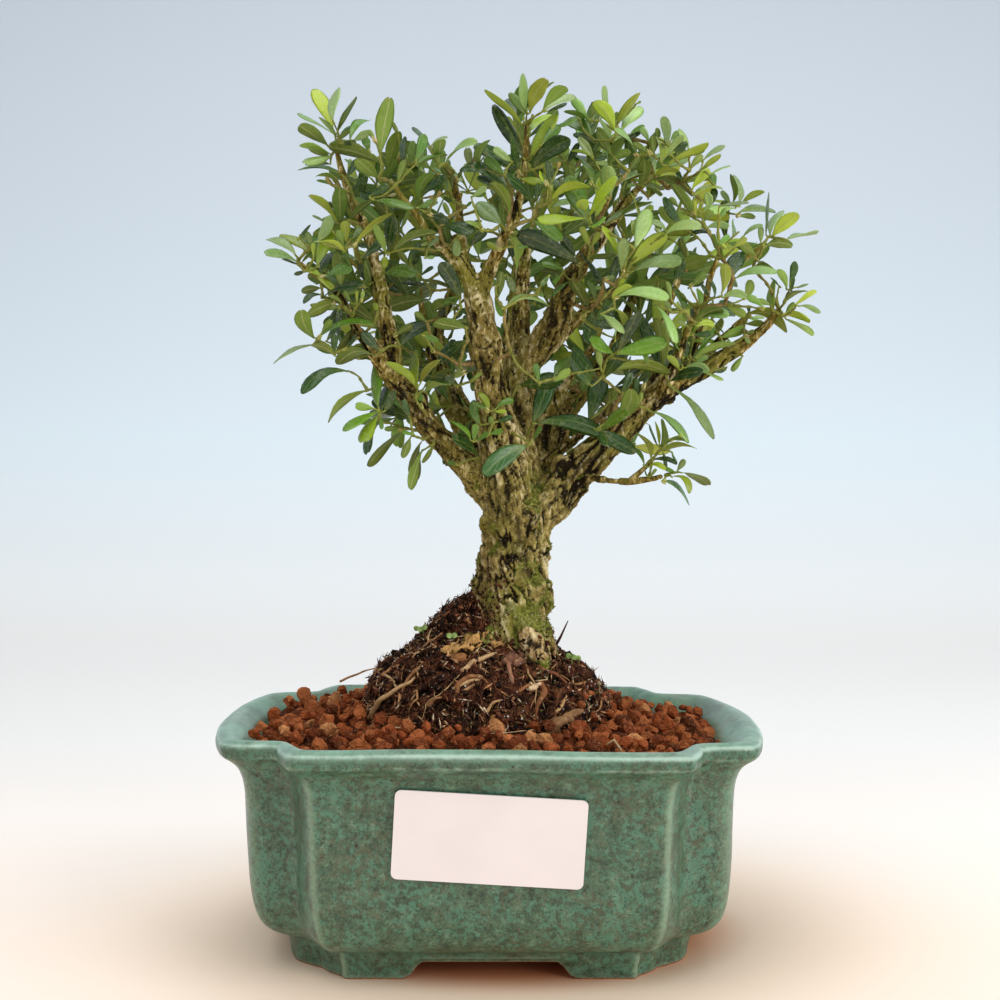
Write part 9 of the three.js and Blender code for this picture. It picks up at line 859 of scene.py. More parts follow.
22,-287,89,2029,-297,104,2084,-311,110,2140,66,59,51,22,-311,110,2140,-302,82,2170,-289,60,2198,59,47,36,3,-146,70,2187,-181,98,2169,-200,134,2146,66,59,51,16,254,341,2119,268,304,2151,273,268,2196,59,47,36,
14,-96,274,2099,-44,254,2114,2,242,2131,71,64,57,14,2,242,2131,12,209,2151,30,161,2158,66,59,51,16,275,397,2198,295,358,2227,324,330,2256,59,47,36,29,445,-157,2196,464,-160,2180,480,-168,2164,59,47,36,
34,-109,156,1523,-120,114,1562,-118,68,1599,71,64,57,34,-118,68,1599,-147,31,1597,-162,-4,1598,66,59,51,34,-162,-4,1598,-142,-3,1640,-113,-4,1673,59,47,36,34,-109,156,1523,-144,119,1491,-190,93,1466,66,59,51,
34,-190,93,1466,-222,119,1484,-260,149,1506,59,47,36,25,-106,-107,2104,-138,-99,2095,-190,-68,2092,59,47,36,30,354,165,1513,382,198,1558,420,231,1584,59,47,36,29,335,-173,2100,308,-179,2141,284,-182,2180,59,47,36,
14,30,161,2158,-17,152,2166,-61,139,2151,59,47,36,5,124,140,2045,148,157,2109,181,177,2173,84,77,70,5,181,177,2173,206,154,2172,247,126,2171,59,47,36,5,181,177,2173,147,146,2194,129,117,2214,66,59,51,
5,181,177,2173,145,205,2209,119,222,2250,66,59,51,5,119,222,2250,94,226,2297,84,223,2345,59,47,36,3,-200,134,2146,-195,164,2123,-192,207,2111,59,47,36,37,98,403,1562,92,374,1615,99,347,1669,66,59,51,
37,99,347,1669,88,378,1711,64,395,1752,59,47,36,17,-301,394,1930,-300,397,1990,-298,378,2050,76,69,62,17,-298,378,2050,-268,358,2090,-248,343,2131,66,59,51,17,-248,343,2131,-224,336,2163,-197,334,2193,59,47,36,
17,-298,378,2050,-328,330,2060,-348,284,2066,59,47,36,36,-142,444,1724,-114,440,1783,-111,459,1841,66,59,51,36,-111,459,1841,-71,439,1878,-37,423,1906,59,47,36,35,-208,161,1665,-232,181,1714,-263,195,1768,59,47,36,
30,503,224,1708,522,283,1687,544,344,1678,66,59,51,30,544,344,1678,577,317,1670,608,298,1669,59,47,36,31,305,180,1444,355,173,1416,422,152,1394,59,47,36,37,167,217,1508,178,251,1452,201,276,1401,59,47,36,
7,293,473,1867,242,491,1865,187,510,1859,71,64,57,7,187,510,1859,171,483,1901,153,475,1931,66,59,51,7,153,475,1931,137,448,1956,114,432,1976,59,47,36,14,-53,337,2077,-10,348,2072,36,359,2056,76,69,62,
6,539,260,2196,580,273,2176,611,277,2139,59,47,36,17,-208,295,1898,-151,302,1936,-108,317,1991,76,69,62,17,-108,317,1991,-143,306,2012,-185,309,2036,59,47,36,14,36,359,2056,89,357,2058,146,363,2046,71,64,57,
14,146,363,2046,186,343,2052,222,325,2050,59,47,36,14,146,363,2046,187,395,2038,232,414,2010,59,47,36,5,129,117,2214,100,106,2279,73,97,2331,59,47,36,17,-108,317,1991,-75,315,1978,-27,323,1973,66,59,51,
17,-27,323,1973,6,352,1982,54,382,1988,59,47,36,24,-142,-96,1753,-126,-64,1805,-109,-31,1846,80,73,66,24,-109,-31,1846,-132,13,1847,-165,46,1850,76,69,62,24,-165,46,1850,-181,44,1871,-197,35,1890,66,59,51,
24,-165,46,1850,-166,50,1838,-171,55,1826,59,47,36,24,-197,35,1890,-215,58,1911,-228,81,1930,59,47,36,37,98,403,1562,49,451,1588,7,473,1632,66,59,51,37,7,473,1632,5,476,1673,-3,488,1711,59,47,36,
26,114,-175,2149,159,-146,2167,213,-118,2184,66,59,51,26,213,-118,2184,225,-114,2174,239,-106,2166,59,47,36,28,393,-151,1904,435,-176,1945,476,-210,1968,59,47,36,32,435,22,1677,410,10,1739,407,-8,1807,59,47,36,
30,525,301,1804,516,272,1865,506,240,1916,59,47,36,30,369,292,1440,369,326,1499,363,362,1540,87,80,73,30,363,362,1540,361,368,1596,356,375,1640,76,69,62,30,356,375,1640,332,400,1660,316,432,1670,59,47,36,
30,356,375,1640,327,363,1668,299,364,1691,66,59,51,30,363,362,1540,328,377,1561,282,401,1595,59,47,36,30,299,364,1691,259,385,1707,220,403,1728,59,47,36,31,329,-169,1643,376,-187,1634,432,-211,1619,59,47,36,
7,246,396,1849,269,438,1811,314,496,1777,59,47,36,30,363,362,1540,415,362,1563,473,360,1580,59,47,36,11,620,-96,1928,589,-79,1978,534,-66,2017,59,47,36,13,408,90,1915,477,60,1934,571,42,1937,59,47,36,
28,286,-95,1779,262,-158,1761,259,-240,1736,66,59,51,28,259,-240,1736,299,-264,1703,338,-287,1683,59,47,36,35,-255,100,1690,-323,68,1670,-377,44,1656,66,59,51,35,-377,44,1656,-418,44,1677,-470,54,1705,59,47,36,
24,62,-216,1650,88,-245,1609,136,-276,1567,71,64,57,24,136,-276,1567,159,-262,1574,177,-258,1578,66,59,51,24,177,-258,1578,233,-272,1592,300,-290,1604,59,47,36,37,167,217,1508,186,257,1568,208,313,1624,59,47,36,
26,90,87,1771,71,50,1850,72,14,1933,59,47,36,26,38,-152,2056,49,-92,2118,98,-40,2149,59,47,36,28,388,-285,1920,329,-292,1956,275,-292,1980,59,47,36,7,246,396,1849,159,378,1883,94,359,1913,59,47,36]
# short stem: shoot, two places
STEMS = [37,64,395,1752,69,420,1753,30,407,199,1468,409,215,1488,7,427,436,1864,447,469,1899,17,-27,323,1973,-34,342,1990,
14,222,325,2050,228,369,2076,17,-382,202,1794,-411,217,1834,30,473,360,1580,489,381,1580,14,-117,481,1976,-129,502,1985,
3,-295,188,2169,-307,219,2209,6,468,134,2135,482,139,2157,17,-387,364,1806,-417,401,1826,15,50,344,2130,41,355,2152,
37,99,347,1669,63,379,1689,22,-353,44,2006,-393,50,2039,30,466,290,1765,480,309,1776,7,187,510,1859,186,554,1887,
17,-208,295,1898,-225,312,1908,35,-196,254,1612,-205,268,1632,30,275,167,1562,264,213,1541,30,559,137,1686,609,148,1695,
36,-104,289,1664,-116,309,1677,12,400,215,2173,410,226,2195,6,409,52,2174,445,54,2211,16,359,425,2125,367,436,2147,
30,356,375,1640,365,395,1654,7,246,396,1849,241,436,1882,17,-311,182,1977,-351,199,2006,28,259,-240,1736,253,-262,1747,
34,-129,208,1451,-153,200,1458,37,-3,488,1711,-15,510,1717,12,426,316,2028,438,325,2049,5,247,126,2171,242,129,2222,
35,-255,100,1690,-301,119,1705,34,-28,110,1490,-68,136,1469,22,-311,110,2140,-342,105,2182,16,545,409,1989,562,427,1997,
23,84,-66,1575,87,-118,1567,15,130,306,2133,127,324,2182,17,-248,343,2131,-256,355,2152,30,420,231,1584,442,239,1596,
35,-94,350,1590,-110,361,1608,17,-226,381,1868,-259,414,1891,14,-53,337,2077,-80,374,2101,21,-329,-5,1829,-369,-20,1858,
30,544,344,1678,560,364,1678,37,79,323,1526,75,348,1520,6,342,101,2194,357,101,2243,17,-251,180,2025,-275,193,2069,
14,-116,395,2057,-149,418,2090,5,181,177,2173,180,182,2199,6,490,322,2189,500,333,2210,12,510,294,1973,531,323,2011,
5,84,223,2345,73,240,2393,16,254,341,2119,261,378,2155,17,-301,394,1930,-314,406,1949,37,98,403,1562,79,448,1579,
30,316,432,1670,348,473,1672,12,578,338,1918,612,365,1946,34,-260,149,1506,-291,150,1464,37,167,217,1508,172,241,1500,
13,573,114,2084,595,114,2098,7,94,359,1913,95,400,1944,16,327,391,2056,344,408,2067,24,62,-216,1650,63,-239,1663,
7,379,321,1953,386,343,1964,3,-183,184,2197,-194,193,2219,30,608,298,1669,620,315,1686,7,392,321,1868,428,353,1887,
3,-385,202,2129,-404,237,2162,30,503,224,1708,528,256,1741,32,460,79,1632,485,85,1634,7,314,496,1777,328,546,1779,
37,6,298,1560,-26,339,1570,37,137,460,1638,149,508,1653,30,472,355,1888,482,371,1905,6,611,277,2139,641,295,2177,
6,539,260,2196,558,272,2244,30,299,364,1691,290,389,1693,35,-69,313,1458,-66,363,1444,35,-208,161,1665,-228,178,1669,
30,363,362,1540,387,407,1538,17,-348,284,2066,-392,302,2087,22,-287,89,2029,-333,95,2052,36,-228,374,1716,-244,418,1737,
31,305,180,1444,305,206,1445,37,184,388,1475,191,411,1465,34,31,192,1488,-6,226,1472,17,-324,193,1867,-373,203,1882,
5,129,117,2214,128,141,2260,17,-410,342,1914,-446,371,1936,35,-51,353,1660,-40,390,1695,14,-96,274,2099,-104,283,2122,
14,146,363,2046,143,390,2090,37,208,313,1624,216,338,1627,36,-142,444,1724,-173,480,1743,5,119,222,2250,115,232,2274,
15,129,338,2280,130,358,2297,7,359,394,1868,391,429,1888,37,201,276,1401,204,309,1360,36,-267,280,1652,-293,315,1681,
7,114,432,1976,116,449,1995,35,-377,44,1656,-423,21,1665,27,-13,20,1463,-13,-5,1456,6,548,180,2176,552,180,2202,
14,232,414,2010,237,434,2026,27,93,139,1476,85,160,1490,17,-241,248,1850,-271,280,1878,14,2,242,2131,-14,275,2167,
30,369,292,1440,397,333,1457,17,-486,256,1926,-512,296,1946,14,30,161,2158,29,164,2184,12,651,310,1978,671,325,1983,
35,-123,423,1610,-139,465,1637,5,73,97,2331,87,91,2380,32,533,46,1635,576,18,1647,12,380,262,2098,395,268,2119,
37,120,341,1435,117,391,1447,17,-331,283,1798,-369,316,1812,30,354,165,1513,393,166,1546,31,422,152,1394,439,198,1411,
30,456,370,1795,480,409,1819,13,715,154,1916,736,161,1928,3,-200,134,2146,-237,136,2182,17,54,382,1988,60,403,2002,
36,-111,459,1841,-114,482,1851,30,220,403,1728,225,425,1741,16,324,330,2256,326,363,2296,16,275,397,2198,277,410,2221,
7,293,473,1867,298,524,1878,16,399,409,2022,407,426,2040,17,-108,317,1991,-120,326,2012,12,510,215,2036,530,219,2053,
35,-263,195,1768,-285,207,1776,35,15,325,1704,-10,367,1722,13,697,127,1999,736,135,2033,37,7,473,1632,5,495,1646,
17,-197,334,2193,-228,361,2225,17,-185,309,2036,-212,338,2070,6,290,159,2238,291,173,2288,31,297,-148,1445,307,-173,1443,
3,-146,70,2187,-167,69,2203,22,-445,87,1994,-488,88,2023,36,-37,423,1906,-49,442,1918,36,-283,393,1765,-319,419,1791,
17,-446,248,1852,-487,272,1872,16,273,268,2196,276,275,2220,34,-109,156,1523,-134,158,1519,28,275,-292,1980,256,-329,2012,
32,562,48,1705,581,38,1720,30,282,401,1595,290,448,1615,30,525,301,1804,567,321,1828,15,166,342,2206,168,382,2240,
7,153,475,1931,154,499,1941,3,-192,207,2111,-217,229,2151,34,-118,68,1599,-169,57,1599,31,329,-169,1643,352,-214,1656,
36,-177,365,1664,-189,412,1684,30,342,108,1566,366,102,1572,35,-268,249,1577,-289,254,1591,17,-374,265,1891,-420,277,1912,
7,318,333,1775,329,355,1782,14,36,359,2056,29,374,2076,30,506,240,1916,531,242,1922,17,-353,114,1874,-396,112,1902,
35,-57,366,1522,-69,388,1530,34,-190,93,1466,-230,66,1485,26,98,-40,2149,107,-53,2169,14,-61,139,2151,-82,130,2198,
17,-298,378,2050,-330,392,2090,33,647,68,1774,697,73,1787]
# shoot place: shoot, x, y, z
NODES = [1,-449,115,2314,1,-428,-119,2296,1,-449,-44,2242,1,-418,-52,2250,
1,-386,-39,2261,1,-444,-29,2219,1,-444,-43,2194,22,-425,-46,2169,
2,-296,-71,2188,2,-337,0,2232,2,-308,-146,2232,2,-296,-141,2199,
22,-289,60,2198,3,-256,1,2287,2,-300,-156,2131,22,-401,-44,2153,
22,-385,-41,2111,22,-419,-75,2124,22,-422,-33,2030,22,-445,-14,2062,
21,-443,-161,2011,22,-388,-64,2032,2,-313,-228,2063,2,-243,-216,2106,
3,-246,10,2243,2,-279,-123,2088,3,-227,-46,2188,2,-193,-212,2159,
3,-152,-126,2197,3,-158,-134,2224,3,-130,-236,2143,3,-114,-193,2165,
26,-36,-209,2152,26,85,-168,2142,26,64,-232,2159,26,46,-249,2120,
26,104,-178,2176,4,97,-170,2274,4,107,-145,2311,3,-96,-110,2158,
3,-88,-71,2139,25,-190,-68,2092,25,-106,-107,2104,3,-110,-87,2142,
26,38,-152,2056,26,64,-214,2074,26,59,-196,2030,26,36,-212,1997,
26,-43,-277,2058,25,-61,-143,2056,26,130,-210,2045,25,-160,-215,2025,
25,-191,-213,2040,25,-136,-287,2050,25,-105,-161,2026,25,-94,-109,2075,
25,-32,-166,2005,4,148,-243,2292,4,111,-145,2249,26,145,-234,2206,
26,114,-175,2149,4,119,-138,2292,6,246,-164,2294,26,213,-118,2184,
6,284,-40,2317,6,292,-28,2356,6,332,-93,2324,6,355,-160,2256,
6,290,-129,2240,29,284,-182,2180,6,314,-16,2322,29,335,-169,2194,
6,337,-168,2231,6,351,-126,2285,6,405,-137,2337,6,387,-59,2263,
29,408,-141,2195,29,445,-157,2196,29,336,-120,2171,29,381,-171,2147,
29,278,-242,2100,26,158,-289,2086,26,164,-240,2049,29,329,-183,2070,
29,335,-173,2100,26,186,-231,2138,26,239,-106,2166,6,428,-40,2135,
6,447,-76,2244,6,464,-164,2237,6,498,-122,2229,29,480,-168,2164,
6,491,-221,2182,6,550,-193,2190,6,553,-142,2156,6,608,-15,2212,
6,590,-89,2164,6,607,-130,2145,6,563,-116,2100,6,640,-38,2132,
6,459,-38,2156,11,567,-133,2034,6,626,-45,2074,11,580,-158,2038,
6,695,-52,2079,11,619,-241,2039,11,590,-175,2000,11,526,-135,2055,
11,534,-66,2017,13,642,77,2017,28,476,-210,1968,29,366,-93,2036,
11,642,-167,1908,11,647,-258,1925,12,572,98,1992,13,571,42,1937,
11,616,-249,1933,6,512,18,2137,11,621,-232,2007,6,544,-54,2139,
6,690,-106,2040,8,774,-126,1978,8,814,-156,1964,8,756,-131,1954,
11,688,-205,1964,8,750,-70,1924,11,665,-192,1854,11,625,-253,1800,
8,751,-15,1905,33,654,104,1836,11,550,-180,1834,11,714,-91,1810,
11,579,-157,1782,33,742,17,1772,11,654,-129,1790,11,572,-128,1742,
8,799,-77,1777,11,748,-193,1772,8,787,-85,1795,8,836,-121,1836,
8,826,-78,1798,8,835,-197,1780,8,825,-88,1764,8,826,-10,1857,
33,734,22,1752,11,620,-96,1928,0,-540,-69,1935,0,-501,-38,1957,
0,-528,-86,1908,0,-532,-50,1986,21,-461,-202,1952,0,-475,-94,1899,
0,-484,-106,1921,21,-388,-204,1931,21,-381,-151,1962,21,-363,-196,1940,
25,-270,-201,1921,21,-329,-63,1957,21,-360,-89,1917,21,-291,-103,1884,
21,-343,-77,1848,20,-467,-102,1870,20,-408,-123,1840,0,-511,-84,1887,
20,-465,-90,1842,20,-461,-102,1814,20,-424,-107,1802,20,-466,-154,1696,
20,-406,-121,1788,20,-376,-134,1755,20,-314,-112,1746,35,-470,54,1705,
20,-420,-160,1653,20,-389,-159,1666,20,-488,-86,1685,19,-315,-136,1649,
19,-294,-162,1658,20,-305,-124,1772,20,-374,-101,1796,20,-342,-207,1791,
24,-171,55,1826,24,-165,46,1850,24,-109,-31,1846,24,-228,81,1930,
25,-168,-254,1900,24,-197,35,1890,25,-166,-197,1932,25,-132,-194,1991,
25,-85,-174,1967,26,-14,-276,1970,25,-49,-185,1939,26,34,-200,1929,
26,72,14,1933,24,50,-180,1867,26,73,-207,1938,24,-78,-178,1804,
24,-72,-195,1774,24,-142,-96,1753,24,-100,-178,1737,24,-59,-209,1719,
19,-245,-111,1678,19,-261,-108,1707,24,-169,-136,1741,24,-172,-275,1692,
24,-149,-170,1657,34,-113,-4,1673,24,-55,-184,1688,24,-79,-144,1623,
24,44,-251,1766,24,24,-188,1802,24,21,-203,1828,24,125,-166,1788,
24,132,-194,1811,28,258,-89,1904,26,119,-218,2008,28,245,-76,1930,
29,286,-79,2015,29,304,-107,2027,29,321,-96,2012,29,304,-68,2003,
28,284,-102,1953,28,301,-81,1937,28,363,-237,1867,28,330,-146,1821,
28,278,-102,1918,28,312,-227,1847,28,393,-151,1904,28,388,-285,1920,
28,385,-237,1866,28,336,-267,1794,28,348,-227,1829,11,447,-194,1784,
32,407,-8,1807,32,488,-71,1621,11,500,-187,1762,11,539,-162,1764,
11,497,-205,1793,28,298,-307,1746,28,336,-276,1765,28,301,-159,1793,
28,286,-95,1779,28,256,-73,1867,28,232,-84,1860,28,208,-93,1884,
24,164,-255,1854,32,435,22,1677,28,338,-287,1683,11,519,-89,1851,
19,-390,-94,1610,19,-336,-110,1554,18,-297,-164,1494,18,-302,-102,1468,
18,-242,-24,1452,18,-209,-132,1429,18,-216,-123,1478,18,-195,-126,1564,
18,-201,-133,1533,18,-182,-122,1554,18,-183,-125,1504,34,-162,-4,1598,
18,-179,-109,1420,18,-185,-101,1388,18,-152,-118,1404,23,-25,-91,1369,
23,0,-170,1496,23,18,-156,1499,23,13,-146,1463,23,-21,-153,1458,
23,-40,-193,1412,23,2,-167,1432,23,115,-160,1407,23,-86,-90,1348,
24,-47,-172,1576,24,-67,-200,1597,24,-88,-131,1567,24,136,-276,1567,
27,127,-54,1464,24,177,-258,1578,31,283,-170,1564,31,316,-108,1592,
24,300,-290,1604,31,286,4,1472,31,343,-72,1470,31,373,-95,1547,
31,416,-59,1538,31,420,-80,1513,31,348,32,1556,31,347,10,1527,
31,433,-80,1564,31,432,-211,1619,32,573,-34,1647,32,538,-112,1617,
32,606,-57,1612,32,505,-68,1576,33,714,-64,1654,32,667,-75,1621,
33,659,-22,1708,33,722,-49,1711,11,562,-138,1706,31,454,-62,1500,
11,552,-120,1737,10,433,-155,1344,10,450,-151,1363,10,481,-123,1395,
10,503,-118,1416,10,511,-117,1382,9,526,-120,1328,9,504,-126,1319,
9,481,-161,1306,10,445,-117,1316,37,64,395,1752,30,407,199,1468,
7,427,436,1864,17,-27,323,1973,14,222,325,2050,17,-382,202,1794,
30,473,360,1580,14,-117,481,1976,3,-295,188,2169,6,468,134,2135,
17,-387,364,1806,15,50,344,2130,37,99,347,1669,22,-353,44,2006,
30,466,290,1765,7,187,510,1859,17,-208,295,1898,35,-196,254,1612,
30,275,167,1562,30,559,137,1686,36,-104,289,1664,12,400,215,2173,
6,409,52,2174,16,359,425,2125,30,356,375,1640,7,246,396,1849,
17,-311,182,1977,28,259,-240,1736,34,-129,208,1451,37,-3,488,1711,
12,426,316,2028,5,247,126,2171,35,-255,100,1690,34,-28,110,1490,
22,-311,110,2140,16,545,409,1989,23,84,-66,1575,15,130,306,2133,
17,-248,343,2131,30,420,231,1584,35,-94,350,1590,17,-226,381,1868,
14,-53,337,2077,21,-329,-5,1829,30,544,344,1678,37,79,323,1526,
6,342,101,2194,17,-251,180,2025,14,-116,395,2057,5,181,177,2173,
6,490,322,2189,12,510,294,1973,5,84,223,2345,16,254,341,2119,
17,-301,394,1930,37,98,403,1562,30,316,432,1670,12,578,338,1918,
34,-260,149,1506,37,167,217,1508,13,573,114,2084,7,94,359,1913,
16,327,391,2056,24,62,-216,1650,7,379,321,1953,3,-183,184,2197,
30,608,298,1669,7,392,321,1868,3,-385,202,2129,30,503,224,1708,
32,460,79,1632,7,314,496,1777,37,6,298,1560,37,137,460,1638,
30,472,355,1888,6,611,277,2139,6,539,260,2196,30,299,364,1691,
35,-69,313,1458,35,-208,161,1665,30,363,362,1540,17,-348,284,2066,
22,-287,89,2029,36,-228,374,1716,31,305,180,1444,37,184,388,1475,
34,31,192,1488,17,-324,193,1867,5,129,117,2214,17,-410,342,1914,
35,-51,353,1660,14,-96,274,2099,14,146,363,2046,37,208,313,1624,
36,-142,444,1724,5,119,222,2250,15,129,338,2280,7,359,394,1868,
37,201,276,1401,36,-267,280,1652,7,114,432,1976,35,-377,44,1656,
27,-13,20,1463,6,548,180,2176,14,232,414,2010,27,93,139,1476,
17,-241,248,1850,14,2,242,2131,30,369,292,1440,17,-486,256,1926,
14,30,161,2158,12,651,310,1978,35,-123,423,1610,5,73,97,2331,
32,533,46,1635,12,380,262,2098,37,120,341,1435,17,-331,283,1798,
30,354,165,1513,31,422,152,1394,30,456,370,1795,13,715,154,1916,
3,-200,134,2146,17,54,382,1988,36,-111,459,1841,30,220,403,1728,
16,324,330,2256,16,275,397,2198,7,293,473,1867,16,399,409,2022,
17,-108,317,1991,12,510,215,2036,35,-263,195,1768,35,15,325,1704,
13,697,127,1999,37,7,473,1632,17,-197,334,2193,17,-185,309,2036,
6,290,159,2238,31,297,-148,1445,3,-146,70,2187,22,-445,87,1994,
36,-37,423,1906,36,-283,393,1765,17,-446,248,1852,16,273,268,2196,
34,-109,156,1523,28,275,-292,1980,32,562,48,1705,30,282,401,1595,
30,525,301,1804,15,166,342,2206,7,153,475,1931,3,-192,207,2111,
34,-118,68,1599,31,329,-169,1643,36,-177,365,1664,30,342,108,1566,
35,-268,249,1577,17,-374,265,1891,7,318,333,1775,14,36,359,2056,
30,506,240,1916,17,-353,114,1874,35,-57,366,1522,34,-190,93,1466,
26,98,-40,2149,14,-61,139,2151,17,-298,378,2050,33,647,68,1774]


def area_light(name, place, aim, size, power, color=(1, 1, 1), size_y=None):
    li = bpy.data.lights.new(name, "AREA")
    li.shape = "RECTANGLE"
    li.size, li.size_y = size, size_y or size
    li.energy, li.color = power, color
    o = bpy.data.objects.new(name, li)
    bpy.context.collection.objects.link(o)
    o.location = place
    d = np.array(aim, float) - np.array(place, float)
    from mathutils import Vector
    o.rotation_euler = Vector(d).to_track_quat("-Z", "Y").to_euler()
    return o


area_light("key_light", (-0.45, -0.55, 0.95), (0, 0, 0.12), 0.8, LIGHT_KEY, (1.0, 0.99, 0.975))
area_light("fill_light", (0.85, -0.55, 0.45), (0, 0, 0.12), 0.8, LIGHT_FILL, (1.0, 0.985, 0.975))
area_light("top_light", (0.0, 0.1, 1.2), (0, 0, 0.1), 1.0, LIGHT_TOP, (0.97, 0.985, 1.0))

world = bpy.data.worlds.new("room")
bpy.context.scene.world = world
world.use_nodes = True
world.node_tree.nodes["Background"].inputs["Color"].default_value = (0.93, 0.965, 1.0, 1)
world.node_tree.nodes["Background"].inputs["Strength"].default_value = LIGHT_WORLD


def plain(name, col, rough=0.6):
    m = Mat(name, rough=rough, spec=0.2)
    m.color(col)
    return m


# floor sweeping up into a backdrop, one curved sheet
fb = Batch()
prof = [(-1.6, 0.0), (-0.6, 0.0), (0.2, 0.0), (0.6, 0.0)]
R_, Y0_ = 0.55, 0.6
prof += [(Y0_ + R_ * math.sin(a), R_ - R_ * math.cos(a)) for a in np.linspace(0.12, math.pi / 2, 14)]
prof += [(Y0_ + R_, 1.2), (Y0_ + R_, 2.4)]
rows = np.array([[[x, y, z] for x in np.linspace(-2.2, 2.2, 9)] for y, z in prof]) * 1000 - [DX, DY, 0]
n0, n1 = rows.shape[:2]
i, j = np.meshgrid(np.arange(n0 - 1), np.arange(n1 - 1), indexing="ij")
fb.add(rows.reshape(-1, 3), [np.stack([i * n1 + j, i * n1 + j + 1, (i + 1) * n1 + j + 1, (i + 1) * n1 + j], -1).reshape(-1, 4)])
ground = Mat("ground", rough=0.75, spec=0.15)
v = ground.node("ShaderNodeTexCoord").outputs["Object"]
sep = ground.node("ShaderNodeSeparateXYZ", Vector=v)
h = ground.math("MULTIPLY_ADD", sep.outputs["Z"], 1.0, 0.0)
yy = ground.math("ADD", sep.outputs["Y"], h)
gcol = ground.ramp(ground.math("MULTIPLY_ADD", yy, 0.333, 0.2), [(0.0, BG_FLOOR), (0.195, BG_FLOOR), (0.24, srgb(246, 238, 231)), (0.29, BG_NEAR), (0.42, BG_NEAR), (0.58, BG_MID), (0.80, BG_TOP), (1.0, BG_TOP)], "LINEAR")
near = ground.math("SQRT", ground.math("ADD", ground.math("POWER", ground.math("MULTIPLY", sep.outputs["X"], 0.77), 2.0), ground.math("POWER", sep.outputs["Y"], 2.0)))
# painted light on the floor round the pot: a warm tint for bounced light near it, and a red-brown painted shadow and
# reflection right under it
ground.color(ground.mix(ground.step(near, 0.125, 0.05), gcol, ground.mix(ground.step(near, 0.056, 0.036), srgb(243, 218, 194), srgb(214, 142, 96))))
ground.t.links.new(gcol, ground.b.inputs["Emission Color"])
# the floor and backdrop glow in their own colour as painted light: strongest on the floor, weaker where it curves up,
# and none close to the pot so the floor there keeps its shade
glow = ground.ramp(ground.math("MULTIPLY_ADD", yy, 0.333, 0.2), [(0.0, 0.85), (0.20, 0.85), (0.235, 0.82), (0.26, 0.62), (0.30, 0.50), (0.36, 0.42), (0.42, 0.52), (0.47, 0.66), (0.58, 0.65), (1.0, 0.5)], "LINEAR")
far = ground.math("SQRT", ground.math("ADD", ground.math("POWER", ground.math("MULTIPLY", sep.outputs["X"], 0.77), 2.0), ground.math("POWER", sep.outputs["Y"], 2.0)))
glow = ground.math("MULTIPLY", glow, ground.step(far, 0.042, 0.096))
ground.t.links.new(ground.math("MULTIPLY", glow, BG_GLOW), ground.b.inputs["Emission Strength"])


def make_stage():
    me = bpy.data.meshes.new("floor")
    V = (np.concatenate(fb.V) + [DX, DY, 0]) / 1000
    me.from_pydata(V.tolist(), [], [f for F in fb.F for f in F.tolist()])
    for p in me.polygons:
        p.use_smooth = True
    me.materials.append(ground.m)
    o = bpy.data.objects.new("floor", me)
    bpy.context.collection.objects.link(o)


make_stage()

# ---------------------------------------------------------------- pot
RIM_X, RIM_Y, POT_H = 75.0, 57.6, 62.9
CORNER = np.array([  # inward offset, front corner x, notch x, notch y, side lobe x, side lobe y
    [-1, 51.8, 56.9, 42.5, 69.3, 41.6], [0, 50.8, 56.0, 41.8, 68.4, 40.8], [7.6, 45.5, 51.4, 36.2, 63.7, 34.8],
    [20.4, 38.6, 46.2, 27.2, 54.3, 19.6], [34.0, 28.0, 34.0, 18.0, 40.7, 13.0]])


def outline(d, n=384):
    """Plan outline of the pot at inward offset d: n points, counter-clockwise from the middle of the front."""
    fx, nx, ny, lx, ly = [np.interp(d, CORNER[:, 0], CORNER[:, k]) for k in range(1, 6)]
    bx, by = RIM_X - d, RIM_Y - d
    bow = bx - lx
    q = [[fx * 0.28, by], [fx * 0.5, by], [fx * 0.78, by], [fx - 2.0, by], [fx - 0.4, by - 0.3], [fx + 0.6, by - 1.9],
         [fx + (nx - fx) * 0.55, by + (ny - by) * 0.5], [nx - 1.0, ny + 1.8], [nx + 1.3, ny + 0.3],
         [nx + (lx - nx) * 0.72, ny + (ly - ny) * 0.5 + 0.3], [lx, ly - 0.9], [lx + bow * 0.42, ly * 0.78], [lx + bow * 0.8, ly * 0.45]]
    P = [[0, -by]] + [[x, -y] for x, y in q] + [[bx, 0]] + [[x, y] for x, y in q[::-1]] + [[0, by]] + [[-x, y] for x, y in q] + [[-bx, 0]] + [[-x, -y] for x, y in q[::-1]]
    P = np.array(P, float)
    m = len(P)
    Q = np.vstack([P[-2:], P, P[:3]])
    # shares of the outline between control points, the same at each offset, so that rings line up
    w = OUT_W
    out = []
    for i in range(m):
        a, b, c, e = Q[i + 1], Q[i + 2], Q[i + 3], Q[i + 4]
        t = (np.arange(w[i]) / w[i])[:, None]
        # tangents are limited where the spans differ
        sb, sc = np.linalg.norm(b - a) + 1e-9, np.linalg.norm(e - c) + 1e-9
        s = np.linalg.norm(c - b)
        ma = (c - a) * min(1.0, s / sb) * 0.5
        mb = (e - b) * min(1.0, s / sc) * 0.5
        out.append((2 * t ** 3 - 3 * t ** 2 + 1) * b + (t ** 3 - 2 * t ** 2 + t) * ma + (-2 * t ** 3 + 3 * t ** 2) * c + (t ** 3 - t ** 2) * mb)
    return np.vstack(out)


_half = [7, 6, 6, 7, 6, 6, 7, 7, 6, 8, 8, 8, 7, 12]      # points in each span of a quarter, middle of the front to middle of the side
OUT_W = _half + _half[::-1] + _half + _half[::-1]
OUT_N = sum(OUT_W)

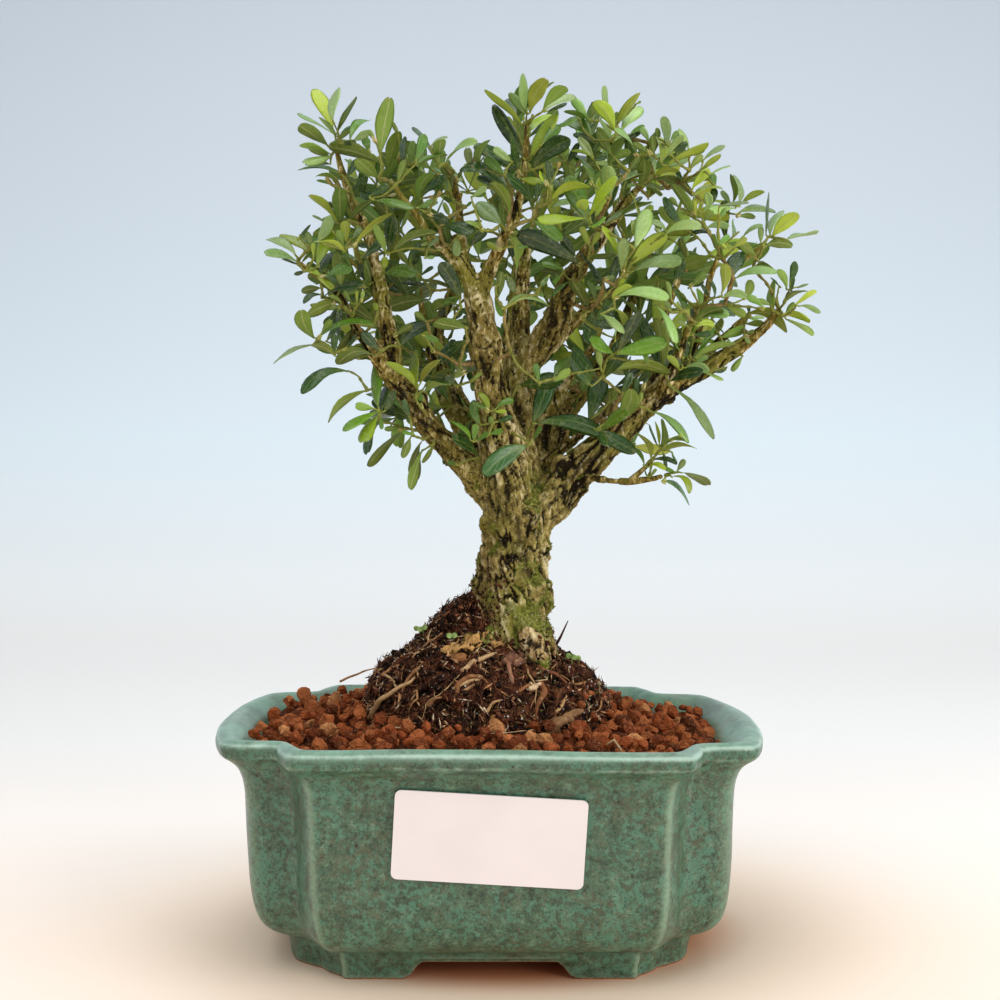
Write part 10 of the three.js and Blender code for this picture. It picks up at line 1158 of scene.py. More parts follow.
OUTER = np.array([[0, 20.6], [1.2, 20.2], [3.5, 19.9], [5.5, 19.3], [7.3, 19.0], [8.0, 18.3], [8.5, 16.6], [9.5, 14.2], [11.2, 12.2], [13.4, 10.6],
                  [16.2, 9.5], [19.2, 8.8], [24, 8.2], [30, 7.8], [38, 7.5], [45, 7.2], [49.5, 6.8], [52.8, 6.0], [55.0, 4.9], [56.5, 3.5], [57.5, 2.1], [58.1, 1.1],
                  [58.7, 0.5], [59.5, 0.15], [60.9, 0.05], [61.5, 0.2], [61.9, 0.6], [62.2, 1.2]])
INNER = np.array([[62.5, 2.0], [62.8, 2.9], [62.9, 3.6], [62.7, 4.5], [62.1, 5.6], [61.2, 6.8], [60.0, 8.0], [58.4, 9.2], [56, 10.4], [52, 11.7], [40, 13.5], [22, 15.2], [16.5, 17.0], [14, 19.4], [12.7, 22.5], [12.5, 26]])


def dense_profile(P, step):
    Q = curve_points(np.column_stack([P, np.zeros(len(P))]), step)[:, :2]
    return Q


def foot_lift(XY):
    """How far the bottom edge is raised at a place: 0 under a foot, full in the gaps, sloping between."""
    x, y = np.abs(XY[..., 0]), np.abs(XY[..., 1])
    a = 1 - smooth01(x, 17.6, 22.4)
    b = 1 - smooth01(y, 7.8, 12.0)
    return np.maximum(a, b)


def pot_rings():
    """Rings over the whole wall: from the foot's inner edge, under, out, up, over the lip and down inside."""
    rings, glaze, lip = [], [], []
    under = [(30.8, 4.4), (30.6, 1.6), (30.0, 0.35), (28.6, 0.0), (26.5, 0.0), (23.6, 0.0), (21.9, 0.05), (21.1, 0.35)]
    for d, z in under:
        XY = outline(d)
        lift = foot_lift(XY) * 4.5
        zz = np.maximum(z, lift)
        rings.append(np.column_stack([XY, zz]))
        glaze.append(np.full(OUT_N, 0.0))
        lip.append(-50.0)
    for z, d in [q for k, q in enumerate(dense_profile(OUTER, 0.7)) if not 22 < q[0] < 54 or k % 3 == 0]:
        XY = outline(d)
        soft = XY.copy()
        for _ in range(26):
            soft = soft * 0.5 + (np.roll(soft, 1, 0) + np.roll(soft, -1, 0)) * 0.25
        w = 0.85 * float(smooth01(d, 1.5, 5.5) * smooth01(z, 4.0, 10.0))
        XY = XY * (1 - w) + soft * w
        zz = np.full(OUT_N, z)
        if z < 8.0:
            lift = foot_lift(XY) * 4.6
            k = (8.0 - z) / 8.0
            zz = z + lift * k ** 0.8 * np.clip(k * 1.25, 0, 1)
            zz = np.maximum(zz, np.where(lift > 0.02, lift * 0.98 + z * (1 - 0.98 * lift / 8.0) * 0.4, z))
        rings.append(np.column_stack([XY, zz]))
        glaze.append(smooth01(z, 0.1, 0.8) * np.ones(OUT_N))
        lip.append(z - 61.8 if d < 0.5 or z < 61 else d)
    for z, d in [q for k, q in enumerate(dense_profile(INNER, 0.8)) if q[0] > 53 or k % 4 == 0]:
        XY = outline(d)
        soft = XY.copy()
        for _ in range(70):
            soft = soft * 0.5 + (np.roll(soft, 1, 0) + np.roll(soft, -1, 0)) * 0.25
        w = 0.9 * float(smooth01(d, 1.0, 7.0))
        rings.append(np.column_stack([XY * (1 - w) + soft * w, np.full(OUT_N, z)]))
        glaze.append(np.ones(OUT_N) if z > 45 else np.full(OUT_N, float(smooth01(z, 38, 45))))
        lip.append(d)
    return rings, glaze, np.array(lip)


def build_pot():
    rings, glaze, lip = pot_rings()
    k = len(rings)
    V = np.array(rings)                                       # k, n, 3
    # hand-made unevenness: the walls lean and swell a little, the lip rises and falls
    P = V.reshape(-1, 3)
    cen = P * [1, 1, 0]
    out = unit(cen)
    w = fbm(P, 1 / 46, 2, 41) * 0.55 + fbm(P, 1 / 14, 2, 43) * 0.16
    top = smooth01(P[:, 2], 20, 62)
    P = P + out * (w * smooth01(P[:, 2], 1, 14))[:, None]
    P[:, 0] += -0.017 * P[:, 1] + np.sign(P[:, 0]) * 1.2 * smooth01(np.abs(P[:, 0]), 55, 72) * smooth01(P[:, 2], 50, 60)
    P[:, 2] += top * (0.95 * smooth01(-P[:, 1], 30, 55) + fbm(P * [1, 1, 0], 1 / 55, 2, 47) * 0.9 - 0.55 * smooth01(P[:, 0], 20, 70) * smooth01(P[:, 1], 0, 50))
    V = P.reshape(V.shape)
    n = OUT_N
    i, j = np.meshgrid(np.arange(k - 1), np.arange(n), indexing="ij")
    j2 = (j + 1) % n
    quads = np.stack([i * n + j, i * n + j2, (i + 1) * n + j2, (i + 1) * n + j], -1).reshape(-1, 4)
    # how sharply the surface turns outward; pale thin glaze and a painted highlight are laid on these ridges and edges
    def bend(A, axis):
        B = (np.roll(A, 1, axis) + np.roll(A, -1, axis)) / 2 - A
        return B
    du = np.roll(V, -1, 1) - np.roll(V, 1, 1)
    dv = np.empty_like(V)
    dv[1:-1] = V[2:] - V[:-2]
    dv[0], dv[-1] = V[1] - V[0], V[-1] - V[-2]
    N = unit(np.cross(du, dv))
    c1 = -(bend(V, 1) * N).sum(-1) / (((np.roll(V, -1, 1) - V) ** 2).sum(-1) + 0.05)
    Bv = np.zeros_like(V)
    Bv[1:-1] = (V[2:] + V[:-2]) / 2 - V[1:-1]
    c2 = np.zeros(V.shape[:2])
    c2[1:-1] = -(Bv[1:-1] * N[1:-1]).sum(-1) / (((V[2:] - V[1:-1]) ** 2).sum(-1) + 0.05)
    for _ in range(6):
        c1 = (c1 * 2 + np.roll(c1, 1, 1) + np.roll(c1, -1, 1)) / 4
    high = smooth01(V[..., 2], 54, 59)
    U2 = lip[:, None] * np.ones(n)
    ridge = np.clip(c1, -0.4, 0.5) * (1 - high) * (U2 < 0)
    edge = np.clip(c2, -0.4, 0.5) * (1 - smooth01(V[..., 2], 56, 58) * smooth01(V[..., 2], 62.3, 61.4))
    highlight_strength = 0.78 + 0.22 * smooth01(V[..., 0], -50, 50) + 0.30 * noise(V, 1 / 17, 48)
    # painted highlight along the lip: a band on the outer rounding, one on the lip's lower edge and a wider one down
    # the inner slope, stronger towards the right where the light is
    rim_highlight = np.exp(-((U2 - 0.3) / 0.95) ** 2) * highlight_strength + 0.5 * np.exp(-((U2 + 3.3) / 0.6) ** 2) * (highlight_strength - 0.1) + 0.40 * np.exp(-((U2 - 3.4) / 2.4) ** 2) * (U2 > 0.5)
    pool = np.exp(-((U2 + 1.5) / 0.85) ** 2)
    inside = smooth01(U2, 0.4, 2.0)
    for _ in range(3):
        edge = (edge * 2 + np.roll(edge, 1, 1) + np.roll(edge, -1, 1)) / 4
        e2 = edge.copy()
        e2[1:-1] = (edge[1:-1] * 2 + edge[2:] + edge[:-2]) / 4
        edge = e2
    b = Batch()
    # underside plate and inside floor, each a grid that spans the last ring
    base = k * n
    b.add(V.reshape(-1, 3), [quads], pa={"edge": edge.reshape(-1), "glazed": np.array(glaze).reshape(-1), "rim_highlight": rim_highlight.reshape(-1), "ridge": ridge.reshape(-1), "pool": pool.reshape(-1), "inside": inside.reshape(-1)})
    for ring_i, z, flip, fr in ((0, 4.4, True, (0.8, 0.55, 0.3)), (k - 1, 12.5, False, (0.8, 0.55, 0.3))):
        ring = V[ring_i]
        rows = [ring] + [np.column_stack([ring[:, :2] * f, np.full(n, z)]) for f in fr]
        R = np.array(rows)
        V2 = np.vstack([R.reshape(-1, 3), [[0, 0, z]]])
        F = []
        for a in range(len(rows) - 1):
            jj = np.arange(n)
            q = np.stack([a * n + jj, a * n + (jj + 1) % n, (a + 1) * n + (jj + 1) % n, (a + 1) * n + jj], -1)
            F.append(q[:, ::-1] if flip else q)
        jj = np.arange(n)
        a = len(rows) - 1
        t = np.stack([a * n + jj, a * n + (jj + 1) % n, np.full(n, (a + 1) * n)], -1)
        F.append(t[:, ::-1] if flip else t)
        b.add(V2, F, pa={"edge": np.zeros(len(V2)), "glazed": np.zeros(len(V2))})
    o = b.obj("glazed_pot", [POT_MAT.m], replaces=["pot"])
    me = o.data
    import bmesh
    bm = bmesh.new()
    bm.from_mesh(me)
    bmesh.ops.remove_doubles(bm, verts=bm.verts, dist=1e-6)
    bmesh.ops.recalc_face_normals(bm, faces=bm.faces)
    bm.to_mesh(me)
    bm.free()
    # drain holes
    for sx in (-1, 1):
        c = Batch()
        a = np.linspace(0, 2 * math.pi, 40, endpoint=False)
        V3 = np.vstack([np.column_stack([28 * sx + 7 * np.cos(a), 7 * np.sin(a), np.full(40, zz)]) for zz in (-3, 20)] + [[[28 * sx, 0, -3], [28 * sx, 0, 20]]])
        jj = np.arange(40)
        c.add(V3, [np.stack([jj, (jj + 1) % 40, 40 + (jj + 1) % 40, 40 + jj], -1), np.stack([np.full(40, 80), (jj + 1) % 40, jj], -1), np.stack([np.full(40, 81), 40 + jj, 40 + (jj + 1) % 40], -1)])
        cut = bpy.data.meshes.new("cutter")
        cut.from_pydata(((np.concatenate(c.V) + [DX, DY, 0]) / 1000).tolist(), [], [f for F in c.F for f in F.tolist()])
        co = bpy.data.objects.new("cutter", cut)
        bpy.context.collection.objects.link(co)
        md = o.modifiers.new("hole", "BOOLEAN")
        md.operation, md.object, md.solver = "DIFFERENCE", co, "EXACT"
        dg = bpy.context.evaluated_depsgraph_get()
        new = bpy.data.meshes.new_from_object(o.evaluated_get(dg), depsgraph=dg)
        o.modifiers.clear()
        old = o.data
        o.data = new
        bpy.data.meshes.remove(old)
        bpy.data.objects.remove(co)
    o.data.name = "glazed_pot"
    o.data.set_sharp_from_angle(angle=math.radians(50))
    return o


POT_MAT = Mat("teal_glaze", rough=0.3, spec=0.5)
m = POT_MAT
v = m.coord()
big = m.noise(v, 38, 2.0, 0.6)
mid = m.noise(v, 330, 3.5, 0.68)
fine = m.noise(v, 1000, 2.0, 0.65)
spk = m.noise(v, 1600, 1.0, 0.5)
body = m.ramp(mid, [(0.30, srgb(*POT_DARK)), (0.45, srgb(*POT_MAIN)), (0.56, srgb(*POT_MAIN2)), (0.72, srgb(*POT_LIGHT))])
off = m.node("ShaderNodeVectorMath", _0=v, _1=(0.31, 0.17, 0.52)).outputs[0]
cloud = m.noise(off, 85, 3.0, 0.6)
brown = m.math("MULTIPLY_ADD", big, 0.25, m.math("ADD", m.math("MULTIPLY", m.noise(off, 460, 3.0, 0.65), 0.45), m.math("MULTIPLY", fine, 0.30)))
body = m.mix(m.ramp(brown, [(0.48, 0.0), (0.60, 0.42)]), body, srgb(*POT_BROWN))
turq = m.math("ADD", m.math("MULTIPLY", m.noise(off, 640, 2.0, 0.6), 0.62), m.math("MULTIPLY", cloud, 0.38))
body = m.mix(m.ramp(turq, [(0.46, 0.0), (0.59, 0.66)]), body, srgb(*POT_TURQ))
dk = m.ramp(m.math("ADD", m.math("MULTIPLY", spk, 0.6), m.math("MULTIPLY", fine, 0.5)), [(0.42, 1.0), (0.51, 0.0)])
body = m.mix(m.math("MULTIPLY", dk, 0.55), body, srgb(*POT_SPECK))
body = m.mix(m.ramp(spk, [(0.60, 0.0), (0.72, 0.4)]), body, srgb(*POT_LIGHT))
edge = m.attr("edge")
# convex ridges paler: thin glaze over them, with a painted highlight
ridge_glaze_and_highlight = m.step(m.math("ADD", m.attr("ridge"), m.math("MULTIPLY_ADD", fine, 0.06, -0.03)), 0.02, 0.16)
body = m.mix(m.math("MULTIPLY", ridge_glaze_and_highlight, 0.52), body, srgb(152, 180, 152))
# edges that turn outward paler: thin glaze, with a painted highlight
up = m.step(m.math("ADD", edge, m.math("MULTIPLY_ADD", fine, 0.10, -0.05)), 0.03, 0.20)
body = m.mix(m.math("MULTIPLY", up, 0.42), body, srgb(*POT_EDGE_GLAZE_AND_HIGHLIGHT))
# painted highlight on the rim, laid on with the band above
top = m.math("ADD", m.attr("rim_highlight"), m.math("MULTIPLY_ADD", mid, 0.9, -0.45))
body = m.mix(m.math("MULTIPLY", m.attr("inside"), m.ramp(cloud, [(0.40, 0.40), (0.60, 0.68)])), body, m.mix(m.ramp(big, [(0.42, 0.0), (0.58, 1.0)]), srgb(134, 180, 152), srgb(136, 164, 142)))
body = m.mix(m.math("MULTIPLY", m.math("MULTIPLY", m.attr("pool"), m.ramp(mid, [(0.36, 0.35), (0.58, 1.0)])), 0.40), body, srgb(*POT_POOL))
body = m.mix(m.math("MULTIPLY", m.step(top, 0.15, 1.0), 0.76), body, srgb(*POT_RIM_HIGHLIGHT))
down = m.step(edge, -0.015, -0.09)
body = m.mix(m.math("MULTIPLY", down, 0.15), body, srgb(*POT_POOL))
iron = m.voronoi(v, 330)
pick = m.math("LESS_THAN", iron.outputs["Distance"], 0.16)
rare = m.math("GREATER_THAN", m.node("ShaderNodeSeparateColor", Color=iron.outputs["Color"]).outputs[0], 0.955)
body = m.mix(m.math("MULTIPLY", m.math("MULTIPLY", pick, rare), 0.85), body, srgb(48, 30, 22))
glz = m.attr("glazed")
wob = m.math("ADD", glz, m.math("MULTIPLY", m.math("SUBTRACT", m.noise(v, 600, 2.0), 0.5), 0.5))
clay = m.ramp(m.noise(v, 900, 2.0, 0.7), [(0.3, srgb(124, 74, 44)), (0.7, srgb(168, 112, 72))])
gm = m.step(wob, 0.42, 0.58)
m.color(m.mix(gm, clay, body))
m.rough(m.math("ADD", m.math("MULTIPLY", gm, -0.42), m.math("MULTIPLY_ADD", fine, 0.16, 0.68)))
m.bump((m.noise(v, 220, 2.0, 0.5), 0.16), (fine, 0.05), (spk, 0.02))

build_pot()

# ---------------------------------------------------------------- label, screens and clips keep their CAD shape
lab = Mat("label_stock", rough=0.42, spec=0.4)
v = lab.coord()
lab.color(lab.ramp(lab.noise(v, 60, 2.0), [(0.3, srgb(238, 230, 230)), (0.7, srgb(243, 235, 235))]))
lab.bump((lab.noise(v, 400, 2.0), 0.012), (lab.noise(v, 45, 1.0), 0.12))
plas = Mat("screen_plastic", rough=0.55)
v = plas.coord()
plas.color(plas.ramp(plas.noise(v, 900, 2.0), [(0.3, srgb(24, 26, 28)), (0.7, srgb(44, 46, 48))]))
plas.bump((plas.noise(v, 2500, 2.0), 0.02))
wire = Mat("clip_wire", rough=0.35, Metallic=1.0)
v = wire.coord()
wire.color(wire.ramp(wire.noise(v, 700, 3.0), [(0.3, srgb(120, 96, 78)), (0.7, srgb(176, 160, 148))]))
wire.bump((wire.noise(v, 2200, 2.0), 0.02))
for name, mat in (("label", lab), ("drain_screen_left", plas), ("drain_screen_right", plas), ("screen_clip_left", wire), ("screen_clip_right", wire)):
    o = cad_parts[name]
    for s in o.material_slots:
        s.material = mat.m

# ---------------------------------------------------------------- loose clay granules
BALL = np.array([  # z, centre x, radius x, centre y, radius y of the root ball
    [42, -1, 27, 0, 21], [48, -1, 31, 0, 24.5], [56, -0.8, 34.8, 0, 27.5], [62, -0.6, 35.4, 0, 28], [67, -0.7, 34.2, 0, 26.5], [72, -1.1, 32.8, 0.5, 24.2],
    [76.5, -1.7, 29.6, 1, 21.0], [80.5, -2.3, 23.9, 1, 16.6], [84.5, -3.0, 17.0, 2, 11.8], [90, -2.0, 12.6, 2.5, 8.8], [96, 0.2, 7.8, 3, 6.4], [99.6, 2.2, 4.4, 3, 3.6]])


def ball_at(z):
    return [np.interp(z, BALL[:, 0], BALL[:, k]) for k in range(1, 5)]


def soil_level(x, y):
    """Height of the granule bed's own surface."""
    q = np.sqrt((x / 66) ** 2 + (y / 49) ** 2)
    z = 58.5 + 4.6 * smooth01(q, 1.0, 0.60) + 2.0 * smooth01(y, -10, 35) * smooth01(x, 46, 28) + 0.9 * smooth01(x, 0, -40)
    return z + fbm(np.stack([x, y, 0 * x], -1), 1 / 17, 2, 61) * 1.1


def granule(rng, level, unit_ball):
    V, F = unit_ball
    r = rng
    P = V * (0.78 + 0.50 * r.random(3))
    for _ in range(r.integers(6, 11)):
        n = unit(r.normal(size=3))
        h = 0.48 + 0.40 * r.random()
        d = P @ n - h
        P = P - np.clip(d, 0, None)[:, None] * n * 0.86
    k = r.integers(6)
    P = P * (1 + 0.17 * noise(P, 1.4, 100 + k) + 0.19 * noise(P, 3.1, 110 + k) + 0.10 * noise(P, 7.5, 104 + k))[:, None]
    a, b = unit(r.normal(size=3)), r.normal(size=3)
    b = unit(b - a * (a @ b))
    return P @ np.array([a, b, np.cross(a, b)])


def build_soil():
    rng = np.random.default_rng(77)
    b = Batch()
    n = OUT_N
    # body of the bed: closed, from the floor of the pot up to the surface; its dark colour shows only in the gaps
    # between granules, as painted shade
    rings = []
    for z in (13.4, 16, 22, 40, 52, 55.8):
        d = np.interp(z, INNER[::-1, 0], INNER[::-1, 1]) + 0.7
        rings.append(np.column_stack([outline(d), np.full(n, z)]))
    rim = outline(10.6)
    for f in (1.0, 0.985, 0.96, 0.93, 0.90, 0.87, 0.83, 0.79, 0.75, 0.70, 0.65, 0.59, 0.52, 0.44, 0.34, 0.2):
        XY = rim * f
        z = soil_level(XY[:, 0], XY[:, 1]) - 1.6
        z = z + noise(np.column_stack([XY, z]), 0.45, 63) * 0.7 * (f < 0.99)
        rings.append(np.column_stack([XY, z]))
    R = np.array(rings)
    k = len(R)
    V = np.vstack([R.reshape(-1, 3), [[0, 0, 13.4], [0, 0, soil_level(np.zeros(1), np.zeros(1))[0] - 1.6]]])
    i, j = np.meshgrid(np.arange(k - 1), np.arange(n), indexing="ij")
    j2 = (j + 1) % n
    jj = np.arange(n)
    b.add(V, [np.stack([i * n + j, i * n + j2, (i + 1) * n + j2, (i + 1) * n + j], -1).reshape(-1, 4),
              np.stack([np.full(n, k * n), (jj + 1) % n, jj], -1), np.stack([np.full(n, k * n + 1), (k - 1) * n + jj, (k - 1) * n + (jj + 1) % n], -1)],
          pa={"tintcol": srgb(74, 36, 18)})
    # granules, thrown one by one; the layer nearest the eye has more detail
    wall = outline(8.3, n)
    ang = np.arctan2(wall[:, 1], wall[:, 0])
    order = np.argsort(ang)
    wa, wr = ang[order], np.hypot(wall[order, 0], wall[order, 1])
    balls = [ico(1), ico(2)]
    placed = np.zeros((0, 4))
    cols = [srgb(*c) for c in SOIL_COLS]
    pcol = np.array(SOIL_SHARE) / sum(SOIL_SHARE)
    count = [0, 0]
    for layer, tries in ((0, 1500), (1, 2600), (2, 900)):
        for _ in range(tries):
            x, y = rng.uniform(-68, 68), rng.uniform(-51, 51)
            r = [rng.uniform(1.6, 2.6), np.clip(rng.lognormal(math.log(2.85), 0.26), 1.7, 4.0), rng.uniform(1.2, 2.5)][layer]
            a, q = math.atan2(y, x), math.hypot(x, y)
            room = np.interp(a, wa, wr, period=2 * math.pi) - q
            if room < r * 0.72:
                continue
            cx, rx, cy, ry = ball_at(63)
            m = math.hypot((x - cx) / rx, (y - cy) / ry)
            if m < 0.95:
                continue
            s = soil_level(np.array([x]), np.array([y]))[0]
            z = s + [-1.9, -0.45, 1.15][layer] + r * [0.1, 0.22, 0.25][layer] + rng.uniform(-0.4, 0.5)
            z = min(z, s + 3.4 - r * 0.3) if room > 6 else min(z, s + 1.9 - r * 0.2)
            gap = [1.25, 1.52, 1.9][layer]
            near = placed[(np.abs(placed[:, 0] - x) < 8) & (np.abs(placed[:, 1] - y) < 8)]
            if len(near):
                dist = np.sqrt((near[:, 0] - x) ** 2 + (near[:, 1] - y) ** 2 + (near[:, 2] - z) ** 2)
                if (dist < (near[:, 3] + r) / 2 * gap).any():
                    continue
                if layer == 2 and not (dist < (near[:, 3] + r) * 1.12).any():
                    continue
            elif layer == 2:
                continue
            placed = np.vstack([placed, [x, y, z, r]])
            fine = layer > 0 and (y < 8 or r > 2.8) and count[1] < 430
            count[int(fine)] += 1
            if count[0] > 620 and not fine:
                break
            P = granule(rng, 2 if fine else 1, balls[int(fine)]) * r
            c = cols[rng.choice(len(cols), p=pcol)] * rng.uniform(0.78, 1.2)
            b.add(P + [x, y, z], [balls[int(fine)][1]], pa={"tintcol": c})
    print("soil", count, b.tris())
    return b.obj("clay_granules", [SOIL_MAT.m], replaces=["soil_bed"], sharp=36)


SOIL_MAT = Mat("fired_clay", rough=0.9, spec=0.06)
m = SOIL_MAT
v = m.coord()
tint = m.attr("tintcol", "Color")
n1 = m.noise(v, 420, 3.0, 0.62)
n2 = m.noise(v, 1500, 2.0, 0.6)
n3 = m.voronoi(v, 1300)
c = m.mix(m.ramp(n1, [(0.34, 0.75), (0.62, 0.0)]), tint, m.mix(1.0, tint, (0.45, 0.42, 0.40), "MULTIPLY"))
c = m.mix(m.ramp(n2, [(0.50, 0.0), (0.72, 0.55)]), c, m.mix(0.5, c, srgb(222, 160, 118)))
c = m.mix(m.math("MULTIPLY", m.ramp(n3.outputs["Distance"], [(0.0, 1.0), (0.25, 0.0)]), 0.62), c, srgb(52, 24, 12))
m.color(c)
m.rough(m.math("MULTIPLY_ADD", n1, 0.18, 0.76))
m.bump((n1, 1.0), (n2, 0.55), (n3.outputs["Distance"], 0.2))
build_soil()

# ---------------------------------------------------------------- helpers for small natural things
def unproj(u, v, Y):
    """Point at depth Y, in mm, that the camera sees at picture place u, v (0..1000)."""
    F, D, H, TH, CX = 1398.36, 400.07, 136.415, 0.0292, 3.264
    s, c = math.sin(TH), math.cos(TH)
    dy, k = D + Y, (v - 500) / F
    dz = dy * (s + k * c) / (c - k * s)
    return np.array([CX + (u - 500) * (dy * c + dz * s) / F, Y, H - dz])


def seen_at(P):
    """Picture place u, v of points P."""
    F, D, H, TH, CX = 1398.36, 400.07, 136.415, 0.0292, 3.264
    s, c = math.sin(TH), math.cos(TH)
    dy, dz = D + P[:, 1], H - P[:, 2]
    den = dy * c + dz * s
    return 500 + F * (P[:, 0] - CX) / den, 500 + F * (dz * c - dy * s) / den


def ball_point(a, z, out=0.0):
    cx, rx, cy, ry = ball_at(z)
    P = np.stack([cx + (rx + out) * np.cos(a), cy + (ry + out) * np.sin(a), z + 0 * a], -1)
    lump = fbm(P, 1 / 9, 3, 71) * 2.0
    dirn = np.stack([np.cos(a) * ry, np.sin(a) * rx, 0 * a], -1)
    return P + unit(dirn) * lump[..., None]


def on_ball(u, v, out=0.0):
    """Nearest point of the ball's front that shows at picture place u, v."""
    best = None
    for Y in np.arange(-34, 16, 0.5):
        p = unproj(u, v, Y)
        if p[2] > 99 or p[2] < 56:
            continue
        cx, rx, cy, ry = ball_at(p[2])
        q = math.hypot((p[0] - cx) / rx, (p[1] - cy) / ry)
        if q <= 1.0:
            return p + unit(np.array([(p[0] - cx) / rx ** 2, (p[1] - cy) / ry ** 2, 0.012])) * out
        if best is None or q < best[0]:
            best = (q, p)
    return best[1]


def drape(uv, out, step=0.8):
    return curve_points(np.array([on_ball(u, w, o) for (u, w), o in zip(uv, out if np.ndim(out) else [out] * len(uv))]), step)


def blob(rng, ball, size, rough=0.16):
    V, F = ball
    P = V * size * (0.8 + 0.4 * rng.random(3))
    for _ in range(6):
        n = unit(rng.normal(size=3))
        d = P @ n - size * (0.55 + 0.3 * rng.random())
        P = P - np.clip(d, 0, None)[:, None] * n * 0.9
    P = P * (1 + rough * noise(P / size, 1.9, 120 + rng.integers(5)))[:, None]
    a, b = unit(rng.normal(size=3)), rng.normal(size=3)
    b = unit(b - a * (a @ b))
    return P @ np.array([a, b, np.cross(a, b)])


def blades(rng, P, N, length, width, spread=0.9):
    """Closed thin leaflets (four faces each) standing on points P about normals N."""
    n = len(P)
    D = unit(N + rng.normal(size=(n, 3)) * spread * 0.6)
    S = unit(np.cross(D, rng.normal(size=(n, 3))))
    U = np.cross(D, S)
    L = (length * rng.uniform(0.6, 1.3, n))[:, None]
    W = (width * rng.uniform(0.7, 1.3, n))[:, None]
    B = P - D * 0.15
    V = np.stack([B - D * 0.1, B + D * L * 0.5 + S * W / 2 + U * W * 0.1, B + D * L * 0.5 - S * W / 2 + U * W * 0.1, B + D * L - U * L * 0.12], 1)
    F = np.array([[0, 1, 2], [1, 3, 2], [0, 3, 1], [0, 2, 3]])
    vol = np.einsum("ij,ij->i", V[:, 1] - V[:, 0], np.cross(V[:, 2] - V[:, 0], V[:, 3] - V[:, 0]))
    faces = (np.arange(n)[:, None, None] * 4 + F[None])
    faces[vol < 0] = faces[vol < 0][:, :, ::-1]
    return V.reshape(-1, 3), [faces.reshape(-1, 3)]


def grow_root(b, P, r, col, sides=7, seed=0, end=0.35, rough=0.0):
    P = np.asarray(P, float)
    t = np.linspace(0, 1, len(P))
    R = np.interp(t, [0, 0.5, 1], [r, r * 0.85, r * end]) * (1 + 0.18 * noise(P, 0.45, 130 + seed % 5))
    P = P + np.stack([noise(P, 0.3, 140 + q) for q in range(3)], -1) * min(0.5, r * 0.5)
    V, F = tube(P, R, sides)
    if rough:
        near = P[np.linalg.norm(V[:, None] - P[None], axis=2).argmin(1)]
        V = V + (V - near) * (rough * (noise(V, 0.55, 132) + 0.6 * noise(V, 1.4, 133) - 0.7 * smooth01(0.2 - np.abs(noise(V * [1, 1, 1.6], 0.5, 134)), 0, 0.2)))[:, None]
    b.add(V, F, 1, pa={"tintcol": np.asarray(col) * (1 + 0.16 * noise(V, 0.8, 131))[:, None]})


def chips(rng, P, N, length, width):
    """Closed sliver chips (eight faces each) lying on points P with normals N."""
    n = len(P)
    R = rng.normal(size=(n, 3))
    D = unit(R - N * (R * N).sum(-1, keepdims=True) * rng.uniform(0.3, 1.0, (n, 1)))
    S = unit(np.cross(N, D))
    U = np.cross(D, S)
    L, W = (length * rng.uniform(0.5, 1.5, n))[:, None], (width * rng.uniform(0.6, 1.4, n))[:, None]
    C = P + N * (W * 0.35 + L * 0.13)
    V = np.stack([C - D * L / 2 - N * L * 0.06, C + D * L / 2 + N * L * 0.08, C - S * W / 2, C + S * W / 2, C - U * W * 0.3, C + U * W * 0.3], 1)
    F = np.array([[1, 3, 5], [1, 5, 2], [1, 2, 4], [1, 4, 3], [0, 5, 3], [0, 2, 5], [0, 4, 2], [0, 3, 4]])
    return V.reshape(-1, 3), [(np.arange(n)[:, None, None] * 6 + F[None]).reshape(-1, 3)]


MOSS_MAT = Mat("moss", rough=0.7, spec=0.3)
m = MOSS_MAT
v = m.coord()
m.color(m.mix(m.ramp(m.noise(v, 900, 2.0), [(0.35, 0.45), (0.65, 0.0)]), m.attr("tintcol", "Color"), srgb(30, 36, 14)))
m.bump((m.noise(v, 1500, 2.0), 0.05))

# ---------------------------------------------------------------- trunk, limbs and surface roots
def limb(name):
    P = np.array(LIMBS[name], float).reshape(-1, 4)
    return P / [10, 10, 10, 100]


def wood_lines():
    """Centre lines of every limb as dense rows x, y, z, r."""
    out = {}
    for name in LIMBS:
        P = limb(name)
        Q = curve_points(P, 1.0)
        Q[:, 3] = np.maximum(Q[:, 3], 0.4)
        # limbs wander and thicken a little between the measured places
        s = np.concatenate([[0], np.cumsum(np.linalg.norm(np.diff(Q[:, :3], axis=0), axis=1))])
        wob = np.stack([noise(np.stack([s * 0.13, 0 * s, 0 * s + 7 * q], -1), 1.0, 160 + q) for q in range(3)], -1)
        thin = np.clip(1.8 - Q[:, 3] * 0.25, 0, 1) * smooth01(s, 0, 8)
        Q[:, :3] += wob * (0.5 * thin)[:, None]
        Q[:, 3] *= 1 + 0.09 * noise(np.stack([s * 0.16, 0 * s, 0 * s + len(name)], -1), 1.0, 163)
        out[name] = Q
    return out


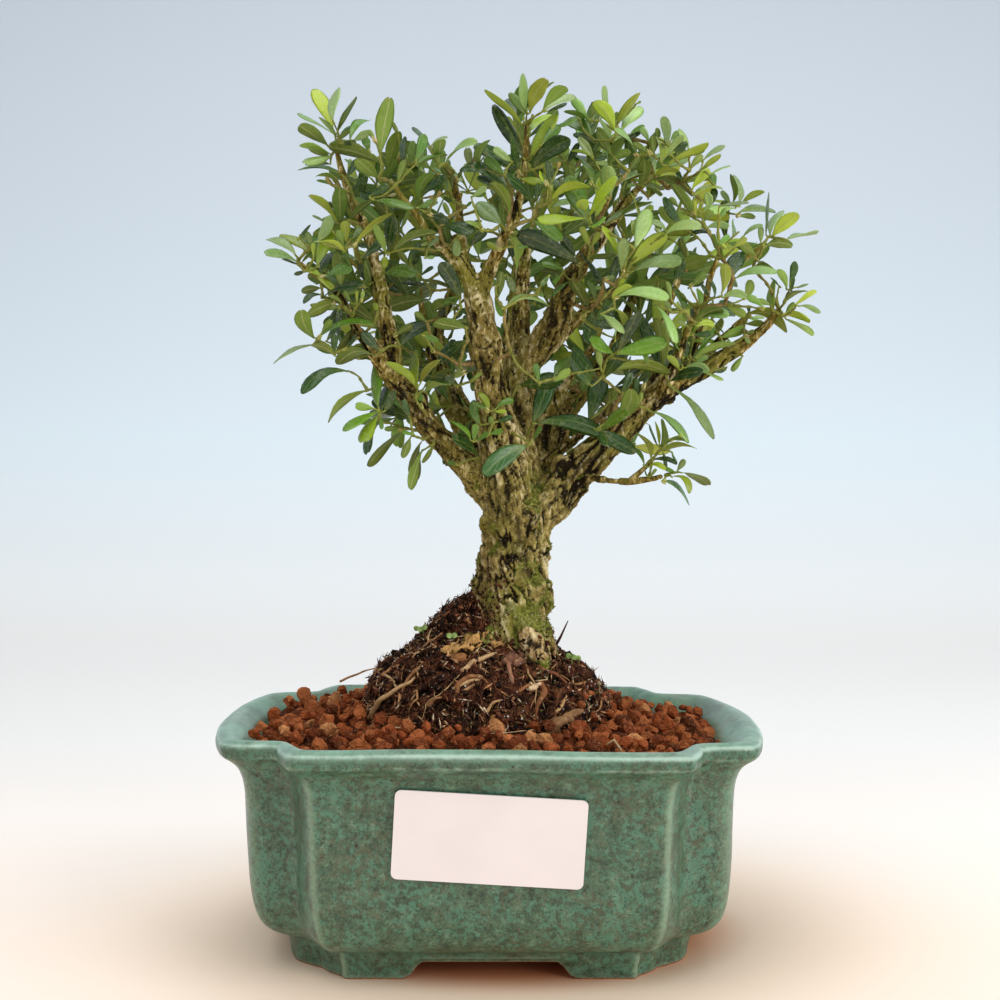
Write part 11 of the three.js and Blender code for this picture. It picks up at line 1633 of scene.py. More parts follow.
def build_wood():
    rng = np.random.default_rng(55)
    lines = wood_lines()
    solid = Batch()
    keep, thin = {}, {}
    for name, Q in lines.items():
        big = Q[:, 3] >= 1.0
        last = len(Q) if big.all() else int(np.argmin(big))
        if last >= 4:
            keep[name] = Q[:last]
            V, F = tube(Q[:last:2, :3] if last > 8 else Q[:last, :3], Q[:last:2, 3] if last > 8 else Q[:last, 3], 20)
            solid.add(V, F)
        if last < len(Q):
            thin[name] = Q[max(0, last - 3):]
    # knobs, healed cuts and short dead stubs
    knobs = [(unproj(585, 490, -3), 1.7, (1, 0.9, 0.9)), (unproj(485, 522, -5), 2.1, (0.8, 0.7, 1.4)), (unproj(521, 533, -8), 2.8, (0.9, 0.6, 1.2)), (unproj(546, 548, -4), 2.1, (0.7, 0.7, 2.0)),
             (unproj(497, 498, -4), 3.0, (1, 0.8, 0.9)), (unproj(500, 575, -8), 2.2, (0.7, 0.6, 1.6)), (unproj(556, 512, -5), 2.6, (1.1, 0.8, 1.0)), (unproj(539, 590, -7), 2.4, (0.8, 0.7, 1.5)),
             (unproj(512, 505, -9), 2.4, (0.8, 0.6, 1.3)), (unproj(483, 552, -4), 1.7, (0.7, 0.8, 1.3)), (unproj(549, 598, -2), 2.1, (0.7, 0.8, 2.3)),
             (unproj(478, 588, -3), 2.4, (0.8, 0.8, 1.5)), (unproj(526, 560, -8), 2.0, (0.6, 0.5, 1.8)), (unproj(507, 545, -8), 2.1, (0.6, 0.5, 1.9)), (unproj(532, 618, -8), 2.8, (0.9, 0.7, 1.3)),
             (unproj(471, 489, -3), 2.0, (1.1, 0.8, 0.8)), (unproj(572, 497, -2), 2.0, (1.2, 0.8, 0.9))]
    for k in range(46):                                     # long flakes of old bark over the trunk
        g, zz = rng.uniform(0, 6.28), rng.uniform(90, 124)
        T0 = lines["trunk"]
        i0 = int(np.argmin(np.abs(T0[:, 2] - zz)))
        R0 = T0[i0, 3]
        knobs.append((T0[i0, :3] + [math.cos(g) * R0 * 0.9, math.sin(g) * R0 * 0.9, 0], rng.uniform(1.0, 1.9), (0.55, 0.55, rng.uniform(1.6, 3.2))))
    for name, Q in keep.items():                            # swellings and old wounds along the limbs
        if name == "trunk" or name.startswith("root"):
            continue
        T, U, W = frames(Q[:, :3])
        k = 3
        while k < len(Q) - 2:
            r0, g = Q[k, 3], rng.uniform(0, 6.28)
            if r0 > 1.2 and Q[k, 2] < 222:
                out = math.cos(g) * U[k] + math.sin(g) * W[k]
                knobs.append((Q[k, :3] + out * r0 * rng.uniform(0.55, 0.9), r0 * rng.uniform(0.35, 0.62), (rng.uniform(0.7, 1.2), rng.uniform(0.7, 1.2), rng.uniform(0.9, 1.7))))
            k += int(rng.integers(2, 6))
    V0, F0 = ico(2)
    for p, s, st in knobs:
        solid.add(V0 * s * st * (1 + 0.12 * noise(V0, 1.7, 165))[:, None] + p, [F0])
    me = bpy.data.meshes.new("wood_rough")
    me.from_pydata((np.concatenate(solid.V) / 1000).tolist(), [], [f for F in solid.F for f in F.tolist()])
    o = bpy.data.objects.new("wood_rough", me)
    bpy.context.collection.objects.link(o)
    md = o.modifiers.new("r", "REMESH")
    md.mode, md.voxel_size = "VOXEL", (0.00059)
    dg = bpy.context.evaluated_depsgraph_get()
    em = o.evaluated_get(dg).to_mesh()
    n = len(em.vertices)
    V = np.zeros(n * 3, np.float32)
    em.vertices.foreach_get("co", V)
    V = V.reshape(-1, 3).astype(float) * 1000
    q = np.zeros(len(em.polygons) * 4, np.int32)
    em.polygons.foreach_get("vertices", q)
    q = q.reshape(-1, 4)
    E = np.zeros(len(em.edges) * 2, np.int32)
    em.edges.foreach_get("vertices", E)
    E = E.reshape(-1, 2)
    o.evaluated_get(dg).to_mesh_clear()
    bpy.data.objects.remove(o)
    deg = np.bincount(E.ravel(), minlength=n)[:, None]

    def relax(A, k):
        for _ in range(k):
            S = np.zeros_like(A)
            np.add.at(S, E[:, 0], A[E[:, 1]])
            np.add.at(S, E[:, 1], A[E[:, 0]])
            A = A * 0.4 + S / deg * 0.6
        return A
    V = relax(V, 6)
    nrm = np.zeros_like(V)
    fn = np.cross(V[q[:, 2]] - V[q[:, 0]], V[q[:, 3]] - V[q[:, 1]])
    for c in range(4):
        np.add.at(nrm, q[:, c], fn)
    nrm = unit(nrm)
    vol = (V[q[:, 0]] * fn).sum()
    if vol < 0:
        q, nrm = q[:, ::-1], -nrm
    # bark pattern laid along each limb, blended where limbs meet
    tot, disp, fis, rad, rel_ = np.zeros(n), np.zeros(n), np.zeros(n), np.zeros(n), np.zeros(n)
    for bi, (name, Q) in enumerate(keep.items()):
        lo, hi = Q[:, :3].min(0) - Q[:, 3].max() * 2.2, Q[:, :3].max(0) + Q[:, 3].max() * 2.2
        idx = np.nonzero(((V > lo) & (V < hi)).all(1))[0]
        if not len(idx):
            continue
        T, U, W = frames(Q[:, :3])
        s = np.concatenate([[0], np.cumsum(np.linalg.norm(np.diff(Q[:, :3], axis=0), axis=1))])
        P = V[idx]
        best, arg = np.full(len(idx), 1e9), np.zeros(len(idx), int)
        for a0 in range(0, len(Q), 64):
            D = np.linalg.norm(P[:, None] - Q[None, a0:a0 + 64, :3], axis=2) / Q[None, a0:a0 + 64, 3]
            m0 = D.argmin(1)
            dm = D[np.arange(len(P)), m0]
            w = dm < best
            best[w], arg[w] = dm[w], m0[w] + a0
        ok = best < 1.9
        idx, P, arg, best = idx[ok], P[ok], arg[ok], best[ok]
        if not len(idx):
            continue
        rel = P - Q[arg, :3]
        sl = s[arg] + (rel * T[arg]).sum(1)
        x, y = (rel * U[arg]).sum(1), (rel * W[arg]).sum(1)
        r = Q[arg, 3]
        twist = sl * 0.035
        x, y = x * np.cos(twist) - y * np.sin(twist), x * np.sin(twist) + y * np.cos(twist)
        L = np.stack([x, y, sl * 0.26 + bi * 31.0], -1)
        L = L + 2.6 * np.stack([noise(L, 0.15, 170), noise(L, 0.15, 171), noise(L, 0.15, 172)], -1) + 0.7 * np.stack([noise(L, 0.55, 167), noise(L, 0.55, 168), noise(L, 0.55, 169)], -1)
        deep = 0.35 + 0.9 * np.clip(noise(L, 0.11, 166) + 0.45, 0, 1)
        wide = 0.10 + 0.16 * np.clip(noise(L, 0.19, 165) + 0.5, 0, 1)
        crack = smooth01(wide - np.abs(noise(L, 0.36, 173)), 0, wide) * deep
        crack2 = smooth01(0.13 - np.abs(noise(L, 0.85, 174)), 0, 0.13) * 0.5
        plate = noise(np.stack([x, y, sl * 0.8 + bi * 17.0], -1), 0.75, 175)
        strip = noise(np.stack([x * 1.25, y * 1.25, sl * 0.16 + bi * 11.0], -1) + 0.5 * L * [0, 0, 0.1], 0.6, 164)
        amp = np.clip(0.14 + 0.125 * r, 0.18, 1.05)
        dd = amp * (0.75 * noise(L, 0.17, 176) + 0.6 * strip + 0.3 * plate + 0.3 * noise(L, 1.7, 177) - 1.2 * crack - 0.7 * crack2)
        # old leaf and twig scars ring the thinner limbs
        ringv = smooth01(np.abs(np.mod(sl + 1.5 * noise(L, 0.1, 178), 5.2) - 2.6), 2.0, 2.6)
        dd = dd + ringv * np.clip(1.2 - r * 0.16, 0, 0.5) * 0.3
        w = np.exp(-7.0 * (best - 1.0))
        tot[idx] += w
        disp[idx] += w * dd
        fis[idx] += w * np.clip(crack + crack2, 0, 1)
        rad[idx] += w * r
        rel_[idx] += w * dd / amp
    tot = np.maximum(tot, 1e-9)
    disp, fis, rad, rel_ = disp / tot, fis / tot, rad / tot, rel_ / tot
    tips = smooth01(V[:, 2], 66, 70)
    V = V + nrm * (disp * tips)[:, None]
    V = V + nrm * ((0.035 + 0.012 * rad) * noise(V, 1.4, 180) + 0.25 * noise(V, 0.16, 181) * np.clip(rad / 5, 0, 1))[:, None]
    spots = fbm(V, 0.17, 3, 182)
    moss = smooth01(spots + 0.25 * nrm[:, 2] + 0.2 * fis - 0.006 * (V[:, 2] - 100), 0.02, 0.5)
    low = smooth01(np.hypot(V[:, 0] - unproj(531, 600, -6)[0], (V[:, 2] - 93) * 0.5), 11, 3) * smooth01(V[:, 2], 120, 96) * (V[:, 1] < 5) * smooth01(spots, -0.5, 0.15)
    moss = np.clip(moss * (0.35 + 0.65 * smooth01(V[:, 2], 175, 125)) * smooth01(rad, 1.5, 3.5) + low, 0, 1)
    pu, pv = seen_at(V)
    flare = smooth01(1 - np.hypot((pu - 534 - 0.35 * (pv - 645)) / 17, (pv - 645) / 22), 0, 0.45) * (V[:, 1] < 3)
    V = V + nrm * (0.9 * flare * (0.6 + 0.6 * noise(V * [1, 1, 0.5], 0.6, 187)))[:, None]
    moss = moss * (1 - 0.95 * flare)
    # painted shade: the left side of the lower trunk, as the camera sees it, is marked for darkening
    left_shade = smooth01(pu + 5 * noise(V, 0.3, 188), 514, 486) * smooth01(pv, 492, 535) * smooth01(V[:, 2], 150, 132)
    global WOOD_P, WOOD_N
    WOOD_P, WOOD_N = V.copy(), nrm.copy()
    b = Batch()
    b.add(V, [q], 0, pa={"fissure": fis, "moss": moss, "girth": rad, "tone": fbm(V, 0.09, 2, 183), "relief": rel_, "flare": flare, "left_shade": left_shade})
    # thin ends
    for name, Q in thin.items():
        P = Q[::2] if len(Q) > 5 else Q
        if len(P) < 2:
            continue
        Vt, Ft = tube(P[:, :3], P[:, 3] * (1 + 0.1 * noise(P[:, :3], 0.7, 184)), 10)
        b.add(Vt, Ft, 0, pa={"girth": np.full(len(Vt), 0.9), "tone": noise(Vt, 0.09, 183), "fissure": np.clip(noise(Vt, 1.2, 185), 0, 1) * 0.4})
    # stubs of old twigs
    stubs = [([unproj(358, 268, 0), unproj(353, 262, 0), unproj(349, 258, 0)], 0.6), ([unproj(746, 258, 0), unproj(754, 252, 0), unproj(763, 247, 0)], 0.8)]
    for P, r in stubs:
        Vt, Ft = tube(curve_points(np.array(P), 0.8), r, 8)
        b.add(Vt, Ft, 0, pa={"girth": np.full(len(Vt), 0.7), "tone": np.full(len(Vt), 0.4)})
    for name, Q in keep.items():
        if name.startswith("root") or name == "trunk":
            continue
        T, U, W = frames(Q[:, :3])
        for k in range(4, len(Q) - 4, 7):
            if rng.random() < 0.5 and 1.0 < Q[k, 3] < 5:
                g = rng.uniform(0, 6.28)
                out = unit(math.cos(g) * U[k] + math.sin(g) * W[k] + T[k] * 0.5)
                p = Q[k, :3] + out * Q[k, 3] * 0.85
                L = rng.uniform(0.6, 2.2)
                Vt, Ft = tube(curve_points(np.array([p, p + out * L * 0.6, p + out * L + [0, 0, 0.2]]), 0.8), rng.uniform(0.25, 0.5), 7)
                b.add(Vt, Ft, 0, pa={"girth": np.full(len(Vt), 0.8), "tone": np.full(len(Vt), rng.uniform(-0.4, 0.5))})
    # moss tufts on the trunk
    sel = np.nonzero(rng.random(n) < np.clip(moss - 0.4, 0, 1) * 0.45)[0]
    sel = rng.permutation(sel)[:5000]
    Vm, Fm = blades(rng, V[sel], unit(nrm[sel] + [0, 0, 0.6]), 0.85, 0.34)
    cm = np.array([srgb(*MOSS_COLS[t]) for t in rng.integers(0, len(MOSS_COLS), len(sel))]) * rng.uniform(0.6, 1.2, (len(sel), 1))
    b.add(Vm, Fm, 1, pa={"tintcol": np.repeat(cm, 4, 0)})
    print("wood", b.tris())
    return b.obj("trunk_and_limbs", [BARK_MAT.m, MOSS_MAT.m], replaces=["trunk_and_branches"])


BARK_MAT = Mat("box_bark", rough=0.85, spec=0.10)
m = BARK_MAT
v = m.coord()
n0 = m.noise(v, 70, 2.0, 0.55)
n1 = m.noise(v, 420, 3.5, 0.65)
n2 = m.noise(v, 1400, 2.0, 0.6)
n3 = m.noise(m.coord((1, 1, 0.33)), 900, 3.0, 0.6, 0.5)
girth, tone, fis, moss = m.attr("girth"), m.attr("tone"), m.attr("fissure"), m.attr("moss")
old = m.ramp(n1, [(0.30, srgb(*BARK_OLD[0])), (0.45, srgb(*BARK_OLD[1])), (0.58, srgb(*BARK_OLD[2])), (0.72, srgb(*BARK_OLD[3]))])
young = m.ramp(n3, [(0.28, srgb(*BARK_YOUNG[0])), (0.46, srgb(*BARK_YOUNG[1])), (0.62, srgb(*BARK_YOUNG[2])), (0.76, srgb(*BARK_YOUNG[3]))])
c = m.mix(m.step(girth, 2.0, 6.5), young, old)
c = m.mix(m.math("MULTIPLY", m.step(m.math("ADD", tone, m.math("MULTIPLY_ADD", n0, 1.4, -0.7)), -0.1, 0.5), 0.55), c, srgb(*BARK_OLIVE))
c = m.mix(m.math("MULTIPLY", m.ramp(n3, [(0.55, 0.0), (0.72, 1.0)]), 0.62), c, srgb(*BARK_PALE_AND_HIGHLIGHT))
bare = m.step(m.math("ADD", m.attr("flare"), m.math("MULTIPLY_ADD", n1, 0.8, -0.4)), 0.25, 0.6)
c = m.mix(m.math("MULTIPLY", bare, 0.85), c, m.ramp(n3, [(0.32, srgb(140, 106, 64)), (0.5, srgb(190, 160, 110)), (0.68, srgb(222, 204, 160))]))
relief = m.attr("relief")
# raised bark paler: weathered plates, with a painted highlight on them
c = m.mix(m.math("MULTIPLY", m.step(relief, 0.12, 0.82), 0.78), c, srgb(*BARK_PALE_AND_HIGHLIGHT))
# painted shade darkening the trunk's left side
c = m.mix(m.math("MULTIPLY", m.attr("left_shade"), 0.62), c, m.mix(1.0, c, (0.50, 0.40, 0.36), "MULTIPLY"))
# recesses and fissures near black: dark fissure bark, with painted shade in them
c = m.mix(m.math("MULTIPLY", m.step(relief, -0.05, -0.9), 0.82), c, srgb(*BARK_CRACK_AND_SHADE))
c = m.mix(m.math("MULTIPLY", m.step(fis, 0.10, 0.7), 0.85), c, srgb(*BARK_CRACK_AND_SHADE))
mm = m.step(m.math("ADD", moss, m.math("MULTIPLY_ADD", n1, 1.3, -0.65)), 0.30, 0.70)
c = m.mix(m.math("MULTIPLY", mm, 0.72), c, m.ramp(n2, [(0.3, srgb(64, 74, 20)), (0.7, srgb(128, 138, 50))]))
c = m.mix(m.ramp(n2, [(0.63, 0.0), (0.75, 0.55)]), c, srgb(220, 210, 172))
m.color(c)
m.rough(m.math("MULTIPLY_ADD", n1, 0.25, 0.68))
m.bump((n1, 0.35), (n3, 0.3), (n2, 0.12))
build_wood()

# ---------------------------------------------------------------- the root ball: wet peat, moss and fine roots
def build_mound():
    rng = np.random.default_rng(91)
    b = Batch()
    na, Z = 292, np.concatenate([[42.0], np.linspace(56, 99.6, 95)])
    a = np.linspace(0, 2 * math.pi, na, endpoint=False)
    A, ZZ = np.meshgrid(a, Z)
    P = ball_point(A, ZZ)
    cx, rx, cy, ry = ball_at(ZZ)
    N = unit(np.stack([np.cos(A) * ry, np.sin(A) * rx, 0.35 * np.ones_like(A) * rx], -1))
    fib = 1 - np.abs(noise(P * [1, 1, 0.45], 0.62, 73)) * 2
    d = 1.25 * fbm(P, 0.28, 3, 75) + 0.75 * fib * np.clip(noise(P, 0.12, 77) + 0.6, 0, 1) + 0.62 * noise(P, 1.15, 79) + 0.34 * noise(P, 2.3, 80)
    pit = smooth01(noise(P, 0.2, 81), 0.25, 0.6)
    d = d - pit * 1.6
    edge = smooth01(ZZ, 56, 59.5) * smooth01(ZZ, 99.6, 97.5)
    P = P + N * (d * edge)[..., None]
    n = na
    k = len(Z)
    V = np.vstack([P.reshape(-1, 3), [[-1, 0, 42], [2.2, 3, 99.9]]])
    i, j = np.meshgrid(np.arange(k - 1), np.arange(n), indexing="ij")
    j2 = (j + 1) % n
    jj = np.arange(n)
    tone = fbm(P, 0.16, 3, 83).reshape(-1)
    base = srgb(*PEAT_MID) * (1 - smooth01(tone, -0.5, 0.1))[:, None] + srgb(*PEAT_RED) * smooth01(tone, -0.5, 0.1)[:, None]
    ochre = smooth01(fbm(P, 0.22, 2, 85).reshape(-1), 0.18, 0.55)[:, None]
    base = base * (1 - ochre * 0.4) + srgb(*PEAT_OCHRE) * ochre * 0.4
    # painted shade: the peat is darker the deeper the surface sinks in
    base = base * (1 - 0.88 * smooth01(-d.reshape(-1), -0.45, 0.9))[:, None]
    col = np.vstack([base, base[:1], base[-1:]])
    b.add(V, [np.stack([i * n + j, i * n + j2, (i + 1) * n + j2, (i + 1) * n + j], -1).reshape(-1, 4),
              np.stack([np.full(n, k * n), (jj + 1) % n, jj], -1), np.stack([np.full(n, k * n + 1), (k - 1) * n + jj, (k - 1) * n + (jj + 1) % n], -1)],
          0, pa={"tintcol": col})
    shown = (ZZ > 60) & (ZZ < 97)
    PP, NN = P[shown], N[shown]

    def pick(m, lo=None):
        q = rng.integers(0, len(PP), m)
        return PP[q], NN[q]
    b0, b1 = ico(0), ico(1)

    # peat crumbs, then slivers of bark and peat fibre
    tones = [PEAT_MID, PEAT_RED, PEAT_DARK, (96, 58, 40), (30, 18, 12)]

    def crumb(q, mm, s, c, sink=0.25):
        ball = b1 if s > 1.5 else b0
        V1 = granule(rng, 1, ball) * s
        b.add(V1 + q + mm * s * sink, [ball[1]], 0, pa={"tintcol": srgb(*c) * rng.uniform(0.55, 1.35)})
    Q, M = pick(760)
    for q, mm in zip(Q, M):
        crumb(q, mm, rng.uniform(0.4, 1.35), tones[rng.choice(5, p=[0.3, 0.2, 0.25, 0.12, 0.13])])
    for m_, ln, wd, cc in ((1700, 2.5, 0.60, [(60, 34, 24), (84, 48, 34), (36, 20, 13)]), (1050, 3.1, 0.50, [(150, 98, 66), (118, 72, 48), (100, 58, 40)]), (900, 3.2, 0.50, [(232, 184, 134), (206, 150, 106), (250, 226, 186)])):
        Q, M = pick(m_)
        Vc, Fc = chips(rng, Q, M, ln, wd)
        cm = np.array([srgb(*cc[t]) for t in rng.integers(0, len(cc), m_)]) * rng.uniform(0.6, 1.3, (m_, 1))
        b.add(Vc, Fc, 0, pa={"tintcol": np.repeat(cm, 6, 0)})
    # the crumbly lump that leans on the trunk, and peat left on the bark
    for t in range(150):
        u, w = rng.uniform(438, 476), rng.uniform(599, 632)
        if w < 598 + abs(u - 460) * 0.9:
            continue
        c = unproj(u, w, rng.uniform(-6, 6))
        crumb(c, np.array([0, 0, 0.0]), rng.uniform(0.8, 2.0), tones[rng.choice(5, p=[0.25, 0.4, 0.15, 0.15, 0.05])])
        K = unit(rng.normal(size=(7, 3)) * [1, 1, 0.8] + [0, -0.4, 0.3])
        Vc, Fc = chips(rng, c + K * 1.6, K, 2.2, 0.6)
        b.add(Vc, Fc, 0, pa={"tintcol": np.repeat(np.array([srgb(*[(60, 34, 24), (98, 56, 38), (150, 96, 66)][q]) for q in rng.integers(0, 3, 7)]) * rng.uniform(0.6, 1.2, (7, 1)), 6, 0)})
    side = smooth01(WOOD_P[:, 0], 9, -1) * smooth01(WOOD_P[:, 2], 108, 97) + smooth01(WOOD_P[:, 2], 91, 85) * 0.5
    side = side * (WOOD_P[:, 2] > 78) * (0.4 + 0.9 * np.clip(noise(WOOD_P, 0.3, 86) + 0.2, 0, 1))
    sel = rng.permutation(np.nonzero(rng.random(len(WOOD_P)) < np.clip(side, 0, 1) * 0.10)[0])[:230]
    for k in sel:
        crumb(WOOD_P[k], WOOD_N[k], rng.uniform(0.3, 0.95), tones[rng.choice(5, p=[0.2, 0.4, 0.15, 0.2, 0.05])], -0.25)
    bark = rng.permutation(np.nonzero(rng.random(len(WOOD_P)) < np.clip(side, 0, 1) * 0.3)[0])[:900]
    Vc, Fc = chips(rng, WOOD_P[bark], WOOD_N[bark], 1.7, 0.5)
    cm = np.array([srgb(*tones[t]) for t in rng.integers(0, 4, len(bark))]) * rng.uniform(0.6, 1.5, (len(bark), 1))
    b.add(Vc, Fc, 0, pa={"tintcol": np.repeat(cm, 6, 0)})
    # a few granules that rolled onto the slope
    Q, M = pick(60)
    for q, mm in zip(Q, M):
        if q[2] < 72:
            b.add(granule(rng, 1, b1) * rng.uniform(1.0, 1.9) + q + mm * 0.5, [b1[1]], 0, pa={"tintcol": srgb(*SOIL_COLS[rng.integers(0, 3)]) * rng.uniform(0.7, 1.1)})
    # white specks: bits of perlite, and painted glints on the wet peat
    Q, M = pick(760)
    for q, mm in zip(Q, M):
        s = rng.uniform(0.12, 0.38)
        b.add(blob(rng, b0, s) + q + mm * (s * 0.6 + 0.15), [b0[1]], 0, pa={"tintcol": srgb(226, 220, 208)})
    # fine roots creeping over the surface
    for t in range(150):
        q = rng.integers(0, len(PP))
        az = math.atan2(PP[q][1], PP[q][0])
        z = PP[q][2]
        pts = []
        da, dz = rng.normal() * 0.035, -abs(rng.normal()) * 0.9 + 0.15
        for s in range(rng.integers(8, 22)):
            if z < 59.5 or z > 96:
                break
            pts.append(ball_point(np.array(az), np.array(z), 0.35 + 0.5 * math.sin(s * 0.5)))
            az += da + rng.normal() * 0.015
            z += dz + rng.normal() * 0.25
            da, dz = da * 0.97 + rng.normal() * 0.008, dz * 0.97 + rng.normal() * 0.12
        if len(pts) > 4:
            c = [(170, 124, 80), (138, 90, 56), (204, 166, 118), (104, 62, 38), (222, 192, 148)][rng.integers(0, 5)]
            grow_root(b, pts, rng.uniform(0.16, 0.42), srgb(*c), 5, t)
    # fine fibres that stick out
    Q, M = pick(260)
    for t, (q, mm) in enumerate(zip(Q, M)):
        L = rng.uniform(1.2, 3.6)
        side = unit(np.cross(mm, rng.normal(size=3)))
        pts = [q - mm * 0.3, q + mm * L * 0.3 + side * L * 0.25, q + mm * L * 0.45 + side * L * 0.6, q + mm * L * 0.35 + side * L]
        V, F = tube(curve_points(np.array(pts), 1.2), rng.uniform(0.07, 0.13), 4)
        b.add(V, F, 1, pa={"tintcol": srgb(*[(112, 76, 48), (70, 42, 26), (160, 124, 84)][rng.integers(0, 3)])})
    # the roots that stand out on the front
    grow_root(b, drape([(500, 638), (486, 643), (468, 648), (450, 650), (432, 655)], [-0.8, -0.5, -0.3, -0.6, -1.2]), 3.0, srgb(208, 162, 96), 20, 1, 0.4, 0.7)
    grow_root(b, drape([(506, 629), (488, 634), (470, 640), (456, 644)], [-0.2, 0.1, 0.0, -0.5]), 1.9, srgb(112, 98, 44), 14, 13, 0.45, 0.7)
    V, F = ico(2)
    for (u, w), s, c, st in (((461, 659), 2.4, (150, 100, 58), (1.2, 0.8, 0.7)), ((511, 659), 2.3, (128, 84, 66), (1.1, 0.7, 0.8)), ((518, 662), 2.0, (140, 98, 76), (1.0, 0.7, 0.9)), ((507, 664), 1.5, (112, 72, 54), (1.2, 0.7, 0.8)), ((522, 656), 1.6, (150, 110, 84), (0.9, 0.7, 0.9)), ((514, 654), 1.4, (120, 80, 60), (1.2, 0.7, 0.7))):
        P0 = V * s * st
        P0 = P0 * (1 + 0.26 * noise(P0 + u, 0.5, 151) + 0.2 * noise(P0 + u, 1.3, 152))[:, None]
        b.add(P0 + on_ball(u, w, -0.1), [F], 0 if c[0] < 80 else 1, pa={"tintcol": srgb(*c) * (1 + 0.25 * noise(P0, 0.9, 153))[:, None]})
    grow_root(b, drape([(462, 671), (474, 662), (488, 656), (503, 651)], [0.5, 1.0, 1.0, 0.4]), 0.8, srgb(196, 160, 116), 9, 2)
    grow_root(b, drape([(456, 696), (460, 684), (474, 677), (486, 681), (488, 690)], [0.2, 1.6, 2.0, 1.5, 0.2]), 0.75, srgb(150, 100, 62), 9, 3)
    grow_root(b, drape([(371, 719), (384, 703), (397, 692), (408, 684), (415, 677)], [0.6, 1.6, 1.7, 1.1, 0.2]), 0.85, srgb(198, 160, 112), 9, 4)
    for k, (uv, r, c) in enumerate(((([(453, 690), (466, 683), (480, 680), (489, 682)]), 0.62, (214, 176, 128)), (([(460, 695), (471, 687), (481, 684)]), 0.5, (196, 150, 104)), (([(468, 682), (478, 676), (486, 679)]), 0.45, (222, 190, 146)),
                                    (([(428, 707), (436, 699), (446, 697)]), 0.5, (176, 126, 84)), (([(512, 700), (520, 690), (531, 684)]), 0.5, (158, 106, 68)), (([(556, 712), (562, 702), (566, 690)]), 0.45, (206, 164, 112)),
                                    (([(398, 712), (402, 700), (399, 690)]), 0.5, (184, 134, 88)), (([(384, 675), (396, 668), (407, 664)]), 0.55, (176, 122, 80)), (([(486, 712), (493, 703), (501, 700)]), 0.45, (190, 146, 98)),
                                    (([(531, 690), (538, 684), (541, 684)]), 1.0, (226, 196, 156)))):
        grow_root(b, drape(uv, [0.2] + [0.9] * (len(uv) - 2) + [0.5]), r * 1.15, srgb(*c), 7, 20 + k, 0.5, 0.2)
    grow_root(b, drape([(546, 729), (556, 724), (568, 716), (579, 711)], [0.4, 1.6, 2.0, 1.4]), 1.9, srgb(150, 112, 74), 14, 16, 0.25, 0.3)
    grow_root(b, drape([(508, 632), (522, 638), (538, 648), (551, 664)], [0.6, 1.6, 1.6, 0.1]), 1.8, srgb(206, 178, 134), 14, 5, 0.35, 0.45)
    grow_root(b, drape([(520, 630), (534, 636), (546, 646), (553, 656)], [1.4, 2.4, 2.2, 0.6]), 1.3, srgb(178, 146, 102), 12, 14, 0.35, 0.45)
    grow_root(b, drape([(512, 640), (524, 648), (533, 658), (536, 670)], [0.6, 1.3, 1.2, 0.1]), 1.3, srgb(190, 154, 112), 12, 15, 0.35, 0.45)
    grow_root(b, drape([(540, 683), (542, 694), (537, 705), (535, 718)], [0.3, 1.2, 1.2, 0.2]), 0.95, srgb(138, 88, 54), 9, 6)
    grow_root(b, drape([(502, 655), (508, 668), (512, 682), (506, 696)], [0.6, 0.9, 0.8, 0.1]), 0.7, srgb(160, 110, 84), 9, 7)
    grow_root(b, drape([(529, 656), (540, 668), (556, 676), (572, 690)], [0.5, 0.9, 0.8, 0.1]), 0.7, srgb(128, 80, 52), 9, 8)
    grow_root(b, drape([(340, 681), (352, 676), (365, 671), (379, 667)], [1.6, 1.2, 0.9, 0.2]), 0.36, srgb(168, 122, 84), 7, 9)
    grow_root(b, drape([(424, 664), (412, 676), (404, 690), (402, 704)], [0.4, 0.8, 0.8, 0.1]), 0.55, srgb(142, 98, 60), 7, 10)
    grow_root(b, [on_ball(553, 648, 0.2), on_ball(553, 648, 1.0) + [1.0, -0.6, 3.0], on_ball(553, 648, 1.0) + [3.2, -0.8, 7.6]], 0.5, srgb(70, 44, 30), 7, 11)
    s0 = unproj(614, 740, -36)
    grow_root(b, [s0 + [-1.5, 2, -1.5], s0, s0 + [1.6, 0.3, -2.4], s0 + [2.2, 1.2, -4.6]], 0.42, srgb(206, 178, 132), 7, 12, 0.8)
    # moss
    kx = on_ball(526, 600)[0]
    moss = smooth01(fbm(PP, 0.11, 2, 93), 0.12, 0.5) * 0.55
    moss = moss + 0.5 * smooth01(np.hypot(PP[:, 0] - kx, PP[:, 2] - 88), 12, 5) * (PP[:, 1] < 6) + smooth01(np.hypot(PP[:, 0] - on_ball(532, 727)[0], PP[:, 2] - 69.5), 6, 2) * (PP[:, 1] < 0)
    moss = moss + smooth01(PP[:, 1], 2, 22) * smooth01(PP[:, 2], 78, 64) * 0.5
    sel = np.nonzero(rng.random(len(PP)) < np.clip(moss, 0, 1) * 0.30)[0]
    sel = rng.permutation(sel)[:3200]
    Vm, Fm = blades(rng, PP[sel] + NN[sel] * 0.1, unit(NN[sel] + [0, 0, 0.5]), 1.15, 0.42)
    cm = np.array([srgb(*MOSS_COLS[q]) for q in rng.integers(0, len(MOSS_COLS), len(sel))]) * rng.uniform(0.6, 1.25, (len(sel), 1))
    b.add(Vm, Fm, 2, pa={"tintcol": np.repeat(cm, 4, 0)})
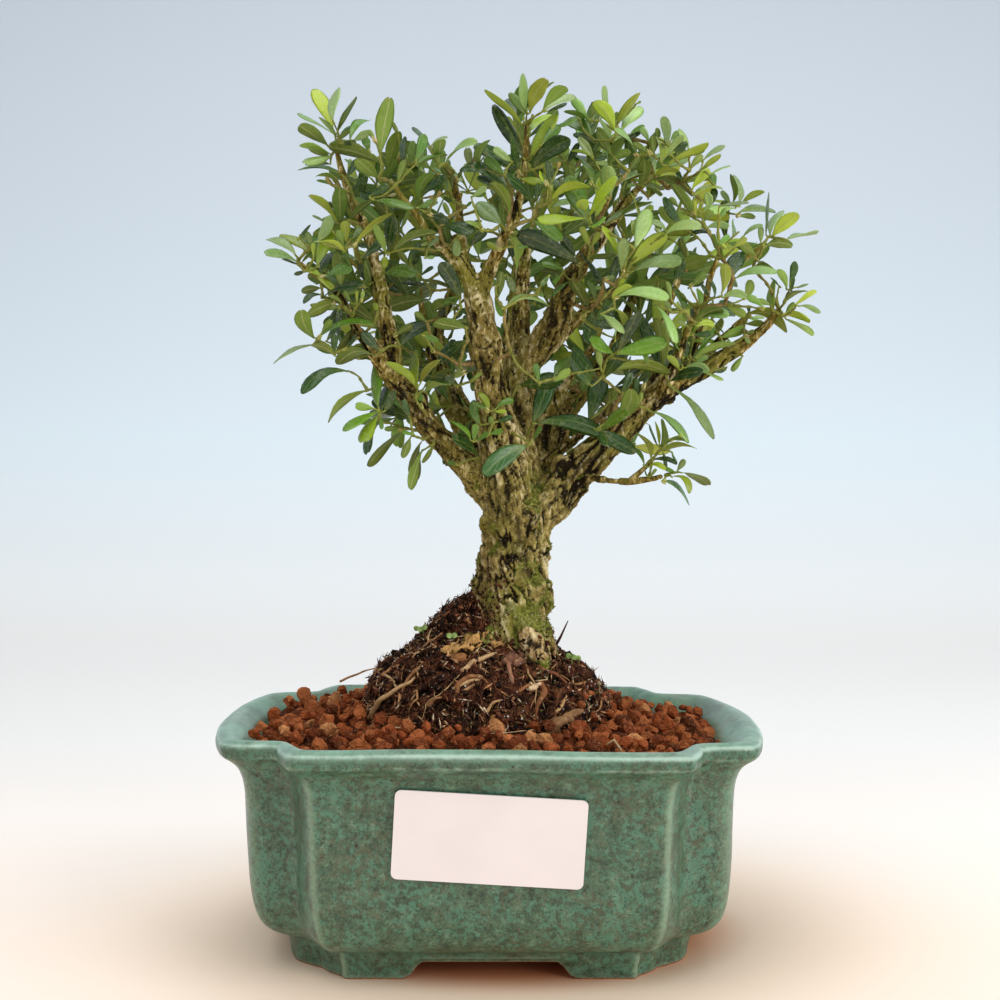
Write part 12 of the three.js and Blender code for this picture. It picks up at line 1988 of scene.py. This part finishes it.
    # seedlings: a thread stem with small round leaves
    for u, w, hgt, nl in ((423, 640, 3.2, 2), (419, 634, 1.6, 2), (453, 641, 1.2, 2), (571, 667, 2.8, 3), (577, 664, 1.8, 2)):
        q = on_ball(u, w, 0.0)
        top = q + [rng.normal() * 0.5, -0.6, hgt]
        V, F = tube(curve_points(np.array([q, (q + top) / 2 + [0.3, -0.2, 0], top]), 0.8), 0.14, 5)
        b.add(V, F, 2, pa={"tintcol": srgb(152, 170, 96)})
        for t in range(nl):
            g = 2 * math.pi * t / nl + rng.random()
            ax = np.array([math.cos(g), math.sin(g) * 0.7 - 0.2, 0.25])
            ax = unit(ax)
            ax = unit(ax * [1, 0.6, 1] + [0, 0, 0.35 * math.sin(1.7 * t + u)])
            sd = unit(np.cross(ax, [0.15, -1, 0.5]))
            up = np.cross(sd, ax)
            Vb, Fb = ico(2)
            P0 = (Vb[:, :1] + 1) * ax * 0.85 + Vb[:, 1:2] * sd * 0.8 + Vb[:, 2:3] * up * 0.12
            b.add(P0 + top, [Fb], 2, pa={"tintcol": srgb(154, 182, 104)})
    print("mound", b.tris())
    return b.obj("peat_mound", [PEAT_MAT.m, ROOT_MAT.m, MOSS_MAT.m], replaces=["root_ball"], sharp=None)


PEAT_MAT = Mat("wet_peat", rough=0.8, spec=0.10)
m = PEAT_MAT
v = m.coord()
tint = m.attr("tintcol", "Color")
n1 = m.noise(v, 300, 3.5, 0.68)
n2 = m.noise(v, 1300, 2.0, 0.6)
n3 = m.noise(m.coord((1, 1, 0.3)), 900, 2.0, 0.55, 0.4)
c = m.mix(m.ramp(n1, [(0.40, 0.92), (0.61, 0.0)]), tint, m.mix(1.0, tint, (0.24, 0.21, 0.20), "MULTIPLY"))
c = m.mix(m.ramp(n3, [(0.54, 0.0), (0.74, 0.7)]), c, m.mix(0.45, c, srgb(176, 116, 70)))
c = m.mix(m.ramp(n2, [(0.60, 0.0), (0.72, 0.7)]), c, m.mix(0.5, c, srgb(196, 160, 128)))
m.color(c)
m.rough(m.math("MULTIPLY_ADD", n1, -0.6, 0.92))
m.bump((n1, 0.9), (n3, 0.35), (n2, 0.25))
ROOT_MAT = Mat("root_skin", rough=0.62, spec=0.18)
m = ROOT_MAT
v = m.coord()
tint = m.attr("tintcol", "Color")
n1 = m.noise(v, 500, 3.0, 0.6)
n2 = m.noise(m.coord((1, 1, 0.35)), 1100, 2.0, 0.6)
c = m.mix(m.ramp(n1, [(0.38, 0.65), (0.58, 0.0)]), tint, m.mix(1.0, tint, (0.42, 0.36, 0.32), "MULTIPLY"))
c = m.mix(m.ramp(n2, [(0.55, 0.0), (0.75, 0.45)]), c, srgb(206, 170, 126))
m.color(c)
m.bump((n1, 0.25), (n2, 0.15))
build_mound()

# ---------------------------------------------------------------- shoots and leaves
ST = np.array([0, .08, .20, .34, .48, .62, .76, .88, .96, 1.0])
WIDTH = np.array([.07, .21, .45, .72, .91, 1.0, .965, .79, .52, .20])
COLS = np.array([-1, -.7, -.36, 0, .36, .7, 1])
NS, NC = len(ST), len(COLS)
_top = np.arange(NS * NC).reshape(NS, NC)
_bot = _top.copy()
_bot[1:-1, 1:-1] = NS * NC + np.arange((NS - 2) * (NC - 2)).reshape(NS - 2, NC - 2)
LEAF_TOP = np.stack([_top[:-1, :-1], _top[:-1, 1:], _top[1:, 1:], _top[1:, :-1]], -1).reshape(-1, 4)
LEAF_UNDER = np.stack([_bot[:-1, :-1], _bot[1:, :-1], _bot[1:, 1:], _bot[:-1, 1:]], -1).reshape(-1, 4)
LEAF_N = NS * NC + (NS - 2) * (NC - 2)


def leaves(rows, rng):
    """rows: base, tip, width vector, mid offset (12 numbers, mm). One closed solid a leaf; top and underside faces apart."""
    n = len(rows)
    B, T, W, M = rows[:, 0:3], rows[:, 3:6], rows[:, 6:9], rows[:, 9:12]
    # slender leaves: a broad one is drawn out a little
    ratio = np.linalg.norm(W, axis=1) / (np.linalg.norm(T - B, axis=1) + 1e-9)
    slim = np.minimum(ratio, 0.335 + (ratio - 0.335) * 0.35)
    W = W * (slim / ratio)[:, None]
    T = B + (T - B) * np.clip(np.sqrt(ratio / slim), 1, 1.14)[:, None]
    t = ST[None, :, None]
    C = (B + T)[:, None] / 2 + 2 * M[:, None]
    P = (1 - t) ** 2 * B[:, None] + 2 * t * (1 - t) * C + t ** 2 * T[:, None]
    D = unit(2 * (1 - t) * (C - B[:, None]) + 2 * t * (T[:, None] - C))
    L = np.linalg.norm(T - B, axis=1)
    hw = np.linalg.norm(W, axis=1) / 2
    hw = np.minimum(hw, L * 0.40)
    S = W[:, None] - D * (W[:, None] * D).sum(-1, keepdims=True)
    S = unit(S)
    N = np.cross(S, D)
    tw = rng.normal(0, 0.16, n)[:, None] * (ST[None] - 0.5) * 2
    S, N = S * np.cos(tw)[..., None] + N * np.sin(tw)[..., None], N * np.cos(tw)[..., None] - S * np.sin(tw)[..., None]
    # outline: some leaves are widest nearer the tip, some tips are notched
    sh = rng.uniform(-0.06, 0.07, n)[:, None]
    prof = np.stack([np.interp(np.clip(ST - s * np.sin(ST * math.pi), 0, 1), ST, WIDTH) for s in sh[:, 0]])
    prof = prof * (1 + 0.05 * rng.normal(size=(n, 1)) * np.sin(ST * 9 + rng.uniform(0, 6, (n, 1))))
    wid = hw[:, None] * prof
    u = COLS[None, None, :]
    fold = rng.normal(0.16, 0.16, n)[:, None, None]
    roll = rng.uniform(0.06, 0.42, n)[:, None, None]
    lop = rng.normal(0, 0.08, n)[:, None, None]
    wave = 0.05 * np.sin(ST[None, :, None] * rng.uniform(5, 11, (n, 1, 1)) + rng.uniform(0, 6, (n, 1, 1))) * np.abs(u) ** 2 * np.sign(u) ** 2
    h = wid[..., None] * (fold * np.abs(u) - roll * np.abs(u) ** 2.4 + lop * u) + hw[:, None, None] * wave
    h = h - 0.07 * np.exp(-(u / 0.16) ** 2) * np.sin(np.clip(ST, 0, 1) * math.pi)[None, :, None]
    notch = np.where(rng.random(n) < 0.45, rng.uniform(0.1, 0.5, n), 0)[:, None]
    pull = notch * (ST[None] > 0.99) + notch * 0.35 * ((ST[None] > 0.95) & (ST[None] < 0.99))
    top = P[:, :, None] + S[:, :, None] * (wid[..., None] * u)[..., None] + N[:, :, None] * h[..., None]
    top = top - D[:, :, None] * (pull[..., None] * np.exp(-(u / 0.6) ** 2))[..., None]
    thick = (0.10 + 0.20 * (1 - u ** 2)) * np.clip(np.sin(np.clip(ST, 0.02, 0.98) * math.pi) * 1.6, 0.25, 1)[None, :, None] + 0.10 * np.exp(-(u / 0.2) ** 2) * (1 - ST)[None, :, None]
    bot = top - N[:, :, None] * thick[..., None]
    V = np.concatenate([top.reshape(n, -1, 3), bot[:, 1:-1, 1:-1].reshape(n, -1, 3)], 1)
    uu = np.broadcast_to(u, (n, NS, NC))
    tt = np.broadcast_to(ST[None, :, None], (n, NS, NC))
    lu = np.concatenate([uu.reshape(n, -1), uu[:, 1:-1, 1:-1].reshape(n, -1)], 1)
    lv = np.concatenate([tt.reshape(n, -1), tt[:, 1:-1, 1:-1].reshape(n, -1)], 1)
    off = (np.arange(n) * LEAF_N)[:, None, None]
    return V, (LEAF_TOP[None] + off).reshape(-1, 4), (LEAF_UNDER[None] + off).reshape(-1, 4), lu, lv


TOPC = {k: srgb(*LEAF_TOPS[k]) for k in LEAF_TOPS}
UNDC = {k: srgb(*LEAF_UNDERS[k]) for k in LEAF_UNDERS}
KEYS = "ygdpobw"


def build_sprays():
    rng = np.random.default_rng(33)
    rows = np.array(LEAVES, float).reshape(-1, 15)
    tw = np.array(TWIGS, float).reshape(-1, 13)
    st = np.array(STEMS, float).reshape(-1, 7)
    nd = np.array(NODES, float).reshape(-1, 4) / [1, 10, 10, 10]
    total = 0
    for si, (piece, nodes) in enumerate(SPRAYS):
        b = Batch()
        r = rows[rows[:, 0] == si]
        if len(r):
            V, Ft, Fu, lu, lv = leaves(r[:, 3:15] / 10, rng)
            n = len(r)
            ci = r[:, 2].astype(int)
            base_t = np.array([TOPC[KEYS[c]] for c in ci])
            base_u = np.array([UNDC[KEYS[c]] for c in ci])
            mid = (r[:, 3:6] + r[:, 6:9]) / 20
            outer = smooth01(np.linalg.norm((mid - [2, 0, 190]) / [74, 44, 52], axis=1), 0.42, 1.0)[:, None]
            # leaves towards the inside of the crown darker: partly the older leaves' own deeper green, partly painted
            # shade of the crown's interior
            jit = np.exp(rng.normal(0.015, 0.23, (n, 1))) * (1 + rng.normal(0, 0.04, (n, 3))) * (0.76 + 0.34 * outer)
            lr = rng.random((n, 1))
            tc = np.repeat(base_t * jit, LEAF_N, 0)
            uc = np.repeat(base_u * jit, LEAF_N, 0)
            rep = lambda a: np.broadcast_to(a, (n, LEAF_N)).reshape(-1)
            at = {"lu": lu.reshape(-1), "lv": lv.reshape(-1), "lr": rep(lr), "tintcol": tc, "undercol": uc, "brown": rep((ci == 5)[:, None] * 1.0)}
            b.add(V.reshape(-1, 3), [Ft], 0, pa=at)
            b.F.append(Fu)
            b.M.append(np.full(len(Fu), 1))
            # stalks from the shoot to the leaf
            for row in r:
                p0 = nd[int(row[1]), 1:]
                p1 = row[3:6] / 10
                d = unit(row[6:9] / 10 - p1)
                if np.linalg.norm(p1 - p0) < 0.15:
                    p0 = p1 - d * 0.8
                mid = (p0 + p1) / 2 - d * 0.15
                Q = np.array([p0, mid, p1 + d * 0.6])
                Vs, Fs = tube(Q, [0.34, 0.27, 0.22], 5, False)
                b.add(Vs, Fs, 2, pa={"tintcol": srgb(*STALK), "girth": 0.3})
        for row in tw[tw[:, 0] == si]:
            P = row[1:10].reshape(3, 3) / 10
            R = row[10:13] / 100
            Q = curve_points(np.column_stack([P, R]), 1.05)
            s = np.concatenate([[0], np.cumsum(np.linalg.norm(np.diff(Q[:, :3], axis=0), axis=1))])
            joint = smooth01(np.abs(np.mod(s + 9 * R[0], 3.1) - 1.55), 1.0, 1.5)
            Q[:, :3] += 0.22 * np.stack([noise(Q[:, :3], 0.55, 191 + k) for k in range(3)], -1) * smooth01(s, 0, 1)[:, None] * smooth01(s[-1] - s, 0, 1)[:, None]
            Vs, Fs = tube(Q[:, :3], np.minimum(Q[:, 3], 0.34 + 0.46 * Q[:, 3]) * (0.66 + 0.22 * noise(Q[:, :3], 0.9, 190) + 0.36 * joint), 5)
            green = smooth01(R.mean(), 0.95, 0.55)
            b.add(Vs, Fs, 2, pa={"tintcol": srgb(*TWIG_OLD) * (1 - green) + srgb(*TWIG_NEW) * green, "girth": R.mean()})
        for row in st[st[:, 0] == si]:
            P = row[1:7].reshape(2, 3) / 10
            Vs, Fs = tube(curve_points(P, 1.4), 0.30, 5)
            b.add(Vs, Fs, 2, pa={"tintcol": srgb(*TWIG_NEW), "girth": 0.36})
        # buds at the shoot tips
        for q in nd[nd[:, 0] == si, 1:]:
            if rng.random() < BUD_SHARE:
                mine = r[np.linalg.norm(nd[r[:, 1].astype(int), 1:] - q, axis=1) < 0.01] if len(r) else r
                ax = unit((mine[:, 6:9] / 10 - mine[:, 3:6] / 10).mean(0) + [0, 0, 1e-3]) if len(mine) else np.array([0, 0, 1.0])
                V0, F0 = ico(1)
                sd = unit(np.cross(ax, [0.3, 0.9, 0.2]))
                up = np.cross(sd, ax)
                for k in range(2):
                    g = 3.1 * k + rng.random()
                    o2 = sd * math.cos(g) * 0.32 + up * math.sin(g) * 0.32
                    s = rng.uniform(0.6, 1.0)
                    Vb = (V0[:, :1] + 0.6) * ax * s * 1.25 + V0[:, 1:2] * sd * s * 0.40 * (1.1 - 0.5 * V0[:, :1]) + V0[:, 2:3] * up * s * 0.40 * (1.1 - 0.5 * V0[:, :1])
                    b.add(Vb + q + o2, [F0], 3, pa={"tintcol": srgb(*[(214, 200, 148), (192, 184, 112), (168, 172, 90)][rng.integers(0, 3)])})
        if not b.n:
            continue
        total += b.tris()
        b.obj(piece, [LEAF_TOP_MAT.m, LEAF_UNDER_MAT.m, TWIG_MAT.m, BUD_MAT.m], replaces=nodes)
    print("sprays", total)


def leaf_mat(name, under):
    m = Mat(name, rough=0.36, spec=0.28 if under else 0.7)
    v = m.coord()
    lu, lv, lr = m.attr("lu"), m.attr("lv"), m.attr("lr")
    tint = m.attr("undercol" if under else "tintcol", "Color")
    au = m.math("ABSOLUTE", lu)
    n0 = m.noise(v, 150, 2.0, 0.55)
    n1 = m.noise(v, 620, 2.5, 0.6)
    n2 = m.noise(v, 2200, 1.0, 0.5)
    # side veins run forward and outward from the rib
    vein = m.math("SINE", m.math("MULTIPLY", m.math("SUBTRACT", m.math("MULTIPLY", lv, 34.0), m.math("MULTIPLY", au, 13.0)), 1.0))
    vein = m.math("MULTIPLY", m.step(vein, 0.55, 1.0), m.math("SUBTRACT", 1.0, m.step(au, 0.75, 1.0)))
    rib = m.math("SUBTRACT", 1.0, m.step(au, 0.03, 0.13))
    c = m.mix(m.ramp(n0, [(0.35, 0.4), (0.60, 0.0)]), tint, m.mix(1.0, tint, (0.68, 0.72, 0.62), "MULTIPLY"))
    c = m.mix(m.ramp(n1, [(0.5, 0.0), (0.75, 0.35)]), c, m.mix(0.5, c, (0.62, 0.66, 0.30)))
    if under:
        c = m.mix(m.math("MULTIPLY", rib, 0.55), c, srgb(196, 200, 140))
        c = m.mix(m.math("MULTIPLY", vein, 0.12), c, srgb(180, 192, 140))
    else:
        c = m.mix(m.math("MULTIPLY", rib, 0.30), c, m.mix(0.5, c, srgb(200, 208, 110)))
        c = m.mix(m.math("MULTIPLY", vein, 0.05), c, m.mix(0.5, c, srgb(196, 206, 120)))
        c = m.mix(m.math("MULTIPLY", m.step(lv, 0.42, 0.0), 0.35), c, m.mix(0.55, c, srgb(190, 200, 96)))
    rim = m.step(m.math("ADD", au, m.math("MULTIPLY", n1, 0.12)), 0.98, 1.08)
    c = m.mix(m.math("MULTIPLY", rim, 0.45), c, srgb(200, 214, 120))
    tip = m.math("MULTIPLY", m.step(m.math("ADD", lv, m.math("MULTIPLY", n1, 0.10)), 1.01, 1.07), m.step(lr, 0.72, 0.85))
    c = m.mix(m.math("MULTIPLY", tip, 0.6), c, srgb(186, 150, 84))
    spot = m.math("MULTIPLY", m.ramp(n1, [(0.66, 0.0), (0.72, 1.0)]), m.step(lr, 0.70, 0.9))
    c = m.mix(m.math("MULTIPLY", spot, 0.5), c, srgb(150, 116, 62))
    m.color(c)
    m.rough(m.math("MULTIPLY_ADD", n1, 0.18, 0.46 if under else 0.17))
    m.bump((m.math("SUBTRACT", m.math("MULTIPLY", vein, 0.4 if under else -0.4), m.math("MULTIPLY", rib, -0.5 if under else 0.5)), 0.09), (n1, 0.04), (n2, 0.01))
    tr = m.node("ShaderNodeBsdfTranslucent")
    m.t.links.new(m.mix(0.6, c, m.mix(1.0, c, (1.0, 1.0, 0.35), "MULTIPLY")), tr.inputs["Color"])
    mx = m.node("ShaderNodeMixShader", _0=LEAF_THROUGH)
    out = [n for n in m.t.nodes if n.type == "OUTPUT_MATERIAL"][0]
    m.t.links.new(m.b.outputs[0], mx.inputs[1])
    m.t.links.new(tr.outputs[0], mx.inputs[2])
    m.t.links.new(mx.outputs[0], out.inputs["Surface"])
    return m


LEAF_TOP_MAT = leaf_mat("leaf_top", False)
LEAF_UNDER_MAT = leaf_mat("leaf_underside", True)
TWIG_MAT = Mat("shoot_skin", rough=0.6, spec=0.15)
m = TWIG_MAT
v = m.coord()
n1 = m.noise(v, 800, 2.5, 0.6)
c = m.mix(m.ramp(n1, [(0.36, 0.7), (0.6, 0.0)]), m.attr("tintcol", "Color"), m.mix(1.0, m.attr("tintcol", "Color"), (0.5, 0.5, 0.42), "MULTIPLY"))
c = m.mix(m.math("MULTIPLY", m.ramp(m.noise(v, 330, 3.0, 0.6), [(0.46, 0.0), (0.60, 0.55)]), m.step(m.attr("girth"), 0.5, 0.9)), c, srgb(172, 146, 100))
c = m.mix(m.ramp(m.noise(v, 2000, 1.0), [(0.6, 0.0), (0.75, 0.4)]), c, srgb(214, 206, 150))
m.color(c)
m.bump((n1, 0.22), (m.noise(v, 330, 3.0, 0.6), 0.25))
BUD_MAT = Mat("bud", rough=0.5, spec=0.4)
m = BUD_MAT
v = m.coord()
m.color(m.mix(m.ramp(m.noise(v, 900, 3.0), [(0.35, 0.5), (0.62, 0.0)]), m.attr("tintcol", "Color"), srgb(166, 160, 84)))
m.bump((m.noise(v, 1500, 2.0), 0.05))
build_sprays()
